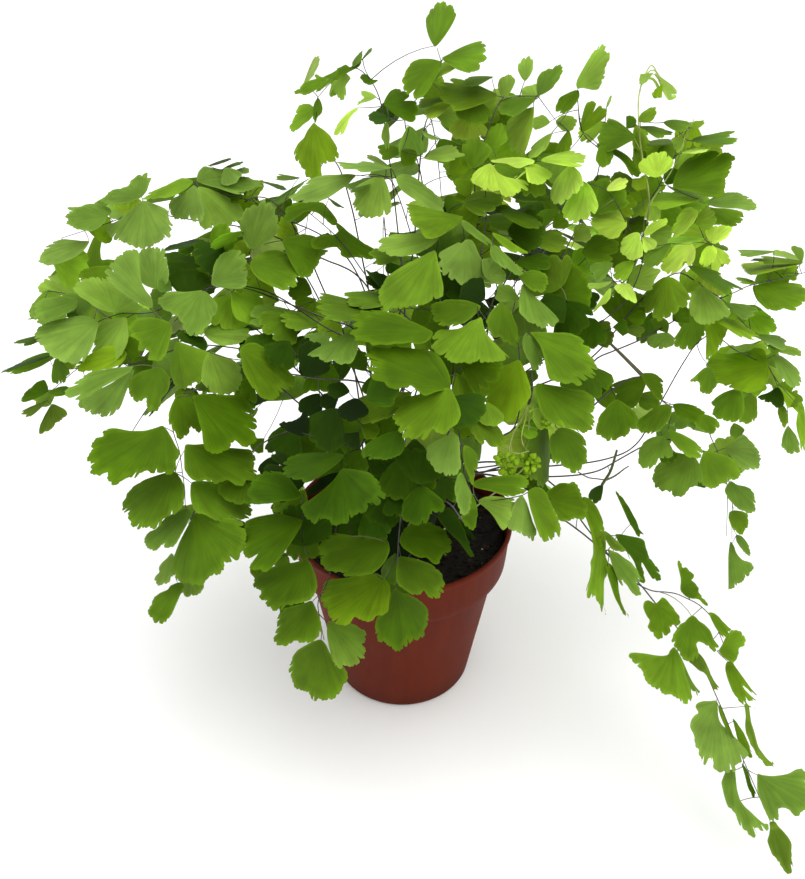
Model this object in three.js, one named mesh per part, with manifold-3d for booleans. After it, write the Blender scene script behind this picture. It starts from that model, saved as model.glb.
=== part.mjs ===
// Potted maidenhair fern: a round plastic nursery pot of potting soil, a creeping rootstock at the soil surface,
// and the fronds that rise from it. Millimetres, +Z up, origin at the middle of the pot's flat underside,
// the side that faces the viewer is -Y.
import * as THREE from "three";
import { mergeVertices } from "three/addons/utils/BufferGeometryUtils.js";
import Module from "manifold-3d";

// ---- driving dimensions -------------------------------------------------------------------------------------------
const POT_RIM_D = 106; // over the rim band
const POT_H = 97;
const POT_BASE_D = 69.4; // flat underside and its rounded edge
const POT_EDGE_R = 3; // rounding between the underside and the wall
const POT_BAND_H = 23; // height of the rim band
const POT_WALL_TOP_D = 93.4; // outside of the wall where the rim band begins
const POT_WALL_T = 1.6;
const POT_FLOOR_T = 2.4;
const DRAIN_D = 7; // one drainage hole
const DRAIN_N = 6;
const DRAIN_CIRCLE_D = 46; // the holes' circle
const SOIL_TOP_Z = 87.5; // soil surface at the pot wall
const SOIL_MOUND = 1.0; // the soil round the rootstock stands this much higher
const GAP = 0.35; // clearance between neighbouring pieces
const CROWN_Z = 88.9; // where the stalks begin
const ROOTSTOCK_R = 25.5; // reach of the rootstock from the pot's axis
const ROOTSTOCK_H = 6; // its thickness
const STIPE_R = 0.85; // dark wiry stalk of a frond
const TWIG_R = 0.3; // fine stalk of one leaflet
const LEAF_T = 0.8; // blade thickness

// ---- fronds ---------------------------------------------------------------------------------------------------------
// stem: points up the stalk, from its foot in the rootstock to its tip.
// leaflets: [base x, y, z, midrib direction x, y, z, upper face normal x, y, z, left side length, left side angle,
//   midrib length, right side length, right side angle, shade 0 deep green ... 6 pale new growth], angles in degrees
//   from the midrib, one row for each fan-shaped leaflet.
// forks: where the fine stalk of each leaflet, in the same order, leaves its carrier: [-1, place along the stem counted
//   in its points] or [number of the leaflet whose fine stalk carries it, share of that stalk's length].
const FRONDS = {
  frond_01: {
    stem: [[-11.3, 6.4, 89], [-10.3, 6.9, 115.9], [-10.5, 5.4, 142.9], [-9.8, 3.9, 169.8], [-9.8, 2.7, 196.7], [-18.9, 8.5, 219.6], [-35.5, 29.1, 217.9], [-57.7, 41.4, 222.8], [-77.5, 59.1, 220], [-103.2, 60.2, 223.6], [-129.7, 58.8, 223.1], [-155, 52.9, 216.6]],
    leaflets: [
      [-132.9,54.6,225.5,-0.877,-0.424,0.227,0.241,0.019,0.97,18.7,-46,18.7,17.5,57,2],
      [-118.1,61.7,232.2,-0.68,0.724,0.111,-0.084,-0.228,0.97,17.3,-58,17.1,16.5,49,4],
      [-117.5,60.7,231.6,-0.005,-0.725,-0.689,-0.468,-0.607,0.642,19.6,-57,24,26.1,60,2],
      [-140.5,47.1,217.7,-0.832,-0.545,-0.105,-0.119,-0.011,0.993,28.5,-47,24.5,19.2,38,2],
      [-145.1,73.2,210.7,-0.195,-0.559,-0.806,-0.631,-0.557,0.539,25,-32,27.1,27.6,35,0],
    ],
    forks: [[-1, 10.09], [2, 1], [-1, 9.56], [-1, 10.61], [-1, 10.47]],
  },
  frond_02: {
    stem: [[-7, 10.9, 89], [-7.7, 11.5, 116.5], [-8.5, 12.4, 144.1], [-10.1, 14.1, 171.5], [-14, 17.8, 198.5], [-25.5, 27.2, 221.1], [-47.1, 42.2, 228.3], [-68.9, 58.4, 232.5], [-94.2, 69, 233.1]],
    leaflets: [
      [-94.5,64.1,238.8,-0.96,0.246,-0.132,-0.1,0.14,0.985,21.4,-48,22,21.4,48,2],
      [-93.8,62.9,239.3,0.9,0.369,-0.232,0.171,0.191,0.967,23.1,-70,24.2,23.1,70,3],
      [-92.5,58.3,240.1,-0.462,-0.282,-0.841,-0.558,-0.645,0.522,17.6,-39,18.8,18.6,39,3],
      [-92.2,60.8,238.2,0.582,-0.187,-0.791,0.658,-0.463,0.594,24.2,-45,22,19.9,35,3],
      [-64.3,24.5,223.6,0.314,0.418,0.852,-0.628,-0.582,0.517,19.6,-57,19,17,51,3],
      [-64.3,16.7,221.6,0.978,-0.082,-0.19,0.175,-0.163,0.971,18.8,-54,20.2,20.8,64,3],
      [-50.9,22.9,228.9,0.828,0.043,-0.559,0.535,-0.36,0.764,18.5,-43,18.8,18,47,3],
    ],
    forks: [[-1, 8], [0, 1], [3, 1], [1, 1], [6, 1], [4, 1], [-1, 5.76]],
  },
  frond_03: {
    stem: [[-10.9, -7.1, 89], [-11.1, -8.8, 117.8], [-11, -13.2, 146.4], [-11.3, -20.5, 174.3], [-14.9, -28.8, 201.6], [-33.2, -13.1, 208.1], [-50, 10.5, 206.7], [-72.9, 26.4, 205.7], [-100.1, 19.1, 200.9], [-126.6, 22.3, 193.7], [-152.8, 20.5, 181.8]],
    leaflets: [
      [-125.4,16.4,197.5,-0.814,-0.138,0.565,0.565,0.04,0.824,14.8,-58,20.5,26.9,74,3],
      [-107,11,202.3,-0.688,-0.111,0.717,0.704,-0.343,0.622,20.3,-43,24.1,27.8,56,3],
      [-144.1,26.8,198.5,-0.952,0.12,0.283,0.304,0.22,0.927,21,-54,20.1,20.3,55,2],
      [-144.8,23.2,194.5,-0.979,0.112,-0.168,-0.104,0.433,0.895,20,-38,20.4,20,38,4],
      [-133,16.1,193.3,-0.812,-0.581,-0.054,-0.065,-0.002,0.998,30.3,-57,27.5,22.9,54,2],
      [-120.1,15.2,196.3,-0.503,-0.578,-0.643,-0.575,-0.332,0.748,21.4,-51,22.1,20.2,51,2],
      [-97.5,0.7,201.1,-0.697,-0.626,-0.351,-0.112,-0.387,0.915,17.9,-46,18.4,17.5,47,2],
    ],
    forks: [[-1, 8.9], [-1, 8.2], [3, 1], [-1, 9.57], [-1, 9.15], [-1, 8.67], [1, 1]],
  },
  frond_04: {
    stem: [[-12.6, -3.2, 89], [-12.5, -4.7, 118.3], [-11.9, -9, 147.2], [-11.2, -15.8, 175.7], [-13.3, -24.1, 203.7], [-33.2, -11.5, 210.8], [-53.5, 9.5, 208.1], [-77.7, 24.4, 207.1], [-98.4, 9.3, 197]],
    leaflets: [
      [-80,10.9,213.8,0.797,0.462,0.388,-0.243,-0.342,0.908,17.6,-56,17.5,15.5,56,3],
      [-85.2,14.2,209.8,-0.243,-0.742,-0.625,-0.21,-0.589,0.781,13.6,-74,18.8,20.8,78,3],
      [-73,12.8,210,0.542,-0.527,-0.655,0.752,-0.043,0.658,21.6,-45,20,17.5,34,2],
      [-46.6,5.1,204,-0.982,-0.179,-0.065,-0.047,-0.103,0.994,18,-40,17.8,16.9,36,2],
      [-84.8,3.4,193.9,0.935,0.355,0.003,-0.065,0.164,0.984,19.7,-68,19.7,17.3,75,2],
      [-94.3,-6.2,196.3,0.332,-0.623,-0.709,-0.635,-0.703,0.32,19.7,-50,20.2,19.8,45,2],
      [-45.7,6.9,194.4,-0.816,-0.502,-0.286,-0.359,0.052,0.932,16,-39,17.2,17.3,44,0],
      [-63.1,-18.1,185.3,-0.403,-0.535,-0.743,-0.497,-0.554,0.668,10,-50,10.5,10.2,50,1],
      [-84.3,-1.3,193.1,-0.917,0.005,0.399,0.382,-0.279,0.881,9.2,-51,9.4,9.3,51,1],
      [-61.4,1.7,192.1,-0.974,-0.216,-0.071,0.002,-0.321,0.947,7.2,-50,7.4,7.2,51,1],
    ],
    forks: [[1, 1], [-1, 7.4], [0, 1], [-1, 5.82], [-1, 7.85], [8, 1], [3, 1], [9, 1], [4, 1], [6, 1]],
  },
  frond_05: {
    stem: [[-5.5, -11.8, 89], [-5.7, -13.9, 117.7], [-5.8, -19.3, 146], [-6.5, -27.9, 173.5], [-11.3, -39, 199.5], [-33.8, -29.8, 201.1], [-55, -11.7, 193.8], [-81.1, -0.9, 191.2], [-108.8, -2.8, 185.1], [-134, 8.2, 178.2], [-157.6, 8.5, 162.8]],
    leaflets: [
      [-159.9,20.7,173.4,-0.935,-0.326,-0.143,-0.246,0.302,0.921,22.7,-34,23.1,22.7,34,0],
      [-112.4,-11.9,187.6,-0.851,-0.524,-0.029,-0.049,0.025,0.998,26,-62,26.3,25.3,65,2],
      [-101.4,-15.3,189.1,-0.18,-0.563,-0.807,-0.667,-0.533,0.52,15.3,-48,18.6,20.3,58,2],
    ],
    forks: [[-1, 9.72], [-1, 8.11], [1, 1]],
  },
  frond_06: {
    stem: [[-0.9, -13, 89], [-1.3, -15.2, 115.5], [-1.6, -20.7, 141.6], [-2.6, -29.5, 166.7], [-6.2, -41.3, 190.3], [-24.4, -45.5, 201.5], [-41.2, -27.6, 192.6], [-57.3, -11.3, 184.2], [-81.6, -20.1, 182], [-93.7, -36, 172.6], [-87.7, -54, 154.5]],
    leaflets: [
      [-91.5,-31.4,185.1,0.184,-0.727,-0.662,0.919,-0.111,0.377,21,-56,17.7,12.9,29,2],
      [-82.2,-39.7,190.4,0.793,-0.313,-0.522,0.532,-0.058,0.844,29,-48,28.6,27.1,47,2],
      [-95.7,-40.9,176.4,-0.601,-0.762,-0.239,-0.283,-0.076,0.956,28.5,-62,30.2,30.2,65,2],
      [-89.7,-55,164.9,-0.388,-0.821,-0.42,-0.549,-0.159,0.82,22.7,-50,27,29.3,60,2],
      [-82.7,-60.2,163.4,0.658,-0.648,-0.384,0.518,0.019,0.855,25.5,-62,21.6,15.1,39,2],
      [-84.9,-63.7,153.1,-0.578,-0.673,-0.463,-0.548,-0.1,0.83,20.2,-37,21.4,22.1,42,2],
    ],
    forks: [[-1, 8.49], [0, 1], [-1, 9.07], [-1, 9.73], [3, 1], [-1, 10]],
  },
  frond_07: {
    stem: [[4.2, -12.3, 89], [3.5, -15.1, 116], [2.1, -21.3, 142.4], [-0.2, -31.6, 167.3], [-7.2, -46.4, 188.6], [-29.9, -53.5, 187.6], [-52.8, -47.4, 174.9], [-69.7, -45.5, 156.9], [-86.2, -59.2, 142.2], [-93.7, -67, 117.4]],
    leaflets: [
      [-82,-66.8,153,0.008,-0.791,-0.612,-0.655,-0.466,0.594,33.3,-60,28.8,23.6,42,3],
      [-91.8,-73.4,123.4,-0.3,-0.803,-0.515,-0.786,-0.097,0.61,15.5,-58,18.8,21.3,67,2],
      [-36.1,-80.4,171.9,-0.981,0.002,0.194,0.189,0.237,0.953,19.6,-27,21.6,23.5,37,1],
      [-37.5,-80.6,161,-0.906,-0.316,-0.282,-0.265,-0.097,0.959,23.6,-40,25.1,25.8,40,2],
      [-35.9,-83.4,143.2,-0.501,-0.815,-0.291,-0.505,0.003,0.863,19.5,-49,23.9,27.3,60,2],
      [-40.4,-65.5,144.3,0.12,-0.631,-0.767,-0.592,-0.665,0.455,13,-50,13.6,13.4,50,1],
      [-50.4,-52.2,170,-0.418,-0.579,-0.7,-0.513,-0.486,0.708,8.9,-50,9.2,9,50,0],
      [-47,-60.5,155.4,-0.275,-0.624,-0.732,-0.557,-0.517,0.65,7.6,-50,7.9,7.7,50,1],
      [-39.9,-61.1,167,-0.341,-0.596,-0.727,-0.555,-0.496,0.668,6.4,-50,6.7,6.5,50,1],
    ],
    forks: [[-1, 7.74], [-1, 8.88], [3, 1], [4, 0.67], [5, 1], [7, 1], [-1, 6.04], [8, 0.67], [6, 1]],
  },
  frond_08: {
    stem: [[10.4, -7.8, 89], [7.7, -10.3, 116.6], [5.3, -21.3, 142.5], [-0.2, -34.7, 166.3], [-9.1, -53.1, 184.8], [-19.9, -69.7, 172.5], [-26.3, -74.2, 145.9], [-32.9, -76.8, 119.3], [-32.9, -76.3, 91.8]],
    leaflets: [
      [-35.4,-84.3,122.2,-0.439,-0.805,-0.4,-0.644,-0.029,0.765,20.1,-54,20.4,20.4,51,2],
      [-33,-82.7,98.5,-0.052,-0.704,-0.708,-0.767,-0.426,0.48,21.3,-49,24.9,28.4,59,4],
      [-30.5,-82.6,108.8,0.755,-0.328,-0.568,0.589,-0.042,0.807,18.8,-37,21,21.3,48,4],
      [-6.7,-80.5,131.2,-0.596,-0.75,-0.287,-0.446,0.012,0.895,17.7,-47,24.8,30.8,64,4],
      [-18.8,-85.7,157.8,-0.522,-0.563,-0.64,-0.732,-0.09,0.676,14.5,-38,17.1,19.5,51,2],
      [-5.3,-86.4,156,-0.844,-0.419,-0.333,-0.374,0.015,0.927,17.2,-50,17.7,17.2,47,2],
      [-21.1,-86.2,189.7,-0.082,-0.88,-0.468,-0.517,-0.364,0.775,22.1,-56,22.3,21.8,54,3],
      [-21,-74.2,186.7,-0.968,-0.235,-0.083,-0.166,0.36,0.918,27.1,-57,23.5,22.8,48,2],
      [-15.8,-69.4,186.6,-0.26,-0.571,-0.779,-0.619,-0.52,0.588,9.9,-50,10.3,10.1,50,0],
    ],
    forks: [[-1, 7.03], [-1, 7.7], [-1, 7.41], [-1, 6.45], [-1, 5.52], [4, 1], [7, 1], [8, 1], [-1, 4.56]],
  },
  frond_09: {
    stem: [[-4.1, -16, 89], [-3.6, -21.6, 116.7], [-2.5, -33.4, 142.3], [-1, -50.5, 164.8], [0.3, -73.8, 173.2], [-1.3, -73.8, 145.2], [-2.1, -72.4, 116.9]],
    leaflets: [
      [-2.4,-79.1,124.4,0.066,-0.69,-0.721,0.857,-0.331,0.395,29.6,-66,24.4,19.1,55,2],
      [-0.8,-81.4,142.4,0.607,-0.594,-0.529,0.659,0.003,0.752,23.5,-54,20.3,16.7,40,3],
      [0.4,-84.6,157.4,0.846,-0.349,-0.404,0.453,0.067,0.889,22.5,-62,18.2,13.8,45,2],
    ],
    forks: [[-1, 5.74], [-1, 5.07], [-1, 4.53]],
  },
  frond_10: {
    stem: [[13, -0.4, 89], [13.7, -11.7, 114.2], [21.1, -33.8, 130.7], [24.8, -59.5, 142.7], [26.1, -77.8, 163.3], [21.6, -84.5, 190.6], [17.8, -71.7, 214.3]],
    leaflets: [
      [21.1,-90.6,202.9,0.205,-0.479,-0.854,0.945,-0.129,0.3,15,-62,15.7,15,62,3],
      [17.5,-90.8,208.5,-0.279,-0.575,-0.769,-0.849,-0.228,0.478,13.7,-47,16.1,17.6,55,4],
      [17.2,-80.9,220.1,-0.58,-0.614,-0.535,-0.631,-0.076,0.772,17.9,-55,22.6,26.1,64,4],
      [17,-79.3,219.9,-0.972,0.147,0.184,0.214,0.226,0.95,20.8,-68,29.5,37.1,75,2],
    ],
    forks: [[-1, 5.32], [0, 1], [3, 1], [-1, 5.91]],
  },
  frond_11: {
    stem: [[8.5, -14.1, 89], [9.1, -18.2, 117.3], [10.5, -28.9, 143.8], [12.8, -45.8, 166.9], [16.2, -65.6, 187.4], [18.9, -54, 206.9], [16.4, -28.2, 218.8], [13.4, -6.8, 237.3]],
    leaflets: [
      [12.9,-22.5,244.5,-0.508,-0.556,-0.657,-0.649,-0.253,0.717,25,-48,26.8,27.8,48,3],
      [15.2,-7.9,243.7,-0.984,0.039,-0.173,-0.164,0.158,0.974,25.3,-51,26.1,25.3,48,3],
    ],
    forks: [[-1, 6.75], [-1, 7]],
  },
  frond_12: {
    stem: [[15, -6.8, 89], [16.1, -9.5, 116.6], [18.1, -19.2, 142.1], [24.7, -33.7, 164.4], [34.8, -48.9, 184.8], [34.4, -37.9, 207.6], [36.7, -18.2, 224.3], [24.7, -1.7, 239.7]],
    leaflets: [
      [25,-8.8,242.9,-0.083,-0.518,-0.851,0.609,-0.703,0.368,18,-47,17.9,17.1,47,3],
      [38.9,-27.5,225.6,0.093,-0.682,-0.726,0.812,-0.37,0.452,16.6,-40,17.8,18.8,51,3],
      [35.5,-9.4,241.5,0.465,-0.717,-0.519,0.647,-0.125,0.752,16.4,-44,17.3,17.9,53,3],
      [35.1,-3.1,243.7,0.898,-0.189,-0.397,0.423,0.127,0.897,16.6,-67,17.3,16.6,67,3],
      [24,-0.1,248.8,-0.964,-0.147,0.222,0.215,0.06,0.975,29,-52,22.9,20.7,16,3],
      [22.8,4.4,246,0.821,-0.249,-0.513,0.529,-0.005,0.849,15,-43,17.2,17.7,55,3],
    ],
    forks: [[-1, 6.9], [-1, 5.77], [-1, 6.68], [2, 1], [5, 1], [-1, 7]],
  },
  frond_13: {
    stem: [[12.3, 4.1, 89], [13.6, 1.5, 116.3], [20, -12.3, 140.3], [26.8, -29.3, 160.3], [34.8, -49.8, 176.9], [44.6, -55.6, 196.3], [45.5, -31.2, 208.6], [47.7, -7.5, 220.7]],
    leaflets: [
      [48.1,-14.7,226.9,0.336,-0.782,-0.525,0.64,-0.22,0.737,21.2,-40,21.5,21.4,45,3],
      [48.4,-34.8,216.5,0.858,-0.419,-0.297,0.298,-0.066,0.952,27.1,-45,29.3,29.6,52,4],
      [51,-51.5,203.4,0.815,-0.451,-0.364,0.359,-0.1,0.928,25.2,-43,25.9,25.4,46,2],
    ],
    forks: [[-1, 6.88], [-1, 5.92], [-1, 5.21]],
  },
  frond_14: {
    stem: [[5.3, -7.9, 89], [10.4, -14.4, 116.8], [19.8, -25.3, 140.2], [35.4, -42.1, 157.4], [53.1, -50.5, 176.3], [61.1, -45.5, 179.5]],
    leaflets: [
      [61.6,-51,183.3,0.267,-0.663,-0.699,0.698,-0.367,0.615,18.6,-47,18.7,17.6,46,2],
      [47.6,-72.4,168.4,0.407,-0.615,-0.675,0.799,-0.118,0.589,26.7,-52,21.6,17.4,26,3],
      [45.5,-74.6,168.7,0.168,-0.696,-0.698,0.821,-0.293,0.49,14.7,-26,18,21.6,54,4],
      [27.5,-86.4,174.8,0.719,-0.41,-0.561,0.664,0.167,0.728,14.7,-64,15.2,14.7,65,4],
      [25.1,-89.3,184.8,0.999,-0.022,0.036,-0.023,0.431,0.902,19.3,-57,20,19.3,57,4],
      [53.9,-56.6,160.9,0.273,-0.616,-0.739,0.544,-0.535,0.646,6.9,-50,7.1,6.9,50,2],
    ],
    forks: [[-1, 5], [5, 1], [1, 1], [2, 1], [3, 1], [-1, 3.69]],
  },
  frond_15: {
    stem: [[9.1, -2.7, 89], [12, -10.2, 115.4], [21, -24.6, 137.2], [33.6, -42.6, 153.9], [53.4, -56.8, 154.1], [69.7, -49.1, 133.3], [89, -49.3, 115.1], [108, -58.6, 98.4], [125, -61, 77.1], [136.6, -80.6, 62.2], [146.5, -98.6, 43.7], [155.8, -119.3, 28]],
    leaflets: [
      [78.3,-32.3,135.4,0.067,-0.817,-0.573,0.906,-0.191,0.378,47.7,-21,48.1,47.7,21,4],
      [87.7,-53.5,120.9,0.093,-0.992,-0.09,0.578,-0.02,0.816,21.7,-32,21.2,18.8,11,3],
      [86.1,-60,117.7,0.365,-0.705,-0.609,0.887,0.064,0.457,22.1,-62,23,22.1,62,1],
      [94,-39.3,117.5,0.749,-0.334,-0.572,0.627,0.077,0.775,23.9,-45,26.8,27.1,56,1],
      [114.6,-76.5,87.2,-0.538,-0.83,-0.148,0.32,-0.364,0.875,23.8,-48,23.9,21.6,41,4],
      [123.9,-73.3,81.3,0.551,-0.678,-0.486,0.73,0.11,0.674,19.9,-53,20.6,19.9,53,3],
      [135.5,-87.3,66.3,-0.377,-0.789,-0.486,0.825,-0.524,0.21,28.3,-51,29.2,39.5,60,3],
      [134.9,-96.9,60.5,0.23,-0.787,-0.572,0.594,-0.353,0.723,20.3,-57,19,17.7,49,4],
      [145.1,-102.8,45.6,0.241,-0.821,-0.517,0.882,-0.037,0.469,15.4,-56,15.9,15.4,56,1],
      [138.6,-109,48.5,-0.114,-0.771,-0.627,0.821,-0.428,0.377,15.9,-50,16.7,16.4,50,4],
      [141.1,-113.6,33,0.374,-0.893,-0.249,0.607,0.033,0.794,20.3,-54,16.1,12.9,30,4],
      [149.8,-108.4,45.6,0.771,-0.515,-0.375,0.414,-0.043,0.909,29.4,-51,24.2,21.1,49,2],
      [153.1,-123.8,34,0.223,-0.834,-0.504,0.811,-0.128,0.57,22.9,-60,21.1,18.4,62,2],
      [148.1,-85.7,63.1,0.321,-0.796,-0.514,0.867,0.029,0.497,29.7,-58,30.8,29.7,58,1],
    ],
    forks: [[-1, 5.24], [-1, 5.93], [1, 1], [-1, 5.93], [5, 1], [-1, 8.16], [-1, 9.08], [6, 1], [-1, 10.06], [8, 1], [-1, 10.63], [-1, 10.21], [-1, 11], [-1, 9.22]],
  },
  frond_16: {
    stem: [[9.2, 9.2, 89], [17, 3, 116.4], [35.1, -9.4, 135.6], [58.4, -25.2, 141.3], [77.9, -32.1, 122.2], [94.8, -40.1, 103], [113.8, -52.1, 96.4], [136.8, -46.1, 80.4], [143.1, -69.2, 71.9]],
    leaflets: [
      [133.6,-46.8,87.6,-0.501,0.685,0.528,0.694,-0.046,0.718,18.4,-63,18.8,18.4,59,3],
      [124.4,-71.1,99.5,-0.39,-0.675,-0.627,0.749,-0.628,0.21,17.6,-38,18.8,18.8,48,4],
      [137,-71,78.9,-0.727,0.456,0.513,0.625,0.132,0.769,11.7,-27,16.2,20.2,63,4],
      [141.4,-74.9,77.4,0.465,-0.714,-0.524,0.655,-0.12,0.746,18.7,-25,19.8,20.8,38,3],
    ],
    forks: [[-1, 6.71], [-1, 5.96], [-1, 7.83], [2, 1]],
  },
  frond_17: {
    stem: [[-0.4, 13, 89], [-0.3, 12.9, 116.2], [0, 12.1, 143.4], [0.6, 10.8, 170.5], [1.2, 11.7, 197.6], [-0.6, 25.5, 220.4], [-3.5, 44.2, 240], [-7, 57.4, 263.4], [-16.5, 68.5, 285.4], [-36.9, 73.2, 274]],
    leaflets: [
      [13.3,48.5,301.1,0.11,0.377,0.919,-0.878,-0.396,0.268,16.6,-46,17,17.8,52,4],
      [-20.6,60.7,290,0.479,0.303,0.824,-0.83,-0.151,0.537,7.8,-63,8.1,7.8,63,2],
      [-21.9,61.4,289.5,-0.988,-0.152,-0.027,-0.032,0.031,0.999,9.8,-53,10.2,9.8,53,2],
      [-30.2,57.7,286,-0.958,-0.11,-0.265,-0.272,0.045,0.961,15.7,-57,16.3,15.7,57,2],
      [-25,62.8,287.5,-0.122,-0.373,-0.92,-0.889,-0.371,0.268,8.6,-53,11.8,15.2,67,3],
      [-16.7,59.2,293.3,0.65,0.228,0.725,-0.741,-0.024,0.671,6.3,-47,6.5,6.3,47,1],
      [-12.1,54,286.6,-0.942,-0.234,0.238,0.272,-0.124,0.954,6.6,-44,7,6.4,47,1],
      [-36.3,65.1,276.4,-0.099,-0.313,-0.945,-0.936,-0.293,0.195,11.2,-60,11.6,11.8,58,2],
      [-38.1,60.9,266.9,-0.023,-0.343,-0.939,-0.792,-0.567,0.226,23.1,-51,23.9,24.3,49,4],
    ],
    forks: [[6, 1], [2, 1], [4, 1], [4, 1], [-1, 8.14], [1, 1], [5, 1], [-1, 9], [7, 1]],
  },
  frond_18: {
    stem: [[5.7, 11.7, 89], [6.1, 11.6, 118.2], [7.4, 11.2, 147.3], [10, 10.3, 176.3], [13.3, 12.5, 205.1], [11.6, 26.9, 230], [8, 46.9, 249.3], [2.9, 51.4, 276.1], [14.4, 57.1, 298.6]],
    leaflets: [
      [16.2,46.8,295.7,-0.881,0.2,-0.429,-0.472,-0.438,0.765,17.7,-53,17.9,15.3,36,4],
      [16.2,47.3,297.1,0.938,-0.297,0.177,-0.274,-0.327,0.904,17.8,-35,18.8,18.3,37,4],
      [2.9,42.4,271.1,0.084,-0.303,-0.949,0.87,-0.442,0.218,18.5,-64,15.3,12.3,53,3],
    ],
    forks: [[-1, 7.86], [0, 1], [-1, 6.73]],
  },
  frond_19: {
    stem: [[9.6, 13.4, 89], [10.9, 11.7, 116.9], [13.7, 11.4, 144.8], [19.6, 8.6, 172.1], [28.9, 6.7, 198.4], [32.8, 16.3, 223.8], [30.4, 29.6, 248.3], [36.8, 44.6, 270.8], [57.2, 54.6, 279.8]],
    leaflets: [
      [39.5,45.5,282.5,-0.985,0.174,0,-0.028,-0.16,0.987,22.5,-46,24.1,23.1,37,1],
      [42,45.1,281.4,0.113,0.429,0.896,-0.822,-0.467,0.327,9.6,-44,9.5,9.5,47,4],
      [56.2,47.3,282.4,0.61,0.234,0.757,-0.783,0.03,0.622,15.5,-68,16.2,15.5,68,2],
      [55.3,45.9,281.1,-0.965,0.071,-0.252,-0.259,-0.099,0.961,16.3,-57,15.9,14.7,33,2],
      [54.4,43.1,278.7,-0.516,0.155,-0.842,-0.825,-0.352,0.441,18.1,-47,18.4,17.4,35,1],
    ],
    forks: [[1, 1], [-1, 7.34], [-1, 8], [2, 1], [3, 1]],
  },
  frond_20: {
    stem: [[18.1, 8.5, 89], [20.3, 7, 117], [26, 13, 144.1], [35.4, 16.8, 170], [51.6, 24.5, 191.5], [68.2, 32.1, 212.7], [79.7, 36.9, 237.8], [81.8, 46.4, 262.7], [75.3, 65.3, 278.4]],
    leaflets: [
      [69.5,31.8,288.8,0.441,-0.589,0.677,-0.895,-0.23,0.383,19.6,-33,20.4,20.6,31,4],
      [73.9,38,270,0.536,0.176,0.826,-0.784,-0.258,0.564,15.1,-42,14.4,14,35,2],
      [87.6,57.2,268.1,-0.819,0.223,-0.529,-0.562,-0.122,0.818,12.9,-59,13.3,12.5,41,4],
      [81.9,35.6,265,0.337,-0.28,-0.899,0.672,-0.597,0.438,10.4,-61,8.9,6.9,50,4],
      [100.9,53.2,262.5,-0.051,-0.652,-0.757,0.823,-0.457,0.338,18.7,-59,15.1,9.7,23,1],
      [104.4,60.6,256.9,0.993,0.054,0.105,-0.112,0.132,0.985,15.9,-43,16.3,15.9,43,1],
      [98.2,63.8,263,0.595,0.087,0.799,-0.689,-0.457,0.563,6.2,-53,6.2,6.3,51,1],
    ],
    forks: [[1, 1], [3, 1], [-1, 7.53], [-1, 7], [5, 1], [6, 1], [2, 1]],
  },
  frond_21: {
    stem: [[16.3, 2.2, 89], [19.4, 4.8, 116.9], [25.6, 7.7, 144.5], [39, 16.7, 167.7], [57.2, 27, 186.5], [78.2, 35.6, 203.2], [96.1, 37.3, 224.5], [110.6, 39.8, 248], [123.1, 56.9, 266]],
    leaflets: [
      [122.6,48.6,262.7,0.925,-0.305,0.228,-0.194,0.137,0.971,20.5,-43,21,20.5,43,2],
      [113.9,33.4,247.7,0.865,-0.298,0.404,-0.467,-0.179,0.866,26.3,-46,26.4,25.9,37,2],
      [129.7,37.1,239.6,0.883,-0.435,0.174,-0.12,0.149,0.981,22.5,-65,22.2,22.5,39,3],
      [125.4,29.8,244.3,-0.873,0.446,-0.199,-0.161,0.122,0.979,16.8,-44,20.4,22.7,35,3],
    ],
    forks: [[-1, 7.73], [-1, 6.95], [3, 1], [1, 1]],
  },
  frond_22: {
    stem: [[19.5, -4.4, 89], [22.1, -4.6, 119.3], [30.5, -3.5, 148.1], [47.6, -1.8, 173], [71.6, 1, 191], [94.4, 4.7, 210.4], [100.7, 22.9, 232]],
    leaflets: [
      [126.2,33.8,237.8,-0.609,-0.03,-0.792,-0.789,0.12,0.602,13.4,-64,15.3,17.4,64,5],
      [123.5,23.9,227.1,-0.562,-0.539,-0.628,-0.782,0.099,0.615,16.8,-50,17.3,17.9,53,6],
      [133.5,29.7,224.5,0.647,0.475,0.596,-0.685,0.02,0.728,12,-58,10.9,10.3,57,6],
      [133.8,28.8,224,-0.253,-0.521,-0.815,-0.944,-0.052,0.326,8.8,-52,9.8,9.9,59,6],
      [115.8,26.5,225.9,-0.779,0.068,-0.624,-0.62,0.073,0.782,14.8,-52,14.2,13.1,34,2],
      [134,40.3,222.1,-0.964,0.16,-0.212,-0.157,0.301,0.941,17.6,-54,18.2,17.6,54,3],
      [134.1,48.8,233.6,0.885,-0.446,-0.136,-0.056,-0.392,0.918,17.7,-24,18.9,19.6,28,2],
      [128,41.2,229.1,0.927,-0.21,0.311,-0.369,-0.357,0.858,9.3,-54,9.5,9.7,49,2],
    ],
    forks: [[7, 1], [4, 1], [3, 1], [1, 1], [-1, 5.8], [2, 1], [7, 1], [5, 1]],
  },
  frond_23: {
    stem: [[13.8, 14.5, 89], [16, 12.7, 118.6], [23.5, 7.7, 146.7], [37.8, 0.4, 171.4], [59.4, -2.4, 191], [78, 7.6, 211.6], [99.1, 18.5, 220.4]],
    leaflets: [
      [91.6,1.8,219.1,0.222,-0.741,-0.633,0.411,-0.518,0.75,9.8,-41,10.4,10.4,48,5],
      [85.4,-2.7,219.6,-0.484,-0.311,-0.818,-0.868,0.291,0.403,17.4,-67,18.1,17.4,67,6],
      [93.4,18.9,238.6,-0.96,0.234,-0.154,-0.193,-0.152,0.969,12.9,-47,16,18.6,53,4],
      [74.8,22.2,254.6,-0.275,-0.526,-0.805,-0.829,-0.295,0.475,16.9,-51,16,15.3,46,4],
      [68.9,25.3,260.6,-0.266,-0.502,-0.823,-0.872,-0.24,0.427,16.2,-54,16.3,16.4,53,6],
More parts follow.
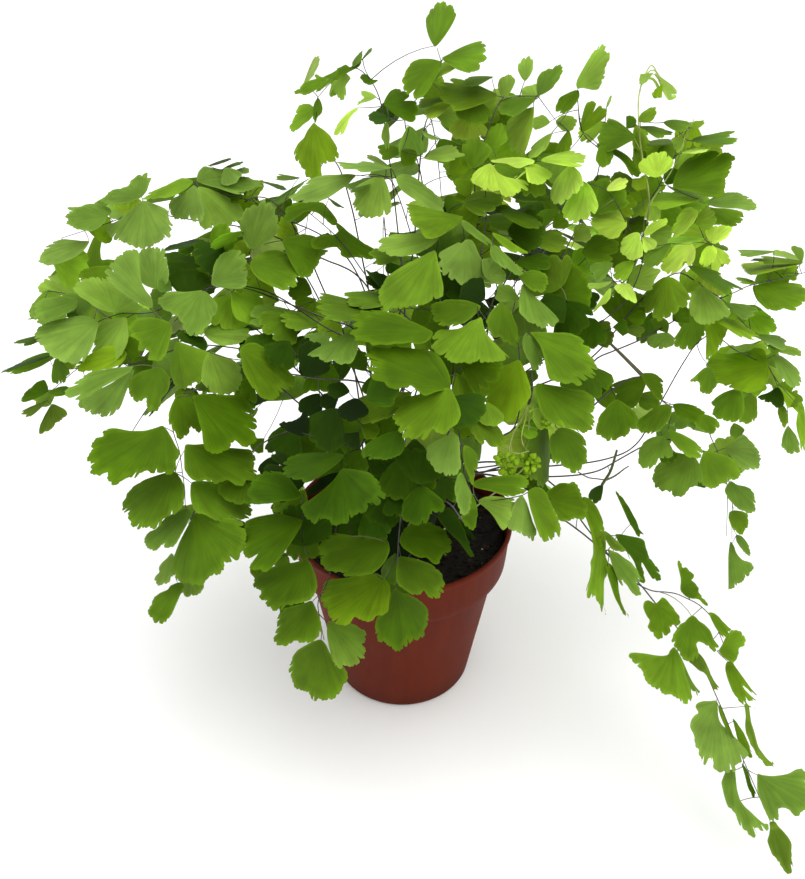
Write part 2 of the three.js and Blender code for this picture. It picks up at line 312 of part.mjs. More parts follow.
      [84.2,23.8,250.1,0.856,0.127,0.5,-0.501,-0.026,0.865,8.3,-47,10.1,11.8,55,6],
    ],
    forks: [[-1, 5.51], [0, 1], [-1, 6], [5, 1], [3, 1], [2, 1]],
  },
  frond_24: {
    stem: [[17, -10.6, 89], [19, -11, 118.2], [16.6, -12.2, 147.5], [19.8, -14, 176.7], [25.3, -8.4, 204.3], [32.1, 8.8, 227], [34.4, 23.8, 251.8], [55.3, 31.3, 260.1]],
    leaflets: [
      [35.5,21.3,262.9,0.275,-0.786,-0.554,0.394,-0.434,0.81,17.9,-56,17.1,15.3,55,6],
      [55.7,19.1,264.5,0.986,-0.105,0.127,-0.118,0.086,0.989,18,-55,18.1,17.6,40,6],
      [54.3,23.9,262.8,-0.999,0.035,-0.027,-0.02,0.194,0.981,18.1,-56,18.7,18.1,56,6],
    ],
    forks: [[-1, 6.24], [2, 1], [-1, 6.85]],
  },
  frond_25: {
    stem: [[9.4, 17.6, 89], [16.4, 16.8, 116.2], [32.9, 13.8, 138.7], [55.5, 7.7, 154.6], [77.1, -2.5, 169.5], [77.6, -17.8, 192.1], [100.7, -3.9, 195.8], [123.4, 12.7, 199.2], [145.1, 30.9, 198.3], [168.5, 46.5, 197.9], [194.5, 56, 200.2]],
    leaflets: [
      [169.4,48,212.4,-0.927,0.324,-0.191,-0.076,0.335,0.939,17.7,-48,18.2,17.7,48,1],
      [183.4,48.1,207,-0.939,0.338,-0.069,0,0.199,0.98,18.7,-30,19,18.7,30,6],
      [184.8,51,205.1,-0.91,0.325,-0.257,-0.133,0.358,0.924,29.4,-57,30.5,29.4,57,2],
      [161.1,39.4,200.7,-0.933,0.359,0.014,0.106,0.237,0.966,9.9,-57,10.2,9.9,57,1],
      [158.6,36.8,200.5,0.7,-0.712,-0.05,0.021,-0.049,0.999,24.2,-61,24,20.3,42,2],
      [183.7,49.9,206.1,-0.048,0.671,0.74,0.444,-0.649,0.617,10.3,-45,9.5,7.5,22,4],
    ],
    forks: [[-1, 9.01], [5, 1], [-1, 9.59], [-1, 8.62], [3, 1], [2, 1]],
  },
  frond_26: {
    stem: [[4.7, 15.8, 89], [9.8, 15.9, 116.8], [23.2, 10.9, 141.1], [44.4, 6.3, 159.3], [69.4, 3.9, 172.5], [90.7, 9, 189.8], [108.7, 18.2, 209.4], [132.9, 22.4, 206], [153.6, 25.3, 187.6], [177.1, 30.4, 173]],
    leaflets: [
      [111.6,10.1,218.3,-0.214,-0.549,-0.808,-0.82,-0.349,0.454,18.8,-58,19.3,18.3,58,3],
      [128.2,14.6,211.4,0.134,-0.72,-0.681,0.362,-0.604,0.71,18.1,-49,17.6,15,44,3],
      [121.5,17.1,219.6,0.883,-0.396,-0.252,0.306,0.078,0.949,21.6,-47,22.2,21.6,47,3],
      [142,21.6,199.7,0.865,-0.501,0.022,0.054,0.136,0.989,10.3,-31,14.3,18.7,51,3],
      [136.5,13.4,196.7,0.875,-0.396,-0.277,0.35,0.125,0.928,19.9,-57,20.6,19.9,57,3],
      [156.1,18.9,185.2,0.909,-0.394,-0.132,0.226,0.202,0.953,16.6,-49,17.1,16.6,49,3],
      [163.8,19.9,179.5,0.921,-0.39,-0.008,0.143,0.319,0.937,18.8,-51,19.4,18.8,51,3],
    ],
    forks: [[-1, 6.09], [-1, 6.77], [-1, 6.47], [-1, 7.38], [3, 1], [-1, 8.18], [-1, 8.44]],
  },
  frond_27: {
    stem: [[2.2, 9.2, 89], [19.5, 9.5, 110.3], [47.8, 11.9, 115.5], [76.4, 13.5, 116.9], [104.4, 14.8, 122.3], [117.8, 14.8, 146.6], [126.5, 14.4, 174], [145.1, 16.2, 181.8], [168.4, 23.2, 166.6]],
    leaflets: [
      [133.5,14.1,195.3,0.131,-0.384,-0.914,0.864,-0.407,0.295,26.4,-56,27.3,26.4,56,2],
      [165.4,16.2,170.7,-0.955,0.213,-0.207,-0.195,0.075,0.978,26.8,-59,26.9,27.2,52,4],
      [169,20.3,174.6,0.651,-0.496,-0.575,0.447,-0.362,0.818,16.8,-39,19.3,20.3,43,3],
      [150,5.7,165.6,-0.368,-0.335,-0.867,-0.856,-0.242,0.457,15.4,-47,16.3,15.8,52,2],
      [158.4,10.4,159.4,0.069,-0.485,-0.872,0.735,-0.567,0.373,12.1,-42,14.2,14.3,52,4],
      [160.9,20.2,158.9,0.764,-0.558,-0.325,0.102,-0.393,0.914,6.8,-53,7.2,7.2,48,2],
    ],
    forks: [[-1, 6.67], [-1, 7.72], [-1, 7.86], [4, 1], [5, 1], [-1, 7.86]],
  },
  frond_28: {
    stem: [[7, -18.7, 89], [11.1, -21.1, 117.1], [25.9, -28.2, 139.5], [49.1, -34.1, 154.3], [72, -24.6, 165.5], [92.8, -11.6, 178.6], [113.1, -5.9, 166.9], [134.8, 3.4, 152.5], [147.8, 11.5, 129.3], [159.1, 15.8, 104.3], [161.8, 7.5, 77.4]],
    leaflets: [
      [88.6,-26.1,180.3,-0.049,-0.408,-0.911,0.542,-0.778,0.319,19,-47,18.5,16.8,43,2],
      [87,-18.9,182.6,-0.905,0.104,-0.413,-0.412,0.031,0.911,10.4,-46,9.9,9,33,1],
      [116.4,-11.2,168.1,0.952,-0.295,0.075,-0.019,0.188,0.982,13.5,-25,17.4,21.9,55,2],
      [117.3,-8,152.8,0.758,-0.54,-0.367,0.414,-0.037,0.909,17.5,-26,18.7,19.6,35,2],
    ],
    forks: [[1, 1], [-1, 4.87], [-1, 6], [-1, 6.28]],
  },
  frond_29: {
    stem: [[6, 0.5, 89], [20.5, 1.3, 111], [47.1, 5.7, 115.5], [74.7, 8.1, 114.3], [100.1, 7.8, 122.8], [123.1, 6.6, 137.1], [146.4, 10.7, 123.8], [161.3, 13.1, 101.2], [165.3, 8.5, 74.5]],
    leaflets: [
      [117.2,-5.8,147.5,-0.57,-0.348,-0.745,-0.801,0.031,0.598,17.3,-39,17.8,17.4,41,4],
      [134.4,1,132.1,-0.49,-0.456,-0.743,-0.818,-0.054,0.572,19.8,-36,22.9,24.6,50,4],
      [139.6,2.7,133.7,0.24,-0.767,-0.595,0.087,-0.593,0.8,20.7,-40,19.6,17.5,23,2],
      [151.1,7.7,131.3,0.908,-0.376,-0.184,0.225,0.068,0.972,19.2,-62,17.6,16.4,54,3],
      [157.3,8.5,111.9,0.3,-0.835,-0.461,0.577,-0.226,0.785,19.3,-64,19.4,17.2,57,2],
      [164.6,3.8,81.9,0.44,-0.722,-0.534,0.714,-0.079,0.695,12.7,-64,12.8,12.1,56,3],
      [161.5,0.2,77.9,0.573,-0.358,-0.737,0.418,-0.647,0.638,16.3,-21,20.5,23.1,46,4],
    ],
    forks: [[-1, 4.88], [2, 1], [-1, 5.54], [-1, 5.94], [-1, 6.5], [-1, 7.72], [5, 1]],
  },
  frond_30: {
    stem: [[-0.7, 20, 89], [0.8, 17.8, 117.6], [3.5, 12.9, 145.8], [8.7, 4.1, 172.6], [14.4, -2.9, 199.4], [7.7, 15.8, 219.9], [-0.1, 35.6, 239.2], [-19.4, 44.6, 248.8]],
    leaflets: [
      [-18.5,25.9,256.2,-0.96,-0.137,-0.244,-0.258,0.101,0.961,28.9,-58,30,28.9,58,3],
      [-4,21.4,260.8,-0.998,0.027,0.056,0.06,0.194,0.979,20,-54,20.7,20,54,3],
      [-8.3,31.2,253.8,-0.253,-0.495,-0.831,-0.722,-0.475,0.503,16.2,-46,18.3,19.8,52,3],
      [-5.8,25.5,255.1,0.892,-0.133,-0.431,0.443,0.078,0.893,24.8,-58,25.7,21.6,54,3],
    ],
    forks: [[2, 1], [3, 1], [-1, 6.51], [2, 1]],
  },
  frond_31: {
    stem: [[14, -14.2, 89], [17.7, -14.8, 114.7], [22.9, -17.5, 140.1], [30.4, -22.5, 164.4], [44, -24.9, 186.4], [47.7, -10, 206.2], [46.3, 4.7, 227.2]],
    leaflets: [
      [46.5,5.9,226.7,0.981,-0.177,0.083,-0.096,-0.072,0.993,14.4,-44,14.3,13.4,37,2],
      [72.4,20.1,229.8,0.704,0.157,0.692,-0.595,-0.401,0.696,7.9,-52,8,7.9,51,2],
      [60,6.9,210.5,0.921,0.034,0.388,-0.355,-0.336,0.872,7.4,-51,7.6,7.5,50,1],
    ],
    forks: [[-1, 6], [2, 1], [-1, 5.45]],
  },
  frond_32: {
    stem: [[4, 4.5, 89], [5.2, 3.5, 117.4], [9.1, 0.5, 145.5], [15.4, -4.8, 172.8], [10, -4.1, 198], [-10.5, 6.5, 214.7], [-26.2, 26.6, 226.7], [-44.9, 46.4, 235]],
    leaflets: [
      [-28.8,29.5,227.8,0.805,-0.446,-0.391,0.421,-0.033,0.906,16.6,-36,17.2,18.5,49,0],
      [-43.9,45.5,235.8,0.793,-0.121,-0.597,0.609,0.16,0.777,21.7,-64,22.6,21.7,64,1],
      [-34.4,43,237.7,-0.916,-0.377,-0.136,-0.11,-0.092,0.99,20,-41,18.9,17.5,29,1],
    ],
    forks: [[-1, 6.16], [-1, 7], [-1, 6.72]],
  },
  frond_33: {
    stem: [[20, -0.1, 89], [23.2, -0.7, 117.8], [31.4, 6, 144.5], [51.5, 12.9, 164.1], [73.6, 18.4, 181.8]],
    leaflets: [
      [56.8,-4.6,155.3,0.476,-0.798,-0.371,0.592,-0.021,0.805,20.5,-58,21.5,20.5,58,1],
    ],
    forks: [[-1, 2.84]],
  },
  frond_34: {
    stem: [[-0.9, 5.9, 89], [0.8, 6.5, 115.2], [5.1, 7.8, 141.1], [14.3, 11.1, 165.4], [29.9, 17.6, 185.5], [44.2, 25.3, 206.1], [58.8, 33.5, 226.2], [80.3, 45.4, 229.5], [98, 55.2, 213]],
    leaflets: [
      [31.2,19.7,189.8,-0.084,0.995,-0.047,0.385,0.076,0.92,22.3,-44,23.5,22.3,44,3],
      [42.8,19.2,197.9,0.753,-0.625,0.208,0.115,0.436,0.893,23.4,-50,24.7,23.4,50,2],
      [71.9,41,232.8,0.187,0.965,-0.184,0.566,0.047,0.823,21.2,-44,22.4,21.2,44,3],
    ],
    forks: [[-1, 4.13], [-1, 4.58], [-1, 6.62]],
  },
  frond_35: {
    stem: [[-6.5, 15.2, 89], [-3.1, 16.9, 118.8], [8.2, 20.5, 146], [28.1, 29.9, 166.2], [45.7, 44.7, 185.1], [62.8, 61.8, 202.4], [83.3, 82.3, 200.5], [99.4, 98.7, 181.5]],
    leaflets: [
      [68.5,61.2,202.5,0.949,-0.303,-0.084,0.262,0.616,0.743,15.8,-51,16.7,15.8,51,3],
      [80.9,55.9,198.3,0.902,-0.356,-0.244,0.416,0.57,0.709,21.3,-44,22.4,21.3,44,1],
      [67.6,86.1,196.9,-0.182,0.883,-0.433,0.329,0.469,0.819,22.9,-44,24.2,22.9,44,3],
      [84.4,102.2,182.8,-0.188,0.707,-0.681,0.388,0.691,0.61,22.7,-49,23.9,22.7,49,1],
    ],
    forks: [[-1, 5.15], [0, 1], [-1, 5.78], [-1, 6.75]],
  },
  frond_36: {
    stem: [[-5.1, 19.3, 89], [-4, 19.7, 116.4], [-1, 20.2, 143.6], [4.3, 22.2, 170.5], [14.5, 28.2, 195.1], [24.2, 40.2, 217.6], [31.2, 52.5, 241.2], [42.1, 72.2, 254.7], [53.1, 92.8, 241.5], [60.9, 107.9, 220]],
    leaflets: [
      [32.5,53.1,224.7,0.979,-0.17,0.115,0.033,0.684,0.729,24,-41,25.3,24,41,2],
      [65.8,90.1,229.7,0.707,-0.076,-0.704,0.705,0.16,0.691,21.2,-40,22.3,21.2,40,4],
      [65,112.3,217.3,0.808,-0.119,-0.577,0.503,0.649,0.571,22.4,-46,23.5,22.4,46,2],
    ],
    forks: [[-1, 5.56], [-1, 8.45], [-1, 9]],
  },
  frond_37: {
    stem: [[-12.3, 11, 89], [-10.4, 12.8, 115.6], [-5.5, 18.1, 141.3], [5.1, 28.9, 163], [16.8, 46, 179.8], [23.6, 63.1, 199.1], [31.6, 83.7, 213.5], [40.8, 107.2, 208.8], [47.7, 124.4, 189.6], [53.1, 137.8, 167.2]],
    leaflets: [
      [29.7,91,212.9,-0.667,0.678,-0.31,0.405,0.679,0.613,22.5,-46,23.6,22.5,46,1],
      [59.4,122.3,185.1,0.745,0.133,-0.653,0.507,0.523,0.685,22.9,-38,24.1,22.9,38,2],
      [44.2,118.6,188.6,-0.66,0.485,-0.574,-0.21,0.614,0.76,20.9,-52,22,20.9,52,2],
    ],
    forks: [[-1, 6.15], [-1, 8.26], [-1, 7.83]],
  },
  frond_38: {
    stem: [[-12.5, 15.6, 89], [-11.6, 16.4, 118], [-8.9, 18.1, 147], [-5.2, 22.3, 175.4], [1.9, 32.8, 201.4], [6, 48, 225.7], [8.2, 62.9, 250.5], [12.3, 87.6, 260.6], [16.3, 109.3, 242.3], [19.4, 124.7, 217.9], [22, 137.3, 191.8], [24.4, 148.3, 165]],
    leaflets: [
      [10.5,96.9,253.2,-0.614,0.358,-0.703,-0.387,0.64,0.664,22.5,-44,23.7,22.5,44,4],
      [33.1,116.6,220.6,0.81,-0.003,-0.587,0.484,0.568,0.665,22.9,-52,24.1,22.9,52,2],
      [21.1,151.2,160.8,-0.674,0.268,-0.688,-0.154,0.861,0.485,21.5,-53,22.6,21.5,53,2],
    ],
    forks: [[-1, 7.42], [-1, 8.84], [-1, 11]],
  },
  frond_39: {
    stem: [[-15.9, 4.4, 89], [-14.8, 7.9, 117.8], [-12, 18.3, 144.6], [-6.5, 38.4, 164.7], [-6.2, 61.2, 182.5], [-7.9, 83.6, 200.7], [-9.4, 111.7, 202.2], [-10.3, 133.6, 183.5], [-10.7, 150.1, 159.6], [-10.9, 163.9, 133.9], [-11, 175.7, 107.4]],
    leaflets: [
      [-2.5,73.2,192.4,0.905,0.426,0.012,-0.285,0.584,0.76,17.9,-39,18.8,17.9,39,2],
      [8.4,82.2,191.8,0.811,0.585,-0.028,-0.41,0.601,0.687,22.2,-41,23.3,22.2,41,4],
      [-6.4,128.2,186.8,0.733,0.365,-0.575,0.087,0.787,0.61,21.4,-45,22.6,21.4,45,4],
      [-14.4,169.8,118.9,-0.696,0.221,-0.683,-0.377,0.698,0.609,20.1,-55,21.2,20.1,55,2],
    ],
    forks: [[-1, 4.48], [0, 1], [-1, 6.77], [-1, 9.59]],
  },
  frond_40: {
    stem: [[-16.5, -0.3, 89], [-16.2, 1.4, 117.2], [-15.3, 5.7, 145.1], [-13.9, 15.2, 171.5], [-14.3, 31.9, 194.2], [-19.4, 47.3, 217.1], [-26, 63.2, 239.3], [-36.1, 87.3, 240.8], [-43.8, 105.4, 220.8], [-49.6, 118.9, 196.7], [-54.4, 130.1, 171.3]],
    leaflets: [
      [-13.2,40.7,209.8,0.74,0.628,0.24,-0.581,0.419,0.698,21.9,-46,23,21.9,46,4],
      [-54.5,97.3,218.7,-0.746,-0.052,-0.664,-0.34,0.887,0.313,23.5,-41,24.7,23.5,41,4],
      [-58.2,131.3,170.4,-0.808,-0.142,-0.572,-0.582,0.349,0.735,22.4,-42,23.5,22.4,42,2],
    ],
    forks: [[-1, 4.57], [-1, 7.97], [-1, 10]],
  },
  frond_41: {
    stem: [[-9.4, 1.3, 89], [-11.7, 3.5, 116.2], [-14.8, 12.9, 141.8], [-23.2, 29.9, 161.3], [-35.3, 47.9, 178.1], [-48, 64.8, 195.3], [-64, 86, 198.2], [-77.4, 103.4, 182.2], [-87.7, 116.7, 160.6]],
    leaflets: [
      [-52.8,63.9,193.9,-0.916,-0.235,-0.325,-0.383,0.269,0.884,23.7,-40,24.9,23.7,40,4],
      [-54.3,79.6,197.7,0.295,0.889,-0.351,-0.31,0.437,0.845,22.3,-40,23.4,22.3,40,1],
      [-86.4,111.1,168.5,-0.73,-0.148,-0.668,-0.642,0.483,0.595,23.6,-47,24.8,23.6,47,4],
    ],
    forks: [[-1, 5.01], [-1, 5.63], [-1, 7.59]],
  },
  frond_42: {
    stem: [[-17.9, 9, 89], [-18.3, 9.8, 117.3], [-19.2, 11.7, 145.5], [-22.4, 16.9, 173], [-32.5, 28.3, 196.7], [-43.8, 39.6, 219.9], [-60.2, 56, 234.1], [-76.4, 74.6, 222.5], [-89.4, 83.1, 199]],
    leaflets: [
      [-25.4,27.6,186.9,0.389,0.921,-0.029,-0.774,0.344,0.532,21.4,-41,22.5,21.4,41,2],
      [-36,27.3,192.8,-0.744,-0.571,-0.347,-0.629,0.422,0.653,21.5,-40,22.6,21.5,40,1],
      [-56.9,56.8,233.8,0.343,0.924,-0.171,-0.546,0.344,0.764,20.8,-56,21.9,20.8,56,2],
    ],
    forks: [[-1, 3.57], [-1, 3.96], [-1, 5.91]],
  },
  frond_43: {
    stem: [[-11.7, -11.6, 89], [-14.5, -8.2, 117.1], [-23.1, 2, 142], [-40, 17, 159.1], [-59.8, 26.4, 177.1], [-83.2, 35.9, 189.5], [-108.1, 45.5, 181.7], [-127.2, 52.6, 161.9]],
    leaflets: [
      [-68,6.3,175.8,-0.672,-0.74,-0.011,-0.262,0.224,0.939,22.8,-46,24,22.8,46,2],
      [-78.4,31.1,185.7,-0.855,-0.518,-0.025,-0.234,0.343,0.91,23,-41,24.2,23,41,2],
      [-111.2,31.5,176.8,-0.651,-0.462,-0.602,-0.738,0.201,0.644,23.3,-56,24.5,23.3,56,1],
    ],
    forks: [[-1, 3.95], [-1, 4.77], [-1, 6.1]],
  },
  frond_44: {
    stem: [[-18.9, -6.5, 89], [-21.5, -4.2, 118.6], [-32.8, 3.9, 144.5], [-54.9, 9.3, 163.7], [-81.5, 13.6, 174.8], [-106.8, 17.6, 160.9], [-125.2, 20.3, 137.5], [-139.9, 22.5, 111.6]],
    leaflets: [
      [-89.9,13.3,174.5,-0.469,0.771,-0.431,-0.486,0.182,0.855,23.1,-53,24.3,23.1,53,4],
      [-110.2,32.4,150.9,-0.194,0.683,-0.704,-0.67,0.433,0.604,23.1,-55,24.3,23.1,55,4],
      [-136.7,35.4,111.5,-0.179,0.727,-0.662,-0.697,0.382,0.607,21.9,-39,23.1,21.9,39,1],
    ],
    forks: [[-1, 4.24], [-1, 5.33], [-1, 7]],
  },
  unfurling_frond_01: {
    stem: [[13.7, 9.1, 89], [18.7, 13.2, 117.6], [30, 14.6, 144.2], [49.3, 21.5, 165.2], [72.4, 29.3, 181.3], [95.7, 36.1, 197.6], [105.3, 35.1, 224.1], [103.1, 37.9, 252], [100.5, 56.9, 274.4], [112.5, 64.3, 281.6]],
    leaflets: [
      [106,61.7,287.3,-0.804,0.343,-0.485,-0.557,-0.152,0.816,6.6,-61,6.3,5.3,29,6],
      [108,62.5,285.9,0.768,-0.182,-0.613,0.446,-0.534,0.718,10.3,-19,11.9,12.4,37,5],
      [110.1,58.5,283.7,-0.686,0.055,-0.725,-0.681,-0.398,0.614,6.6,-55,5.3,4.4,13,5],
      [102.3,31.9,252.7,-0.838,-0.082,-0.54,-0.526,-0.144,0.838,6.7,-66,6.1,5.7,52,6],
    ],
    forks: [[1, 1], [-1, 8.97], [1, 1], [-1, 6.98]],
  },
  unfurling_frond_02: {
    stem: [[1.7, -19.9, 89], [5.3, -27.4, 115.8], [20.5, -44.5, 128.4], [35.1, -54.8, 151.5], [47.7, -64.6, 175.9], [48.8, -52.4, 196.8]],
    leaflets: [
      [52.5,-61.8,189.4,-0.001,0.567,0.823,0.782,-0.512,0.354,7.9,-56,8.7,8.8,58,5],
      [39.9,-77.4,193.1,-0.003,0.549,0.836,0.931,-0.302,0.202,10.1,-54,12,13,61,5],
      [40,-77.7,190.6,-0.953,-0.203,-0.223,-0.216,-0.058,0.975,8.9,-54,7.3,6,27,5],
      [43.4,-74.9,188.5,-0.093,-0.588,-0.804,0.816,-0.507,0.276,8.7,-56,8.1,7,48,5],
      [46.6,-72.5,187.7,0.593,-0.517,-0.617,0.616,-0.2,0.761,5.6,-59,5.5,5.1,55,5],
    ],
    forks: [[-1, 4.62], [2, 1], [3, 1], [4, 1], [-1, 4.27]],
  },
};
const SHADES = [0x2c4a12, 0x3a5f16, 0x4f7d22, 0x5f8f3c, 0x7c9c2a, 0xa2c83a, 0xc3de74];

const wasm = await Module();
wasm.setup();

function toSolid(geometry) {
  const g = geometry.clone();
  g.deleteAttribute("normal");
  g.deleteAttribute("uv");
  const m = mergeVertices(g, 1e-4);
  return new wasm.Manifold(
    new wasm.Mesh({ numProp: 3, vertProperties: m.attributes.position.array, triVerts: new Uint32Array(m.index.array) }),
  );
}

function toGeometry(solid) {
  const mesh = solid.getMesh();
  const n = mesh.numProp;
  const position = new Float32Array(mesh.numVert * 3);
  for (let i = 0; i < mesh.numVert; i++) position.set(mesh.vertProperties.subarray(i * n, i * n + 3), i * 3);
  const g = new THREE.BufferGeometry();
  g.setAttribute("position", new THREE.BufferAttribute(position, 3));
  g.setIndex(new THREE.BufferAttribute(mesh.triVerts, 1));
  g.computeVertexNormals();
  return g;
}

const joined = (solids) => wasm.Manifold.union(solids);
const vec = (a) => new THREE.Vector3(a[0], a[1], a[2]);

// A stalk: a slim three-sided rod along a smooth curve.
function stalkAlong(points, radius) {
  const section = new THREE.Shape(
    [0, 1, 2].map((i) => new THREE.Vector2(radius * Math.cos((i * 2 * Math.PI) / 3), radius * Math.sin((i * 2 * Math.PI) / 3))),
  );
  return toSolid(new THREE.ExtrudeGeometry(section, { steps: points.length - 1, extrudePath: curveOf(points), bevelEnabled: false }));
}
const curveOf = (points) => new THREE.CatmullRomCurve3(points.map(vec), false, "centripetal");

// A fine stalk ends just inside the base of its blade.
const twigEnd = (row) => vec(row).addScaledVector(vec(row.slice(3)), 0.6);

// The points where a frond's fine stalks leave the stem or another fine stalk.
function forkPoints(f) {
  const axis = curveOf(f.stem).getSpacedPoints(f.stem.length - 1);
  const found = [];
  const fork = (i) => {
    if (found[i]) return found[i];
    const [carrier, share] = f.forks[i];
    if (carrier < 0) {
      const k = Math.min(Math.floor(share), axis.length - 2);
      found[i] = axis[k].clone().lerp(axis[k + 1], share - k);
    } else found[i] = fork(carrier).clone().lerp(twigEnd(f.leaflets[carrier]), share);
    return found[i];
  };
  return f.leaflets.map((_, i) => fork(i));
}

// The straight fine stalk from its fork to its blade.
function twigBetween(from, row, radius) {
  const along = twigEnd(row).sub(from);
  const length = along.length();
  const section = new THREE.Shape(
    [0, 1, 2].map((i) => new THREE.Vector2(radius * Math.cos((i * 2 * Math.PI) / 3), radius * Math.sin((i * 2 * Math.PI) / 3))),
  );
  const rod = new THREE.ExtrudeGeometry(section, { depth: length, bevelEnabled: false });
  rod.applyQuaternion(new THREE.Quaternion().setFromUnitVectors(new THREE.Vector3(0, 0, 1), along.normalize()));
  rod.translate(from.x, from.y, from.z);
  return toSolid(rod);
}

// The fan-shaped blade of one leaflet: straight sides from the base, a rounded outer margin.
function blade(row) {
  const [bx, by, bz, vx, vy, vz, nx, ny, nz, leftLen, leftDeg, midLen, rightLen, rightDeg] = row;
  const v = new THREE.Vector3(vx, vy, vz).normalize();
  const n = new THREE.Vector3(nx, ny, nz).normalize();
  const u = new THREE.Vector3().crossVectors(v, n).normalize();
  n.crossVectors(u, v);
  const left = THREE.MathUtils.degToRad(leftDeg), right = THREE.MathUtils.degToRad(rightDeg);
  const marginRadius = (a) =>
    a < 0 ? leftLen + (midLen - leftLen) * Math.sin(((a - left) / -left) * (Math.PI / 2))
          : rightLen + (midLen - rightLen) * Math.sin(((right - a) / right) * (Math.PI / 2));
  const polar = (a) => new THREE.Vector2(marginRadius(a) * Math.sin(a), marginRadius(a) * Math.cos(a));
  const outline = [new THREE.Vector2(0, -0.45), polar(right)];
  const inner = midLen > 18 ? [2 / 3, 1 / 3] : [1 / 2];
  for (const t of inner) outline.push(polar(left + (right - left) * t));
  outline.push(polar(left));
  const fan = new THREE.ExtrudeGeometry(new THREE.Shape(outline), { depth: LEAF_T, bevelEnabled: false });
  fan.translate(0, 0, -LEAF_T / 2);
  fan.applyMatrix4(new THREE.Matrix4().makeBasis(u, v, n).setPosition(bx, by, bz));
  return toSolid(fan);
}

function frondSolid(f) {
  const forks = forkPoints(f);
  return joined([stalkAlong(f.stem, STIPE_R), ...f.leaflets.flatMap((row, i) => [blade(row), twigBetween(forks[i], row, TWIG_R)])]);
}

const solids = new Map();
for (const [name, f] of Object.entries(FRONDS)) solids.set(name, frondSolid(f));

// ---- pot ------------------------------------------------------------------------------------------------------------
const rim = POT_RIM_D / 2, wallTop = POT_WALL_TOP_D / 2, base = POT_BASE_D / 2;
const bandZ = POT_H - POT_BAND_H;
const wallAt = (z) => base + (wallTop - base) * (z / bandZ);
const edge = [0, 45, 90].map((deg) => {
  const a = THREE.MathUtils.degToRad(deg);
  return [wallAt(POT_EDGE_R) - POT_EDGE_R + POT_EDGE_R * Math.sin(a), POT_EDGE_R - POT_EDGE_R * Math.cos(a)];
});
const lathe = (profile, segments) => {
  const points = profile.map(([r, z]) => new THREE.Vector2(r, z));
  return toSolid(new THREE.LatheGeometry(points, segments).rotateX(Math.PI / 2));
};
const cavity = (z) => wallAt(z) - POT_WALL_T; // inside radius of the wall below the rim band
const bandInside = rim - 2.2 - POT_WALL_T; // inside radius of the rim band at its foot
const mouth = rim - POT_WALL_T; // inside radius at the lip
let pot = lathe([
  [0, 0], ...edge, [wallTop, bandZ], [rim - 2.2, bandZ + 0.8], [rim, POT_H - 0.6], [rim - 0.5, POT_H],
  [mouth, POT_H], [bandInside, bandZ + 2.6], [cavity(bandZ), bandZ + 1.2],
  [cavity(POT_FLOOR_T), POT_FLOOR_T], [0, POT_FLOOR_T],
], 32);
for (let i = 0; i < DRAIN_N; i++) {
  const a = ((i + 0.5) / DRAIN_N) * 2 * Math.PI;
  const hole = new THREE.CylinderGeometry(DRAIN_D / 2, DRAIN_D / 2, 3 * POT_FLOOR_T, 8).rotateX(Math.PI / 2);
  hole.translate((DRAIN_CIRCLE_D / 2) * Math.cos(a), (DRAIN_CIRCLE_D / 2) * Math.sin(a), POT_FLOOR_T / 2);
  pot = pot.subtract(toSolid(hole));
}

// ---- rootstock and soil -----------------------------------------------------------------------------------------------
// The rootstock creeps just under the surface, a low mat in a hollow of the soil, and the stalks rise from its top.
const crown = CROWN_Z - GAP;
const rootstock = lathe([[0, crown - ROOTSTOCK_H], [ROOTSTOCK_R - 5, crown - ROOTSTOCK_H], [ROOTSTOCK_R, crown - 1.6], [ROOTSTOCK_R - 2, crown], [0, crown]], 20);
const soilTopR = bandInside + ((SOIL_TOP_Z - bandZ - 2.6) / (POT_H - bandZ - 2.6)) * (mouth - bandInside) - GAP;
const soil = lathe([
  [0, POT_FLOOR_T + GAP], [cavity(POT_FLOOR_T) - GAP, POT_FLOOR_T + GAP], [cavity(bandZ) - GAP, bandZ + 1.2],
  [bandInside - GAP - 0.1, bandZ + 2.6 + GAP], [soilTopR - 0.2, SOIL_TOP_Z], [ROOTSTOCK_R + GAP + 0.2, SOIL_TOP_Z + SOIL_MOUND],
  [ROOTSTOCK_R + GAP + 0.2, crown - 1.6], [ROOTSTOCK_R - 5 + GAP, crown - ROOTSTOCK_H - GAP - 0.1], [0, crown - ROOTSTOCK_H - GAP - 0.1],
], 32);

// ---- the assembly -----------------------------------------------------------------------------------------------------
const material = (color, roughness, metalness = 0) => new THREE.MeshStandardMaterial({ color, roughness, metalness, side: THREE.DoubleSide });
function piece(name, solid, look) {
  const mesh = new THREE.Mesh(toGeometry(solid), look);
  mesh.name = name;
  return mesh;
}

const potted = new THREE.Group();
potted.add(piece("pot", pot, material(0x6b3424, 0.62)));
potted.add(piece("potting_soil", soil, material(0x14100c, 0.97)));
potted.add(piece("rootstock", rootstock, material(0x2a1d12, 0.9)));
const fern = new THREE.Group();
for (const [name, f] of Object.entries(FRONDS)) {
  const shade = Math.round(f.leaflets.reduce((s, row) => s + row[14], 0) / Math.max(1, f.leaflets.length));
  fern.add(piece(name, solids.get(name), material(SHADES[shade], 0.5)));
}
potted.add(fern);

export default potted;
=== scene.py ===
"""Looks of the potted maidenhair fern: every frond with its lobed leaflets, the pot, the soil and the rootstock.

Lengths in the tables are millimetres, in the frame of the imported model. The side that the camera sees is -Y.
"""
import math
import zlib

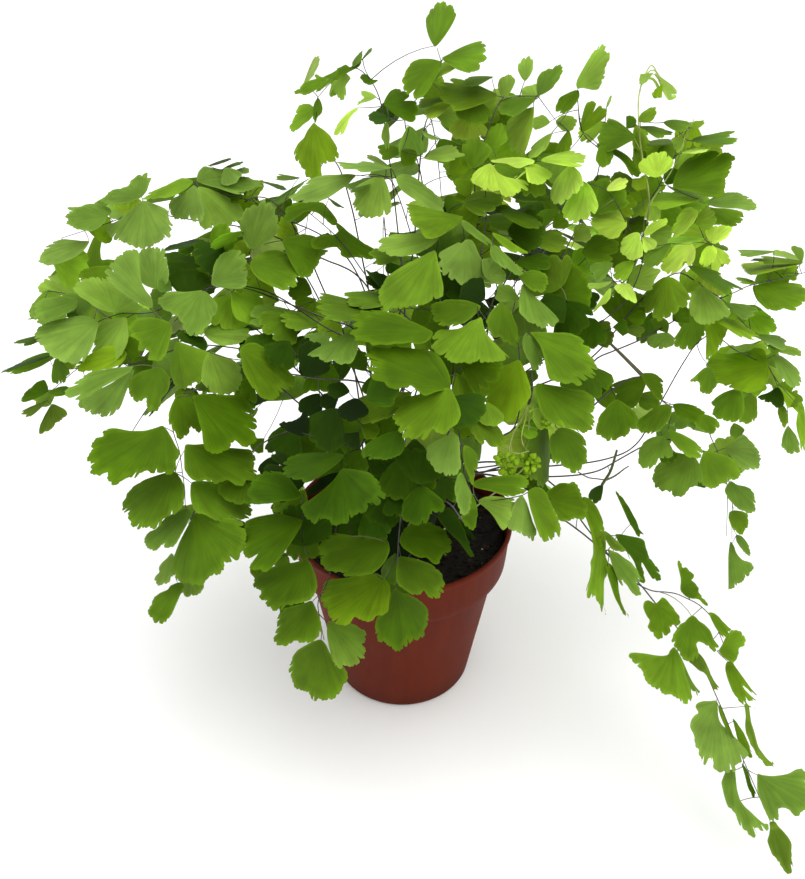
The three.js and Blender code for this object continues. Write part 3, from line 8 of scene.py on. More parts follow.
import bpy
from mathutils.geometry import delaunay_2d_cdt
import numpy as np
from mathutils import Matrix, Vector


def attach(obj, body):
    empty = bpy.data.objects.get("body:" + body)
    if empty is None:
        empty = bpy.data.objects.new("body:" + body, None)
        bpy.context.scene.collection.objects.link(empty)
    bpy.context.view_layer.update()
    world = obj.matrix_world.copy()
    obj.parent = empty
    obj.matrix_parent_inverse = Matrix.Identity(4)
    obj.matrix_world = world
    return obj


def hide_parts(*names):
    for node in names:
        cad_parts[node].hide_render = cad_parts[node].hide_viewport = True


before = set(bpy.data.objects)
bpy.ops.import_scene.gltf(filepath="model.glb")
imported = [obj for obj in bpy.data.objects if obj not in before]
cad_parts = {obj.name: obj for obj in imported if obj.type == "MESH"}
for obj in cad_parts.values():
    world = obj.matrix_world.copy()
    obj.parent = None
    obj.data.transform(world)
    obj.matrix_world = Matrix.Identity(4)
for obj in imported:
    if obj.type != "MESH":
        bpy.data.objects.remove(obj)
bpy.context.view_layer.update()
MM = 0.001

# ---- camera ---------------------------------------------------------------------------------------------------------
scene = bpy.context.scene
cam_data = bpy.data.cameras.new("camera")
cam = bpy.data.objects.new("camera", cam_data)
scene.collection.objects.link(cam)
cam_data.sensor_fit = "AUTO"
cam_data.sensor_width = 36.0
cam_data.lens = 1000.0 / 879.0 * 36.0
cam_data.clip_start = 0.01
cam_data.clip_end = 50.0
cam.location = (0.0002, -0.37276, 0.40352)
cam.rotation_euler = (math.radians(54.9), 0.0, 0.0)
scene.camera = cam

# ---- the plant, frond by frond --------------------------------------------------------------------------------------
# name: (0 seen from the front or 1 at the back, points up the stalk, leaflets)
# leaflet: base x, y, z, midrib direction x, y, z, upper face normal x, y, z, left side length, left side angle,
# midrib length, right side length, right side angle, tone (an index into the leaf tones below, the darkest of which are
# painted shade), carrier, place on the carrier, lengths round the margin.
# carrier is -1 for the stalk (place counted in its points) or the number of the leaflet whose fine stalk carries it.
FRONDS = {
    "frond_01": (0, [(-11.3, 6.4, 89), (-11.1, 6.6, 97), (-10.8, 6.8, 105), (-10.4, 6.9, 113), (-10.4, 6.7, 121), (-10.5, 6.3, 129), (-10.5, 5.8, 137.1), (-10.4, 5.3, 145.1), (-10.2, 4.9, 153.1), (-10, 4.4, 161.1), (-9.8, 3.9, 169.1), (-9.6, 3.5, 177.1), (-9.5, 3.1, 185.1), (-9.6, 2.8, 193.1), (-10.1, 2.7, 201.1), (-11.5, 3.3, 208.9), (-14.6, 5.3, 215.9), (-20, 9.4, 220), (-25.6, 14.9, 220.6), (-30.4, 21.3, 219.4), (-34.7, 27.9, 218.1), (-39.7, 34, 217.6), (-46.5, 37.7, 219.2), (-53.8, 39.8, 221.9), (-60.8, 43.2, 223.2), (-67.1, 48.2, 222.8), (-72.5, 54, 221.4), (-78.1, 59.5, 219.9), (-85.5, 61.8, 219.9), (-93.2, 60.6, 221.6), (-101, 60.2, 223.2), (-108.9, 60.1, 224.6), (-116.9, 59.5, 225.4), (-124.8, 59.1, 224.5), (-132.4, 58.6, 222.2), (-140, 57.5, 219.9), (-147.6, 55.4, 218.2), (-155, 52.9, 216.6)], [
        (-133.4, 54.9, 225.9, -0.911, -0.367, 0.189, 0.281, -0.214, 0.936, 18.9, -60, 18.9, 18.9, 60, 8, -1, 33.95, ((0, -0), (3.7, -2.7), (7.3, -1.8), (9.2, 1.4), (9.8, 4.5), (8.8, 8.1), (6.5, 11.4), (6.3, 14.4), (6.9, 16.5), (3.4, 15.6), (-0.3, 18.1), (-2.3, 16.7), (-5.1, 18.2), (-6.4, 15.4), (-9, 13.6), (-8.9, 10.6), (-10.2, 8.2), (-9.4, 6.4), (-6.5, 3.4), (-3.6, 1.3))),
        (-117.8, 61, 232.9, -0.775, 0.597, 0.208, -0.031, -0.365, 0.93, 19, -60, 19, 19, 60, 8, 2, 1, ((-0, -0), (4.1, 1.1), (7.8, 3.8), (11.9, 6.1), (10, 7.5), (13, 10.1), (10.1, 11.7), (7.1, 12.4), (3.4, 11.8), (1.3, 10.2), (-1.6, 11.8), (-4.2, 14.2), (-7.3, 14.9), (-10.8, 14.3), (-13.4, 13.4), (-12.1, 9.5), (-9.7, 5.4), (-6.5, 2.2), (-3, 0.7))),
        (-117, 58.8, 232.4, 0.009, -0.73, -0.684, -0.468, -0.607, 0.642, 27.1, -60, 27.1, 27.1, 60, 10, -1, 32.15, ((0, -0), (-5.4, 2.7), (-10.2, 5.2), (-13.8, 7.4), (-15.6, 9.7), (-15.1, 12), (-17.6, 15.4), (-17.7, 17.7), (-16.6, 18.9), (-16.7, 21.3), (-12.8, 21.4), (-10, 22.2), (-7.1, 23.1), (-4.3, 23.4), (0.4, 23), (3.4, 21.9), (7.7, 19.6), (12, 17.2), (16.4, 15.9), (19, 13.4), (21.6, 10.4), (23.6, 8.5), (20.6, 7.2), (15.7, 7.2), (11.6, 5.7), (7.5, 3.7), (3.5, 1.6))),
        (-140.5, 47.1, 217.7, -0.853, -0.497, -0.157, -0.001, -0.3, 0.954, 24.5, -60, 24.5, 24.5, 60, 10, -1, 35.68, ((0, 0), (1.9, 3.1), (4.6, 6.3), (7.6, 9.9), (8.1, 14.4), (7.1, 18), (5.3, 20.1), (2.2, 22.5), (0.4, 24.5), (-2.3, 22.7), (-5.3, 21.4), (-6.3, 18.6), (-6.9, 15.1), (-7.1, 11.1), (-5.9, 6.9), (-3.5, 3.2))),
        (-145.1, 73.2, 210.7, -0.19, -0.54, -0.82, -0.514, -0.657, 0.551, 27.9, -60, 27.9, 27.9, 60, 7, -1, 35.24, ((0, 0), (2.4, 4), (4, 9), (5, 13), (10.6, 16.4), (15.5, 19.7), (16.1, 22.7), (11.6, 23.3), (6.3, 21.3), (-0.2, 19.3), (-5.6, 21.2), (-10.1, 19.8), (-13.3, 16.2), (-16.3, 12.1), (-10.9, 12.1), (-6.2, 13), (-4.3, 8.3), (-4.4, 3.5))),
        (-128.2, 64.6, 221.3, -0.69, 0.072, 0.72, 0.656, -0.359, 0.664, 9.2, -52, 9.2, 9.3, 52, 17, -1, 33.52, (1.2, 2.9, 3.7, 6.4, 8.5, 8.5, 8.1, 8.5, 9.6, 9.6, 9.6, 9.4, 9.4, 9.4, 9.2, 9.1, 8.9, 9.1, 9.5, 7, 4.3, 2.1, 0.6)),
        (-160.3, 64.1, 198.7, -0.171, -0.483, -0.859, 0.565, -0.762, 0.316, 9.7, -46, 10.9, 9.4, 39, 10, -1, 37, ()),
        (-107.6, 73.7, 226.7, -0.599, 0.8, -0.032, -0.187, -0.101, 0.977, 12.8, -44, 14.6, 13.6, 42, 5, -1, 30.87, ()),
        (-144.8, 59.7, 217.8, 0.868, 0.468, -0.165, 0.452, -0.61, 0.65, 10.7, -52, 11.8, 10.1, 46, 11, 4, 0.2, ()),
        (-21.9, -3.3, 182, -0.993, -0.099, -0.063, 0.029, -0.73, 0.682, 7, -52, 7.8, 7.7, 46, 3, -1, 11.63, ()),
        (-125.9, 62.4, 223.9, 0.004, 0.545, 0.838, 0.1, -0.834, 0.542, 7.7, -66, 8.8, 8, 55, 16, -1, 33.13, ()),
        (-143.6, 72.4, 225.3, 0.681, 0.168, -0.713, 0.445, -0.868, 0.22, 7.3, -65, 7.7, 7.4, 53, 12, 4, 0.58, ()),
        (-71.1, 59.2, 213.3, 0.93, -0.058, -0.364, 0.188, -0.776, 0.603, 13.5, -46, 16.4, 14.8, 55, 17, -1, 26.52, ()),
        (-160.7, 51.7, 207.3, 0.914, -0.207, -0.348, -0.045, -0.906, 0.421, 14.3, -48, 16.4, 13.6, 50, 14, 6, 0.39, ()),
    ]),
    "frond_02": (0, [(-7, 10.9, 89), (-7.2, 11.1, 96.9), (-7.4, 11.2, 104.7), (-7.6, 11.4, 112.6), (-7.8, 11.6, 120.4), (-8, 11.8, 128.3), (-8.2, 12.1, 136.2), (-8.5, 12.4, 144.1), (-8.8, 12.8, 151.9), (-9.3, 13.2, 159.8), (-9.8, 13.8, 167.6), (-10.4, 14.4, 175.4), (-11.3, 15.3, 183.2), (-12.5, 16.4, 190.9), (-14, 17.8, 198.5), (-16.1, 19.6, 205.9), (-19, 22.1, 212.7), (-23.1, 25.3, 218.7), (-28.2, 29.2, 223.2), (-34.3, 33.4, 226), (-40.6, 37.8, 227.5), (-47.1, 42.2, 228.3), (-53.2, 47, 229.6), (-59.3, 51.8, 230.9), (-65.6, 56.4, 232.1), (-72.4, 60.3, 232.8), (-79.5, 63.4, 233), (-86.9, 66.2, 233), (-94.2, 69, 233.1)], [
        (-93.9, 63.1, 239.2, -0.884, -0.447, -0.14, 0.015, -0.325, 0.945, 24.6, -60, 24.6, 24.6, 60, 9, -1, 28, ((-0, 0), (2.7, 0.9), (5, 3.8), (4.5, 7.4), (3.5, 11.5), (2.8, 16), (2.7, 18.9), (1.4, 22.1), (-0.4, 24.6), (-2, 21.5), (-3.3, 17.3), (-4.9, 14.1), (-4.9, 11.3), (-4.2, 8.2), (-3.1, 4.5))),
        (-93.4, 62.9, 239.3, 0.912, 0.396, -0.103, 0.229, -0.285, 0.931, 30.9, -60, 30.9, 30.9, 60, 8, 0, 1, ((-0.6, 0.6), (-6.7, 3), (-10.7, 6.7), (-9.1, 10), (-7.4, 14.3), (-5.8, 18.5), (-3.4, 22.7), (-1, 26.8), (1.4, 30.9), (4.2, 30.6), (5.9, 25.8), (8.4, 21.4), (10.1, 17.2), (7.8, 13.2), (4.7, 8.5), (2.3, 4))),
        (-92.3, 57.3, 240.4, -0.382, -0.359, -0.852, -0.558, -0.645, 0.522, 19, -60, 19, 19, 60, 10, 3, 1, ((0, 0), (3, 3.7), (6.8, 7.3), (11.1, 10.1), (12.6, 12.9), (10.4, 15.6), (6.1, 18), (1.5, 17), (-3.2, 15), (-7.4, 15), (-11.2, 14.2), (-12.8, 11.8), (-10.6, 7.9), (-6.2, 3.7))),
        (-91.8, 58.9, 238.9, 0.626, -0.103, -0.773, 0.658, -0.463, 0.594, 26, -60, 26, 26, 60, 12, 1, 1, ((0, 0), (-3.6, 3.6), (-7, 8.3), (-10.4, 13.6), (-12.6, 18.7), (-12.5, 22.8), (-8.7, 24.3), (-3.5, 22.9), (2.1, 21.8), (5.2, 18.9), (9.5, 17.6), (12.5, 15.4), (13.5, 12.3), (10, 9), (5.5, 4.2))),
        (-89.5, 77.3, 241.5, 0.951, 0.194, 0.242, -0.273, 0.153, 0.95, 10.5, -50, 10.8, 10.5, 50, 2, 5, 1, (1.4, 3.4, 5.3, 10.1, 11.8, 13.3, 12.3, 11.5, 11.2, 11, 11, 11, 11, 11.2, 11.8, 11.4, 10.9, 10.6, 8.2, 6.9, 6.8, 4.6, 2.5, 1.4)),
        (-83.4, 75.7, 240.1, 0.94, 0.185, 0.288, -0.314, 0.133, 0.94, 10.6, -53, 11, 10.6, 53, 3, 6, 1, (1.4, 2.8, 4.9, 8.1, 11, 12.4, 11.6, 11, 10.9, 10.9, 11, 11, 10.8, 10.8, 11, 10.9, 11.3, 11.5, 11.4, 7.9, 8.7, 7.5, 4.6, 1, 0.4)),
        (-79.7, 74.4, 239.2, 0.985, 0.142, 0.101, -0.122, 0.15, 0.981, 9.5, -52, 9.9, 9.5, 52, 8, -1, 26.51, (1.3, 2.4, 4.3, 7, 9.7, 10, 9.5, 9.6, 9.6, 9.5, 9.5, 9.5, 9.5, 9.5, 9.8, 9.7, 9.5, 9.4, 7.8, 7.5, 4.7, 3.1, 0.4)),
        (-45.2, 56.6, 243.5, -0.993, -0.075, 0.093, 0.072, 0.248, 0.966, 12, -56, 12.4, 12, 56, 5, -1, 22.17, (0.5, 1.4, 7.1, 8.6, 12, 11.3, 13.6, 12.7, 12, 11.5, 11.1, 10.6, 10.4, 10.2, 9.9, 9.9, 9.9, 9.9, 10.4, 10.3, 11, 11.7, 12.9, 12.5, 8.6, 3.8, 3.3, 2.5, 0.5)),
        (-64.3, 24.5, 223.6, 0.314, 0.418, 0.852, -0.628, -0.582, 0.517, 19.6, -57, 19, 17, 51, 8, 10, 1, (2.6, 4.1, 8.3, 13.8, 20.4, 19.9, 19.9, 19.8, 21.3, 21.2, 21.2, 20.8, 20.3, 19.9, 19.5, 19.4, 22.9, 22.1, 21.7, 21.3, 20.9, 20.9, 20.8, 21.5, 20.7, 19.8, 19.7, 19.1, 19, 19.9, 18.2, 17.7, 17.4, 17.6, 17.3, 12.5, 7.6, 4.2, 1.9)),
        (-64.2, 15.8, 222, 0.964, -0.152, -0.219, 0.179, -0.238, 0.955, 23.5, -60, 23.5, 23.5, 60, 6, 8, 1, ((0, 0), (-4.8, 1.2), (-8.7, 3.5), (-11.6, 6.7), (-11.9, 10.6), (-11.6, 14.7), (-9.6, 18.4), (-6.5, 21), (-3.3, 23.2), (0.4, 21.1), (3.9, 21.2), (7.5, 22.2), (9.9, 19.9), (12, 16.6), (10.9, 12.9), (10.4, 9.3), (8.2, 5.1), (4.8, 1.9))),
        (-50.9, 22.9, 228.9, 0.828, 0.043, -0.559, 0.535, -0.36, 0.764, 18.5, -43, 18.8, 18, 47, 7, -1, 20.16, (0.7, 4.2, 9.3, 16, 18.5, 18.5, 18.6, 19.4, 19.8, 20.6, 19.5, 18.7, 18.8, 18.8, 18.8, 18.8, 18.8, 18, 18, 18.3, 18.7, 18.6, 18.9, 18.8, 19.9, 18.3, 18.9, 18.8, 18.7, 13.2, 8.2, 1.7, 0.9)),
        (-83.3, 40.8, 213.3, 0.391, 0.215, 0.895, -0.487, -0.777, 0.4, 12.9, -43, 13.5, 13.3, 44, 7, 16, 1, (1.5, 2.4, 6.5, 10, 12.6, 12.2, 12.6, 13.5, 13.6, 13.7, 14.8, 14.8, 15.1, 15.4, 14.6, 14.8, 14.5, 13.7, 13.4, 14.2, 13.9, 13.8, 9.8, 5.5, 1.3, 0.5)),
        (-84.5, 37.1, 202.7, -0.962, -0.102, 0.255, 0.275, -0.338, 0.9, 10.3, -49, 10.4, 10.1, 52, 7, 11, 1, (1.3, 1.4, 1.8, 7.1, 8.7, 8.7, 8.9, 9.3, 9.3, 9.6, 10.2, 10.4, 10.4, 10.4, 10.4, 10.3, 10.3, 10.2, 10.2, 10.1, 7.1, 4.2, 2.1, 0.4)),
        (-62.9, 31.4, 202.6, -0.838, -0.353, -0.417, -0.244, -0.441, 0.864, 9.3, -49, 9.7, 9.3, 50, 14, 16, 1, (1.2, 3, 4.7, 7, 9.9, 10, 10.1, 10, 9.6, 9.7, 9.7, 9.7, 10.1, 10, 8.8, 8.7, 8.6, 9.1, 6.8, 4.3, 2.4, 1.1)),
        (-47, 47, 220.2, -0.811, 0.136, 0.569, 0.474, -0.418, 0.775, 8.9, -50, 9, 8.8, 52, 11, -1, 21.21, (0.4, 2.7, 5.2, 8.6, 10, 9.8, 9.5, 9.5, 9.3, 9.2, 9.2, 9.2, 11.9, 10.9, 11.4, 9.2, 8.8, 6.5, 6.3, 4.9, 2.8, 1.2)),
        (-68.8, 86.5, 220.6, -0.942, -0.044, 0.333, 0.32, -0.415, 0.852, 7.9, -49, 8, 7.6, 52, 2, 6, 1, (1.1, 2.5, 3.3, 4.8, 8.2, 8.7, 8.4, 7.2, 8, 7.7, 7.7, 8.6, 8.5, 8.6, 8.8, 9.1, 5.8, 3.7, 2.4, 0.8)),
        (-66.5, 34.1, 217.2, -0.872, 0.056, 0.487, 0.434, -0.374, 0.82, 7.6, -50, 7.7, 7.5, 52, 11, 8, 1, (1, 2.3, 3.9, 4.9, 7.6, 7.6, 8, 8, 8.2, 8.2, 8.5, 8.4, 8.3, 8.2, 8.2, 8.3, 6.2, 4.1, 2.3, 1)),
        (-79.2, 39.2, 218.1, -0.682, -0.627, -0.376, 0.186, -0.646, 0.741, 12.4, -54, 13.7, 12, 59, 2, 11, 0.71, ()),
        (-80.3, 68.7, 243.7, 0.524, -0.581, -0.623, 0.014, -0.725, 0.688, 7.8, -45, 8.3, 7.4, 46, 10, 6, 0.8, ()),
        (-72.3, 86.9, 228.7, 0.493, -0.863, -0.115, -0.546, -0.409, 0.731, 8.3, -48, 9.9, 9.5, 54, 11, 15, 0.7, ()),
        (-95.9, 76.9, 234, 0.812, -0.533, -0.237, 0, -0.406, 0.914, 24.8, -60, 24.8, 24.8, 60, 4, -1, 28, ((2.9, -7.4), (-0.3, -4), (-3.5, -0.6), (-6.3, 4.3), (-7.6, 10.6), (-8.4, 17.2), (-8.4, 22.7), (-4.3, 24.4), (-0.2, 23), (1.1, 16.9), (1.5, 9.9), (2.7, 4.9), (8.3, 3.7), (13.5, 2.9), (9, -3.7))),
    ]),
    "frond_03": (0, [(-10.9, -7.1, 89), (-11, -7.3, 97), (-11, -7.7, 105), (-11.1, -8.3, 113), (-11.1, -9.1, 121), (-11.1, -10.2, 129), (-11, -11.4, 136.9), (-11, -12.9, 144.8), (-11, -14.6, 152.7), (-11, -16.5, 160.4), (-11.1, -18.7, 168.2), (-11.3, -21, 175.8), (-11.8, -23.4, 183.5), (-12.5, -25.9, 191.1), (-13.9, -28.2, 198.6), (-17.2, -29, 205.8), (-23, -25.3, 209.2), (-28.3, -19.4, 208.6), (-33.2, -13.1, 208.1), (-37.9, -6.5, 207.7), (-42.5, 0.1, 207.3), (-47.1, 6.6, 206.9), (-52, 13, 206.5), (-57.4, 19, 206.1), (-63.7, 23.9, 205.7), (-71.3, 26.3, 205.7), (-79.3, 25.5, 205.7), (-87.1, 24, 204.9), (-94.5, 21.6, 202.9), (-101.5, 18.5, 200.4), (-108.9, 16.6, 197.9), (-116.4, 18.5, 196.2), (-123.6, 21.6, 194.6), (-131.1, 22.6, 192), (-138.4, 22.1, 188.7), (-145.6, 21.3, 185.2), (-152.8, 20.5, 181.8)], [
        (-124.8, 14.6, 198.5, -0.479, 0.763, 0.433, 0.557, -0.117, 0.822, 22.3, -60, 22.3, 22.3, 60, 12, -1, 32.06, ((-0, -0), (-4.9, 1), (-8.4, 3.1), (-10.3, 6.5), (-13, 9.3), (-14, 12.7), (-13.1, 16.2), (-8, 19.6), (-2.3, 21.8), (2.2, 22.1), (6.1, 20.6), (8.4, 16.5), (11, 11.8), (13.8, 7.8), (16.9, 4.3), (10.9, 2.2), (4.8, 0.8))),
        (-107, 11, 202.3, -0.534, 0.322, 0.782, 0.704, -0.343, 0.622, 28.5, -60, 28.5, 28.5, 60, 10, -1, 29.58, ((0, 0), (3.1, 4.2), (2.5, 8), (2.9, 11.4), (5.8, 16.2), (9.7, 20.7), (13, 24.5), (10.3, 26.5), (5.5, 26.9), (1, 26.1), (-2.9, 25.2), (-6.3, 24.1), (-10.4, 22.8), (-11.5, 19.3), (-10.4, 15), (-7.8, 9.4), (-4.5, 4.5))),
        (-109.1, 28.3, 203.2, 0.006, 0.355, 0.935, -0.61, -0.739, 0.285, 19.5, -60, 19.5, 19.5, 60, 10, 13, 1, ((0, 0), (-5.5, 0.5), (-10.2, 2), (-11.2, 6.8), (-11.4, 12.1), (-10.3, 16.6), (-5.3, 17.7), (-0.5, 18.3), (4.2, 18.1), (7.5, 16.9), (7.8, 13.1), (8.9, 9.7), (9.3, 6.7), (8.4, 3.6), (5.5, 1.2), (2.7, 0.2))),
        (-144.1, 26.8, 198.5, -0.595, -0.798, 0.096, 0.366, -0.163, 0.916, 25.1, -60, 25.1, 25.1, 60, 8, 4, 1, ((0, 0), (3.1, 2), (5.4, 5.5), (6.6, 9.8), (7.5, 13.3), (6.4, 17.2), (3.6, 20.2), (0.7, 21.4), (-1.5, 24), (-4.6, 24.7), (-6.4, 22.5), (-5.7, 18), (-5.6, 13.8), (-5, 9.2), (-4.4, 4.4))),
        (-144.8, 23.2, 194.5, -0.979, 0.112, -0.168, -0.104, 0.433, 0.895, 20, -38, 20.4, 20, 38, 8, -1, 34.45, (2.4, 5.1, 8.8, 14.4, 20.4, 20.5, 20.5, 20.6, 20.6, 20.7, 20.7, 20.7, 21.2, 22, 22.4, 23.3, 24.1, 24.9, 22.8, 20.7, 20.7, 20.7, 20.6, 20.6, 20.1, 20.5, 20.4, 15, 9.7, 4.8, 2)),
        (-161.6, 28.3, 180.5, -0.909, -0.411, -0.068, -0.133, 0.131, 0.982, 18.4, -39, 15.6, 13, 21, 4, -1, 36, (0.7, 4.2, 8.1, 13.8, 14.4, 13.6, 13.2, 13.2, 13.2, 13.2, 13.7, 14.8, 15.3, 15.2, 14.9, 14.7, 13.9, 13, 9.9, 6.3, 2.8, 1.7)),
        (-132.7, 15.2, 193.8, -0.729, -0.67, -0.137, 0.019, -0.219, 0.976, 27.9, -60, 27.9, 27.9, 60, 10, -1, 32.96, ((-0, 0), (5.5, 1.1), (9, 3), (11.3, 6.6), (13.7, 11.2), (16, 15.8), (16.5, 19.4), (13.9, 23.3), (9.5, 26.2), (5, 25.9), (1.6, 25.9), (-2.9, 26.6), (-7, 25.7), (-10.6, 24.4), (-13.4, 22.3), (-15.6, 19.8), (-15.7, 16.9), (-13.6, 13.7), (-11.4, 10.5), (-7.9, 6.8), (-4, 3.4))),
        (-120.1, 15.2, 196.2, -0.523, -0.547, -0.653, -0.471, -0.453, 0.757, 25, -60, 25, 25, 60, 12, -1, 31.22, ((-0, 0), (4.9, 2.4), (10, 5.3), (12.3, 8.8), (12, 12.4), (9.3, 16.6), (6.6, 20.8), (5.4, 24.4), (-0.8, 24), (-5.8, 20.9), (-9.6, 18.4), (-11.5, 15.6), (-10.5, 12.9), (-10.5, 9.8), (-7.8, 6.3), (-3.9, 3.2))),
        (-97.2, -0.2, 201.6, -0.725, -0.598, -0.342, -0.112, -0.387, 0.915, 19.9, -60, 19.9, 19.9, 60, 6, 1, 1, ((0, -0), (4, 1.4), (8.9, 3.7), (12.9, 7.2), (14.2, 10.5), (12.8, 13.6), (9.4, 15.5), (5.5, 15.6), (2.7, 14.4), (1.4, 16.8), (-1.4, 17.8), (-3.7, 15.7), (-5.8, 15.2), (-6.2, 17.6), (-9.2, 17.6), (-11.8, 15.3), (-12.4, 12.7), (-10.4, 9.6), (-7.1, 5.7), (-3.8, 2.3))),
        (-92.5, 70.2, 196.6, -0.976, -0.212, -0.046, 0.029, -0.338, 0.941, 21.5, -34, 21.4, 20.6, 34, 3, 10, 1, (0.9, 5.6, 9.8, 16.1, 24.1, 23.6, 23.6, 23.2, 22.7, 22.3, 21.9, 21.8, 21.4, 21.4, 21, 21, 21, 20.9, 21.3, 21.6, 22, 22.3, 23.5, 23.8, 21.1, 21, 15.1, 9.2, 5.1, 2.3)),
        (-87.9, 53.7, 215.4, -0.762, -0.403, -0.507, -0.267, -0.517, 0.813, 9.9, -49, 10.4, 9.9, 50, 13, -1, 26.38, (0.7, 2.1, 5.2, 5.6, 9.7, 9.8, 9.9, 10, 10.1, 10.1, 10.2, 10.2, 10.2, 10.1, 10.1, 10, 9.9, 9.8, 9.9, 7.1, 4.5, 3.1, 1.2)),
        (-164.4, 39, 191.9, -0.493, -0.572, -0.656, -0.278, -0.611, 0.742, 7.4, -47, 7.8, 7.2, 50, 10, 5, 1, (1, 2.3, 2.5, 4.5, 7.3, 7.5, 7.6, 7.7, 8.4, 9.7, 9.8, 7.7, 7.1, 6.9, 6.8, 5.7, 3.7, 2.3, 0.8)),
        (-108.5, 19.7, 195.4, -0.933, -0.345, -0.097, 0.034, -0.355, 0.934, 7.8, -49, 7.9, 7.6, 52, 10, -1, 29.98, (0.7, 1.9, 2.9, 2.9, 7.5, 7.7, 7.7, 7.7, 7.9, 7.9, 7.9, 7.9, 7.8, 7.8, 7.7, 7.6, 5.6, 2.4, 0.9, 0.3)),
        (-101.2, 25, 204.2, -0.764, 0.109, 0.636, 0.577, -0.324, 0.749, 7.3, -51, 7.4, 7.4, 51, 8, -1, 28.68, (0.3, 1.9, 3.3, 6.3, 6.4, 7, 7.1, 7.2, 7.2, 7.3, 7.3, 7.3, 7.4, 7.4, 7.4, 5.3, 1.3, 0.9, 1)),
        (-165.6, 50.2, 192, 0.132, -0.472, -0.872, 0.359, -0.797, 0.485, 13.4, -48, 14.9, 14.4, 48, 12, 11, 0.95, ()),
        (-91.5, 38.4, 219.5, -0.824, 0.527, -0.211, -0.092, 0.242, 0.966, 13, -62, 14, 12.1, 67, 2, 10, 0.61, ()),
        (-129.7, 23.9, 190, 0.977, 0.206, -0.049, 0.16, -0.571, 0.805, 13.6, -67, 16.6, 16, 63, 16, -1, 32.94, ()),
        (-166.5, 44.3, 160.1, -0.817, -0.576, -0.038, 0.067, -0.16, 0.985, 24.4, -60, 24.4, 24.4, 60, 4, 11, 0.1, ((0.9, -1.4), (3.6, 1.6), (4.7, 5.1), (4.7, 9.5), (4, 14.1), (2.6, 19), (0.7, 24.4), (-3, 22.4), (-4.6, 18.2), (-4.9, 13.6), (-4.4, 8.6), (-2.8, 4), (-1.4, 0.6))),
        (-45.5, 0, 204, -0.574, -0.816, -0.061, 0.257, -0.251, 0.933, 14.4, -46, 15.9, 13, 55, 6, -1, 20.23, ()),
        (-95.8, 25.2, 199.9, 0.138, 0.774, 0.618, 0.177, -0.633, 0.754, 13.7, -51, 14.2, 13.6, 65, 2, -1, 28.08, ()),
        (-30.2, -21.7, 209.4, -0.579, -0.702, -0.415, -0.142, -0.415, 0.899, 6.4, -51, 7.6, 6.5, 47, 10, -1, 16.94, ()),
        (-93.9, 48.7, 213.8, -0.96, -0.274, -0.059, -0.013, -0.168, 0.986, 6.3, -56, 7.5, 7.1, 60, 14, 10, 0.87, ()),
        (-153.6, 53.5, 185.9, -0.792, 0.326, 0.516, 0.149, -0.716, 0.682, 19, -60, 19, 19, 60, 15, 14, 0.95, ((-0, -0), (-1.6, 3.4), (-4.1, 7.3), (-7.3, 10.5), (-8.9, 13.9), (-8.8, 16.9), (-5, 17.7), (-0.7, 17.1), (3.8, 16.2), (7.3, 14.3), (8.5, 10.5), (8.3, 6.2), (5.7, 2.3), (2.8, 0.5))),
        (-141.6, 40.6, 189.6, 0.401, -0.542, -0.739, 0.297, -0.686, 0.664, 14.2, -64, 16.9, 16.3, 67, 15, -1, 34.08, ()),
        (-140.8, 33, 196.4, -0.77, -0.583, -0.259, 0, -0.406, 0.914, 14.1, -60, 14.1, 14.1, 60, 8, -1, 33, ((10.7, 9.3), (7.7, 4.8), (2.7, 1.5), (-3.1, -0.2), (-6, 3.5), (-8.2, 7.9), (-6.8, 12.2), (-2.6, 13.8), (0.2, 10.1), (5.4, 9.2))),
        (-130.2, 37.6, 207, -0.979, -0.187, -0.083, 0, -0.406, 0.914, 15.1, -60, 15.1, 15.1, 60, 7, -1, 32, ((3.9, 13.1), (5, 9.5), (4.6, 5.1), (3.7, 0.7), (-0.8, -0.8), (-5.1, 1.2), (-5.3, 5.6), (-4.4, 10), (-2.5, 13.4), (0.8, 15))),
    ]),
    "frond_04": (0, [(-12.6, -3.2, 89), (-12.6, -3.4, 97.1), (-12.6, -3.7, 105.2), (-12.6, -4.2, 113.3), (-12.5, -5, 121.3), (-12.3, -6, 129.3), (-12.2, -7.2, 137.3), (-12, -8.6, 145.2), (-11.7, -10.2, 153.1), (-11.5, -12, 161), (-11.3, -13.9, 168.9), (-11.2, -16.1, 176.7), (-11.2, -18.4, 184.4), (-11.5, -20.8, 192.2), (-12.4, -23.1, 199.9), (-14.8, -24.7, 207.4), (-20.5, -22.8, 212.2), (-26.8, -17.8, 211.9), (-32.5, -12.2, 210.9), (-38.1, -6.4, 210.1), (-43.7, -0.6, 209.4), (-49.3, 5.2, 208.6), (-54.9, 10.9, 207.9), (-60.8, 16.4, 207.3), (-67.3, 21.2, 206.8), (-74.7, 24.2, 206.9), (-82.7, 24, 207.3), (-87.4, 18.9, 204), (-92.9, 14.1, 200.5), (-98.4, 9.3, 197)], [
        (-80.6, 10, 214.2, 0.734, 0.547, 0.402, -0.243, -0.342, 0.908, 21, -60, 21, 21, 60, 8, 1, 1, ((0, 0), (-4, 3.3), (-8.6, 7), (-11.5, 10.6), (-12.2, 14.4), (-10.9, 17.4), (-8.1, 19.4), (-3.9, 20.3), (0.3, 19), (4.2, 16.3), (8.4, 13.8), (11.9, 10.8), (13.1, 8.3), (10.6, 5.7), (7.2, 3.2), (3.6, 1.3))),
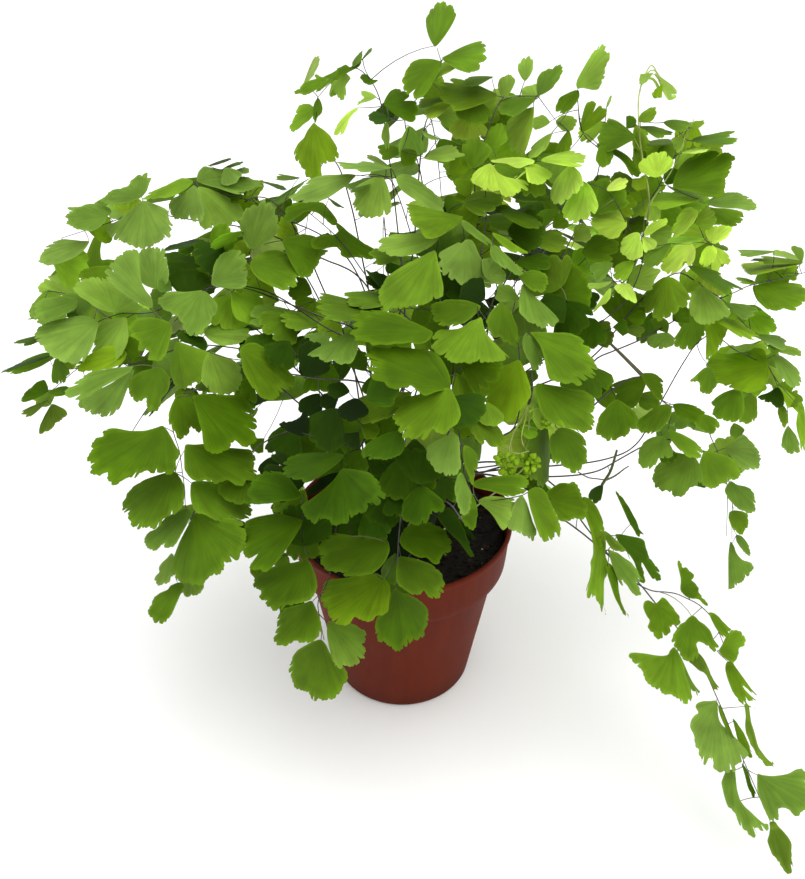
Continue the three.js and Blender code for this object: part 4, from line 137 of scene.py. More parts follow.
        (-85, 13.3, 210.2, -0.513, -0.614, -0.601, -0.21, -0.589, 0.781, 21.7, -60, 21.7, 21.7, 60, 8, -1, 26.93, ((0, 0), (3.1, 2), (7, 4.4), (11.4, 6), (14.9, 8.2), (16.5, 11.6), (14.9, 14.5), (11.7, 15), (9.2, 15.4), (6.5, 15.1), (2.9, 15.4), (-0.4, 16.9), (-3.1, 19.1), (-6.9, 19.8), (-9.9, 19.3), (-11.9, 16.8), (-11.5, 13.9), (-11.8, 11.3), (-11.4, 8.4), (-11.7, 5.7), (-10.3, 2.8), (-6.3, 1.1), (-2.9, 0.2))),
        (-73, 12.8, 210, 0.71, 0.048, -0.702, 0.687, -0.263, 0.677, 29, -60, 29, 29, 60, 14, 0, 1, ((-0, 0), (-2.6, 4.1), (-6.1, 8.4), (-8.7, 12.6), (-9, 16.5), (-9.8, 20.3), (-11.1, 24.5), (-9.5, 27.3), (-4.8, 25.9), (0.5, 22.9), (4.6, 21.4), (7.9, 18.5), (8.9, 14.4), (10.1, 11), (11.8, 7.7), (10.7, 4.7), (7, 2.4))),
        (-46.6, 5.1, 204, -0.982, -0.179, -0.065, -0.047, -0.103, 0.994, 18, -40, 17.8, 16.9, 36, 8, -1, 21.08, (2.4, 3.6, 7.6, 12.2, 16.9, 17.2, 17.2, 16.8, 17.2, 18.9, 19.3, 18.2, 18.2, 17.8, 17.8, 17.8, 17.7, 17.7, 17.6, 17.5, 17.4, 16.9, 17.1, 16.9, 12.2, 7.4, 4.1, 2.3)),
        (-84.8, 3.4, 193.9, 0.982, 0.188, 0.018, 0.01, -0.15, 0.989, 19.8, -60, 19.8, 19.8, 60, 12, -1, 28.48, ((0, 0), (-4.7, 1.5), (-7.8, 4.2), (-10.1, 7.8), (-10.2, 11.3), (-8.2, 14.6), (-4.1, 17.4), (0.6, 19.2), (4.8, 19.2), (7.3, 17.3), (8.8, 13.9), (9.5, 10), (8.8, 6.3), (5.5, 3.1))),
        (-94.3, -6.2, 196.3, 0.397, -0.652, -0.645, -0.635, -0.703, 0.32, 22.9, -60, 22.9, 22.9, 60, 9, 14, 1, ((0, 0), (-4.6, 3.8), (-9.4, 8.2), (-14.1, 12.5), (-13.8, 15.1), (-10.3, 17), (-7.9, 19.4), (-7, 21.8), (-3.2, 21.7), (-1, 19.3), (2.9, 19.2), (7.4, 18.9), (10.8, 16.7), (13.7, 13.9), (13.8, 10.5), (11.4, 7), (7.7, 4.1), (3.7, 1.8))),
        (-78, -21.7, 200.5, 0.416, -0.189, -0.889, 0.849, -0.268, 0.455, 21.5, -60, 21.5, 21.5, 60, 12, 7, 0.67, ((0, 0), (-3.6, 3.2), (-7.8, 6.7), (-11.5, 10.1), (-13.5, 13.5), (-12.4, 16.3), (-9.7, 18.8), (-6, 20.7), (-2.3, 20.7), (2.3, 19.1), (7.1, 17), (10.3, 14.3), (12.3, 11.3), (13.1, 8.1), (10.9, 5.1), (7.3, 2.3), (3.5, 1))),
        (-64.7, -25.2, 203.9, 0.732, -0.308, -0.607, 0.595, -0.142, 0.791, 27, -60, 27, 27, 60, 7, 13, 1, ((0, 0), (-6, 0.6), (-9.7, 2.7), (-10.9, 6.4), (-11.6, 9.8), (-11.8, 13.5), (-11.5, 17), (-11.3, 20.4), (-10.6, 23.6), (-7.5, 25.9), (-2.3, 25.6), (0.4, 23.8), (4.6, 24.1), (8.7, 24.4), (11.7, 23), (13.8, 21), (14, 18), (13.3, 14.5), (11.7, 10.9), (9.7, 7.5), (5.3, 3.8))),
        (-33.3, -4, 204.1, -0.98, -0.112, 0.167, 0.154, 0.119, 0.981, 16.6, -43, 17.4, 17.4, 46, 9, -1, 18.93, (2.2, 4.5, 7.5, 9.8, 15.6, 15.7, 15.5, 16.3, 16.4, 16.5, 17.2, 17.3, 17.3, 17.4, 17.4, 17.1, 17.1, 17.1, 17.1, 17.1, 17.1, 17.1, 17.7, 18.4, 18.4, 18.8, 19.1, 13.8, 8.1, 4.7, 2.3)),
        (-45.7, 6.9, 194.4, -0.816, -0.502, -0.286, -0.359, 0.052, 0.932, 16, -39, 17.2, 17.3, 44, 12, 3, 1, (1.3, 3.7, 7.3, 12.4, 18.6, 17.8, 17, 16.9, 16.1, 15.2, 15, 14.4, 14.1, 14.1, 14.1, 14.5, 14.5, 14.8, 14.8, 15.2, 15.9, 16.2, 16.6, 16.9, 17.3, 15.2, 7.5, 3.7, 1)),
        (-39.3, 21.3, 204.6, -0.934, 0.069, 0.351, 0.306, -0.353, 0.884, 10.7, -50, 11, 10.8, 51, 4, 15, 1, (1.4, 2.1, 4.1, 9.6, 10.3, 10.5, 10.8, 10.9, 10.9, 10.5, 10.5, 10.1, 9.7, 9.5, 9, 9.2, 9.8, 10.7, 10.7, 9.8, 9.5, 9.2, 4.7, 2.6, 1.3)),
        (-25.7, -11.7, 211.3, -0.512, -0.432, -0.743, -0.532, -0.52, 0.669, 10.4, -50, 10.9, 10.7, 50, 11, -1, 17.39, (0.5, 2, 3.7, 6.6, 10, 10.7, 10.8, 10.9, 10.6, 10.6, 10.7, 10.9, 10.9, 10.9, 10.9, 10.8, 11.3, 11.2, 13.1, 10.9, 6.2, 5.5, 3.4, 1.2)),
        (-41.1, -7.1, 199.4, -0.488, -0.468, -0.736, -0.512, -0.529, 0.676, 10.4, -50, 10.9, 10.7, 50, 4, 8, 1, (0.4, 1, 5.9, 8.5, 10, 9.7, 9.5, 12.4, 11.6, 12.1, 12, 12.2, 11.8, 12, 11.3, 10.8, 10.6, 11, 11.2, 10.9, 7.9, 2.6, 2, 0.4)),
        (-63.1, -18.1, 185.3, -0.403, -0.535, -0.743, -0.497, -0.554, 0.668, 10, -50, 10.5, 10.2, 50, 4, 16, 1, (1.3, 2.8, 5.9, 5.6, 11.6, 11.9, 10.8, 10.1, 10.2, 10.4, 10.5, 10.5, 10.7, 10.7, 10.5, 10.4, 10.4, 8.7, 8.8, 8.8, 5, 4.1, 1.9, 1.4)),
        (-84.6, -1.3, 193.1, -0.921, -0.196, 0.337, 0.382, -0.279, 0.881, 11.6, -60, 11.6, 11.6, 60, 2, 4, 1, ((-5.2, -1.5), (-3.5, 2.8), (-2.4, 7.1), (-1.6, 10.5), (1.4, 11.5), (3.8, 9.1), (2.4, 5.7), (2.8, 2.3), (2.9, -0.3), (-0.6, -2.2))),
        (-36.9, 12.9, 205.5, -0.926, -0.245, -0.287, -0.179, -0.385, 0.905, 8.1, -50, 8.4, 8.1, 50, 4, 3, 1, (1.1, 2.2, 4.3, 4.4, 8.3, 8.3, 8.4, 8.5, 8.5, 8.6, 8.6, 8.6, 10, 9.1, 9.9, 8.2, 7.8, 5.4, 3.3, 2.4, 1.1)),
        (-61.4, 1.7, 192.1, -0.974, -0.216, -0.071, 0.002, -0.321, 0.947, 7.2, -50, 7.4, 7.2, 51, 0, 9, 1, (0.3, 1.3, 1.3, 4.7, 7.2, 7.4, 7.5, 7.7, 8.1, 8.4, 8.7, 7.8, 6.9, 6.5, 8.6, 6.9, 1.5, 1.3, 0.3)),
        (-54.2, 23.5, 199.8, -0.934, 0.038, 0.355, 0.323, -0.337, 0.885, 7.4, -50, 7.6, 7.4, 51, 16, -1, 22.97, (0.3, 1.2, 1.3, 4.4, 7.8, 7.9, 7.8, 7.9, 7.9, 7.6, 7.1, 7, 6.9, 6.9, 6.8, 4.2, 2, 1.3, 0.3)),
        (-74.6, 21, 203.6, -0.087, -0.873, -0.48, 0.155, -0.488, 0.859, 14.1, -54, 16.3, 14.8, 65, 14, -1, 24.83, ()),
        (-35.4, 15.3, 204.1, 0.058, -0.653, -0.756, 0.068, -0.752, 0.655, 10.7, -54, 12.4, 11.7, 69, 7, 10, 0.23, ()),
    ]),
    "frond_05": (0, [(-5.5, -11.8, 89), (-5.6, -12.1, 97), (-5.7, -12.6, 105), (-5.7, -13.3, 112.9), (-5.7, -14.3, 120.9), (-5.7, -15.6, 128.8), (-5.8, -17.1, 136.6), (-5.8, -18.9, 144.4), (-5.9, -20.9, 152.2), (-6, -23.2, 159.9), (-6.2, -25.7, 167.5), (-6.6, -28.5, 175), (-7.2, -31.5, 182.4), (-8.2, -34.6, 189.7), (-10.1, -37.8, 196.8), (-14.1, -40.3, 203.1), (-21.3, -38.9, 205.1), (-27.8, -34.7, 203.1), (-33.8, -29.8, 201.1), (-39.6, -24.6, 199), (-45.2, -19.4, 196.8), (-51.2, -14.4, 194.8), (-57.6, -10, 193.2), (-64.4, -6, 191.9), (-71.7, -2.8, 191.1), (-79.5, -1.1, 191.2), (-87.5, -0.4, 191), (-95.3, -1.3, 189.8), (-102.9, -2.3, 187.6), (-110.3, -2.7, 184.5), (-117.6, -0.9, 182), (-124.5, 2.8, 180.5), (-131.2, 6.8, 179), (-138.2, 9.8, 176.6), (-145.1, 10.4, 172.6), (-151.3, 9.5, 167.7), (-157.6, 8.5, 162.8)], [
        (-159.9, 20.7, 173.4, -0.935, -0.326, -0.143, -0.246, 0.302, 0.921, 22.7, -34, 23.1, 22.7, 34, 2, -1, 35.01, (2.7, 2.6, 9.6, 16.3, 22.7, 22.8, 22.8, 22.9, 22.4, 22, 22.1, 21.6, 21.7, 21.2, 21.2, 20.3, 20.3, 20.3, 20.3, 20.3, 20.7, 20.7, 21.1, 21.5, 21.9, 22.4, 22.8, 22.7, 17.3, 12.6, 4.6, 3)),
        (-152.5, 9.7, 179.3, 0.182, -0.595, -0.783, -0.6, -0.698, 0.391, 12.4, -46, 13.1, 12.7, 41, 6, -1, 34, (0.9, 2.8, 3.4, 9.1, 11.4, 11.8, 11.6, 11.2, 10.8, 10.6, 12.8, 12.8, 12.6, 12.6, 11.5, 12, 12, 12.2, 12.6, 12, 12.4, 8.8, 5.1, 3, 1.7)),
        (-157, 2.3, 166.2, -0.92, 0.379, -0.1, -0.181, -0.186, 0.966, 11.6, -55, 11.3, 10.4, 44, 4, -1, 36, (1.6, 3.2, 5.5, 9.4, 12.8, 12.2, 11.5, 11.4, 11.4, 11.1, 10.9, 10.6, 10.2, 10.2, 9.9, 10.3, 10.2, 10.7, 10.6, 10.4, 10.2, 7.2, 3.7, 2.5, 1.4)),
        (-156.7, 1.1, 165.9, 0.998, 0.056, 0.019, -0.022, 0.051, 0.998, 10.9, -51, 9.6, 8.2, 38, 7, 2, 1, (1.5, 3.5, 6.4, 8.9, 9.8, 9.3, 10.1, 9.9, 9.7, 9.5, 9.4, 9.4, 9.3, 8.2, 8.1, 6.4, 6.2, 5.8, 3.6, 2.1, 1.1)),
        (-156.8, -0.5, 163.2, -0.678, -0.708, -0.198, -0.296, 0.015, 0.955, 13.3, -20, 13.5, 13.1, 27, 5, 3, 1, (0.5, 1.3, 5.7, 11.3, 12.8, 12.6, 12.6, 12.9, 12.1, 12.7, 12.3, 13.1, 13, 12.8, 10, 5.9, 3.1, 1)),
        (-154.8, -1.9, 162, 0.31, -0.796, -0.52, -0.439, -0.605, 0.665, 11.8, -48, 14.1, 14.5, 52, 5, 4, 1, (0.5, 1.2, 2.3, 3.7, 10.6, 11.2, 11.5, 11.1, 10.6, 10.2, 9.9, 9.7, 9.5, 9.6, 9.6, 9.9, 10.2, 10.8, 11.1, 11.9, 12.8, 13.2, 13.8, 14.4, 14.5, 12.3, 2.6, 1.5, 0.7)),
        (-112.4, -11.9, 187.6, -0.801, -0.591, -0.095, 0.024, -0.191, 0.981, 30.8, -60, 30.8, 30.8, 60, 8, -1, 29.2, ((-0, -0), (1.8, 3.7), (3.9, 7.7), (5.1, 11.6), (6.9, 15.2), (6.2, 19.6), (4.7, 23.7), (3.2, 27.9), (1.6, 30.8), (-2.2, 29.4), (-5.2, 27.3), (-6.5, 24.4), (-5.7, 21.5), (-4.3, 17.3), (-3.8, 12.7), (-3.4, 8), (-2.4, 3))),
        (-116.1, -0.5, 179.8, -0.616, -0.584, -0.529, -0.369, -0.38, 0.848, 27.9, -60, 27.9, 27.9, 60, 10, -1, 30.57, ((0, 0), (0.4, 3.6), (2.6, 7.1), (4.9, 11.7), (7.7, 16), (10.5, 20.4), (12.8, 23.8), (9.7, 26.2), (5.6, 27.4), (1.8, 26.5), (-1.6, 25.2), (-5.8, 24.6), (-8.3, 22.2), (-9.9, 19.6), (-9.8, 16.3), (-7.9, 12.9), (-6, 9.4), (-4.1, 5.3), (-2.6, 2.1))),
        (-101.2, -16.1, 189.6, -0.32, -0.441, -0.838, -0.608, -0.583, 0.539, 19.7, -60, 19.7, 19.7, 60, 6, 6, 1, ((0, 0), (4.6, 2.3), (9.4, 4.6), (13.1, 7.5), (15, 11.2), (13.4, 14.3), (10.7, 16.6), (6.5, 17.5), (2.9, 15.9), (1.8, 13.7), (-0, 15.8), (-1.4, 18.5), (-4.9, 18.2), (-8.2, 16.2), (-8.9, 13.4), (-7.7, 11.1), (-9.6, 9.2), (-11.1, 6.6), (-11.2, 4), (-9.3, 1.6), (-5.1, 0.2))),
        (-107.5, -0.1, 184.8, -0.711, -0.514, -0.48, -0.252, -0.452, 0.856, 9.4, -49, 9.7, 9.2, 51, 4, -1, 28.77, (0.6, 2.4, 4.2, 4.2, 8.1, 9.7, 9.7, 9.6, 10, 10.1, 10.1, 9.7, 9.7, 9.8, 9, 8.5, 9.9, 9.8, 8.9, 4.4, 2.3, 0.4)),
        (-88, -15.1, 177.7, -0.82, -0.446, -0.359, -0.198, -0.366, 0.909, 7.5, -49, 7.7, 7.4, 51, 7, -1, 26.76, (1, 2.3, 4.2, 5.4, 5.7, 5.4, 4.9, 7.5, 7.5, 9.2, 8.1, 8.1, 9.5, 7.5, 8.3, 4.6, 4.4, 1.5, 0.6)),
        (-12.9, -36.9, 206.3, 0.837, 0.422, 0.348, 0.118, -0.761, 0.638, 12.7, -61, 14.6, 13.8, 68, 6, -1, 15.04, ()),
        (-45.2, -21.7, 205.2, -0.538, -0.499, -0.679, -0.108, -0.759, 0.642, 10.6, -45, 11.4, 10.4, 50, 2, -1, 19.52, ()),
        (-145.7, 7, 174.5, -0.471, 0.831, 0.295, -0.163, -0.411, 0.897, 8.3, -44, 10, 8.1, 47, 18, -1, 33.91, ()),
        (-157, 10.8, 161.2, -0.759, -0.591, -0.273, -0.154, -0.243, 0.958, 9.1, -46, 10, 9.4, 43, 15, -1, 36, ()),
        (-139.6, 1.5, 167.4, 0.366, -0.249, -0.897, 0.647, -0.625, 0.437, 7.8, -70, 8.4, 8.1, 57, 13, -1, 33.65, ()),
        (-57.5, -12.8, 192.3, -0.371, 0.806, 0.462, -0.06, -0.517, 0.854, 11, -69, 11.6, 10.6, 55, 3, -1, 21.82, ()),
        (-123.3, 11.9, 185.3, 0.7, -0.548, -0.457, -0.25, -0.788, 0.563, 9.1, -70, 10, 8.6, 67, 7, -1, 31.34, ()),
        (-86.2, -12.2, 167.7, -0.971, 0.04, 0.237, 0.205, -0.38, 0.902, 10, -64, 11, 9.9, 59, 6, 10, 0.95, ()),
        (-31.1, -25.3, 205.2, -0.984, -0.171, -0.054, 0.045, -0.528, 0.848, 8.9, -44, 9.5, 7.8, 39, 1, -1, 17.96, ()),
        (-122, 0.5, 175.8, 0.979, -0.017, -0.203, 0.125, -0.738, 0.664, 10.4, -50, 10.7, 10.3, 51, 10, 7, 0.39, ()),
        (-118.3, 1.8, 185.9, -0.958, -0.262, -0.117, 0, -0.406, 0.914, 22.9, -60, 22.9, 22.9, 60, 11, -1, 30, ((0, 0), (4.2, 2.8), (6.5, 6.8), (6.1, 11.2), (4.5, 14.9), (2.8, 18.5), (1.5, 21.7), (-0.8, 22.8), (-3.6, 21.1), (-4.8, 17), (-5.5, 12.8), (-5.9, 7.8), (-5.1, 3.3))),
    ]),
    "frond_06": (0, [(-0.9, -13, 89), (-1, -13.4, 97.1), (-1.2, -14, 105.1), (-1.3, -14.9, 113.1), (-1.4, -16, 121.1), (-1.4, -17.6, 129), (-1.5, -19.4, 136.9), (-1.7, -21.6, 144.7), (-1.9, -24, 152.4), (-2.2, -26.8, 160), (-2.6, -29.8, 167.4), (-3.3, -33.1, 174.8), (-4.3, -36.7, 182), (-5.8, -40.5, 188.9), (-8.3, -44.4, 195.5), (-13.2, -47.5, 201), (-20.8, -47.1, 202.4), (-27.7, -43.5, 200.2), (-33.7, -38.6, 198.2), (-38.5, -32.8, 195.3), (-41.9, -26.3, 191.9), (-45, -19.8, 188.3), (-49.2, -13.7, 185.1), (-56.5, -11.2, 184.2), (-64.5, -12.3, 183.8), (-72.2, -14, 182.3), (-79, -18.1, 181.9), (-85.9, -22.3, 182), (-93.2, -24.8, 180), (-94.6, -31.3, 175.6), (-93, -38, 171.4), (-90.2, -44, 166.9), (-88.9, -49.1, 160.8), (-87.7, -54, 154.5)], [
        (-91.1, -31.4, 185.1, 0.306, -0.423, -0.853, 0.866, -0.248, 0.434, 19.4, -60, 19.4, 19.4, 60, 7, -1, 28.01, ((0.6, -0.1), (4.7, 2.3), (8.3, 5.2), (10, 8.1), (9.9, 10.2), (8.6, 12.7), (8.7, 15.2), (6.8, 16.6), (3.2, 16.3), (-0.3, 15.1), (-2.2, 13), (-3.2, 15), (-5.6, 17), (-9.1, 17.1), (-10.8, 13.1), (-10.3, 7.7), (-8.9, 3.9), (-6.9, 1.2), (-3.5, -0))),
        (-82.1, -41.6, 191.2, 0.825, -0.187, -0.533, 0.532, -0.058, 0.845, 31.5, -60, 31.5, 31.5, 60, 4, 0, 1, ((-0.2, -0.5), (-4.1, 1.5), (-9, 5.1), (-13.3, 9.5), (-20.1, 14.1), (-24.6, 17.2), (-24, 20.4), (-20.1, 22.3), (-15.2, 23.1), (-11.2, 23.2), (-10.4, 25.4), (-8.3, 27.1), (-5.3, 27.3), (-2.7, 26.3), (-1.9, 28.5), (2, 29.9), (6.8, 28.9), (9.2, 26.6), (8.7, 24.1), (8.2, 22.5), (11.3, 22.4), (15.7, 22.3), (18.9, 20), (21.4, 17.5), (21, 15.1), (17.9, 12.5), (14.2, 10.5), (10.3, 7), (4.9, 3.4))),
        (-84.2, -55.2, 177.3, 0.856, -0.302, -0.419, 0.421, -0.063, 0.905, 29.9, -60, 29.9, 29.9, 60, 6, 4, 1, ((-0.7, -0.8), (-3.2, 2.3), (-6.8, 5), (-7.8, 8.2), (-11, 12), (-15.3, 16.9), (-18, 20.2), (-16.4, 23.4), (-13.2, 25), (-10.5, 25.4), (-9.6, 27.6), (-6.5, 29.2), (-3, 28.6), (-1.1, 26.8), (3, 27.1), (4.8, 25.3), (4.3, 22.8), (4.6, 21.1), (7, 20.1), (10.5, 18.8), (11.5, 16.2), (11, 14.6), (13.8, 13.9), (14.9, 11.4), (14.4, 8.9), (12.3, 6), (7.5, 3.3), (3.6, 1.1))),
        (-95.7, -40.7, 176.7, -0.592, -0.749, -0.298, -0.212, -0.212, 0.954, 33.5, -60, 33.5, 33.5, 60, 4, -1, 29.95, ((0.8, -0.2), (2.8, 2.6), (5.6, 5.7), (11.7, 8.8), (19.3, 10.6), (22.6, 12.9), (22.5, 14.7), (20.3, 16), (22.3, 18.2), (22.6, 20.7), (19.9, 23), (18.1, 25), (18.4, 27), (15.9, 28.6), (12.9, 28.8), (10.8, 31.8), (7.5, 32.4), (5.1, 31.2), (4.4, 29.1), (2.3, 29.2), (-0.1, 31.3), (-3.3, 31.9), (-5.3, 30.9), (-5.6, 28.5), (-5.9, 26.1), (-8.3, 26), (-9.8, 24.7), (-9.4, 22.1), (-10.9, 20.2), (-12.8, 19.8), (-15.2, 20.2), (-16.3, 18.5), (-18.2, 17.6), (-20.5, 17.5), (-22.4, 16.5), (-22.4, 14.3), (-18.9, 11), (-18.5, 9), (-17, 6.9), (-13, 5.4), (-8.2, 3.1), (-3.7, 1.2))),
        (-89.8, -55.2, 164.6, -0.537, -0.669, -0.514, -0.455, -0.284, 0.844, 27.7, -60, 27.7, 27.7, 60, 6, -1, 32.1, ((0.9, -0.2), (5.3, 2.4), (9.4, 5.3), (13.5, 8.3), (16.8, 12), (18.6, 15.1), (17.7, 19.3), (16.9, 21.9), (13.1, 23.9), (9.2, 23.3), (7, 25.3), (3.5, 26.4), (-0.3, 27.2), (-3.3, 26), (-4.6, 24.6), (-7.4, 23.9), (-11.2, 22.9), (-12.1, 21.2), (-10.2, 18.2), (-12.3, 16.9), (-14.3, 14.2), (-15.4, 12), (-14.7, 9.4), (-12, 6.2), (-8.8, 3.1), (-5.1, 1.5))),
        (-82.7, -60.7, 162.8, 0.839, -0.206, -0.504, 0.518, 0.019, 0.855, 26.7, -60, 26.7, 26.7, 60, 9, 4, 1, ((-0.8, -0.8), (-4.4, 1.9), (-6.6, 4.7), (-9, 7.1), (-12.1, 9.2), (-15.6, 12.6), (-17.4, 15.8), (-18.1, 18.9), (-13.5, 21.4), (-9.2, 23.4), (-5.7, 26.1), (-1.3, 26.2), (2.2, 24.2), (3.3, 22.3), (4.4, 20.4), (8, 19), (11.6, 17.6), (12.9, 15.5), (12.7, 12.7), (13.1, 10.2), (15, 8.3), (13.6, 6), (10.6, 3.8), (6.1, 1.6))),
        (-85.3, -64.2, 152.4, -0.666, -0.554, -0.5, -0.457, -0.227, 0.86, 21.8, -60, 21.8, 21.8, 60, 8, -1, 33, ((0.4, -0.8), (3.3, 1.9), (5.3, 5.2), (7.3, 8), (6.5, 11.3), (6.6, 14.1), (9.1, 16.6), (8.2, 19.4), (5.1, 21.2), (0.9, 20.8), (-2.3, 20.4), (-3.7, 18.5), (-3.8, 16.3), (-7.4, 15.7), (-9.7, 13.8), (-9, 10.6), (-7.4, 6.8), (-5.8, 3), (-3.7, 0))),
        (-56.6, -36.1, 167.5, -0.74, -0.469, -0.483, -0.341, -0.358, 0.87, 6.8, -50, 7, 6.8, 51, 4, -1, 21.43, (6.4, 6, 7.9, 6.8, 6.6, 6.6, 6.6, 6.5, 6.5, 6.4, 4.8)),
        (-38.3, -40.4, 200.5, 0.571, 0.228, 0.789, -0.56, -0.595, 0.577, 11.9, -54, 13.5, 12.1, 49, 1, -1, 18.08, ()),
    ]),
    "frond_07": (0, [(4.2, -12.3, 89), (4, -12.8, 96.9), (3.8, -13.5, 104.7), (3.6, -14.5, 112.5), (3.3, -15.8, 120.3), (3, -17.4, 128.1), (2.5, -19.3, 135.7), (2.1, -21.6, 143.2), (1.6, -24.2, 150.6), (1, -27.1, 157.9), (0.2, -30.4, 165), (-0.9, -34.1, 171.8), (-2.4, -38.2, 178.4), (-4.6, -42.7, 184.5), (-8.1, -47.5, 189.7), (-13.8, -51.8, 192.7), (-21.2, -53.9, 191.7), (-28.3, -53.7, 188.3), (-35.4, -52.5, 185.2), (-42.5, -51.1, 182), (-49, -49.2, 178.1), (-54.5, -46.4, 173.2), (-59.1, -43.2, 167.6), (-63.9, -41.6, 161.7), (-69.2, -44.9, 157.2), (-74, -50.6, 154.7), (-79.5, -55.1, 151.4), (-84.5, -57.9, 146), (-87, -60.3, 139), (-88.8, -62.5, 131.7), (-91.2, -64.8, 124.5), (-93.7, -67, 117.4)], [
        (-81.6, -67.2, 152.4, 0.34, -0.86, -0.381, -0.598, -0.51, 0.618, 30.8, -60, 30.8, 30.8, 60, 6, -1, 26.61, ((0.2, -1.1), (-4.3, 1.7), (-8.2, 5.6), (-12.7, 9.3), (-17.6, 11.8), (-20, 14.6), (-19.9, 19.1), (-19, 22.9), (-16.8, 25.5), (-15, 25.8), (-13.7, 27.6), (-10.5, 27.1), (-7.5, 25.8), (-6.4, 25.6), (-5.5, 28.1), (-3, 28.4), (0.5, 26.9), (2.1, 26.4), (4.4, 27.7), (7.2, 27.4), (10.7, 25.5), (13.8, 22.4), (17, 21), (19.6, 17.8), (21.6, 14.8), (22.4, 11.7), (20.4, 9.6), (16.4, 7.3), (12.4, 5), (7.9, 3.1), (3.5, 1.1))),
        (-79.7, -57, 145.6, 0.833, -0.246, -0.495, 0.529, 0.094, 0.843, 19.9, -36, 21.1, 21.4, 42, 2, -1, 26.61, (2.2, 5, 8.9, 14.6, 20.3, 20.5, 21.4, 20.8, 19.3, 18.6, 20.4, 20.5, 20.6, 20.6, 22.8, 22.4, 22.4, 22.4, 22.4, 21.6, 21.6, 21.6, 22, 22.1, 22.1, 22.1, 23.9, 25.2, 25.7, 14.8, 8.7, 2.7, 2.6)),
        (-85.7, -62.9, 124.8, -0.042, -0.721, -0.692, -0.654, -0.504, 0.564, 14.4, -31, 15.1, 15.3, 37, 12, -1, 29.72, (1.3, 3.7, 6.6, 11.8, 13.5, 14, 14.1, 14.3, 14.4, 14.8, 14.8, 14.8, 15.1, 15.1, 15.2, 15.2, 15.2, 15.9, 15.3, 11, 6.9, 3.7, 1.5)),
        (-92.8, -67.9, 132.5, -0.415, -0.671, -0.614, -0.564, -0.34, 0.753, 13.4, -60, 13.4, 13.4, 60, 10, -1, 29.3, ((1.2, -0.6), (2.3, 2.5), (4.4, 5.3), (4.4, 8), (2.3, 8.7), (4, 11), (2.3, 13.1), (-1, 13.4), (-4.1, 12), (-5.8, 9.7), (-5.8, 6.2), (-4.1, 2.4))),
        (-90.5, -74.3, 122.1, -0.609, -0.451, -0.653, -0.543, -0.362, 0.757, 18.2, -60, 18.2, 18.2, 60, 6, -1, 30.57, ((2.4, 1.7), (0.3, -0.8), (-3.6, -1.5), (-4.2, 1.6), (-5.6, 5.3), (-6.9, 9.4), (-7.3, 13.7), (-5.5, 16.5), (-2, 18), (2.2, 17.9), (5, 17.4), (5.8, 14.9), (6.9, 12), (5.9, 8.7), (3.1, 5.2), (3.6, 3.5))),
        (-36.9, -80.2, 172.2, -0.966, 0.179, 0.185, 0.189, 0.002, 0.982, 20.5, -60, 20.5, 20.5, 60, 3, 6, 1, ((-0.4, -0.5), (2.7, 2.7), (7.6, 6.4), (11.3, 10.2), (11.5, 14.2), (9.3, 17.5), (5.1, 19.4), (-0.5, 20), (-6, 19.4), (-10.3, 17.7), (-10.9, 14.9), (-9.2, 10.8), (-6.3, 7.1), (-3.8, 2.8))),
        (-37.5, -80.6, 161, -0.906, -0.316, -0.282, -0.265, -0.097, 0.959, 23.6, -40, 25.1, 25.8, 40, 4, 7, 0.67, (1.6, 5.2, 10, 17, 23.6, 23.8, 24.4, 25.5, 25.7, 25.8, 26.5, 26.6, 26.2, 25.8, 24.9, 25, 25, 25.1, 24.6, 24.1, 24.1, 25.1, 25.1, 25.2, 25.2, 25.8, 26.3, 24.4, 24.4, 24.5, 24.6, 24.6, 24.7, 22.2, 18.6, 14.5, 6.2, 2.5)),
        (-36.3, -83.6, 142.9, -0.71, -0.56, -0.428, -0.435, -0.13, 0.891, 25.2, -60, 25.2, 25.2, 60, 6, 8, 1, ((0.9, -0.6), (3.3, 2.1), (5.8, 4.7), (10.4, 7.1), (12.9, 10.9), (16.3, 14.2), (16.6, 17.2), (15.1, 20.2), (11.5, 21.8), (8.6, 20.4), (5.6, 21.2), (4.6, 22.8), (0.9, 22.5), (-2.8, 22.7), (-6.9, 22.1), (-8.9, 20.3), (-8.8, 17.1), (-11.5, 15.8), (-13, 13.2), (-15.3, 11.2), (-15.3, 8.6), (-14.4, 5.4), (-10.4, 2.7), (-5, 0.7))),
        (-40.4, -65.5, 144.3, 0.12, -0.631, -0.767, -0.592, -0.665, 0.455, 13, -50, 13.6, 13.4, 50, 4, 10, 1, (1.7, 2.5, 5.3, 11, 11.7, 12.1, 12.9, 14.1, 14.7, 13.2, 13, 13, 12.8, 12.5, 12.5, 12.8, 13, 13.3, 13.5, 13.5, 14, 13.5, 13.4, 13.4, 9.6, 5.9, 3.2, 1.3)),
        (-50.4, -52.2, 170, -0.418, -0.579, -0.7, -0.513, -0.486, 0.708, 8.9, -50, 9.2, 9, 50, 1, -1, 20.8, (1, 2.2, 4, 6.4, 8.9, 9, 9, 9.1, 9.1, 9.2, 9.2, 9, 8.8, 8.8, 10.2, 10.2, 8.9, 8.6, 6.5, 4.5, 2.7, 1.2)),
        (-47, -60.5, 155.4, -0.275, -0.624, -0.732, -0.557, -0.517, 0.65, 7.6, -50, 7.9, 7.7, 50, 5, 11, 0.67, (0.4, 1.5, 3, 5.1, 7.3, 7.4, 7.5, 7.5, 7.6, 7.7, 7.7, 7.7, 7.7, 7.2, 7.6, 7.7, 7.4, 3.6, 2, 1)),
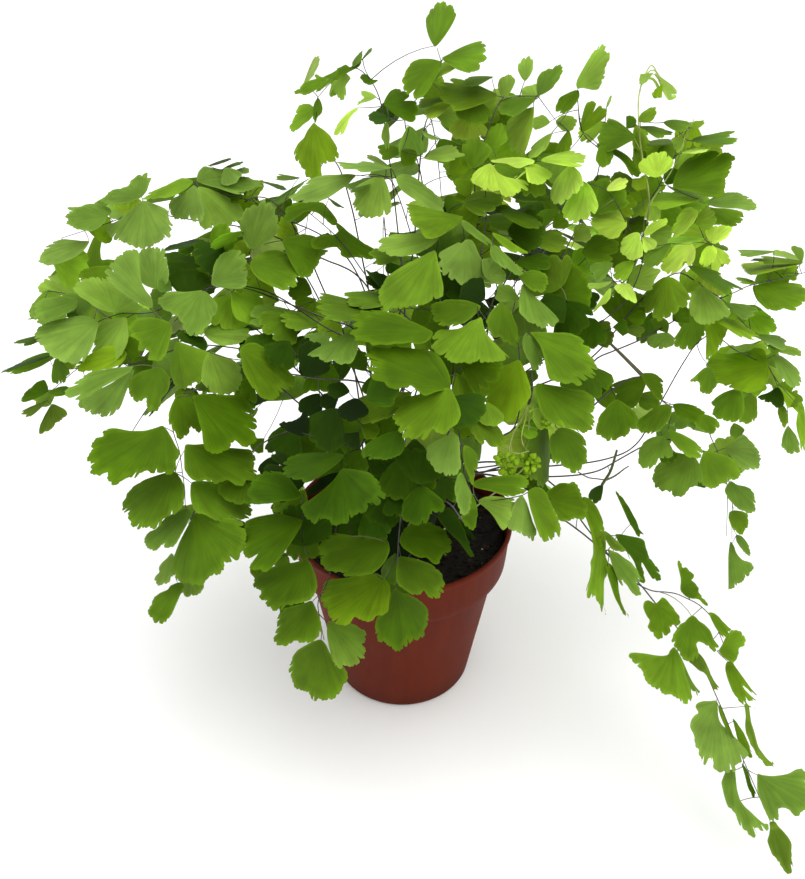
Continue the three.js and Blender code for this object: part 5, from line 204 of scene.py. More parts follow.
        (-39.9, -61.1, 167, -0.341, -0.596, -0.727, -0.555, -0.496, 0.668, 6.4, -50, 6.7, 6.5, 50, 17, 9, 1, (6.1, 6, 5.3, 6.4, 6.4, 6.4, 6.4, 6.4, 6.4, 6.4)),
        (-8.9, -55.1, 193.6, 0.313, -0.922, -0.23, -0.329, -0.332, 0.884, 13.1, -37, 14.7, 12.7, 47, 4, -1, 14.82, ()),
        (-27.3, -55.3, 187.8, 0.929, 0.184, -0.321, 0.363, -0.626, 0.69, 12.9, -59, 14.1, 13.7, 58, 6, -1, 16.91, ()),
        (-36.9, -63.1, 167.6, -0.989, -0.12, 0.092, 0.145, -0.576, 0.805, 13.2, -48, 16.3, 15.4, 48, 1, 11, 0.95, ()),
        (-38.9, -58.6, 158.8, -0.51, -0.751, -0.42, 0.288, -0.609, 0.739, 12.1, -43, 14.8, 12.9, 43, 9, 10, 0.57, ()),
        (-62.4, -53.9, 165.8, -0.028, -0.881, -0.472, 0.07, -0.472, 0.879, 14.7, -51, 15.3, 13.2, 51, 6, -1, 22.15, ()),
        (-87.6, -51.6, 137.2, -0.193, 0.979, 0.059, 0.1, -0.04, 0.994, 8.1, -56, 9.6, 8.4, 58, 10, -1, 27.89, ()),
        (-38.9, -80.5, 147.6, 0.1, 0.725, 0.681, 0.158, -0.687, 0.709, 14.2, -67, 15.8, 12.7, 63, 2, 6, 0.25, ()),
    ]),
    "frond_08": (0, [(10.4, -7.8, 89), (9.8, -8, 97), (9.1, -8.6, 104.9), (8.2, -9.7, 112.7), (7.4, -11.6, 120.4), (6.9, -14.5, 127.9), (6.2, -17.7, 135.3), (5.3, -21.3, 142.5), (3.9, -24.7, 149.6), (2.4, -28.4, 156.5), (0.7, -32.5, 163.1), (-1.2, -36.9, 169.4), (-3.5, -41.8, 175.3), (-6.1, -47.1, 180.7), (-9.1, -53.1, 184.8), (-12.7, -59.9, 186.5), (-16.3, -65.9, 183.2), (-18.8, -68.8, 176.2), (-21.1, -70.7, 168.8), (-23.3, -72.5, 161.4), (-25.1, -73.7, 153.7), (-26.3, -74.2, 145.9), (-27.3, -74.4, 138), (-28.5, -74.6, 130.1), (-30.9, -75.8, 122.6), (-34.1, -77.4, 115.6), (-34.2, -77.3, 107.6), (-33.6, -76.8, 99.7), (-32.9, -76.3, 91.8)], [
        (-35.8, -84.5, 121.9, -0.513, -0.706, -0.489, -0.563, -0.154, 0.812, 21.3, -60, 21.3, 21.3, 60, 7, -1, 24.62, ((0.7, -0.7), (4.7, 2.4), (9.5, 4.8), (13.2, 6.9), (13.8, 9.9), (13, 12.9), (10, 15.2), (9, 17.7), (7.5, 20), (3.6, 21), (0.1, 20.2), (-2.7, 18.8), (-3.2, 16.4), (-6.4, 16.2), (-9.8, 15.5), (-12.7, 13.7), (-14.5, 11.3), (-14.4, 9.1), (-11.6, 6), (-6.8, 3), (-2.9, 1))),
        (-33.4, -82.9, 98.2, -0.176, -0.601, -0.78, -0.715, -0.466, 0.521, 26.2, -60, 26.2, 26.2, 60, 7, -1, 26.97, ((0.2, -0.8), (5.6, 1.7), (10.3, 4.6), (14.4, 7.2), (17.5, 11), (18.5, 14.7), (18.9, 18.2), (15.7, 19.1), (14.1, 22.1), (9.6, 23), (5.8, 21.9), (2.3, 22.2), (-0.1, 23.2), (-1.9, 24.8), (-4.6, 22.8), (-9, 22), (-13.1, 20.4), (-15.6, 18.1), (-17.2, 14.4), (-18.8, 11.2), (-17.9, 8.2), (-14.8, 6.2), (-10.1, 5.4), (-6.2, 3.1), (-3.6, 0.8))),
        (-30.1, -82.8, 108.5, 0.677, -0.52, -0.521, 0.589, -0.042, 0.807, 21.3, -60, 21.3, 21.3, 60, 12, -1, 25.94, ((-0.4, -0.9), (-3.7, 1.5), (-7, 3.9), (-10.9, 6.7), (-13, 10.1), (-13.8, 13.3), (-10.3, 15.2), (-6.7, 15.8), (-6.5, 18.4), (-3.1, 20.2), (0.5, 19.7), (3.8, 20.3), (6.9, 19), (9.2, 17.1), (13, 16.9), (14, 14.7), (12.6, 11.9), (9.6, 7.9), (5.7, 3.7))),
        (-7.1, -82.2, 132.2, -0.803, -0.444, -0.398, -0.418, -0.057, 0.907, 29.2, -60, 29.2, 29.2, 60, 11, -1, 22.58, ((1, -0.5), (6.2, 1.3), (10.5, 5.6), (13.5, 10.2), (16.7, 13.6), (20.5, 16.9), (21.2, 20.1), (17.4, 22.3), (14.6, 24.5), (10.3, 25.4), (4.7, 25), (0.6, 25.9), (-3.9, 25.1), (-7.3, 23.3), (-8.3, 20.5), (-6.9, 17.9), (-9.5, 16.8), (-13, 15.6), (-14.9, 13.2), (-13.9, 10.4), (-16.3, 8.8), (-16.2, 6.4), (-12.5, 4), (-9.5, 1.5), (-5, -0.4))),
        (-18.8, -85.7, 157.8, -0.522, -0.563, -0.64, -0.732, -0.09, 0.676, 14.5, -38, 17.1, 19.5, 51, 3, -1, 19.32, (0,)),
        (-5.6, -86.8, 155.4, -0.927, -0.123, -0.355, -0.351, -0.057, 0.935, 29.2, -60, 29.2, 29.2, 60, 6, 4, 1, ((0.9, -0.5), (3.6, 2.4), (5.6, 6.3), (8.7, 10.9), (12.6, 16), (15.3, 19.9), (15.6, 23.8), (13.3, 26.1), (9.8, 27.2), (5.1, 27.1), (0.4, 26.6), (-3.5, 24.5), (-6.2, 21.4), (-6.1, 19.4), (-9.6, 18.9), (-11.3, 15.5), (-12.8, 11.6), (-14.1, 7.8), (-12.6, 4.5), (-9.7, 1.7), (-4.8, -0.6))),
        (-2.4, -75, 139.3, -0.363, -0.416, -0.834, -0.795, -0.329, 0.51, 12.9, -37, 13.2, 12.8, 33, 6, 3, 1, (1.7, 2.5, 5.1, 8.7, 12.4, 12.4, 13, 13.1, 13.1, 13.2, 13.5, 13.5, 13.4, 13.4, 13.6, 12.5, 12.6, 12.5, 8.8, 5.2, 1.2, 0.5)),
        (-21.4, -86.4, 189.4, 0.015, -0.909, -0.417, -0.517, -0.364, 0.775, 23.7, -60, 23.7, 23.7, 60, 3, 8, 1, ((0, -0.4), (-3.4, 1), (-7.7, 2.7), (-11.1, 4.4), (-13.6, 6.8), (-15.2, 10.4), (-16.8, 13.9), (-17.2, 16.3), (-14.8, 17.6), (-11.9, 17.2), (-10.3, 15.6), (-10.3, 18.3), (-8.7, 19.8), (-5.8, 19.4), (-3.7, 20), (-2.1, 21.8), (1.3, 21.7), (4.7, 20.1), (6.5, 17.3), (8.2, 16.9), (9.9, 18), (13.3, 17.5), (15.6, 14.9), (17.5, 12), (19.4, 10.3), (18.6, 8.5), (15.5, 8.2), (11.5, 7.2), (7.2, 5.6), (3.4, 3.5))),
        (-21, -74.2, 186.7, -0.968, -0.235, -0.083, -0.166, 0.36, 0.918, 27.1, -57, 23.5, 22.8, 48, 3, 12, 1, (3.6, 7.4, 12.6, 19.9, 28.2, 29, 27.6, 26.2, 26, 25.7, 24.9, 26.2, 25.9, 25.2, 25, 24.8, 24.1, 24.5, 24.3, 24.2, 23.6, 23.6, 23.5, 23, 23, 23, 23, 22.1, 22, 23.4, 23.4, 23.8, 24.2, 23.2, 23.6, 23.6, 23.5, 23.5, 22.9, 22.9, 22.8, 16.4, 9.8, 4.8, 1.1)),
        (-24.5, -55.4, 195, -0.514, -0.5, -0.698, -0.529, -0.456, 0.716, 15.8, -50, 16.7, 16.5, 50, 2, 13, 1, (1.7, 3.9, 7.1, 11.6, 16.1, 16.2, 16.4, 17.4, 17.6, 17.7, 17.8, 17.8, 17.9, 16.6, 16.7, 16.4, 16.4, 16.4, 16, 15.7, 15.7, 16.3, 16.3, 16.3, 16.3, 16.2, 16.2, 16.2, 19.8, 11.9, 7.3, 4, 1.7)),
        (-42.2, -43.3, 179, -0.519, -0.528, -0.672, -0.493, -0.457, 0.74, 13.3, -50, 13.9, 13.6, 50, 2, 9, 1, (0.7, 2.6, 5.9, 9.6, 13.3, 13.4, 13.5, 13.6, 13.7, 14, 14.1, 14.1, 14.1, 14.2, 14.2, 14.2, 14.2, 14.1, 16.6, 16.9, 17.4, 13.7, 13.7, 13.6, 13.6, 9.8, 8, 4.2, 1.8)),
        (-12.8, -69.5, 158.6, 0.322, -0.586, -0.743, 0.663, -0.421, 0.619, 14.2, -50, 14.4, 13.7, 50, 3, -1, 18.85, (1.8, 3.8, 6.6, 10.6, 14.5, 14.5, 14.5, 13.7, 13.5, 13.5, 13.5, 14.7, 14.4, 14.4, 14.4, 14.4, 14.4, 13.2, 13.2, 13.1, 13, 13.2, 13.4, 13.9, 14.1, 14, 9.9, 5.3, 4.1, 1.8)),
        (-15.8, -69.4, 186.6, -0.26, -0.571, -0.779, -0.619, -0.52, 0.588, 9.9, -50, 10.3, 10.1, 50, 3, -1, 15.96, (0.7, 2.8, 3, 6.7, 10.1, 10.2, 9.7, 9.1, 8.6, 8.6, 8.6, 8.7, 8.9, 9, 9.6, 10, 10.2, 10.1, 10.1, 7.3, 4.5, 2.6, 1.2)),
        (-15.1, -65.1, 194.1, 0.85, -0.267, -0.455, 0.385, -0.274, 0.881, 7.4, -50, 7.6, 7.3, 50, 7, 14, 1, (0.4, 1.4, 1.8, 4.5, 7.1, 7.2, 7.2, 7.4, 7.4, 7.4, 7.4, 7.4, 7.3, 6.8, 6.1, 6, 2.7, 1.5, 0.3)),
        (-15.9, -68.5, 193.1, -0.659, -0.452, -0.602, -0.475, -0.371, 0.798, 6.6, -50, 6.8, 6.7, 50, 1, 12, 1, (6.6, 6.7, 6.6, 6.5, 6.7, 6.7, 6.7, 6.6, 6.6, 6.6)),
        (-10.7, -71.4, 182.5, 0.398, -0.533, -0.746, 0.64, -0.421, 0.642, 6.6, -50, 6.7, 6.4, 50, 2, 12, 1, (7.1, 6.2, 6, 6.4, 6.7, 6.7, 6.1, 5.9, 5.9, 5.6)),
        (-47.4, -66.1, 131.6, -0.4, -0.641, -0.655, -0.529, -0.422, 0.736, 7, -50, 7.2, 7.1, 51, 9, -1, 23.34, (0.6, 1.5, 3.6, 5, 4.8, 6.5, 6.5, 6.4, 6.3, 6.3, 6.8, 7.2, 7.2, 7.4, 7.4, 5, 2.2, 1.8, 1)),
        (-22.2, -67.4, 144.1, -0.965, 0.18, -0.191, -0.257, -0.507, 0.823, 13.5, -56, 16.3, 14.8, 52, 2, -1, 21.14, ()),
        (-16.7, -67.8, 207.5, -0.177, -0.893, -0.414, -0.122, -0.397, 0.91, 7.5, -52, 9.2, 7.5, 53, 0, 13, 0.95, ()),
        (-28, -70.9, 149.9, 0.93, -0.222, 0.293, -0.367, -0.5, 0.784, 15, -67, 15.9, 14.9, 70, 2, -1, 20.51, ()),
        (-44.4, -40.2, 175.1, 0.63, -0.156, -0.76, 0.287, -0.863, 0.416, 15.2, -62, 16.8, 15.1, 58, 4, 10, 0.95, ()),
        (-31.7, -71.8, 134.3, 0.303, -0.888, -0.346, 0.091, -0.335, 0.938, 16, -65, 16.5, 15.5, 65, 9, -1, 22.53, (0,)),
        (-54.5, -68.1, 129.2, -0.549, -0.731, -0.405, 0.468, -0.671, 0.576, 7.6, -54, 8.7, 7, 45, 7, 16, 0.95, ()),
        (-19.3, -61.8, 206.4, -0.967, 0.204, 0.15, 0.14, -0.064, 0.988, 7.2, -58, 8, 7, 53, 1, 18, 0.86, ()),
        (-12.9, -71.4, 209.7, 0.724, -0.107, 0.681, -0.647, -0.447, 0.618, 13.1, -46, 15.5, 12.5, 47, 3, 18, 0.95, ()),
        (-19.4, -66.3, 166.1, -0.543, 0.562, 0.624, -0.33, -0.826, 0.457, 15.8, -46, 16.9, 13.7, 42, 3, -1, 18.13, ()),
        (-39.9, -77.1, 109.2, -0.981, 0.159, 0.115, -0.028, -0.691, 0.722, 9.2, -58, 10.7, 8.6, 64, 3, -1, 25.81, ()),
        (-37.8, -59.2, 185.7, -0.539, 0.77, 0.342, 0, -0.406, 0.914, 11.3, -60, 11.3, 11.3, 60, 0, -1, 16, ((-0.7, -1.2), (-3.3, 2.7), (-5, 5.9), (-5.5, 8.9), (-3.3, 9), (-1.5, 7.4), (0.9, 6.9), (4.2, 8.1), (6.3, 9.4), (5.5, 5), (2.5, 0.5))),
        (-24, -63.1, 170.5, -0.789, -0.561, -0.25, 0, -0.406, 0.914, 16.7, -60, 16.7, 16.7, 60, 0, -1, 17, ((0, 0), (1.7, 3.6), (2.6, 7.7), (1.8, 10.1), (1.2, 14.3), (-0.9, 16.7), (-1.7, 13.5), (-1.8, 9.8), (-1.6, 5.9), (-1.3, 1.9))),
    ]),
    "frond_09": (0, [(-4.1, -16, 89), (-4, -16.9, 97), (-3.9, -18.4, 105), (-3.7, -20.5, 112.8), (-3.5, -23, 120.5), (-3.2, -26, 128), (-2.9, -29.5, 135.2), (-2.5, -33.4, 142.3), (-2.1, -37.7, 149.1), (-1.7, -42.5, 155.7), (-1.2, -47.7, 161.9), (-0.8, -53.4, 167.6), (-0.3, -59.7, 172.6), (0.1, -67, 175.9), (0.3, -73.8, 173.2), (0, -74.9, 165.3), (-0.6, -74.5, 157.3), (-1.1, -74, 149.2), (-1.5, -73.6, 141.2), (-1.8, -73.2, 133.1), (-2, -72.8, 125), (-2.1, -72.4, 116.9)], [
        (-2.4, -79.6, 123.7, 0.192, -0.558, -0.807, 0.769, -0.426, 0.477, 25.3, -60, 25.3, 25.3, 60, 4, -1, 20.08, ((0.2, -1.3), (-2.2, 1.4), (-6.9, 3.4), (-12, 6.3), (-16.5, 9.6), (-18.9, 13.2), (-18.5, 16.4), (-16.6, 18), (-14, 19.4), (-12.5, 22), (-8.2, 22.4), (-3.8, 21.5), (-0.7, 22.7), (3.5, 23.5), (7, 22.5), (9.5, 20.1), (10.8, 18.2), (14.7, 16.6), (15.9, 14.7), (15.2, 12.1), (15.6, 9.6), (13.7, 7.3), (10.4, 6.6), (7, 5.9), (4.8, 2.9), (2.6, 0.2))),
        (-0.8, -82.3, 142.8, 0.687, -0.434, -0.583, 0.592, -0.131, 0.795, 21.8, -60, 21.8, 21.8, 60, 7, -1, 17.75, ((-0.8, -1.1), (-3.1, 0.9), (-6.3, 3.6), (-9.1, 7), (-11.5, 10.2), (-12.6, 13.7), (-11.9, 17), (-9.3, 19.6), (-5.8, 21), (-1.9, 21.5), (1.6, 20.1), (3, 17.6), (2.3, 14.9), (5.7, 14.7), (9.1, 12.8), (9.6, 10.4), (10.6, 8.7), (11.5, 6.5), (10.4, 4.2), (6.3, 1.7), (2.1, 0.2))),
        (0.4, -85.6, 157.8, 0.911, -0.052, -0.409, 0.405, -0.076, 0.911, 21, -60, 21, 21, 60, 4, -1, 15.86, ((0.4, -0.8), (-3.4, 0.1), (-7, 2.8), (-9.9, 6.3), (-12, 10.5), (-12.1, 13.9), (-10.8, 17), (-8.6, 19.2), (-5.2, 20.2), (-1, 19.6), (2.5, 18), (1.7, 16.3), (5.5, 16.1), (8.9, 14.6), (9, 12.2), (7.2, 10.4), (8.6, 7.7), (8.4, 4.8), (7.5, 2.3), (6.4, 0.1), (3.9, -1.3))),
        (6.7, -93, 185.9, 0.071, -0.851, -0.521, -0.78, -0.373, 0.503, 15.6, -60, 15.6, 15.6, 60, 3, 9, 1, ((-0.1, -0.7), (-3.2, 0.7), (-6.7, 3.8), (-9.5, 6.9), (-11.7, 9.8), (-10.4, 11.6), (-7.7, 11.8), (-5.3, 10.3), (-3.5, 11.2), (-1.7, 12.9), (1.6, 13.3), (5.9, 11.6), (9.6, 9.7), (12.2, 6.7), (11.8, 3.7), (9.8, 1.3), (6.2, -0.2), (2.7, -0.9))),
        (13.3, -77.7, 160.5, 0.776, -0.192, -0.601, 0.566, -0.207, 0.798, 21.6, -60, 21.6, 21.6, 60, 2, -1, 15.38, ((-0, -0), (-5.2, 1.8), (-8.8, 3.2), (-8.2, 6.4), (-6.2, 9.5), (-3.4, 12.9), (-0.2, 15.9), (3.3, 18.5), (5.1, 21), (6.3, 18.9), (5.3, 16.1), (3.8, 12.6), (3.5, 9.1), (2.9, 5.9), (1.8, 2.6))),
        (-0.7, -79.8, 201.7, -0.491, -0.778, -0.391, -0.448, -0.159, 0.88, 11.9, -43, 14.2, 15.3, 54, 3, 7, 1, (0.5, 1.1, 4.4, 8.2, 11.7, 12.1, 12.5, 12.3, 12.1, 13.5, 13.7, 13.3, 13.3, 12.8, 12.5, 14.3, 15.5, 16.2, 17.2, 17.3, 16.3, 14.7, 14.8, 15.3, 11, 6.7, 3.7, 0.6)),
        (0.6, -78.4, 188.7, -0.16, -0.582, -0.798, -0.667, -0.532, 0.522, 15.2, -50, 16, 15.9, 50, 3, 9, 0.67, (2, 4.1, 7.1, 10.7, 14.9, 15, 15.1, 15.5, 15.6, 15.7, 15.8, 15.9, 15.6, 15.6, 15.7, 15.7, 15.7, 15.7, 16, 16, 16, 16.3, 16, 15.6, 15.3, 15.3, 14.3, 14.6, 10.5, 7.1, 4, 1.8)),
        (4.3, -76.1, 195.3, 0.103, -0.572, -0.814, 0.663, -0.57, 0.485, 8.1, -50, 8.2, 7.9, 50, 2, 6, 1, (1.1, 2.3, 2.9, 7.1, 7.3, 7.8, 8.2, 8.2, 8.2, 8.2, 8.4, 8.3, 8, 8.1, 8, 7.9, 5.7, 2.9, 0.8, 0.6)),
        (-3.8, -74.5, 167.1, 0.008, -0.621, -0.784, -0.667, -0.587, 0.458, 7.9, -50, 8.3, 8.1, 50, 7, -1, 14.9, (0.7, 1.8, 3.4, 5.7, 7.9, 8, 8.1, 8.5, 8.6, 8.1, 8.1, 8.1, 8.1, 8, 8, 7.9, 5.7, 3.4, 1.8, 0.3)),
        (10.7, -78.2, 182.5, -0.302, -0.565, -0.768, -0.664, -0.453, 0.595, 6.9, -50, 7.2, 7, 50, 7, -1, 13.56, (0.9, 1, 2.6, 4.6, 6.9, 7, 7.1, 7.1, 7.2, 7.2, 7.2, 7.2, 7.1, 7.1, 7.1, 5.3, 3.4, 0.7, 0.3)),
        (5.1, -58.1, 125.3, -0.819, 0.565, -0.098, -0.511, -0.639, 0.575, 15.2, -57, 16.1, 15.3, 50, 0, -1, 20.04, ()),
        (5.2, -95.4, 189.5, 0.193, 0.95, 0.244, 0.251, -0.288, 0.924, 14.6, -50, 15.1, 13.3, 47, 2, 3, 0.95, ()),
        (-9, -66.8, 117, 0.963, 0.08, -0.256, 0.256, -0.556, 0.791, 13.7, -43, 14.6, 12.7, 47, 7, -1, 21, ()),
        (-3.4, -75.1, 172.1, -0.65, -0.556, -0.518, -0.118, -0.599, 0.792, 14.1, -52, 14.7, 13.3, 52, 2, -1, 14.18, ()),
        (1.3, -57.6, 175.9, -0.903, -0.201, -0.38, 0.008, -0.891, 0.454, 15.4, -59, 15.9, 15.3, 58, 2, -1, 12, ()),
        (0.6, -79.3, 177.2, -0.022, -0.926, -0.378, -0.439, -0.33, 0.836, 12.2, -53, 14, 11.6, 47, 2, -1, 14, ()),
    ]),
    "frond_10": (0, [(13, -0.4, 89), (12.8, -1.9, 96.4), (12.9, -4.6, 103.6), (13.3, -8.5, 110.2), (14.3, -13.3, 116.2), (16.2, -18.8, 121.5), (18.3, -25, 125.8), (20.4, -31.6, 129.6), (21.8, -38.4, 133), (22.9, -45.5, 136.1), (23.9, -52.5, 139.3), (24.8, -59.5, 142.7), (25.7, -66.2, 146.5), (26.3, -72, 151.7), (26.2, -75.8, 158.5), (26.1, -78.8, 165.7), (25.6, -81.4, 173.1), (24.2, -83.2, 180.6), (22.2, -84.3, 188.1), (20.9, -84.4, 195.7), (20.1, -81.9, 203.1), (19, -77.8, 209.6), (17.8, -71.7, 214.3)], [
        (24.4, -89.4, 182.2, 0.025, -0.676, -0.736, 0.723, -0.496, 0.48, 14.3, -60, 14.3, 14.3, 60, 4, -1, 17.08, ((0, 0), (-2.1, 2.4), (-3.7, 5.3), (-4, 8.5), (-3.3, 11.4), (-2.1, 13.9), (0.2, 14.3), (2.9, 12.9), (4.4, 10.8), (4.9, 8.4), (2.7, 9), (0.4, 7.9), (-0.3, 4.7))),
        (21.2, -95.9, 195.2, -0.031, -0.735, -0.677, 0.753, -0.462, 0.468, 14.9, -60, 14.9, 14.9, 60, 8, -1, 18.87, ((1.7, 0.3), (-0, 0.7), (-1.2, 2.6), (-3, 4.8), (-4.8, 7), (-4.8, 10.2), (-4.4, 13.1), (-2.1, 14.7), (0.7, 14.4), (1.9, 12.1), (3.6, 9.6), (4.8, 7), (4.3, 4.2), (3.3, 1.9))),
        (21.1, -91.4, 203.5, 0.376, -0.348, -0.859, 0.713, -0.484, 0.508, 14.6, -60, 14.6, 14.6, 60, 6, -1, 19.55, ((-0, 0), (-2.2, 1.4), (-3.9, 3.7), (-4.9, 6.1), (-3.8, 8.7), (-1.5, 11.1), (1.1, 12.2), (3.1, 14.3), (3.4, 11.8), (3.3, 8.8), (3.4, 6.1), (1.9, 2.9))),
        (17.5, -91.6, 209.1, -0.318, -0.509, -0.8, -0.771, -0.352, 0.531, 15.5, -60, 15.5, 15.5, 60, 10, 2, 1, ((0, 0), (2.7, 2.4), (6.4, 4.4), (9.4, 6.6), (10.5, 9.1), (9.9, 11.1), (7.2, 12.7), (4.6, 14.2), (1.3, 14.8), (-2.2, 14.6), (-6, 14.3), (-8.7, 12.9), (-10.5, 11), (-9.1, 8.5), (-7, 5.5), (-5.4, 2.7), (-3.2, 0.7))),
        (16.8, -83, 220.6, -0.672, -0.423, -0.608, -0.575, -0.22, 0.788, 24.4, -60, 24.4, 24.4, 60, 7, 5, 1, ((0.7, -0.5), (3.5, 0.9), (6.5, 3.9), (9.1, 6.2), (12.9, 9.2), (16, 12.2), (17.1, 15.2), (15.2, 17.5), (13.4, 20.4), (10.2, 21), (7.1, 21.1), (4.8, 22.6), (1.4, 23), (-1.8, 21.6), (-3.8, 20), (-6.4, 19.4), (-7.3, 17.5), (-6.4, 14.9), (-6.9, 13.7), (-9.8, 14.3), (-12.4, 13.3), (-13.3, 11), (-13.4, 9.1), (-14.3, 6.8), (-12, 4), (-7.4, 2), (-3, 0.7))),
        (17, -79.7, 219.3, -0.921, 0.336, 0.198, 0.152, -0.158, 0.976, 33.3, -60, 33.3, 33.3, 60, 4, -1, 21.65, ((0, 0), (5.3, 2.2), (9.5, 5.1), (13, 8.2), (15.5, 11.6), (14.8, 14.8), (13.7, 18.1), (12.3, 22.4), (11, 26.2), (8.5, 27.5), (8.6, 29.5), (8.2, 31.7), (5.9, 32.7), (4.3, 31.6), (2.6, 33.2), (0.2, 32), (-0.1, 29), (-2.5, 30.3), (-4.9, 29.1), (-5.6, 27.1), (-7.9, 26.9), (-9.6, 24.7), (-9, 22.7), (-8.7, 21.3), (-10.3, 20), (-11, 18.2), (-10.6, 16.1), (-8.5, 15.1), (-7.9, 13.1), (-5.8, 13.1), (-7.2, 10.4), (-9.1, 6.7), (-7.5, 5.5), (-4.7, 3.9), (-2.5, 1.7))),
        (3.7, -61.2, 205.9, -0.888, -0.39, -0.245, -0.279, 0.034, 0.96, 18.6, -36, 20.2, 21, 41, 7, 7, 0.67, (1.9, 5.2, 5.7, 12.3, 17.9, 17.7, 17.6, 17, 20.3, 20.5, 22.3, 22.4, 22.5, 22.2, 21, 20.2, 19.8, 19.4, 19.5, 19.5, 19.6, 19.7, 19.8, 23.6, 23.3, 23.4, 21.8, 16, 10.2, 6.8, 2.8)),
        (19.8, -53.3, 209.8, 0.361, -0.593, -0.72, 0.787, -0.221, 0.577, 15.1, -45, 15.3, 14.7, 46, 7, -1, 22, (1.9, 1.9, 6.2, 11.1, 15.7, 15.1, 15.2, 15.5, 16.1, 15.5, 15, 15, 14.7, 14.4, 14.4, 14.4, 14.7, 14.9, 14.9, 14.8, 14.7, 15.3, 15.5, 15.1, 14.4, 10.2, 7.5, 4.7, 2)),
        (15, -77.5, 179.9, 0.169, -0.601, -0.782, 0.635, -0.54, 0.552, 10.2, -50, 10.4, 9.9, 50, 2, -1, 17.08, (0.4, 1, 5.9, 6.2, 9.8, 9.8, 8.2, 9.7, 9.7, 10.2, 10.2, 10.2, 10.2, 10.4, 10.1, 10.3, 10.2, 10.1, 10, 9.7, 6.8, 3.7, 1, 0.4)),
        (-11.5, -50, 205.8, -0.056, -0.523, -0.85, -0.651, -0.627, 0.428, 6.9, -50, 7.2, 7, 50, 3, 6, 1, (0.4, 1.6, 1.9, 2.4, 6.6, 6.7, 6.8, 6.9, 6.9, 6.9, 6.9, 6.9, 7.4, 8.6, 7.1, 5.1, 3.1, 1.7, 0.8)),
        (26, -44.8, 208.5, 0.076, -0.514, -0.854, 0.622, -0.646, 0.444, 8.1, -50, 8.2, 7.9, 50, 9, 7, 1, (0.3, 0.8, 3.4, 6.8, 6.6, 6.3, 6.4, 6.5, 6.9, 7.9, 8, 8, 8.1, 8.1, 8, 7.9, 5.6, 2.6, 0.8, 0.3)),
        (-13.2, -56.9, 212.4, -0.572, 0.333, 0.75, 0.064, -0.893, 0.446, 6.8, -41, 8.1, 6.5, 38, 3, 9, 0.85, ()),
        (13.8, -73.3, 178.4, 0.931, -0.005, -0.366, 0.226, -0.78, 0.584, 11.5, -52, 12.7, 12.2, 53, 6, 8, 0.95, ()),
        (15.1, -45.5, 135.8, -0.61, -0.687, -0.395, 0.74, -0.672, 0.026, 6.3, -45, 7.5, 6.3, 42, 0, -1, 8.84, ()),
        (17.7, -75.4, 212.5, 0.537, -0.759, -0.368, -0.001, -0.437, 0.899, 10.9, -68, 12.6, 11.4, 57, 2, -1, 21.49, ()),
        (22.5, -52.9, 212.7, 0.929, -0.368, 0.045, -0.276, -0.605, 0.747, 12.4, -63, 14.4, 12.6, 56, 4, 10, 0.15, ()),
        (24.5, -29.8, 131.3, 0.21, -0.893, -0.397, 0, -0.406, 0.914, 22.1, -60, 22.1, 22.1, 60, 1, -1, 8, ((0, 0), (-0.5, 5.1), (-0.8, 11.1), (-1.3, 16.1), (-3.4, 21.9), (-0.4, 19.8), (1.4, 14.6), (2.3, 9.5), (2.9, 4.4))),
    ]),
    "frond_11": (0, [(8.5, -14.1, 89), (8.6, -14.7, 97), (8.8, -15.7, 105), (9, -17.1, 112.8), (9.2, -19.1, 120.6), (9.6, -21.6, 128.2), (10, -24.7, 135.6), (10.4, -28.3, 142.8), (11, -32.5, 149.7), (11.6, -37, 156.3), (12.3, -42, 162.6), (13, -47.3, 168.6), (13.9, -52.9, 174.3), (14.8, -58.6, 180), (15.9, -64.1, 185.7), (17.1, -68.6, 192.2), (18.2, -66.8, 199.3), (18.6, -60, 203.6), (19, -53, 207.4), (19.2, -45.8, 211), (18.5, -38.5, 214.3), (17.1, -31.3, 217.4), (15.5, -24.3, 221.1), (14.3, -18.7, 226.6), (13.8, -13.3, 232.6), (13.4, -6.8, 237.3)], [
        (12.4, -24.8, 244.7, -0.607, -0.384, -0.696, -0.617, -0.325, 0.717, 29.9, -60, 29.9, 29.9, 60, 9, -1, 24.1, ((0.6, -1.1), (2.8, 0.7), (4.8, 3.4), (8.4, 7.2), (12.2, 11.7), (14.5, 15.5), (16.2, 18.7), (14.5, 21.3), (14.7, 24.3), (11.9, 25.9), (9.3, 26.7), (7.5, 28.8), (4.1, 29.6), (1.2, 28.2), (-0.3, 25.7), (-3.6, 24.6), (-6.5, 22.8), (-7.4, 21), (-10.6, 20), (-13.1, 17.9), (-14.8, 15.8), (-17, 13.4), (-18.7, 11.3), (-15.2, 8.3), (-10.8, 5.7), (-4.7, 2.2))),
        (14.4, -8.1, 243.4, -0.985, -0.046, -0.164, -0.148, -0.244, 0.958, 24, -60, 24, 24, 60, 12, -1, 25, ((0, 0), (2.4, 1.7), (4, 5.1), (5.7, 9), (6.2, 12.9), (7.3, 16.9), (6.5, 20.9), (4.7, 23.5), (1.4, 23.3), (-1.5, 23.9), (-3.4, 21.7), (-6, 19.1), (-6.8, 16), (-7.3, 12.1), (-6.5, 8.2), (-4.5, 4), (-2.1, 1.4))),
        (-0.8, -2.1, 232.1, -0.979, 0.129, 0.16, 0.168, 0.053, 0.984, 12.5, -57, 11.9, 10.2, 48, 7, -1, 25, (0.6, 2.4, 2.6, 11.3, 12.5, 12.4, 12.1, 11.7, 11.4, 10.9, 10.3, 12.4, 12.4, 12.6, 12.6, 12.8, 12, 12.5, 12.5, 12.9, 11.7, 9, 9.2, 6.3, 2, 2.3, 0.8)),
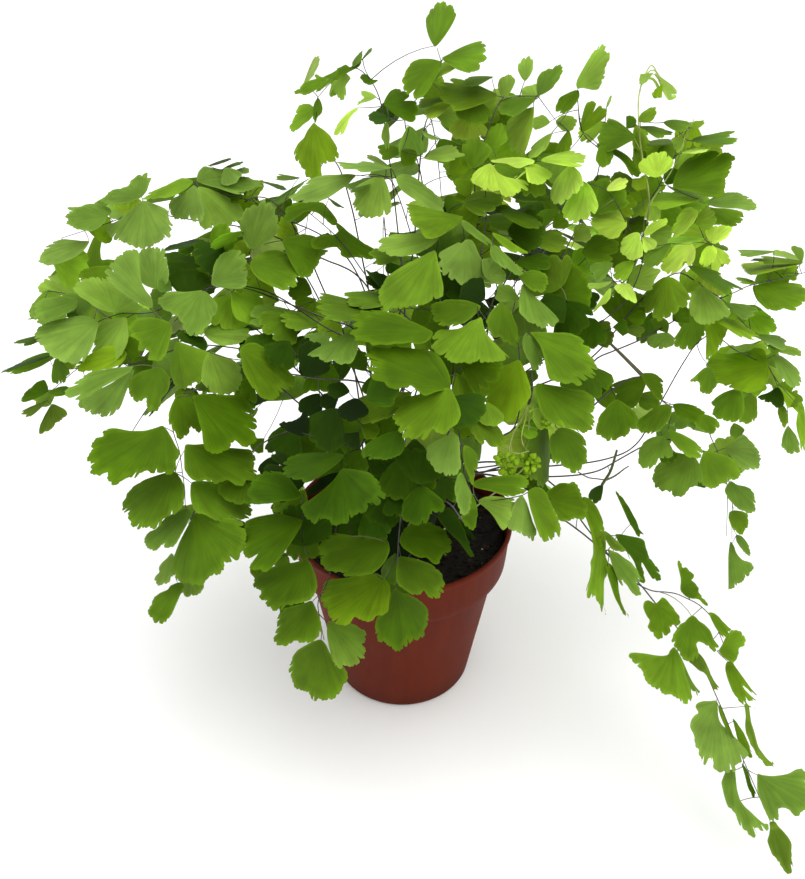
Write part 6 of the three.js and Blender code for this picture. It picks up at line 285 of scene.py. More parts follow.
        (10.8, -57, 229.1, -0.998, 0.011, 0.059, 0.056, -0.166, 0.984, 30.4, -60, 30.4, 30.4, 60, 4, 13, 1, ((0, 0), (2, 2.9), (4.1, 5.8), (5.6, 8.4), (8, 11), (9.6, 13.2), (9.7, 15.7), (10.6, 18.7), (10.9, 21.6), (9.8, 24.1), (10.2, 25.6), (7.9, 27.7), (6, 29.8), (3.7, 28.9), (3.1, 25.6), (2.5, 28.9), (0.5, 28.4), (0.2, 25.9), (-1.5, 28.3), (-3.3, 29.2), (-4.8, 27.7), (-7.6, 27.2), (-7.1, 25.1), (-8.3, 22.6), (-9.7, 20.4), (-8.7, 18), (-9.3, 15.5), (-8, 13.1), (-8, 10.6), (-7, 8.1), (-7.8, 5.3), (-7, 2.8), (-4.6, 0.7), (-1.7, -0.4))),
        (-0.8, -20.2, 221.8, -0.997, 0.043, 0.064, 0.074, 0.297, 0.952, 19.8, -55, 20.5, 19.8, 55, 6, 11, 1, (2.7, 5.2, 9.2, 15.4, 20.6, 20.7, 20.7, 20.8, 20.9, 20.9, 21.4, 21.4, 21.1, 21.1, 21.2, 21.2, 21.3, 20.5, 20.5, 20.5, 20.5, 20.5, 20.5, 20.5, 23.3, 23.7, 23.7, 24, 24.4, 24.7, 22.3, 21.8, 21.7, 21.7, 20, 19.9, 20.3, 19.8, 14.3, 8.7, 5.2, 2.6)),
        (-3.8, -30.3, 221.8, -0.974, -0.125, 0.187, 0.147, 0.279, 0.949, 28.5, -42, 29.2, 28.5, 42, 6, 11, 1, (3.2, 6.8, 12.5, 20.5, 28.5, 29.7, 29.8, 30.4, 31.6, 32.3, 31.2, 30.1, 29.5, 28.4, 27.9, 29.7, 29.7, 29.1, 29.2, 28.6, 28.6, 28.6, 28.6, 28.6, 28.6, 28.6, 28.6, 28.6, 29.1, 29.1, 29, 29.6, 29.5, 29.5, 30, 29.9, 29.9, 32.1, 32.6, 33.7, 31.4, 23.8, 13.5, 7.9, 3.8)),
        (-17.6, -41.9, 221.7, -0.527, -0.797, -0.294, -0.437, -0.042, 0.898, 16.7, -40, 19.3, 20.1, 47, 8, 5, 1, (2.2, 3.2, 7.1, 11.8, 16, 19.5, 20.2, 20.6, 20.3, 20.6, 19.8, 18.5, 18.3, 18.8, 18.9, 18.9, 18.9, 18.5, 18.6, 17.8, 17.5, 17.5, 18, 18.9, 19.3, 19.8, 20.3, 20.8, 20.1, 14.2, 8.5, 2.5, 2)),
        (-31.2, -21.8, 198.7, -0.077, -0.566, -0.821, -0.683, -0.569, 0.457, 14.7, -43, 15.8, 16.1, 46, 4, 14, 1, (2, 4.7, 5, 12.1, 17.6, 14.6, 14.8, 14.9, 15.4, 15.5, 15.3, 14.8, 14.8, 14.8, 14.9, 14.9, 14.9, 15.2, 15.5, 15.9, 16.9, 19.5, 19.2, 20.2, 20, 12.1, 3.1, 3, 2.2)),
        (-32.4, -40.2, 191.8, -0.556, -0.486, -0.674, -0.497, -0.456, 0.738, 9.2, -50, 9.6, 9.4, 50, 1, 12, 1, (0.9, 2.2, 4, 6.6, 9.2, 9.3, 9.4, 9.5, 9.5, 9.6, 9.8, 9.8, 10.4, 10.9, 11.6, 10.3, 10.6, 9.4, 6.8, 4.1, 2.6, 1.3)),
        (4.4, -38.8, 217.6, 0.752, -0.326, -0.573, 0.438, -0.402, 0.804, 8.4, -50, 8.6, 8.2, 50, 6, 5, 1, (0.7, 1.2, 3.8, 6.2, 8.6, 7.8, 7.7, 8, 8.2, 8.6, 8.8, 8.1, 8, 8, 7.7, 7.6, 7.5, 5.9, 4.1, 2.6, 0.6)),
        (17.3, -16.3, 223.3, 0.995, -0.003, 0.103, -0.097, -0.352, 0.931, 7.9, -50, 8.2, 7.8, 50, 2, -1, 22.86, (0.3, 0.8, 3.8, 7.6, 8.1, 8.1, 8.2, 9.9, 8.3, 8.4, 8.4, 8.3, 10.5, 8.2, 7.9, 7.8, 3.5, 2.7, 2.3, 0.9)),
        (5, -25.7, 222, 0.506, -0.403, -0.763, 0.574, -0.503, 0.646, 7.9, -50, 8, 7.7, 51, 4, -1, 22, (1.1, 1.7, 1.7, 7.1, 8.8, 8.4, 7.8, 8, 8, 8.3, 8.6, 7.3, 7.1, 8.2, 8.3, 8.2, 6.2, 3.7, 1.4, 0.3)),
        (-24.7, -45.1, 194.3, -0.814, -0.357, -0.459, -0.341, -0.345, 0.874, 7.7, -50, 8, 7.8, 50, 1, 6, 1, (0.6, 1.6, 2.8, 2.2, 7.4, 7.8, 7.9, 7.9, 8, 8, 8, 8, 8, 7.9, 7.9, 8, 6.9, 4.6, 1.6, 0.3)),
        (3.4, -41.1, 217.8, -0.641, -0.368, -0.674, -0.525, -0.429, 0.734, 6.7, -50, 6.9, 6.8, 50, 6, 9, 1, (4.7, 6.9, 7, 7, 7, 7, 5.6, 6, 6.6, 6.5)),
        (-36.3, -23.9, 197, -0.786, -0.377, -0.49, -0.344, -0.392, 0.854, 6.1, -50, 6.3, 6.1, 50, 0, 8, 1, (6, 6.1, 7.9, 7.3, 6.9, 5.9, 5.9, 5.8, 5.5)),
        (19.8, -17.7, 213.8, -0.861, 0.213, -0.462, -0.478, -0.648, 0.593, 15.6, -58, 16.3, 13.7, 67, 6, -1, 22, ()),
        (15.2, -7.5, 233.2, -0.089, 0.908, 0.41, -0.27, -0.419, 0.867, 13.2, -55, 15.7, 13.3, 67, 3, -1, 24.62, ()),
        (12.4, -50.9, 166.5, -0.273, 0.84, 0.468, -0.223, -0.529, 0.819, 13.2, -51, 15.7, 15.3, 63, 12, -1, 11.12, ()),
        (-2.4, -12.8, 224.6, -0.912, 0.375, 0.167, 0, -0.406, 0.914, 13, -60, 13, 13, 60, 1, -1, 23, ((-0.5, -0.2), (-2.7, 2.3), (-4.3, 5.9), (-4.2, 9.4), (-1.8, 12.8), (2.1, 12.9), (4.2, 10.7), (4.1, 7.2), (3.1, 3.2))),
    ]),
    "frond_12": (0, [(15, -6.8, 89), (15.1, -7.1, 97.1), (15.4, -7.8, 105.2), (15.9, -8.9, 113.2), (16.3, -10.7, 121), (16.7, -13.2, 128.6), (17.4, -16.2, 136), (18.3, -19.7, 143.1), (20.1, -23.5, 149.9), (22, -27.7, 156.4), (24.1, -32.3, 162.7), (26.5, -37.1, 168.7), (29.2, -41.9, 174.5), (32.3, -46.4, 180.3), (35.7, -49.5, 186.8), (37.3, -47.1, 193.8), (36.4, -41.7, 199.5), (34.7, -38.3, 206.6), (33.1, -34.7, 213.5), (33.2, -29, 218.9), (35.3, -22.1, 222.5), (37.5, -15.3, 225.7), (34.9, -9.8, 230.6), (30.5, -5.2, 235.5), (24.7, -1.7, 239.7)], [
        (24.9, -10, 243, -0.123, -0.542, -0.831, 0.609, -0.703, 0.368, 18.8, -60, 18.8, 18.8, 60, 10, -1, 23.66, ((0.1, -0.6), (2.3, 1.6), (3.5, 1.1), (6.7, 3.1), (9.7, 5), (12, 6.6), (12.4, 8.6), (11, 9.5), (12, 11.2), (10, 12.4), (9.7, 14), (8.6, 14.8), (6.3, 15), (4.6, 16), (2.1, 15.4), (1.4, 16.4), (-1.1, 17.2), (-2.7, 16.3), (-4.9, 16.7), (-7, 16.2), (-9.4, 16.2), (-9.9, 14.5), (-12.3, 13.1), (-14.6, 11.9), (-13.7, 9.8), (-11.9, 7.8), (-10.3, 6.2), (-7.2, 3.4), (-4.7, 0.5), (-2.9, -1))),
        (28.9, -37.8, 228.8, -0.977, 0.062, -0.202, -0.21, -0.193, 0.959, 19.3, -60, 19.3, 19.3, 60, 6, -1, 18.91, ((0.4, -0.8), (2.8, 1.8), (5.3, 4.8), (6.8, 8.6), (7.8, 12.5), (7.4, 16), (6.1, 18.3), (3.2, 18.7), (0.6, 17.5), (-2.9, 17.5), (-6.2, 15.6), (-8.2, 12.2), (-8.4, 8.9), (-7.4, 5.5), (-5.2, 2.8), (-2.2, 0.4))),
        (28.9, -44, 227.4, -0.439, -0.699, -0.564, -0.352, -0.444, 0.824, 22.1, -60, 22.1, 22.1, 60, 9, 1, 1, ((0.2, -0.6), (0.8, 0.7), (3.2, 2.3), (4.5, 4.8), (6.4, 6.5), (9.6, 7.6), (13, 8.3), (14.5, 9.5), (14.6, 11.4), (14.6, 13), (13, 14), (13.4, 15.9), (11.8, 17.4), (9.6, 18.1), (6.9, 18.2), (5.6, 19.2), (4, 19.8), (1.8, 19.9), (-1.5, 19.3), (-4.7, 18.3), (-6.8, 17.5), (-7.1, 16), (-8.6, 16.9), (-11.3, 16.1), (-13.1, 14.8), (-16.2, 13.7), (-18.1, 12.6), (-17.4, 11.5), (-15.2, 10.6), (-11.2, 8.6), (-7.8, 6.8), (-4.9, 5), (-2.6, 2.4), (-1, 0.1))),
        (38.4, -28.6, 225.7, 0.068, -0.632, -0.772, 0.67, -0.544, 0.505, 18.2, -60, 18.2, 18.2, 60, 6, -1, 19.79, ((0.2, -0.6), (3.1, 1.3), (6, 3.4), (8.1, 5.9), (9.3, 7.9), (8.1, 9.4), (9.1, 11.2), (7.4, 12.2), (6.2, 13.7), (3.8, 13.5), (0.5, 15), (-3, 15.5), (-5.6, 16.7), (-8.2, 16.3), (-9.1, 14.1), (-9.1, 11.2), (-8.7, 8.4), (-6.8, 6.1), (-5.7, 3.8), (-3.7, 2.1), (-1.7, 1.3))),
        (35.1, -9.7, 241.1, 0.668, -0.372, -0.645, 0.508, -0.406, 0.76, 17.1, -60, 17.1, 17.1, 60, 8, -1, 22.9, ((-0.3, -0.8), (-1.9, 1.6), (-2.6, 4.6), (-3, 7.9), (-3.3, 11.2), (-3.2, 14.9), (-3, 16.8), (0.6, 15.2), (2.6, 11.9), (4.3, 8.4), (5.4, 5.2), (4.5, 2.1))),
        (35.1, -3.1, 243.7, 0.818, -0.398, -0.416, 0.293, -0.333, 0.896, 16.9, -60, 16.9, 16.9, 60, 7, 4, 1, ((0, 0), (-1.3, 2.6), (-2, 6.1), (-1.9, 9.5), (-2, 13.3), (-2.7, 16.7), (0.1, 14.8), (2.6, 11.9), (3.3, 8.4), (2.3, 5), (1.5, 2.2))),
        (24, -0.1, 248.8, -0.964, -0.147, 0.222, 0.215, 0.06, 0.975, 29, -52, 22.9, 20.7, 16, 7, 7, 1, (1.9, 7.5, 11.5, 25.9, 31.3, 29, 28, 27.5, 27, 27, 29.1, 27.6, 26.7, 26.2, 25.4, 25, 24.3, 24, 23.3, 23.1, 23, 22.9, 22.9, 22.4, 22.2, 22.8, 22.7, 22.6, 21.9, 14.6, 8.2, 4.5, 1.5)),
        (23.2, 4.4, 246, 0.76, -0.373, -0.532, 0.402, -0.374, 0.836, 16.5, -60, 16.5, 16.5, 60, 8, -1, 24, ((-0.4, 0.3), (-1.8, 3.1), (-1.8, 6.2), (-1.9, 9.4), (-2.4, 12.8), (-2.5, 15.3), (-1.5, 16.4), (1.7, 14.7), (2.2, 11.9), (2.7, 8.5), (3.1, 5.1), (2.4, 2.6))),
        (19.7, 6.8, 232.2, 0.193, 0.392, 0.899, -0.696, -0.591, 0.407, 11, -51, 11.1, 10.7, 51, 8, -1, 24, (0.9, 2.5, 2.3, 7.6, 8.6, 7.9, 11, 11.1, 11.1, 11.3, 11.8, 12.9, 12.4, 12.9, 11.3, 10.6, 11, 11.1, 11.5, 12.3, 12.6, 9.2, 6.3, 2.7, 1.2)),
        (33.2, -12.2, 218.6, 0.934, -0.233, -0.272, 0.17, -0.381, 0.909, 6.8, -50, 7, 6.7, 50, 1, -1, 20.86, (6.5, 7.1, 6.7, 6, 5.5, 5, 5, 5.2, 5.7, 6.6)),
        (32, -24, 224.6, -0.8, 0.447, 0.4, -0.015, -0.682, 0.731, 8.6, -56, 10, 9, 51, 1, -1, 19.81, ()),
        (25.8, -32.9, 206.6, -0.637, -0.245, -0.731, -0.465, -0.634, 0.618, 13.8, -62, 14.3, 13, 65, 4, -1, 17.53, ()),
        (32.5, -14.3, 229.7, 0.814, 0.496, 0.301, 0.199, -0.726, 0.658, 7.4, -63, 8.5, 7.9, 55, 10, -1, 21.62, ()),
        (27.6, -9.4, 221.2, -0.91, 0.256, 0.326, 0.037, -0.733, 0.679, 13.6, -61, 15.7, 15.1, 57, 2, 9, 0.95, ()),
    ]),
    "frond_13": (0, [(12.3, 4.1, 89), (12.4, 4, 97.1), (12.8, 3.4, 105.1), (13.3, 2.1, 113), (14.5, -0.4, 120.5), (16.2, -4, 127.8), (18.2, -8.2, 134.7), (20.2, -12.9, 141.2), (22, -17.5, 147.5), (24, -22.4, 153.3), (26.1, -27.7, 158.8), (28.3, -33.5, 164), (30.5, -39.5, 168.9), (32.9, -45.5, 173.6), (35.7, -51.4, 178.2), (38.9, -56.8, 183.2), (42.4, -60.3, 189.3), (44.5, -56.6, 195.7), (44.9, -49.9, 200.1), (45.3, -42.9, 203.9), (45.6, -35.4, 206.9), (45.1, -28.2, 210.1), (43.7, -21.6, 214.6), (45, -14.6, 218.2), (47.7, -7.5, 220.7)], [
        (43.5, -52.2, 213.8, -0.45, -0.215, -0.867, -0.789, -0.359, 0.498, 24.4, -60, 24.4, 24.4, 60, 11, -1, 18.83, ((0.6, -0.6), (3.4, 2.7), (7, 5.9), (11.8, 9), (16.2, 11.8), (17.1, 15), (16.9, 17.6), (13.8, 19.1), (11.2, 20.9), (6.9, 21.1), (4.3, 20.5), (2.6, 22.2), (-0.5, 23.1), (-4.9, 22.8), (-8.3, 21.6), (-10.9, 19.6), (-12.9, 17.9), (-12, 15.5), (-13, 13.5), (-13.7, 10.5), (-13.9, 7), (-11.2, 4.2), (-7.2, 2.2), (-3.3, 0.4))),
        (48, -16.1, 226.7, 0.48, -0.58, -0.658, 0.518, -0.418, 0.746, 20, -60, 20, 20, 60, 8, -1, 23.57, ((0.1, -1.4), (-0.9, 2.1), (-2.4, 5.7), (-4.8, 9.1), (-6.7, 12.4), (-8.6, 15.7), (-8.6, 18), (-5, 19.3), (-0.8, 19), (3.1, 18.3), (5.5, 15.8), (7.9, 13.3), (9.4, 9.7), (7.5, 5.7), (4.1, 2.1))),
        (48.7, -35.9, 216.6, 0.833, -0.452, -0.32, 0.246, -0.216, 0.945, 30.4, -60, 30.4, 30.4, 60, 6, -1, 20.29, ((-0.5, -0.3), (-3, 2.1), (-6.2, 5.2), (-9.3, 8.2), (-12.2, 10.5), (-14.5, 13.5), (-14.6, 17.1), (-13.2, 18.9), (-11.3, 19), (-11.9, 21.4), (-9.9, 22.9), (-6.8, 23.4), (-5.8, 25.4), (-4.2, 27.6), (-2, 29.1), (0.5, 28.5), (1.9, 30.4), (4.4, 30.1), (5.8, 28.1), (8.4, 27.5), (10.8, 27.7), (11.6, 25), (13.7, 23), (13.9, 20.9), (16.2, 19), (15.5, 16.1), (11.7, 13.2), (7.4, 10.1), (2.9, 6.3), (0.6, 2.5))),
        (47.3, -37.8, 217.2, 0.48, -0.194, -0.855, 0.684, -0.528, 0.504, 14.8, -60, 14.8, 14.8, 60, 8, 2, 1, ((-0.5, -0.5), (-1.4, 1.7), (-4.5, 4.7), (-5.5, 8.1), (-7, 10.8), (-7, 13), (-4.4, 13), (-2.4, 12.9), (-0.5, 12.6), (-0.9, 14), (1.8, 13.7), (3.8, 13.8), (6.5, 12.3), (5.4, 10.2), (5.4, 6.9), (5.3, 3.7), (4, 1.2), (1.8, -0.2))),
        (24.5, -70.8, 206.1, 0.424, -0.775, -0.468, 0.618, -0.13, 0.775, 19.4, -52, 17.4, 13.7, 34, 6, -1, 16.57, (1.6, 4.4, 8.2, 13.7, 17.5, 18.8, 18.5, 19, 19.2, 19, 18, 17.9, 17.7, 18, 17.2, 17.1, 17.4, 17.4, 17.6, 17.1, 16, 17.5, 17.3, 14.8, 14.4, 14.2, 10.3, 6.8, 3.4, 1.8)),
        (45.9, -11.7, 229.3, 0.937, -0.283, -0.203, 0.14, -0.227, 0.964, 12.9, -60, 12.9, 12.9, 60, 6, 1, 1, ((-0.4, -0.5), (-3, 1.7), (-5.9, 4.4), (-6.9, 7.5), (-6.2, 10.1), (-3.1, 12.1), (0.3, 12.1), (3.5, 12.4), (6.5, 10.7), (6.7, 7.9), (5.5, 5.1), (3, 2))),
        (51, -51.7, 203.1, 0.759, -0.527, -0.381, 0.297, -0.24, 0.924, 26.5, -60, 26.5, 26.5, 60, 6, -1, 17.88, ((-0.6, -0.8), (-3.9, 2.9), (-7.2, 6.7), (-10, 10.7), (-13.2, 13.7), (-14.1, 17), (-12.6, 20.2), (-9, 21.8), (-6, 22.6), (-4.6, 25.2), (-0.8, 26.5), (3.1, 25.9), (5.9, 24.3), (6.6, 21.9), (8.1, 19.5), (10.8, 17.4), (12.2, 14.6), (12.8, 11.7), (11, 8.3), (7.6, 4.7), (3.9, 1.5))),
        (45.4, -51, 196.2, 0.986, -0.036, 0.165, -0.169, -0.245, 0.955, 8.6, -51, 8.7, 8.4, 50, 15, -1, 17.44, (1, 2, 3.7, 6.1, 8.4, 8.3, 8.6, 8.7, 8.7, 8.7, 8.7, 8.7, 8.8, 9, 8.9, 8.3, 8.2, 5.9, 3.3, 2.7, 1.1)),
        (44.4, -58.8, 188.6, 0.974, -0.205, -0.094, 0.043, -0.243, 0.969, 7.7, -51, 7.9, 7.6, 50, 14, -1, 15.96, (0.4, 2, 3.4, 5.5, 7.9, 7.6, 9.2, 9.1, 7.1, 7.1, 7.3, 8.2, 8, 6.5, 6.9, 5.9, 5.4, 3.3, 1, 0.8)),
        (19.3, -71.1, 200.1, 0.615, -0.468, -0.635, 0.492, -0.401, 0.773, 7, -50, 7.1, 6.9, 50, 11, 4, 1, (0.9, 2.1, 2.2, 2.2, 6.3, 6.9, 7.1, 9.1, 7.4, 7.4, 7.8, 7.1, 7, 7, 6.9, 3.6, 3.6, 2.2, 0.9)),
        (46.4, -37.7, 198.9, 0.936, -0.273, -0.221, 0.131, -0.314, 0.94, 7, -51, 7.2, 6.9, 50, 6, -1, 19.33, (0.9, 2.3, 4.1, 6, 8.4, 7.2, 7.3, 7.3, 7.3, 5.6, 5.9, 6, 5.8, 6.6, 7, 5.1, 3.3, 1.9, 0.9)),
        (46.5, -13.5, 219.5, -0.844, 0.427, 0.324, 0.199, -0.31, 0.93, 9, -48, 9.6, 7.7, 43, 12, -1, 23.24, ()),
        (48.7, -10.6, 215.6, 0.061, -0.262, -0.963, -0.063, -0.964, 0.258, 14.7, -43, 16.7, 13.6, 39, 8, -1, 23.5, ()),
        (47.7, -33.2, 200.3, -0.271, 0.904, 0.33, -0.213, -0.39, 0.896, 13.8, -70, 14.5, 12.2, 69, 8, 10, 0.95, ()),
        (36.9, -56.3, 181.8, 0.852, -0.028, -0.523, 0.175, -0.926, 0.335, 13.9, -49, 15.9, 14.5, 50, 18, -1, 14.75, ()),
        (32.2, -34.8, 171.4, -0.786, -0.518, -0.338, -0.064, -0.476, 0.877, 14.6, -49, 16, 12.8, 54, 10, -1, 11.81, ()),
        (31, -70.5, 207.4, 0.195, -0.785, -0.589, 0.303, -0.522, 0.797, 7.1, -47, 8.9, 8.1, 57, 9, 4, 0.84, ()),
    ]),
    "frond_14": (0, [(5.3, -7.9, 89), (6.2, -9, 96.9), (7.4, -10.6, 104.7), (9.1, -12.8, 112.4), (11.1, -15.2, 119.7), (13.3, -17.7, 126.7), (15.9, -20.9, 133.2), (19.1, -24.5, 139.1), (22.9, -28.9, 144.5), (27.1, -33.6, 149.4), (31.6, -38.3, 153.9), (36.4, -43, 158.3), (41.5, -47.3, 162.6), (46.8, -50.7, 167.5), (51.7, -51.4, 173.6), (54.4, -48.1, 180.2), (55.3, -44, 187), (58.3, -42.9, 186.5), (61.1, -45.5, 179.5)], [
        (61.6, -51, 183.3, 0.334, -0.589, -0.736, 0.596, -0.473, 0.649, 18.7, -60, 18.7, 18.7, 60, 6, -1, 17.99, ((0, 0), (-3.7, 1.2), (-7.6, 3.4), (-10.2, 5.6), (-10.6, 8.3), (-10.3, 11.1), (-8.5, 13.2), (-8.4, 15.7), (-5.1, 17), (-1.6, 18.6), (2.1, 18.5), (3.8, 16), (6.8, 13.6), (10.2, 13.2), (11.4, 10.9), (10.9, 7.7), (9.9, 4.7), (7.2, 2.1), (3.5, 0.9))),
        (55.9, -48.6, 185, -0.112, -0.568, -0.816, 0.918, -0.373, 0.134, 23.6, -54, 24.4, 23.6, 56, 6, -1, 15.57, (1.2, 5.2, 8.5, 15.3, 23.1, 27, 25.2, 23.3, 22.4, 28.7, 27.8, 27.9, 27.5, 27.1, 26.2, 25.7, 25.3, 27.3, 26.8, 26.3, 26.3, 25.9, 25.9, 25.9, 23.4, 23.4, 23.9, 24.3, 24.8, 25.7, 26.1, 26.6, 20.2, 20.2, 20.6, 21.1, 22, 22.4, 22.3, 21.3, 20.3, 20.7, 5.4, 4.6, 1)),
        (47.5, -73.2, 169, 0.591, -0.365, -0.72, 0.624, -0.358, 0.694, 21.7, -60, 21.7, 21.7, 60, 7, 7, 1, ((0, 0), (-4.8, 1.2), (-7.7, 3.1), (-8.9, 6.3), (-7.5, 9.3), (-6.6, 12.6), (-6.2, 16.2), (-4.3, 18.9), (-1.7, 21.4), (0.7, 21.7), (0, 19.3), (2.7, 19.8), (6.3, 19.7), (9, 18.3), (9.1, 15.8), (8.6, 12.8), (6.6, 9.4), (4.4, 5.2))),
        (58.3, -62, 155.8, 0.993, -0.117, -0.002, -0.026, -0.24, 0.97, 15.9, -60, 15.9, 15.9, 60, 7, 7, 1, ((0, 0), (-3.9, -1.3), (-5.6, 0.7), (-7.9, 2.6), (-9.1, 5), (-9.3, 7.4), (-10.1, 9.8), (-8.2, 11.8), (-4.7, 12.2), (-1.3, 13.7), (2.5, 15.3), (5.5, 14.9), (8.1, 13.7), (8.8, 11.4), (8.5, 9.1), (10.2, 6.8), (9.9, 4.4), (6.7, 2.9))),
        (45.5, -74.6, 168.7, 0.006, -0.785, -0.62, 0.676, -0.454, 0.58, 18.2, -60, 18.2, 18.2, 60, 10, 2, 1, ((-0, -0), (3.6, 2.9), (6, 6.3), (7.9, 10.4), (9.2, 13.6), (6.5, 14.7), (2.1, 15.3), (-2.4, 16.2), (-5.2, 17.4), (-7.1, 15.2), (-7.9, 12.8), (-5.7, 10), (-4.2, 6.4), (-2.7, 3.1))),
        (27.5, -86.4, 174.8, 0.861, 0.1, -0.498, 0.508, -0.18, 0.842, 20.7, -60, 20.7, 20.7, 60, 12, 4, 1, ((0, 0), (-3.3, 3.3), (-5.8, 7.9), (-7.5, 13), (-9.7, 18.3), (-7.1, 18.9), (-1.6, 16.2), (3.1, 14), (6.9, 12.8), (9, 10.8), (7.4, 9.2), (4.5, 7.2), (2.6, 5.1), (1.3, 2.6))),
        (25.1, -89.3, 184.8, 0.992, -0.119, 0.046, -0.051, -0.034, 0.998, 20.1, -60, 20.1, 20.1, 60, 6, 5, 1, ((0, 0), (-2.9, 2), (-4.3, 5.5), (-5.1, 9.8), (-5.9, 14), (-6.1, 17.6), (-3.4, 19.8), (0.5, 19.9), (3.4, 18.5), (5.2, 15.8), (5.9, 13), (4.9, 10.2), (3.5, 7.3), (2.6, 3.7), (1.6, 0.8))),
        (53.9, -56.6, 160.9, 0.273, -0.616, -0.739, 0.544, -0.535, 0.646, 6.9, -50, 7.1, 6.9, 50, 3, -1, 13.22, (0.9, 2.2, 3.1, 5.1, 7, 7.2, 6.6, 6.6, 6.9, 7.1, 7.1, 7.1, 7, 7, 6.9, 4.9, 2.9, 1.9, 0.9)),
        (57.3, -43.7, 187, -0.983, -0.135, -0.125, -0.006, -0.653, 0.757, 15.1, -45, 16.4, 13.3, 41, 18, -1, 16.61, ()),
        (56.7, -41.7, 169, 0.468, 0.73, 0.499, -0.214, -0.454, 0.865, 14.6, -53, 16.4, 13.3, 48, 19, -1, 14.25, ()),
    ]),
    "frond_15": (0, [(9.1, -2.7, 89), (9.4, -3.8, 97), (10.2, -5.9, 104.7), (11.3, -8.7, 112.2), (13.2, -12.1, 119.2), (15.6, -16, 125.7), (18.3, -20.3, 131.9), (21.3, -25, 137.7), (24.5, -30, 143.1), (28, -35.2, 148.1), (32, -40.6, 152.5), (36.5, -46.1, 156.1), (41.8, -51.6, 158.4), (48.3, -55.9, 157.8), (54.3, -56.6, 153), (59, -54.4, 146.9), (63.5, -51.9, 140.8), (68.4, -49.7, 134.9), (73.3, -47.3, 129.1), (78.7, -45.9, 123.3), (84.6, -47.1, 118.2), (90.6, -50.2, 114), (96.5, -54, 110.1), (102.3, -57.4, 105.7), (107.2, -58.5, 99.6), (112, -58.8, 93.2), (117.1, -58.5, 87.1), (122, -59.3, 80.8), (126.6, -62.5, 75.2), (130.4, -68.2, 71.2), (133.4, -74.7, 67.7), (136.3, -80.2, 62.7), (139.4, -84.9, 57), (142.2, -90, 51.5), (145, -95.5, 46.4), (147.8, -101.2, 41.5), (150.5, -107, 36.7), (153.2, -113, 32.2), (155.8, -119.3, 28)], [
        (78.7, -33, 134.3, 0.291, -0.768, -0.571, -0.239, -0.636, 0.733, 24.1, -60, 24.1, 24.1, 60, 7, -1, 18.11, ((0.3, -0.6), (-2.5, 1.8), (-3.9, 6.5), (-4.1, 12.2), (-2.8, 18.1), (-0.3, 22.6), (2.4, 24), (3.5, 20.9), (2.4, 15.3), (2.3, 8.9), (2.8, 2.7))),
        (87, -53.9, 122.9, 0.523, -0.695, -0.493, -0.153, -0.646, 0.748, 23.1, -60, 23.1, 23.1, 60, 8, -1, 20.47, ((0.1, -0.6), (-0.9, 1.6), (-2.5, 3.6), (-3.4, 6.7), (-4.8, 9.7), (-4.9, 13.8), (-4.4, 17.4), (-3.9, 19.5), (-2.4, 18.1), (-1.6, 17.1), (-1.6, 20.5), (-0.3, 23.1), (2.1, 21.6), (2.3, 19), (2.1, 16.6), (2.4, 15), (2.7, 13.3), (3.8, 17), (4.2, 15.3), (4, 12.9), (3.1, 9.5), (2.5, 6.4), (1.5, 3.6))),
        (86.2, -59.1, 118.1, 0.335, -0.695, -0.636, 0.295, -0.563, 0.772, 23.6, -60, 23.6, 23.6, 60, 4, 1, 1, ((0.5, -1.1), (-1.9, -0.8), (-3.2, 3.2), (-2.4, 7), (-0.7, 11.7), (0.2, 15.8), (-0, 19.8), (-0.8, 23.6), (1.1, 21.2), (1.8, 17.1), (2.2, 12.6), (1.8, 8.3), (1.5, 4.4))),
        (86.1, -48.1, 127.4, 0.541, -0.756, -0.368, -0.229, -0.554, 0.801, 12.2, -60, 12.2, 12.2, 60, 5, -1, 19.51, ((-0.2, -0.9), (-1.1, 1.9), (-1.5, 5.5), (-2.1, 8.7), (-2.2, 12), (-0.2, 10.5), (1.4, 9.8), (2.2, 7.6), (2.2, 4.9), (1.6, 2.1))),
        (93, -40.9, 119.5, 0.691, -0.368, -0.622, 0.421, -0.496, 0.76, 28.1, -60, 28.1, 28.1, 60, 3, -1, 20.47, ((0, -0.6), (-2, 1.2), (-5.2, 5.4), (-8.5, 9.6), (-9.3, 11.7), (-7.5, 14.2), (-5.2, 17), (-4.5, 20.1), (-4.3, 23.5), (-3.2, 26.8), (-1.3, 28.1), (0.6, 27.4), (1.9, 25), (1.2, 22), (0.5, 19.6), (-0.2, 17.2), (0.2, 16.2), (2.1, 18.7), (4.3, 21.5), (6.5, 23), (7.7, 22.5), (7.4, 20.4), (5.5, 17.9), (3.7, 15.4), (2.6, 13.4), (2, 10.3), (2.1, 7.2), (1.8, 3.8), (1.1, 1.4))),
        (108.1, -64.7, 101.5, 0.283, -0.744, -0.605, -0.175, -0.66, 0.731, 14.6, -60, 14.6, 14.6, 60, 7, -1, 23.98, ((0.4, -0.1), (-1.1, -0.5), (-3.4, -2), (-4.7, -0.7), (-5.5, 1.7), (-6.6, 4.7), (-7.2, 7.9), (-7.4, 9.7), (-6, 11.1), (-3.7, 10.3), (-2.3, 11.7), (-0.4, 13.3), (1.7, 14.3), (4.2, 14), (5.2, 12), (6.2, 9.9), (6.3, 7.7), (4.8, 6), (5.5, 3.1), (5.7, -0), (4.5, -2.3), (2.6, -2.6), (1.3, -1.3))),
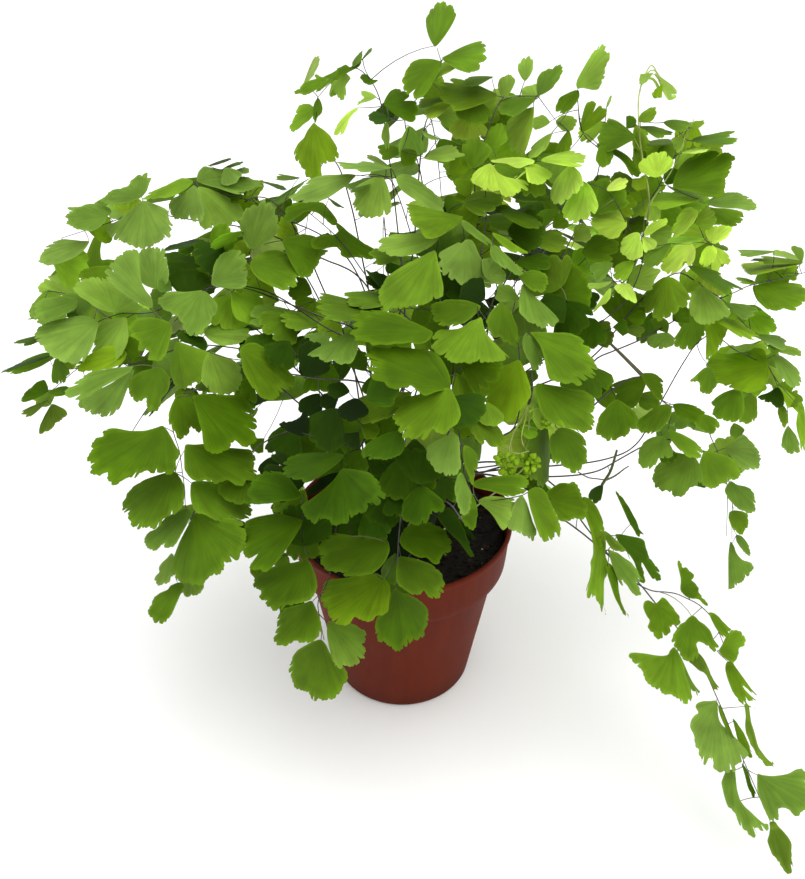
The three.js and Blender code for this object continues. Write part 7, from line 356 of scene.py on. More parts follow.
        (115, -76.8, 86.8, -0.431, -0.783, -0.448, 0.241, -0.578, 0.779, 23.2, -60, 23.2, 23.2, 60, 9, 8, 1, ((1.2, 3.4), (1.1, 1.1), (0, -1.4), (-3.8, 0.8), (-7, 3.9), (-9.3, 7.3), (-12.1, 9.6), (-14.6, 12.4), (-15.8, 15.5), (-15.1, 17.6), (-12.5, 18.5), (-9.7, 17.7), (-7.3, 17.6), (-4.7, 18.5), (-2.1, 19.4), (-1, 19), (1.7, 18.6), (3.9, 19.2), (6.4, 17.8), (8.6, 15.8), (10.2, 14.3), (12.9, 13.8), (15.8, 12.6), (16.8, 11.3), (15.5, 9.6), (10.9, 7.7), (6.5, 6.3), (3.5, 5.1))),
        (120.9, -65.6, 73.1, 0.359, -0.795, -0.49, -0.029, -0.534, 0.845, 21.2, -60, 21.2, 21.2, 60, 8, -1, 27.71, ((0.4, -1.1), (-1, 1.8), (-0.9, 6), (-0.7, 10.1), (-0.7, 13.8), (-1.3, 17.3), (-2.2, 19.4), (-0.9, 18.9), (-0.8, 21.1), (0.9, 17.8), (1.9, 15.1), (2.7, 11.1), (2.6, 6))),
        (124.8, -74.1, 82.8, 0.479, -0.612, -0.63, 0.394, -0.491, 0.777, 19.5, -60, 19.5, 19.5, 60, 5, -1, 28.2, ((1.1, -1.1), (-2.3, 2.1), (-3, 5.4), (-2.8, 8.1), (-2, 11.5), (-1.7, 15.2), (-2.4, 18.4), (-0.9, 19.5), (0.8, 18.1), (0.5, 14.5), (0.4, 11.2), (1, 9.5), (2.6, 8.2), (3.6, 5.3), (5.1, 2.1))),
        (134.3, -88, 67.1, -0.132, -0.76, -0.636, -0.21, -0.606, 0.767, 29.2, -60, 29.2, 29.2, 60, 10, -1, 31.37, ((0, -0.4), (-0.5, 2.4), (-0.7, 5.7), (-1.6, 8.5), (-3.3, 10.3), (-5.4, 10.8), (-7.1, 13.1), (-8.8, 14.5), (-10.9, 16.6), (-12.9, 18.4), (-13.8, 20.3), (-12.3, 22.1), (-10.4, 23.6), (-8.8, 25.4), (-8.6, 27.8), (-5.4, 28.7), (-2.6, 28.7), (-0.6, 27.8), (0.8, 25.5), (1.3, 23.2), (2.1, 23.3), (2.8, 25.8), (3.5, 26.7), (4.8, 26.1), (5.7, 23.4), (6.3, 21), (7.5, 20.4), (8.1, 17.2), (9.1, 14.4), (10.4, 12.1), (10.2, 9.2), (8.7, 6.9), (7.1, 5.9), (8.8, 3.6), (8.1, 1.9), (5.7, 0.7), (2.8, 0.4))),
        (133.9, -91.9, 68.5, 0.354, -0.67, -0.652, 0.42, -0.509, 0.751, 14.8, -60, 14.8, 14.8, 60, 4, 9, 1, ((0.1, -0.9), (-0.8, 0.7), (-0.5, 3.3), (-0.6, 7.2), (-0.6, 10.3), (-1.1, 12.6), (-1, 14.8), (0.7, 12.4), (1.2, 9.1), (1.5, 5.5), (1.3, 2.1))),
        (145.7, -84.5, 50.4, 0.309, -0.816, -0.488, -0.148, -0.548, 0.823, 16.6, -60, 16.6, 16.6, 60, 7, -1, 32.75, ((0.3, -1.4), (-0.6, 0.7), (-1.1, 3.5), (-1.7, 6.4), (-1.6, 8.6), (-1.7, 11.3), (-1.4, 13.8), (-0.6, 16.6), (1, 16), (2.1, 13.5), (2.1, 10.4), (2, 7.3), (1.2, 3.6))),
        (145.5, -103.5, 44.6, 0.276, -0.756, -0.594, 0.409, -0.467, 0.784, 13.4, -60, 13.4, 13.4, 60, 3, -1, 34.75, ((0.5, -1.4), (-1, 1.5), (-1.2, 4.5), (-0.7, 7.8), (-1.3, 11.3), (-1.4, 13.4), (0.9, 13.1), (1.5, 10.9), (1.7, 7.9), (1.1, 4.3))),
        (138.5, -108.4, 47.7, 0.23, -0.764, -0.603, -0.292, -0.645, 0.706, 27.4, -60, 27.4, 27.4, 60, 8, 12, 1, ((2, -0.4), (-1.7, -0), (-0.7, 4.3), (0.1, 8.1), (0.2, 12.2), (-0.9, 15.2), (-2.6, 17.6), (-4.2, 20.3), (-6.2, 23.1), (-7.8, 23.1), (-7.1, 26.5), (-4.9, 25.6), (-3.1, 23.7), (-2, 24.7), (-2.3, 26.3), (-0.8, 27.2), (0.9, 26.1), (2.3, 23.8), (3.4, 20.8), (3.8, 17.1), (4.7, 14.5), (5.7, 13.9), (6, 11), (5.8, 7.8), (5.5, 4.1), (4, 2))),
        (141.1, -113.6, 33, 0.374, -0.893, -0.249, 0.607, 0.033, 0.794, 20.3, -54, 16.1, 12.9, 30, 13, -1, 36.73, (0,)),
        (150.1, -109.2, 45.4, 0.77, -0.499, -0.397, 0.19, -0.414, 0.89, 24.5, -60, 24.5, 24.5, 60, 8, -1, 35.27, ((-0.4, -0.7), (-1.2, 1.4), (-3.8, 5.1), (-7.2, 8.4), (-10.4, 10.9), (-13.7, 12.3), (-16, 14.2), (-16.6, 16.9), (-14.5, 19.5), (-10.8, 20.8), (-8, 23.1), (-3.4, 23.3), (0.3, 22.7), (3.5, 21.3), (4, 19.5), (3.4, 17.7), (3.5, 16.3), (5, 14.6), (6.2, 13.2), (7.6, 13.9), (9.6, 15.9), (12, 14.2), (12.5, 12.4), (11.9, 10.7), (9.9, 7.6), (7.9, 5.1), (5.8, 2.5), (2.9, 1))),
        (153.4, -124.3, 34.1, 0.224, -0.873, -0.434, -0.245, -0.481, 0.842, 20.5, -60, 20.5, 20.5, 60, 5, -1, 38, ((0.6, -0.6), (-1.8, -0.3), (-2.2, 1.8), (-3.6, 4.5), (-4.6, 7.2), (-4.8, 9.9), (-3.2, 12.7), (-2.6, 15.3), (-2, 17.8), (-0.3, 19.7), (1.2, 20.5), (1.8, 18.8), (2.3, 16), (3.3, 13.4), (4.1, 11.3), (4.2, 8.5), (4.1, 6.1), (2.5, 4.2), (1.1, 1.7))),
        (148.1, -86.2, 62.4, 0.183, -0.803, -0.568, 0.379, -0.475, 0.794, 27.7, -60, 27.7, 27.7, 60, 5, -1, 31.85, ((0.8, -1), (-1.5, 0.6), (-0.7, 3.9), (-0, 7.2), (-0.2, 11), (-0, 14.3), (0.1, 17.6), (-1.4, 20.7), (-3.1, 23.4), (-6.1, 26), (-5.6, 27.1), (-2.7, 25.8), (0.1, 24.6), (0.9, 22.4), (2.5, 19.3), (3.5, 16.2), (3.8, 14.1), (4.3, 11.1), (3.6, 7.9), (1.6, 4))),
        (88.2, -33.8, 114.8, 0.098, -0.661, -0.744, 0.516, -0.606, 0.606, 7.2, -51, 7.5, 7.2, 49, 16, 4, 1, (0,)),
        (42.4, -47.6, 155.9, 0.95, 0.133, 0.282, -0.135, -0.64, 0.757, 14.9, -48, 16.4, 16, 44, 7, -1, 11.61, ()),
        (58.9, -47.8, 143, 0.45, 0.89, 0.075, 0.353, -0.254, 0.901, 8.9, -69, 9.4, 7.8, 69, 15, -1, 15.63, ()),
        (85.5, -44, 124.4, -0.134, -0.831, -0.54, 0.044, -0.549, 0.835, 36.3, -60, 36.3, 36.3, 60, 9, -1, 20, ((0.5, -0.4), (-1.8, 0.6), (-2.5, 5.9), (-2.4, 10.8), (-4.3, 14.1), (-3.7, 18.5), (-2.6, 21.3), (-3, 27.7), (-3.3, 32.4), (-4.7, 36), (-3.5, 35.7), (-2, 33), (-0.6, 30.2), (0.8, 28.3), (2, 29.7), (3.7, 29.5), (4.7, 27.5), (4.4, 24.9), (3.4, 21.3), (3.2, 16.9), (3.8, 14.4), (2.7, 11.1), (3.1, 5.8), (2, 2.1))),
    ]),
    "frond_16": (0, [(9.2, 9.2, 89), (10.2, 8.4, 97), (12.1, 6.9, 104.8), (14.8, 4.7, 112.1), (18.5, 2, 118.9), (22.9, -1.1, 124.9), (28, -4.6, 130.1), (33.6, -8.4, 134.6), (39.5, -12.6, 138.2), (45.8, -17, 140.8), (52.4, -21.5, 141.8), (59.3, -25.7, 141.1), (65.7, -29.1, 137.9), (71, -31.2, 132.2), (75.7, -31.9, 125.6), (80.2, -32.2, 118.8), (84.8, -32.3, 112.2), (89.8, -33.6, 106.1), (94.3, -39.2, 103.1), (97.7, -46.6, 103), (102, -53.3, 102.5), (108.9, -54.3, 99.2), (115.4, -51.2, 95.5), (121.8, -48.2, 91.6), (127.9, -46.1, 86.7), (134.4, -45.4, 82), (139.2, -50, 79.2), (139.8, -58.1, 79.8), (140.7, -65.8, 78.6), (143.1, -69.2, 71.9)], [
        (125.5, -44.5, 90.9, 0.854, 0.215, 0.474, -0.296, -0.547, 0.783, 13.5, -60, 13.5, 13.5, 60, 6, -1, 24.28, ((-0, -1), (-3.7, 1.8), (-7.6, 3.2), (-11.2, 4.4), (-11.5, 5.6), (-9.3, 5.8), (-7.9, 5.4), (-7, 6.9), (-5.2, 7.3), (-2.8, 7.8), (-1.6, 7.1), (-1.5, 5.5), (0.5, 6.3), (3.3, 6.6), (4.6, 5.2), (7, 5.8), (10.1, 5.8), (12.4, 5.4), (10.2, 4.2), (7.5, 3.9), (6.4, 2.1), (4.7, 0.1), (2.7, -0.7))),
        (136.8, -54, 84.8, 0.657, -0.519, -0.547, 0.291, -0.494, 0.819, 12.1, -60, 12.1, 12.1, 60, 7, -1, 26.47, ((0.1, -1.2), (-2, 1), (-2.5, 3.8), (-2.3, 6.5), (-2.5, 9.6), (-3, 11.7), (-0.4, 11.9), (1.9, 11.7), (3.4, 11.6), (3.2, 8.9), (2.7, 5.3), (1.4, 1.8))),
        (136.9, -74.6, 83.9, 0.839, 0.046, 0.543, -0.46, -0.474, 0.751, 11.1, -60, 11.1, 11.1, 60, 9, 4, 1, ((-0.3, -1.7), (-1.9, 0.9), (-4.1, 3.4), (-5.1, 5.3), (-6.1, 7.2), (-5.6, 9.2), (-3.6, 10.5), (-1.6, 10.9), (1, 10.5), (2.2, 9), (1.9, 6.4), (4, 5.8), (5.5, 4.2), (6.8, 1.7), (4.6, 0), (2.3, -1.1))),
        (121.8, -73, 102, 0.021, -0.842, -0.539, 0.232, -0.52, 0.822, 19, -60, 19, 19, 60, 6, -1, 21.53, ((0.3, -0.8), (-1.4, -0), (-2.5, 1.6), (-4.7, 2.8), (-6.7, 4.9), (-7.7, 6.9), (-7.9, 9), (-9.4, 11.1), (-10.1, 12.7), (-8, 14.4), (-6.3, 13.2), (-4.3, 11.6), (-2.6, 10.4), (-0.8, 10.4), (0.3, 11.3), (-0.3, 13.7), (-0.4, 15.8), (2.3, 18.7), (4, 18.3), (6.2, 18), (7.7, 16), (9.6, 13.1), (11.1, 10.7), (10.7, 8.2), (8.1, 5.3), (6.4, 3.1), (4, 2.2), (2.4, 0.5))),
        (137, -71, 78.9, -0.727, 0.456, 0.513, 0.625, 0.132, 0.769, 11.7, -27, 16.2, 20.2, 63, 10, -1, 28.2, (0,)),
        (141.4, -75.1, 77.1, 0.358, -0.786, -0.504, -0.149, -0.581, 0.8, 22.2, -60, 22.2, 22.2, 60, 7, 4, 1, ((1.5, -0.6), (-1, -0.1), (-1.1, 2.3), (-1.7, 5.7), (-2.3, 9.1), (-2.8, 12.5), (-3.6, 15.5), (-4.1, 17), (-2.4, 15), (-1.1, 12.2), (-0.2, 10.5), (-0.4, 12.8), (-1.5, 16), (-2.6, 18.2), (-1.9, 18.8), (0.4, 17.9), (1.4, 16.1), (1.4, 18.8), (-0.3, 20.8), (-1.5, 22.2), (0.8, 20.4), (2.5, 18.3), (3.8, 16.5), (4.6, 13.5), (4.6, 9.9), (4.2, 5.6), (3.3, 1.9))),
        (103.1, -27.8, 114.7, -0.17, 0.666, 0.726, 0.464, -0.596, 0.655, 17.2, -60, 17.2, 17.2, 60, 3, -1, 17.77, ((-5.8, 16.2), (-3.4, 14.1), (-1.4, 10.6), (0.2, 7.7), (1.3, 4.8), (2.8, 1.5), (3.3, -0.9), (3.4, -2.7), (6.2, -5.8), (3.5, -4.6), (3.1, -6.3), (1.5, -5.6), (0.5, -2.8), (-1.1, 0.1), (-2.2, 3), (-3.1, 6.3), (-4, 9.6), (-4.9, 12.9))),
        (103.5, -33.2, 98.6, -0.745, 0.651, 0.147, -0.196, -0.424, 0.884, 14.6, -60, 15.3, 12.2, 53, 18, 6, 0.54, (0,)),
        (92.9, -43.5, 101.2, 0.978, 0.173, 0.115, -0.037, -0.402, 0.915, 13.3, -66, 13.7, 13.4, 54, 18, -1, 18.41, (0,)),
        (86.7, -28.5, 107, 0.413, 0.794, 0.446, 0.034, -0.503, 0.863, 6.6, -50, 7.9, 6.6, 55, 6, -1, 16.57, (0,)),
        (132, -43.2, 69.9, -0.851, -0.486, -0.199, -0.056, -0.294, 0.954, 7.2, -54, 7.7, 7.1, 51, 10, -1, 25.24, (0,)),
        (136.8, -59.1, 71.4, -0.685, 0.612, -0.396, -0.69, -0.369, 0.623, 7.1, -55, 7.8, 6.5, 48, 4, -1, 27.25, (0,)),
    ]),
    "frond_17": (0, [(-0.4, 13, 89), (-0.4, 13, 96.9), (-0.4, 13, 104.8), (-0.3, 13, 112.7), (-0.3, 12.8, 120.6), (-0.2, 12.6, 128.5), (-0.1, 12.4, 136.4), (0, 12.1, 144.3), (0.2, 11.7, 152.1), (0.3, 11.3, 160), (0.5, 10.9, 167.9), (0.7, 10.6, 175.8), (1, 10.5, 183.6), (1.1, 10.9, 191.5), (1.2, 12.1, 199.3), (1, 14.8, 206.7), (0.4, 19, 213.3), (-0.4, 24.2, 219.2), (-1.3, 29.8, 224.8), (-2.1, 35.3, 230.4), (-2.9, 40.7, 236.1), (-3.8, 45.8, 242), (-4.8, 50.2, 248.5), (-5.8, 53.8, 255.5), (-6.9, 57, 262.6), (-8.1, 60.2, 269.7), (-9.8, 63.4, 276.7), (-13.4, 66.8, 282.7), (-19.2, 69.7, 287.1), (-25.7, 72.7, 284.8), (-31.5, 74, 279.7), (-36.9, 73.2, 274)], [
        (13.3, 48.5, 301.1, 0.11, 0.377, 0.919, -0.878, -0.396, 0.268, 16.6, -46, 17, 17.8, 52, 9, 7, 1, (1.3, 2.1, 6.6, 11.5, 16.3, 16.3, 16, 17.8, 16.8, 16.9, 16.2, 15.6, 17, 17, 17, 17, 17, 17, 17, 16.7, 16.4, 16.5, 16.9, 17.3, 17.4, 17.5, 17.6, 17.7, 17.8, 14.6, 7.8, 4.3, 1.2)),
        (-20.6, 60.7, 290, 0.479, 0.303, 0.824, -0.83, -0.151, 0.537, 7.8, -63, 8.1, 7.8, 63, 5, 2, 1, (0.3, 0.7, 4.6, 7.5, 8, 7.9, 7.8, 6.9, 6.4, 6.3, 7.6, 7.3, 7.3, 7.1, 7.1, 6.7, 7.5, 6.9, 7.6, 5.6, 3.4, 1.9, 1)),
        (-21.9, 61.4, 289.5, -0.849, -0.476, -0.228, -0.002, -0.43, 0.903, 10.3, -60, 10.3, 10.3, 60, 4, 4, 1, ((0, 0), (1.2, -2.7), (1.9, -5), (1.6, -6.8), (-1.2, -4.2), (-1.6, -1.5), (-1.9, 1.6), (-2.6, 4.9), (-3.1, 7.6), (-2.3, 10), (-0.7, 8.1), (0.6, 5.5), (2.6, 5.3), (2.5, 2.9), (3, 0.2))),
        (-30.2, 57.7, 286, -0.968, -0.08, -0.238, -0.183, -0.422, 0.888, 16.3, -60, 16.3, 16.3, 60, 6, 4, 1, ((0, 0), (1.3, 1.6), (2.7, 3.6), (5.4, 5.4), (4.5, 6.4), (2.2, 5.4), (2.6, 8), (2.4, 10.6), (1.1, 12.1), (-0.7, 14.1), (-1.1, 16.3), (-3.5, 14.9), (-5.3, 12), (-5.3, 9), (-3.9, 6.2), (-2.4, 3.4))),
        (-25, 62.8, 287.5, -0.244, -0.187, -0.952, -0.717, -0.626, 0.307, 13.7, -60, 13.7, 13.7, 60, 12, -1, 28.23, ((0, 0), (-2.8, 0.2), (-5.9, 1.2), (-4.5, 3.1), (-3.2, 5), (-4.6, 7.2), (-4.2, 9.8), (-2.7, 11.4), (-0.4, 10.7), (0.8, 9.3), (3.1, 10.7), (6.1, 12.2), (5.8, 9.2), (5.9, 6.7), (4.5, 4.7), (1.9, 2.5))),
        (-43.1, 77.1, 278.5, 0.479, 0.215, 0.851, -0.856, -0.099, 0.507, 14.2, -60, 14.8, 14.2, 60, 13, -1, 31, (1.9, 4.6, 8.4, 11.9, 16.2, 14.8, 14.3, 13.8, 13.9, 14, 13.7, 13.5, 13.2, 13, 13, 13, 13, 13, 13.9, 13.9, 13.9, 13.8, 14.1, 14.3, 15.7, 15.1, 13.6, 11.5, 12.3, 13.3, 8.6, 8.4, 4.6, 0.6)),
        (-16.7, 59.2, 293.3, 0.65, 0.228, 0.725, -0.741, -0.024, 0.671, 6.3, -47, 6.5, 6.3, 47, 5, 1, 1, (6.9, 6.9, 6.3, 6.2, 6.2, 6.2, 6.4, 7, 7.1)),
        (-12.5, 54, 286.6, -0.966, -0.2, 0.162, 0.234, -0.421, 0.876, 5.1, -60, 5.1, 5.1, 60, 3, 6, 1, ((0, -0), (3.2, 1.8), (2.9, 4), (0.4, 5.1), (-2.3, 3.6), (-3.1, 1.1), (-1.6, -1.1), (0.5, -3))),
        (-10.8, 63.2, 276.9, -0.938, -0.342, 0.063, 0.198, -0.376, 0.905, 12, -60, 12, 12, 60, 15, -1, 25.86, ((0, 0), (2.6, 1.5), (4, 3.8), (4.1, 6.1), (2.3, 6.6), (-0.3, 5.5), (-2, 8.7), (-5, 10.9), (-3.3, 7.7), (-2.3, 3.8))),
        (-19.1, 54.4, 275.3, -0.643, -0.168, -0.747, -0.587, -0.518, 0.622, 14.9, -60, 14.9, 14.9, 60, 18, -1, 25.5, ((-0, -0), (1.3, 2.4), (2.7, 4.8), (3.2, 7.8), (3, 11.4), (2.1, 14.1), (0, 14.9), (-2.4, 13.9), (-3.7, 11.5), (-2.8, 8.8), (-1.1, 6.2), (-0.7, 3.2), (-1.7, 0.6))),
        (-38.8, 76.8, 268.1, -0.842, -0.034, -0.538, -0.466, -0.456, 0.758, 14.9, -60, 14.9, 14.9, 60, 9, -1, 31, ((0, 0), (4.2, 1.6), (6.1, 3.8), (7.5, 6.2), (5.8, 8.3), (3, 10.7), (0.1, 13.2), (-1.9, 14.8), (-5.1, 13.4), (-5.9, 10.9), (-5, 7.9), (-5, 4.6), (-3.7, 2.1))),
        (-36.2, 65.1, 276.4, -0.087, -0.309, -0.947, -0.729, -0.628, 0.272, 11.2, -60, 11.2, 11.2, 60, 6, -1, 31, ((0, -0), (-2.3, 2), (-3.9, 4.8), (-2.8, 6.9), (-0.2, 8.6), (1, 11.2), (2.7, 8.4), (3, 5.5), (2.5, 2.6))),
        (-38.2, 60.9, 266.9, -0.006, -0.354, -0.935, -0.741, -0.626, 0.242, 24.2, -60, 24.2, 24.2, 60, 11, 11, 1, ((0, 0), (-2.8, 1.8), (-7, 3.5), (-11.1, 6.1), (-13.1, 8.6), (-15.1, 11.1), (-15.7, 14.4), (-14.3, 16.4), (-11.6, 16.4), (-8.8, 17.6), (-5.3, 16.8), (-3.8, 19.3), (-4.4, 22.6), (-0.8, 23.9), (3.5, 23.9), (7.2, 22.6), (7.8, 20), (10.7, 18.3), (13.7, 16.1), (16.6, 14.8), (15.8, 11.8), (13.4, 9.3), (10.4, 7.6), (7.4, 6.4), (5.1, 3.6), (2.2, 1.6))),
        (-2.1, 66.2, 266, -0.295, 0.953, -0.07, -0.744, -0.183, 0.642, 10.1, -50, 11.8, 10.5, 54, 8, -1, 24.77, ()),
        (-4.1, 65.6, 266.6, -0.588, 0.698, 0.409, -0.399, -0.69, 0.604, 8.6, -58, 9.2, 8.4, 58, 2, 13, 0.8, ()),
        (-27.9, 76.3, 284.7, -0.39, -0.842, -0.374, 0, -0.406, 0.914, 17.5, -60, 17.5, 17.5, 60, 6, -1, 29, ((0.3, -0.6), (1.6, 2.8), (3.6, 5.7), (5.2, 9.2), (5.2, 13.4), (3.1, 16.7), (1.7, 14.7), (0.4, 11.4), (-0.1, 8.4), (-2.9, 11.4), (-4.1, 17), (-5.7, 14.3), (-5, 7.7), (-3.4, 2.1))),
    ]),
    "frond_18": (0, [(5.7, 11.7, 89), (5.7, 11.7, 97.1), (5.8, 11.7, 105.1), (6, 11.7, 113.2), (6.2, 11.6, 121.2), (6.5, 11.5, 129.2), (6.8, 11.4, 137.3), (7.3, 11.2, 145.3), (7.8, 11, 153.3), (8.5, 10.7, 161.3), (9.2, 10.5, 169.3), (10.1, 10.3, 177.3), (11.1, 10.3, 185.3), (12.1, 10.6, 193.3), (13, 11.6, 201.2), (13.5, 13.7, 208.9), (13.5, 17, 216.3), (12.8, 21.2, 223.1), (11.7, 26.2, 229.3), (10.8, 32.2, 234.5), (10.1, 39.1, 238.6), (9.1, 45.1, 243.7), (7.5, 47, 251.3), (5.1, 47, 258.9), (2, 48.8, 266.1), (1.4, 51.3, 273.5), (6.3, 51.2, 279.8), (11.3, 52.7, 285.9), (16.1, 55, 291.9), (14.4, 57.1, 298.6)], [
        (16.2, 46.8, 295.7, -0.881, 0.2, -0.429, -0.472, -0.438, 0.765, 17.7, -53, 17.9, 15.3, 36, 7, -1, 28.19, (0.7, 5, 6.1, 15.5, 18.4, 17.7, 17.7, 17.8, 18.9, 18.9, 18.9, 18.9, 18.9, 18.2, 18.2, 18.3, 18.3, 18.3, 18.6, 17, 16.9, 17, 16.6, 16.3, 15.9, 14.8, 14.1, 10.1, 6.1, 2.1, 0.6)),
        (16.2, 47.3, 297.1, 0.938, -0.297, 0.177, -0.274, -0.327, 0.904, 17.8, -35, 18.8, 18.3, 37, 9, 0, 1, (1.4, 3.8, 6.4, 12, 17.1, 17.6, 17.8, 17.6, 17.3, 18.2, 18.3, 17.6, 17.3, 17.7, 18.8, 18.8, 19.1, 18.7, 17.5, 18.2, 18.9, 18.5, 17.6, 19, 14.5, 9.3, 1.8, 1)),
        (-7.5, 47.8, 278.1, 0.925, 0.364, 0.106, 0.061, -0.421, 0.905, 11, -51, 13.5, 13.8, 58, 4, 3, 1, (1.5, 2.6, 3.9, 7.9, 11, 11.4, 11.8, 12.2, 12.6, 12.3, 12.3, 12.2, 12.1, 12.4, 13, 13.2, 14.3, 14.1, 13.8, 13.6, 14.7, 14.5, 14.3, 14.3, 14.6, 11.7, 6, 2.8, 0.8)),
        (-5, 44.2, 273.8, -0.971, -0.214, 0.111, 0.14, -0.128, 0.982, 8.8, -51, 9.3, 8.8, 51, 2, -1, 24.67, (1.2, 2.6, 2.7, 7.1, 8.8, 8.9, 9, 9.1, 9.2, 9.3, 9.3, 9.3, 9.1, 8.3, 8.2, 8.5, 8.9, 8.8, 7.7, 4.3, 2.5, 1.2)),
        (-6.3, 44.2, 272.2, -0.046, -0.233, -0.971, -0.968, -0.229, 0.1, 10.1, -53, 10.4, 10.1, 53, 11, 3, 1, (1, 2.4, 4.4, 7.3, 10.1, 10.2, 12.3, 11.7, 11.1, 10.8, 10.6, 10.6, 10.8, 11, 10.4, 9.7, 10.1, 11, 10.8, 12.3, 8.7, 5.3, 3.2, 1.4)),
        (2.9, 42.4, 271.1, 0.084, -0.303, -0.949, 0.87, -0.442, 0.218, 18.5, -64, 15.3, 12.3, 53, 12, -1, 24.33, (1, 3, 4.6, 12, 18.1, 17.8, 17.4, 19.2, 19.2, 15.1, 14.5, 14, 13.8, 13.9, 14.4, 14.6, 15.7, 15.6, 15.6, 16.2, 15.5, 15.4, 15.2, 15.9, 14.5, 13, 13.3, 13.5, 12.3, 13, 10.8, 7.8, 4.1, 2.8, 1.6)),
        (0, 49.7, 258.4, -0.996, -0.046, -0.076, -0.054, -0.365, 0.93, 9.4, -40, 9.5, 8.9, 33, 7, -1, 23.49, (0.9, 2.8, 4.6, 6.8, 8.1, 9.2, 9.5, 9.5, 9.5, 9.5, 9.8, 10.8, 12, 10.5, 7.8, 4.5, 2.8, 1)),
        (-0.4, 31.4, 264.7, 0.681, -0.059, -0.73, 0.493, -0.7, 0.517, 7.7, -47, 7.3, 6.5, 43, 4, 5, 1, (1, 2.1, 3.7, 5.7, 8, 7.9, 7.6, 7.5, 7.5, 7.9, 8.1, 6.6, 6.4, 6.6, 6.3, 3.8, 2.1, 0.7)),
        (18.5, 53.8, 279.2, -0.977, 0.021, -0.21, -0.208, 0.081, 0.975, 11.2, -46, 11.6, 11.2, 46, 6, -1, 27.07, (1.5, 2.7, 4.9, 5, 11.2, 11.3, 11.4, 12.8, 12.4, 12.2, 12, 11.8, 11.8, 11.8, 11.8, 12, 12.6, 13.4, 15.1, 12.8, 6, 5.4, 3.6, 1.5)),
        (21, 52.6, 277.1, -0.958, 0.04, -0.285, -0.288, -0.068, 0.955, 12.4, -55, 12.2, 10.8, 36, 16, 8, 1, (0.5, 2.4, 2.2, 10.2, 12.4, 12.4, 12.3, 13.8, 12.8, 12.2, 12.2, 12.2, 12.2, 12.2, 12.6, 12, 11.8, 11.5, 11.2, 10.8, 6.5, 5.8, 2, 0.4)),
        (15.5, 31.7, 269.2, -0.935, -0.137, 0.327, 0.314, 0.105, 0.943, 8.6, -47, 8.8, 8.6, 47, 10, 11, 1, (0.3, 1.6, 1.8, 5, 7.6, 6.6, 8.7, 7.5, 7.9, 7.6, 7.6, 7.6, 7.9, 8.2, 8.7, 8.6, 6.1, 1.8, 1.7, 0.3)),
        (9, 28, 262.6, 0.987, 0.051, 0.15, -0.15, -0.007, 0.989, 17.7, -63, 14.9, 11.3, 42, 12, 7, 1, (1.4, 4.8, 8.3, 13.8, 17.3, 16.3, 17.7, 18.1, 16.4, 15.5, 15.5, 15.3, 15.4, 15.9, 15.7, 13.8, 13.7, 14, 14.9, 17.4, 17.4, 15.2, 13.7, 13.1, 12.6, 11.7, 9.7, 6.8, 3.5, 2.2, 0.5)),
        (20.9, 36.9, 251.5, 0.506, 0.262, 0.821, -0.622, -0.549, 0.559, 8.6, -52, 8.8, 8.7, 50, 11, -1, 21.05, (0.9, 1.7, 1.7, 6.2, 10.1, 9.3, 8.9, 8.6, 8.8, 8.8, 8.8, 9.3, 10, 10.5, 8.9, 8.9, 8.9, 8.9, 7, 3.8, 2.2, 1)),
        (20.7, 59.4, 294.1, -0.334, -0.92, -0.204, -0.522, 0.001, 0.853, 15.8, -66, 16.8, 14.5, 64, 11, -1, 28.31, ()),
        (7.7, 64.1, 278.8, 0.951, 0.289, 0.11, 0.194, -0.835, 0.514, 10.7, -57, 11.5, 10.4, 50, 9, -1, 26.31, ()),
        (27.3, 48.5, 281.7, 0.236, -0.671, -0.703, 0.41, -0.587, 0.698, 12.3, -53, 12.7, 10.2, 52, 6, 9, 0.95, ()),
    ]),
    "frond_19": (0, [(9.6, 13.4, 89), (9.8, 13, 97), (10.2, 12.5, 105), (10.6, 12, 112.9), (11.2, 11.7, 120.9), (11.8, 11.7, 128.9), (12.7, 11.6, 136.9), (13.7, 11.4, 144.8), (15, 10.7, 152.7), (16.7, 9.9, 160.5), (18.5, 9.1, 168.3), (20.7, 8.1, 175.9), (23.3, 7.3, 183.5), (26, 6.7, 190.9), (28.9, 6.7, 198.4), (31.4, 7.9, 205.9), (32.8, 10.5, 213.3), (33, 14.3, 220.4), (32.4, 18.2, 227.3), (31.6, 21.9, 234.3), (30.8, 25.7, 241.3), (30.4, 29.6, 248.3), (31, 33.7, 255.1), (32.9, 38, 261.6), (35.4, 42.4, 267.8), (38.1, 47, 273.7), (41.7, 52, 278.6), (49.2, 53.9, 279.8), (57.2, 54.6, 279.8)], [
        (37.3, 48.5, 289.3, -0.979, 0.069, -0.192, -0.189, 0.039, 0.981, 11.7, -48, 12, 11.7, 48, 6, 1, 1, (1.6, 1.2, 3.6, 9.8, 10.1, 9.2, 11.6, 12.1, 12.2, 12.2, 12.9, 11.8, 11.8, 12, 12, 11.9, 11.9, 12.3, 13, 13.6, 12.6, 8.6, 5.3, 1.7, 1.6)),
        (39.5, 45.5, 282.5, -0.985, 0.174, 0, -0.028, -0.16, 0.987, 22.5, -46, 24.1, 23.1, 37, 7, 2, 1, (2.2, 4.3, 9.9, 16.2, 22.1, 21.3, 21.9, 21.6, 21.3, 20.9, 20.6, 20.7, 20.3, 22.8, 22.9, 23, 22.5, 24, 24.1, 23.6, 24.1, 24.1, 24.1, 24, 24.5, 26.8, 27.2, 26.6, 27, 23.6, 23.9, 25.2, 23.7, 21.3, 13.3, 5.3, 5.5, 2.5)),
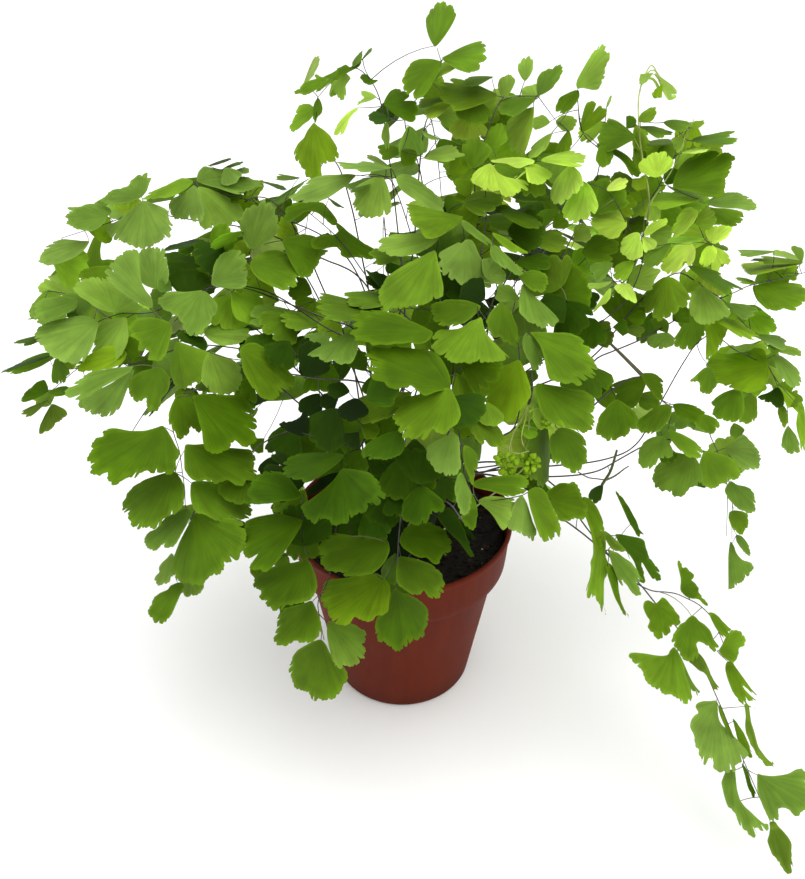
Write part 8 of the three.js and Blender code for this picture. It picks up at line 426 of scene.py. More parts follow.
        (42, 45.1, 281.4, 0.113, 0.429, 0.896, -0.822, -0.467, 0.327, 9.6, -44, 9.5, 9.5, 47, 15, -1, 25.79, (0.4, 1.7, 4, 8.6, 9.4, 9.6, 9.5, 9.7, 9.5, 9.5, 9.5, 9.5, 9.5, 9.5, 9.5, 9.5, 8.9, 6.3, 5.6, 1.8, 1)),
        (50.8, 50.1, 287.2, 0.137, 0.287, 0.948, -0.956, -0.212, 0.202, 11.2, -65, 9.4, 8.1, 54, 15, -1, 27.03, (1.5, 3.1, 5.4, 8.5, 11.2, 10.9, 10.6, 10.1, 9.8, 10, 9.8, 9.5, 9.4, 9.4, 9.4, 9.4, 9.3, 8.9, 8.6, 8.4, 7.9, 5.8, 3.6, 2.6, 1.1)),
        (56.2, 47.3, 282.4, 0.61, 0.234, 0.757, -0.783, 0.03, 0.622, 15.5, -68, 16.2, 15.5, 68, 7, -1, 28, (0.6, 1.5, 8.2, 12.3, 18.9, 18.4, 17.8, 17, 16.1, 15.8, 15.6, 14.7, 14.1, 13.8, 13.5, 14.2, 14.5, 14.6, 14.6, 14.6, 14.6, 14.6, 14.2, 14.2, 14.2, 14.2, 14.2, 14.4, 14.4, 14.3, 14, 13.9, 13.9, 13.8, 11.9, 12.8, 13.6, 11.2, 6.8, 3.7, 1.8)),
        (57.4, 59, 278.1, -0.999, 0.039, 0.027, 0.03, 0.097, 0.995, 10.4, -50, 10.7, 10.4, 50, 7, -1, 28, (0.7, 1.5, 4.1, 7.9, 10.8, 10.5, 10.5, 10.6, 10.8, 10.9, 13, 12.8, 12.6, 12.6, 12.6, 11, 11.2, 9.7, 10, 10.6, 10, 6, 1, 0.4)),
        (55.3, 45.9, 281.1, -0.965, 0.071, -0.252, -0.259, -0.099, 0.961, 16.3, -57, 15.9, 14.7, 33, 7, 4, 1, (1.4, 3.7, 4.4, 11.3, 16.3, 16.6, 15.6, 15.5, 14.8, 14.8, 15.7, 16, 16, 15.9, 15.9, 15.9, 15.6, 15.6, 15.5, 15.4, 15.3, 15.1, 15.8, 15.6, 14.7, 10.6, 6.5, 3, 0.6)),
        (54.4, 43.1, 278.7, -0.516, 0.155, -0.842, -0.825, -0.352, 0.441, 18.1, -47, 18.4, 17.4, 35, 16, 6, 1, (1, 1.7, 9.9, 12, 17.7, 20.7, 20.7, 20.8, 20.4, 19, 19.4, 20.2, 18.7, 19.5, 19.5, 19.1, 19.1, 19.1, 19.1, 19, 19.3, 18.8, 18.6, 18.5, 19, 18.8, 13.3, 7.3, 1.7, 0.7)),
        (28.9, 55.3, 272.1, -0.153, -0.609, -0.778, -0.167, -0.76, 0.628, 11.9, -54, 11.4, 10.9, 51, 16, 13, 1, (0.8, 2.5, 5.4, 7.9, 13.1, 13, 12, 11.4, 10.2, 11.3, 11.7, 11.4, 11.4, 11.4, 11.4, 11.1, 12.7, 12.6, 11.4, 11.1, 11, 10.9, 8, 5, 2.5, 0.9)),
        (70.5, 33.4, 288.3, -0.645, 0.071, -0.761, -0.731, -0.349, 0.587, 12.1, -60, 12.1, 12.1, 60, 6, 11, 1, ((0, 0), (1.8, 1.4), (3.3, 3.5), (4.7, 6.1), (5.7, 8.5), (3.9, 10.4), (1.7, 12), (-0.6, 11.9), (-3.4, 9.7), (-4.8, 7.6), (-4.8, 5.4), (-4.4, 3.1), (-3.1, 0.9))),
        (65.4, 52.2, 269.6, 0.957, -0.261, 0.13, -0.142, -0.03, 0.989, 6.9, -76, 8.9, 9.1, 66, 9, -1, 28, (0.9, 1.9, 3.3, 6.2, 9.2, 8, 7.6, 7.6, 8, 8.3, 8.4, 8.6, 8.7, 8.7, 8.9, 8.9, 8.9, 9.9, 10.8, 11, 12.1, 11.8, 7.7, 4.8, 2.9, 1.2)),
        (61.3, 33.9, 270.9, -0.744, -0.074, -0.664, -0.663, -0.033, 0.748, 11.5, -56, 11.5, 11.4, 40, 12, 12, 1, (0.5, 1.1, 2.8, 7, 10.4, 10.8, 10.4, 14.3, 14, 13.8, 13.8, 13.6, 13.6, 12.4, 10.8, 10.8, 11, 11.2, 11.4, 11, 10.3, 7.1, 3.7, 2.1, 0.5)),
        (69.5, 41.7, 269.6, -0.277, -0.448, -0.85, -0.912, -0.156, 0.379, 10.3, -46, 12.6, 15, 59, 11, 10, 1, (0.4, 1.3, 1.8, 6.5, 8.4, 8.4, 10.5, 9.7, 9.3, 9, 13.4, 13.3, 13.4, 13.4, 13.7, 13.8, 14.2, 14.7, 15.5, 13.4, 12, 12.3, 12.6, 12.9, 9.3, 4.9, 3.5, 0.6)),
        (32.4, 55.6, 268.3, 0.703, 0.135, 0.698, -0.545, -0.53, 0.65, 10.7, -53, 11, 11, 49, 9, -1, 24.78, (0.5, 1, 4.4, 7.4, 10.7, 10.8, 14.1, 13.7, 13.7, 13.8, 13.8, 11.9, 10.6, 10.6, 10.8, 10.8, 10.8, 10.8, 10.8, 10.6, 11, 9.5, 3.7, 3.5, 0.4)),
        (24.3, 18.8, 227.6, 0.953, -0.294, -0.071, -0.195, -0.774, 0.602, 14.5, -61, 16.8, 13.6, 56, 7, -1, 18.17, ()),
        (58.5, 67, 274.9, -0.409, 0.801, 0.437, -0.174, -0.539, 0.824, 6.9, -51, 8.4, 7.7, 53, 10, 5, 0.95, ()),
        (51.4, 51.1, 264.6, -0.816, -0.097, -0.57, -0.326, -0.737, 0.592, 14.9, -62, 16.1, 13.6, 62, 14, -1, 27.24, ()),
        (32.3, 26.2, 240.9, -0.973, -0.213, 0.093, 0.213, -0.659, 0.721, 11.1, -71, 11.8, 10.4, 63, 11, -1, 19.97, ()),
        (46.5, 64.7, 275.2, -0.858, 0.491, -0.148, -0.448, -0.575, 0.685, 9.7, -54, 10.3, 9.9, 52, 12, -1, 26.91, ()),
    ]),
    "frond_20": (0, [(18.1, 8.5, 89), (18.5, 8, 97), (19.1, 7.5, 105), (19.9, 7.1, 113), (20.9, 7.8, 120.9), (22.3, 9.3, 128.7), (24, 11.1, 136.5), (26, 13, 144.1), (28.1, 13.8, 151.8), (30.6, 14.8, 159.3), (33.7, 16.1, 166.5), (37.4, 17.8, 173.3), (41.7, 19.8, 179.7), (46.5, 22.1, 185.8), (51.6, 24.5, 191.5), (56.7, 26.9, 197.2), (61.7, 29.2, 203.1), (66.2, 31.2, 209.4), (70, 32.9, 216.2), (73.3, 34.2, 223.4), (76.6, 35.4, 230.5), (79.7, 36.9, 237.8), (82, 39, 245.2), (83.7, 41.9, 252.5), (84.1, 45.2, 259.7), (78.3, 47.3, 264.2), (75.9, 53.4, 268), (75.8, 60.2, 272.3), (75.3, 65.3, 278.4)], [
        (69.5, 32, 289.1, 0.529, -0.379, 0.76, -0.837, -0.379, 0.394, 19.3, -60, 19.3, 19.3, 60, 12, 1, 1, ((0, 0), (-2.4, 0.2), (-4, 1.9), (-5.2, 4.6), (-6.4, 7.4), (-7.6, 10.1), (-8.3, 12.7), (-8.3, 15), (-7.8, 17.1), (-6.2, 18.3), (-5, 17.4), (-4.2, 16.6), (-2.6, 18.9), (-0.3, 18.7), (1.7, 17.5), (2.5, 16.1), (3.2, 14.7), (4.8, 14.8), (6.4, 14.9), (6.8, 13.6), (6, 12.2), (7.9, 12.1), (8.7, 10.7), (8.4, 9.1), (6.4, 6.8), (4, 4.7), (1.6, 2.5))),
        (73.9, 38, 270, 0.536, 0.176, 0.826, -0.784, -0.258, 0.564, 15.1, -42, 14.4, 14, 35, 11, 4, 1, (2, 3.7, 6.6, 9.8, 14.2, 14.4, 14.3, 13.9, 13.5, 13.1, 12.7, 12.7, 12.7, 12.7, 12.7, 12.6, 12.9, 13.1, 13.9, 14.1, 14, 12.7, 7.1, 3.6, 1.7)),
        (87.6, 57.2, 268.1, -0.819, 0.223, -0.529, -0.562, -0.122, 0.818, 12.9, -59, 13.3, 12.5, 41, 14, -1, 26.44, (0.5, 2.5, 2.7, 7.2, 12.9, 13, 13.3, 13.3, 13.4, 13.2, 13.2, 12.7, 12.7, 12.7, 12.8, 13, 13.3, 13.2, 13.4, 14.1, 14.3, 14.4, 14.7, 15.3, 7.6, 3.1, 1.2, 0.5)),
        (85.3, 49, 276.1, 0.327, 0.2, 0.923, -0.945, 0.078, 0.318, 6.2, -50, 6.4, 6.2, 50, 17, 2, 1, (7.4, 6.8, 6.1, 5.7, 5.5, 5.6, 5.6, 5.6, 5.9, 2.5)),
        (81.9, 35.6, 265, 0.337, -0.28, -0.899, 0.672, -0.597, 0.438, 10.4, -61, 8.9, 6.9, 50, 7, -1, 24.47, (1.4, 3.1, 4.9, 7.8, 10.2, 11.1, 9.8, 9.5, 9.3, 9.1, 9, 8.9, 8.9, 8.8, 8.6, 8.3, 8, 7.8, 7.2, 5.3, 3.5, 2.2, 0.4)),
        (98.1, 43, 266.3, -0.954, 0.284, 0.096, -0.013, -0.361, 0.933, 14.9, -50, 15.7, 15, 38, 6, 6, 1, (2, 3.6, 3.7, 10.7, 15.2, 14.1, 16.6, 18, 17.5, 16.4, 15.8, 15.9, 15.9, 15.4, 15.1, 15.7, 15.7, 15.3, 15.3, 15.5, 15.4, 14.7, 17.3, 15.9, 13, 7.7, 3.5, 2)),
        (100.9, 53.2, 262.5, -0.051, -0.652, -0.757, 0.823, -0.457, 0.338, 18.7, -59, 15.1, 9.7, 23, 11, 7, 1, (1.9, 4.5, 6.6, 11.6, 20.2, 19, 18.1, 17, 16.3, 15.9, 15.5, 15.2, 15, 15.1, 15.2, 16.1, 14.8, 14.9, 15.3, 12.7, 11.2, 9.3, 8, 5.7, 3.1, 1.3)),
        (104.4, 60.6, 256.9, 0.993, 0.054, 0.105, -0.112, 0.132, 0.985, 15.9, -43, 16.3, 15.9, 43, 5, 8, 1, (2.1, 2, 7.8, 9.2, 15.9, 18.5, 20.2, 18.7, 17.1, 16.2, 15.6, 14.6, 13.7, 14.7, 14.3, 14, 14, 13.7, 13.6, 13.9, 13.9, 14.2, 14.4, 15, 15.6, 11.2, 6.7, 3.4, 1.1)),
        (98.2, 63.8, 263, 0.595, 0.087, 0.799, -0.689, -0.457, 0.563, 6.2, -53, 6.2, 6.3, 51, 6, 2, 1, (6.1, 6.1, 6.1, 6.1, 6, 5.7, 5.2, 5, 4.9, 6.3)),
        (64.5, 64.5, 265.4, -0.931, 0.364, -0.031, -0.183, -0.391, 0.902, 7.2, -46, 7.8, 6.4, 51, 12, -1, 27, ()),
        (71.1, 53.8, 255.4, -0.564, -0.41, -0.717, -0.099, -0.828, 0.552, 11.6, -60, 13.3, 11.8, 56, 12, -1, 25.41, ()),
        (90.9, 49.3, 258.6, 0.512, -0.785, -0.349, 0, -0.406, 0.914, 18, -60, 18, 18, 60, 4, -1, 24, ((0.7, -1.9), (-1.1, -0), (-2.2, 2.7), (-2.9, 6), (-2.6, 9.9), (-1.5, 14.1), (-0.1, 18), (2.8, 17.6), (2.5, 13.8), (1.1, 9.1), (1.1, 5), (2.2, 1.5))),
    ]),
    "frond_21": (0, [(16.3, 2.2, 89), (16.9, 2.7, 97), (17.7, 3.4, 105), (18.8, 4.3, 112.9), (20, 5, 120.9), (21.5, 5.7, 128.9), (23.3, 6.5, 136.8), (25.6, 7.7, 144.5), (28.8, 9.9, 151.5), (32.5, 12.4, 158.3), (36.7, 15.2, 164.7), (41.3, 18.1, 170.7), (46.2, 21, 176.3), (51.6, 24, 181.6), (57.2, 27, 186.5), (63.1, 29.8, 191.2), (69.1, 32.5, 195.9), (75.2, 34.7, 200.7), (81.2, 36.4, 205.8), (86.9, 37.5, 211.4), (91.9, 37.7, 217.6), (96.1, 37.3, 224.5), (100.2, 36.7, 231.4), (104.4, 36.5, 238.3), (108.6, 38, 245), (112.5, 41.9, 250.8), (116.2, 46.5, 256.1), (119.6, 51.7, 261.1), (123.1, 56.9, 266)], [
        (99.6, 48.1, 271.4, 0.712, -0.074, 0.699, -0.696, 0.065, 0.716, 7.1, -75, 8.6, 10.4, 65, 11, 2, 1, (0.3, 0.7, 4.2, 6.1, 7.1, 6.6, 6.8, 6.9, 7.1, 7.4, 7.9, 8, 8.1, 8.3, 8.3, 8.4, 8.5, 9.1, 9.4, 9.9, 9, 9.2, 7.2, 4.3, 2.2, 1.4)),
        (99.9, 46.3, 269.4, 0.967, -0.23, -0.11, 0.125, 0.05, 0.991, 11.7, -54, 12.1, 11.7, 54, 6, 0, 1, (0.5, 3.8, 5.8, 8.4, 7.7, 8.2, 8, 7.6, 7.6, 10.3, 14.4, 14, 13.8, 13.6, 14, 13.8, 11.1, 11.3, 11.5, 11.9, 11.9, 11.8, 12.2, 12.2, 8.9, 5.8, 3.8, 0.5)),
        (110.8, 50.4, 270.2, 0.886, -0.463, -0.029, 0.009, -0.045, 0.999, 10.2, -65, 12, 11.8, 48, 6, 4, 1, (1.4, 2.4, 4.5, 7.3, 8.8, 9.2, 9.4, 10.5, 10.7, 10.5, 10.2, 11.3, 10.9, 11, 11, 11, 10.1, 10.8, 11.5, 11.5, 11.4, 11.9, 12.5, 9.4, 5.8, 3.7, 2.2, 0.6)),
        (122.3, 52.4, 267.5, 0.807, -0.402, 0.433, -0.45, 0.057, 0.891, 6.4, -81, 6.9, 6.7, 57, 11, -1, 27.53, (5.8, 6, 5.5, 5.4, 5.5, 5.9, 6, 6.5, 6.8, 6.9, 7.3, 7.5, 6.5, 5.6)),
        (119.3, 45.3, 265.5, -0.48, 0.092, -0.873, -0.874, -0.139, 0.466, 5.5, -47, 6.6, 8.1, 58, 18, 7, 1, (5.9, 6.7, 7.2, 6.6, 5.8, 6.1, 6.9, 7.5, 8.2, 8.6, 9.9)),
        (106.5, 33.3, 252.2, -0.052, 0.36, 0.932, 0.318, -0.878, 0.357, 11.2, -60, 11.2, 11.2, 60, 16, -1, 24.27, ((0, 0), (-3.8, 1), (-7.7, 2.8), (-8.6, 4.8), (-7.7, 6.4), (-5.8, 8.3), (-3, 9.4), (0.4, 10.5), (3.7, 10.4), (6.6, 9), (8.1, 6.5), (8.2, 4.5), (6.2, 3), (3.4, 1.1))),
        (118.7, 43.9, 259.1, 0.954, -0.133, 0.268, -0.233, 0.23, 0.945, 11.9, -61, 12.4, 11.9, 61, 19, -1, 26.08, (0.5, 3.8, 5.9, 11.5, 11.9, 11.7, 11.3, 11.9, 11.9, 11.3, 10.8, 10.6, 11.6, 11.4, 11.2, 11.2, 11.4, 11.4, 11.8, 12, 12.5, 13.2, 12.1, 12, 11.5, 10.9, 7.4, 3.4, 3, 0.9)),
        (122.6, 48.6, 262.7, 0.925, -0.305, 0.228, -0.194, 0.137, 0.971, 20.5, -43, 21, 20.5, 43, 6, -1, 27.04, (2.7, 6.6, 9, 10.3, 19.7, 20.1, 20.2, 20.3, 20.3, 20.4, 18.3, 18.8, 16.3, 15.9, 15.9, 15.9, 16.4, 16.4, 16.4, 16.8, 19.3, 19.7, 20.5, 20.9, 20.8, 21.6, 22.4, 22.7, 23.5, 23.4, 21.7, 16.2, 11, 4.4, 1.4)),
        (113.9, 33.4, 247.7, 0.885, -0.102, 0.454, -0.464, -0.254, 0.849, 27.6, -60, 27.6, 27.6, 60, 6, -1, 24.27, ((0, 0), (-6.6, 2.6), (-12.1, 6), (-15, 10), (-15.5, 14.5), (-13.7, 19.2), (-9.4, 23.4), (-6.3, 26.8), (-2.5, 27.2), (-0.5, 25.1), (3.3, 23.7), (5.9, 21.5), (10.1, 19.7), (14.3, 19.1), (15.6, 16), (13.3, 12.4), (9.2, 9.1), (6.2, 6.4), (3.6, 3.5))),
        (129.7, 37.1, 239.6, 0.956, -0.253, 0.15, -0.213, -0.242, 0.947, 21.8, -60, 21.8, 21.8, 60, 10, 11, 1, ((0, 0), (-3.2, 3.2), (-5.7, 6.5), (-6.7, 10.6), (-5.7, 14.7), (-2.7, 17.9), (0.9, 21.1), (5.6, 21), (6, 17.9), (4.4, 13.9), (4.1, 9.4), (3.1, 4.6))),
        (117.5, 52.7, 240.8, 0.952, -0.256, -0.167, 0.221, 0.201, 0.954, 16.6, -59, 17.2, 16.6, 59, 9, 17, 1, (1.3, 5.3, 5.4, 10.5, 15.6, 16.3, 16.4, 16.5, 16.9, 16.9, 17, 17, 17.1, 17.1, 17.1, 17.2, 17.2, 16.8, 16.9, 16.5, 16.5, 16.5, 16.5, 16.8, 17.1, 17.4, 17.7, 18, 17.2, 16.5, 16.8, 16.4, 16.7, 16.6, 10.8, 7.5, 1.6, 0.7)),
        (125.4, 29.8, 244.3, -0.873, 0.446, -0.199, -0.161, 0.122, 0.979, 16.8, -44, 20.4, 22.7, 35, 14, 8, 1, (2.3, 2.7, 7.1, 11.9, 17.1, 17.9, 17.7, 17.7, 17.4, 17.4, 17.3, 20.7, 20.6, 20.8, 20.6, 20.7, 20.8, 22.4, 22.9, 23.4, 22.7, 23.4, 20.3, 20.9, 21.7, 22.4, 22.8, 23.2, 16.7, 9, 4.2, 1.4)),
        (110.8, 47, 238.9, -0.076, -0.278, -0.958, 0.771, -0.625, 0.12, 11.2, -50, 11.2, 10.7, 52, 18, 18, 1, (1.5, 2.4, 4.9, 7.7, 11, 13.9, 12.8, 12.1, 11.9, 11.9, 12.1, 10.8, 10.8, 10.7, 10.7, 10.9, 11, 11.2, 11.5, 11.7, 10.7, 5.7, 4.7, 3.3, 0.4)),
        (105.8, 39.1, 241.1, -0.702, -0.052, -0.71, -0.711, 0.016, 0.703, 11.4, -61, 9.3, 7.5, 28, 11, -1, 23.31, (0.5, 1.1, 6.3, 9.4, 11.2, 10.8, 10, 9.6, 11.1, 10.3, 10.4, 9.7, 9.3, 9, 8.8, 9.1, 6.9, 4.6, 3.1, 0.7, 0.3)),
        (88.8, 39.8, 237.4, 0.943, -0.123, 0.309, -0.332, -0.395, 0.857, 11.6, -53, 12, 12, 49, 11, -1, 22.02, (1.3, 1.3, 3.3, 9, 10.2, 10.5, 12.2, 12.7, 11.6, 11.7, 11.2, 10.8, 11.3, 12, 12.2, 13.4, 12, 11.5, 11.3, 13.2, 13.7, 13.4, 11.4, 5.3, 2.2, 0.5)),
        (118, 50.4, 250.6, 0.838, -0.094, 0.537, -0.527, -0.392, 0.754, 9.2, -54, 9.3, 9.6, 50, 18, -1, 26.08, (0.4, 3, 3.6, 6, 9.6, 8.3, 7.6, 8, 8.9, 9.7, 10.8, 9.7, 9.5, 9.5, 9.5, 9.2, 9.3, 9.3, 9.4, 6.8, 4.6, 1.8, 0.4)),
        (97.5, 35.5, 228.7, 0.91, -0.082, 0.407, -0.408, -0.366, 0.836, 8.3, -53, 8.6, 8.6, 49, 4, -1, 21.52, (0.3, 1, 4.9, 5.9, 8, 8.2, 8.3, 9.4, 8.9, 8.9, 9.5, 8.3, 11, 8.6, 8.3, 8.1, 8.3, 6.7, 3.8, 1.6, 0.3)),
        (116.2, 52.1, 242.2, 0.459, 0.188, 0.868, -0.762, -0.419, 0.494, 8.2, -51, 8.1, 8, 52, 6, 12, 1, (1.1, 1.6, 4.8, 5.9, 6.2, 6.5, 7, 7.5, 7.3, 7.5, 8.4, 8.4, 8.4, 7.4, 7.4, 7.9, 7.8, 4.6, 3.3, 2.6, 1.1)),
        (107.1, 40.6, 242.1, 0.412, 0.226, 0.883, -0.77, -0.432, 0.47, 7.9, -51, 7.7, 7.6, 52, 14, 13, 1, (0.3, 1.6, 4.4, 5.5, 10.4, 8.9, 8.3, 8.1, 8, 8, 9.2, 7.7, 7.8, 6.9, 7.5, 8.2, 6, 3.3, 0.7, 0.3)),
        (114.4, 51.6, 236.7, -0.909, 0.418, -0.001, -0.292, -0.635, 0.715, 12, -48, 14.7, 12.8, 49, 11, 17, 0.54, ()),
        (120, 73.6, 225.2, 0.868, -0.069, -0.492, 0.254, -0.789, 0.559, 12.2, -60, 14.2, 13.5, 58, 9, 19, 0.95, ()),
        (130.3, 75.5, 262.4, -0.289, -0.528, -0.799, -0.016, -0.832, 0.555, 9.9, -46, 11.1, 9.6, 45, 11, -1, 28, ()),
        (118, 70.3, 254.9, 0.25, -0.911, -0.327, 0.026, -0.331, 0.943, 9.6, -52, 11.3, 10.2, 48, 7, 21, 0.61, ()),
        (126.2, 60.9, 229.9, 0.946, 0.289, -0.149, 0.325, -0.811, 0.487, 13.7, -47, 15.9, 14.3, 43, 9, 20, 0.54, ()),
        (115.2, 67.5, 254.1, -0.766, 0.366, -0.528, -0.561, -0.782, 0.273, 7.5, -45, 8.2, 7.3, 46, 14, 22, 0.95, ()),
        (96.5, 30.4, 226.8, -0.391, -0.508, -0.768, -0.137, -0.792, 0.594, 12.1, -48, 13.3, 11.3, 49, 6, 16, 0.95, ()),
        (132.9, 81.8, 251.7, 0.247, -0.825, -0.509, -0.293, -0.564, 0.772, 13.5, -63, 15.1, 12.3, 55, 9, 21, 0.95, ()),
        (104.3, 46.2, 250, -0.101, 0.909, 0.404, 0, -0.406, 0.914, 14.6, -60, 14.6, 14.6, 60, 4, -1, 25, ((-0.4, 0), (-2.5, 2.7), (-3.6, 7.6), (-1.6, 12.4), (1.5, 14.5), (3.6, 11.8), (2.9, 5.2))),
    ]),
    "frond_22": (0, [(19.5, -4.4, 89), (19.9, -4.5, 96.9), (20.4, -4.5, 104.9), (21.2, -4.6, 112.7), (22.3, -4.6, 120.6), (24, -4.3, 128.3), (26, -4.1, 135.8), (28.5, -3.7, 143.3), (31.6, -3.4, 150.5), (35.3, -3, 157.5), (39.7, -2.6, 164.1), (44.8, -2.1, 170.2), (50.5, -1.5, 175.7), (56.6, -0.8, 180.6), (62.9, -0.1, 185.2), (69.4, 0.7, 189.5), (75.9, 1.6, 194), (82.1, 2.4, 198.8), (88.1, 2.8, 204), (93.6, 4.2, 209.5), (97.6, 8.3, 214.8), (100.6, 13.6, 219.9), (102.1, 18.7, 225.6), (100.7, 22.9, 232)], [
        (98.6, 15.4, 235.3, -0.467, -0.437, -0.768, -0.677, -0.382, 0.629, 12.6, -60, 12.6, 12.6, 60, 18, 2, 1, ((0, -0), (2.2, 0.1), (4.6, 1.6), (6.5, 3.9), (6.6, 6.3), (5.2, 9.2), (1.7, 11.1), (-1.5, 11.6), (-4.9, 11.6), (-6.5, 9.8), (-6.8, 7.9), (-4.8, 4.8), (-2.3, 2.7))),
        (100.5, 18.8, 232.5, 0.726, -0.314, -0.612, 0.417, -0.506, 0.755, 8.2, -60, 8.2, 8.2, 60, 18, -1, 23, ((-0, 0), (-2.2, 2.3), (-4.3, 5.2), (-3.9, 7.3), (-1.3, 7.6), (2.2, 6.7), (5.6, 5.1), (3.9, 2.9))),
        (100.6, 17.8, 233.3, 0.808, 0.061, 0.586, -0.562, -0.222, 0.797, 11.7, -60, 11.7, 11.7, 60, 16, 1, 1, ((0, 0), (-2, 1.8), (-3.3, 4.2), (-3.4, 7.1), (-2.7, 9.1), (-0.7, 11.6), (1.3, 11.3), (2.4, 9.4), (2.2, 7.1), (2.1, 4.8), (2.5, 2.3), (1.6, 0.8))),
        (126.2, 33.8, 237.8, -0.647, 0.056, -0.761, -0.754, -0.198, 0.626, 14.7, -60, 14.7, 14.7, 60, 19, 12, 1, ((0, 0), (3.9, 1.1), (6.2, 3.5), (6.4, 6.2), (5.1, 8.9), (3.3, 11.9), (1.6, 14.3), (-2, 14.5), (-5.3, 12.5), (-5.9, 9.5), (-5.6, 6.1), (-4.8, 3), (-3, 0.7))),
        (123.5, 23.9, 227.1, -0.584, -0.274, -0.764, -0.739, -0.209, 0.64, 16.9, -60, 16.9, 16.9, 60, 19, 9, 1, ((0, -0), (4.2, 1.6), (7.6, 4), (7.8, 7.2), (7.5, 10.2), (8.5, 12.7), (7, 15.3), (2.8, 16.2), (-1.6, 16), (-3.5, 13.6), (-5, 11), (-2.5, 8.8), (-4.2, 7.7), (-7.2, 9), (-8.9, 7.8), (-7.6, 4.8), (-4.9, 1.7))),
        (133.5, 29.7, 224.5, 0.632, 0.405, 0.661, -0.671, -0.14, 0.728, 10.6, -60, 10.6, 10.6, 60, 19, 6, 1, ((-0, 0), (-4.3, 1.7), (-8.1, 4.1), (-7.2, 6.5), (-3.8, 8.5), (0.1, 9.9), (4.1, 9.8), (5.7, 7.5), (6.2, 4.3), (4.8, 1.8), (2.5, 0.1))),
        (133.8, 28.8, 224, -0.278, -0.349, -0.895, -0.885, -0.269, 0.38, 9.7, -60, 9.7, 9.7, 60, 19, 4, 1, ((-0, -0), (3.3, 1.4), (4.7, 3.9), (4, 6.4), (4.1, 8.7), (1.6, 9.6), (-2.8, 8.8), (-4.4, 6.8), (-4.9, 4), (-4.2, 1.5), (-1.5, 0.2))),
        (135.6, 32.7, 221.8, 0.478, -0.185, -0.859, 0.551, -0.698, 0.457, 13.1, -60, 13.1, 13.1, 60, 16, 6, 1, ((0.6, -0.3), (-2.4, 2.4), (-5.1, 5.5), (-6.5, 8.3), (-7, 11.1), (-4, 11.9), (-1.4, 9.8), (1.9, 9.9), (3.4, 12.1), (6.2, 10.4), (7, 8), (5.5, 5.8), (1.8, 5))),
        (138.8, 40.9, 218.1, 0.904, -0.427, -0.012, 0.04, 0.056, 0.998, 7, -52, 7, 6.8, 31, 8, 10, 1, (5.7, 5.7, 5.7, 5.6, 5.7, 6.3, 6.7, 6.9, 7.1)),
        (115.8, 26.5, 225.9, -0.779, 0.068, -0.624, -0.62, 0.073, 0.782, 14.8, -52, 14.2, 13.1, 34, 12, -1, 22.16, (2, 3.6, 6.5, 10.7, 14.2, 13.8, 13.7, 13.7, 13.9, 15, 16.3, 15.4, 14.8, 15.6, 15.3, 15, 14.7, 14.8, 14.9, 14.1, 14.4, 12.8, 9.1, 5.3, 2.5, 0.6)),
        (134, 40.3, 222.1, -0.964, 0.16, -0.212, -0.157, 0.301, 0.941, 17.6, -54, 18.2, 17.6, 54, 18, 5, 1, (2, 3, 9.4, 14.4, 14.8, 15.2, 20.9, 19.6, 18.2, 17.6, 16.9, 16.6, 16.3, 15.9, 15.6, 16.7, 16.7, 20.4, 20.4, 20.4, 20.4, 20.3, 20.7, 21, 21.7, 22.4, 18.3, 19, 19.6, 18.9, 18.8, 18.7, 19.7, 12.7, 7.7, 3.5, 0.7)),
        (134.1, 48.8, 233.6, 0.744, -0.63, -0.224, -0.056, -0.392, 0.918, 17.6, -60, 17.6, 17.6, 60, 7, 12, 1, ((0, 0), (-1.4, 3.7), (-4.1, 7.1), (-6.6, 11.1), (-7.7, 15.4), (-2.8, 17), (2.1, 17.5), (3.4, 14.9), (5.6, 11.2), (7.2, 8.2), (4.3, 4.3))),
        (128, 41.2, 229.1, 0.927, -0.21, 0.311, -0.369, -0.357, 0.858, 9.3, -54, 9.5, 9.7, 49, 16, 10, 1, (1.2, 2.9, 4.5, 7.4, 9.9, 9.9, 9.9, 10, 9.5, 9.5, 9.5, 9.5, 9.5, 9.5, 9.7, 10.1, 9.2, 7.9, 7.8, 7.5, 4.3, 1.8, 0.4)),
        (142.2, 53.4, 217.4, -0.928, 0.332, 0.166, -0.352, -0.93, -0.109, 14.8, -53, 16.9, 14.1, 53, 18, 8, 0.95, ()),
        (146.9, 72.5, 209.8, -0.608, -0.445, -0.657, -0.214, -0.706, 0.675, 15.3, -66, 16.9, 14.9, 54, 9, 13, 0.95, ()),
        (132.9, 63.4, 212.1, -0.686, -0.089, -0.722, -0.607, -0.477, 0.636, 13.8, -49, 14.8, 12.5, 43, 16, 14, 0.44, ()),
        (135, 28.3, 214.1, -0.139, 0.154, -0.978, -0.211, -0.97, -0.123, 14, -50, 16, 13.6, 53, 16, 7, 0.95, ()),
        (81.9, 5.4, 200.8, -0.573, -0.66, -0.487, -0.312, -0.373, 0.874, 12.5, -60, 15, 13.1, 60, 3, -1, 17.16, ()),
    ]),
    "frond_23": (0, [(13.8, 14.5, 89), (14.1, 14.3, 97.1), (14.6, 13.8, 105.2), (15.4, 13.2, 113.3), (16.5, 12.4, 121.2), (18.1, 11.3, 129), (20.1, 9.9, 136.7), (22.5, 8.3, 144.3), (25.5, 6.5, 151.6), (28.9, 4.6, 158.6), (33, 2.5, 165.2), (37.8, 0.4, 171.4), (43.2, -1.5, 177.1), (49.1, -2.8, 182.4), (55.3, -3, 187.6), (61.4, -1.9, 192.7), (67, 0.6, 198), (71.6, 3.7, 203.9), (76.3, 6.7, 209.7), (82.2, 8.8, 214.7), (89.9, 8.5, 216.5), (95.8, 11.8, 217.4), (99.1, 18.5, 220.4)], [
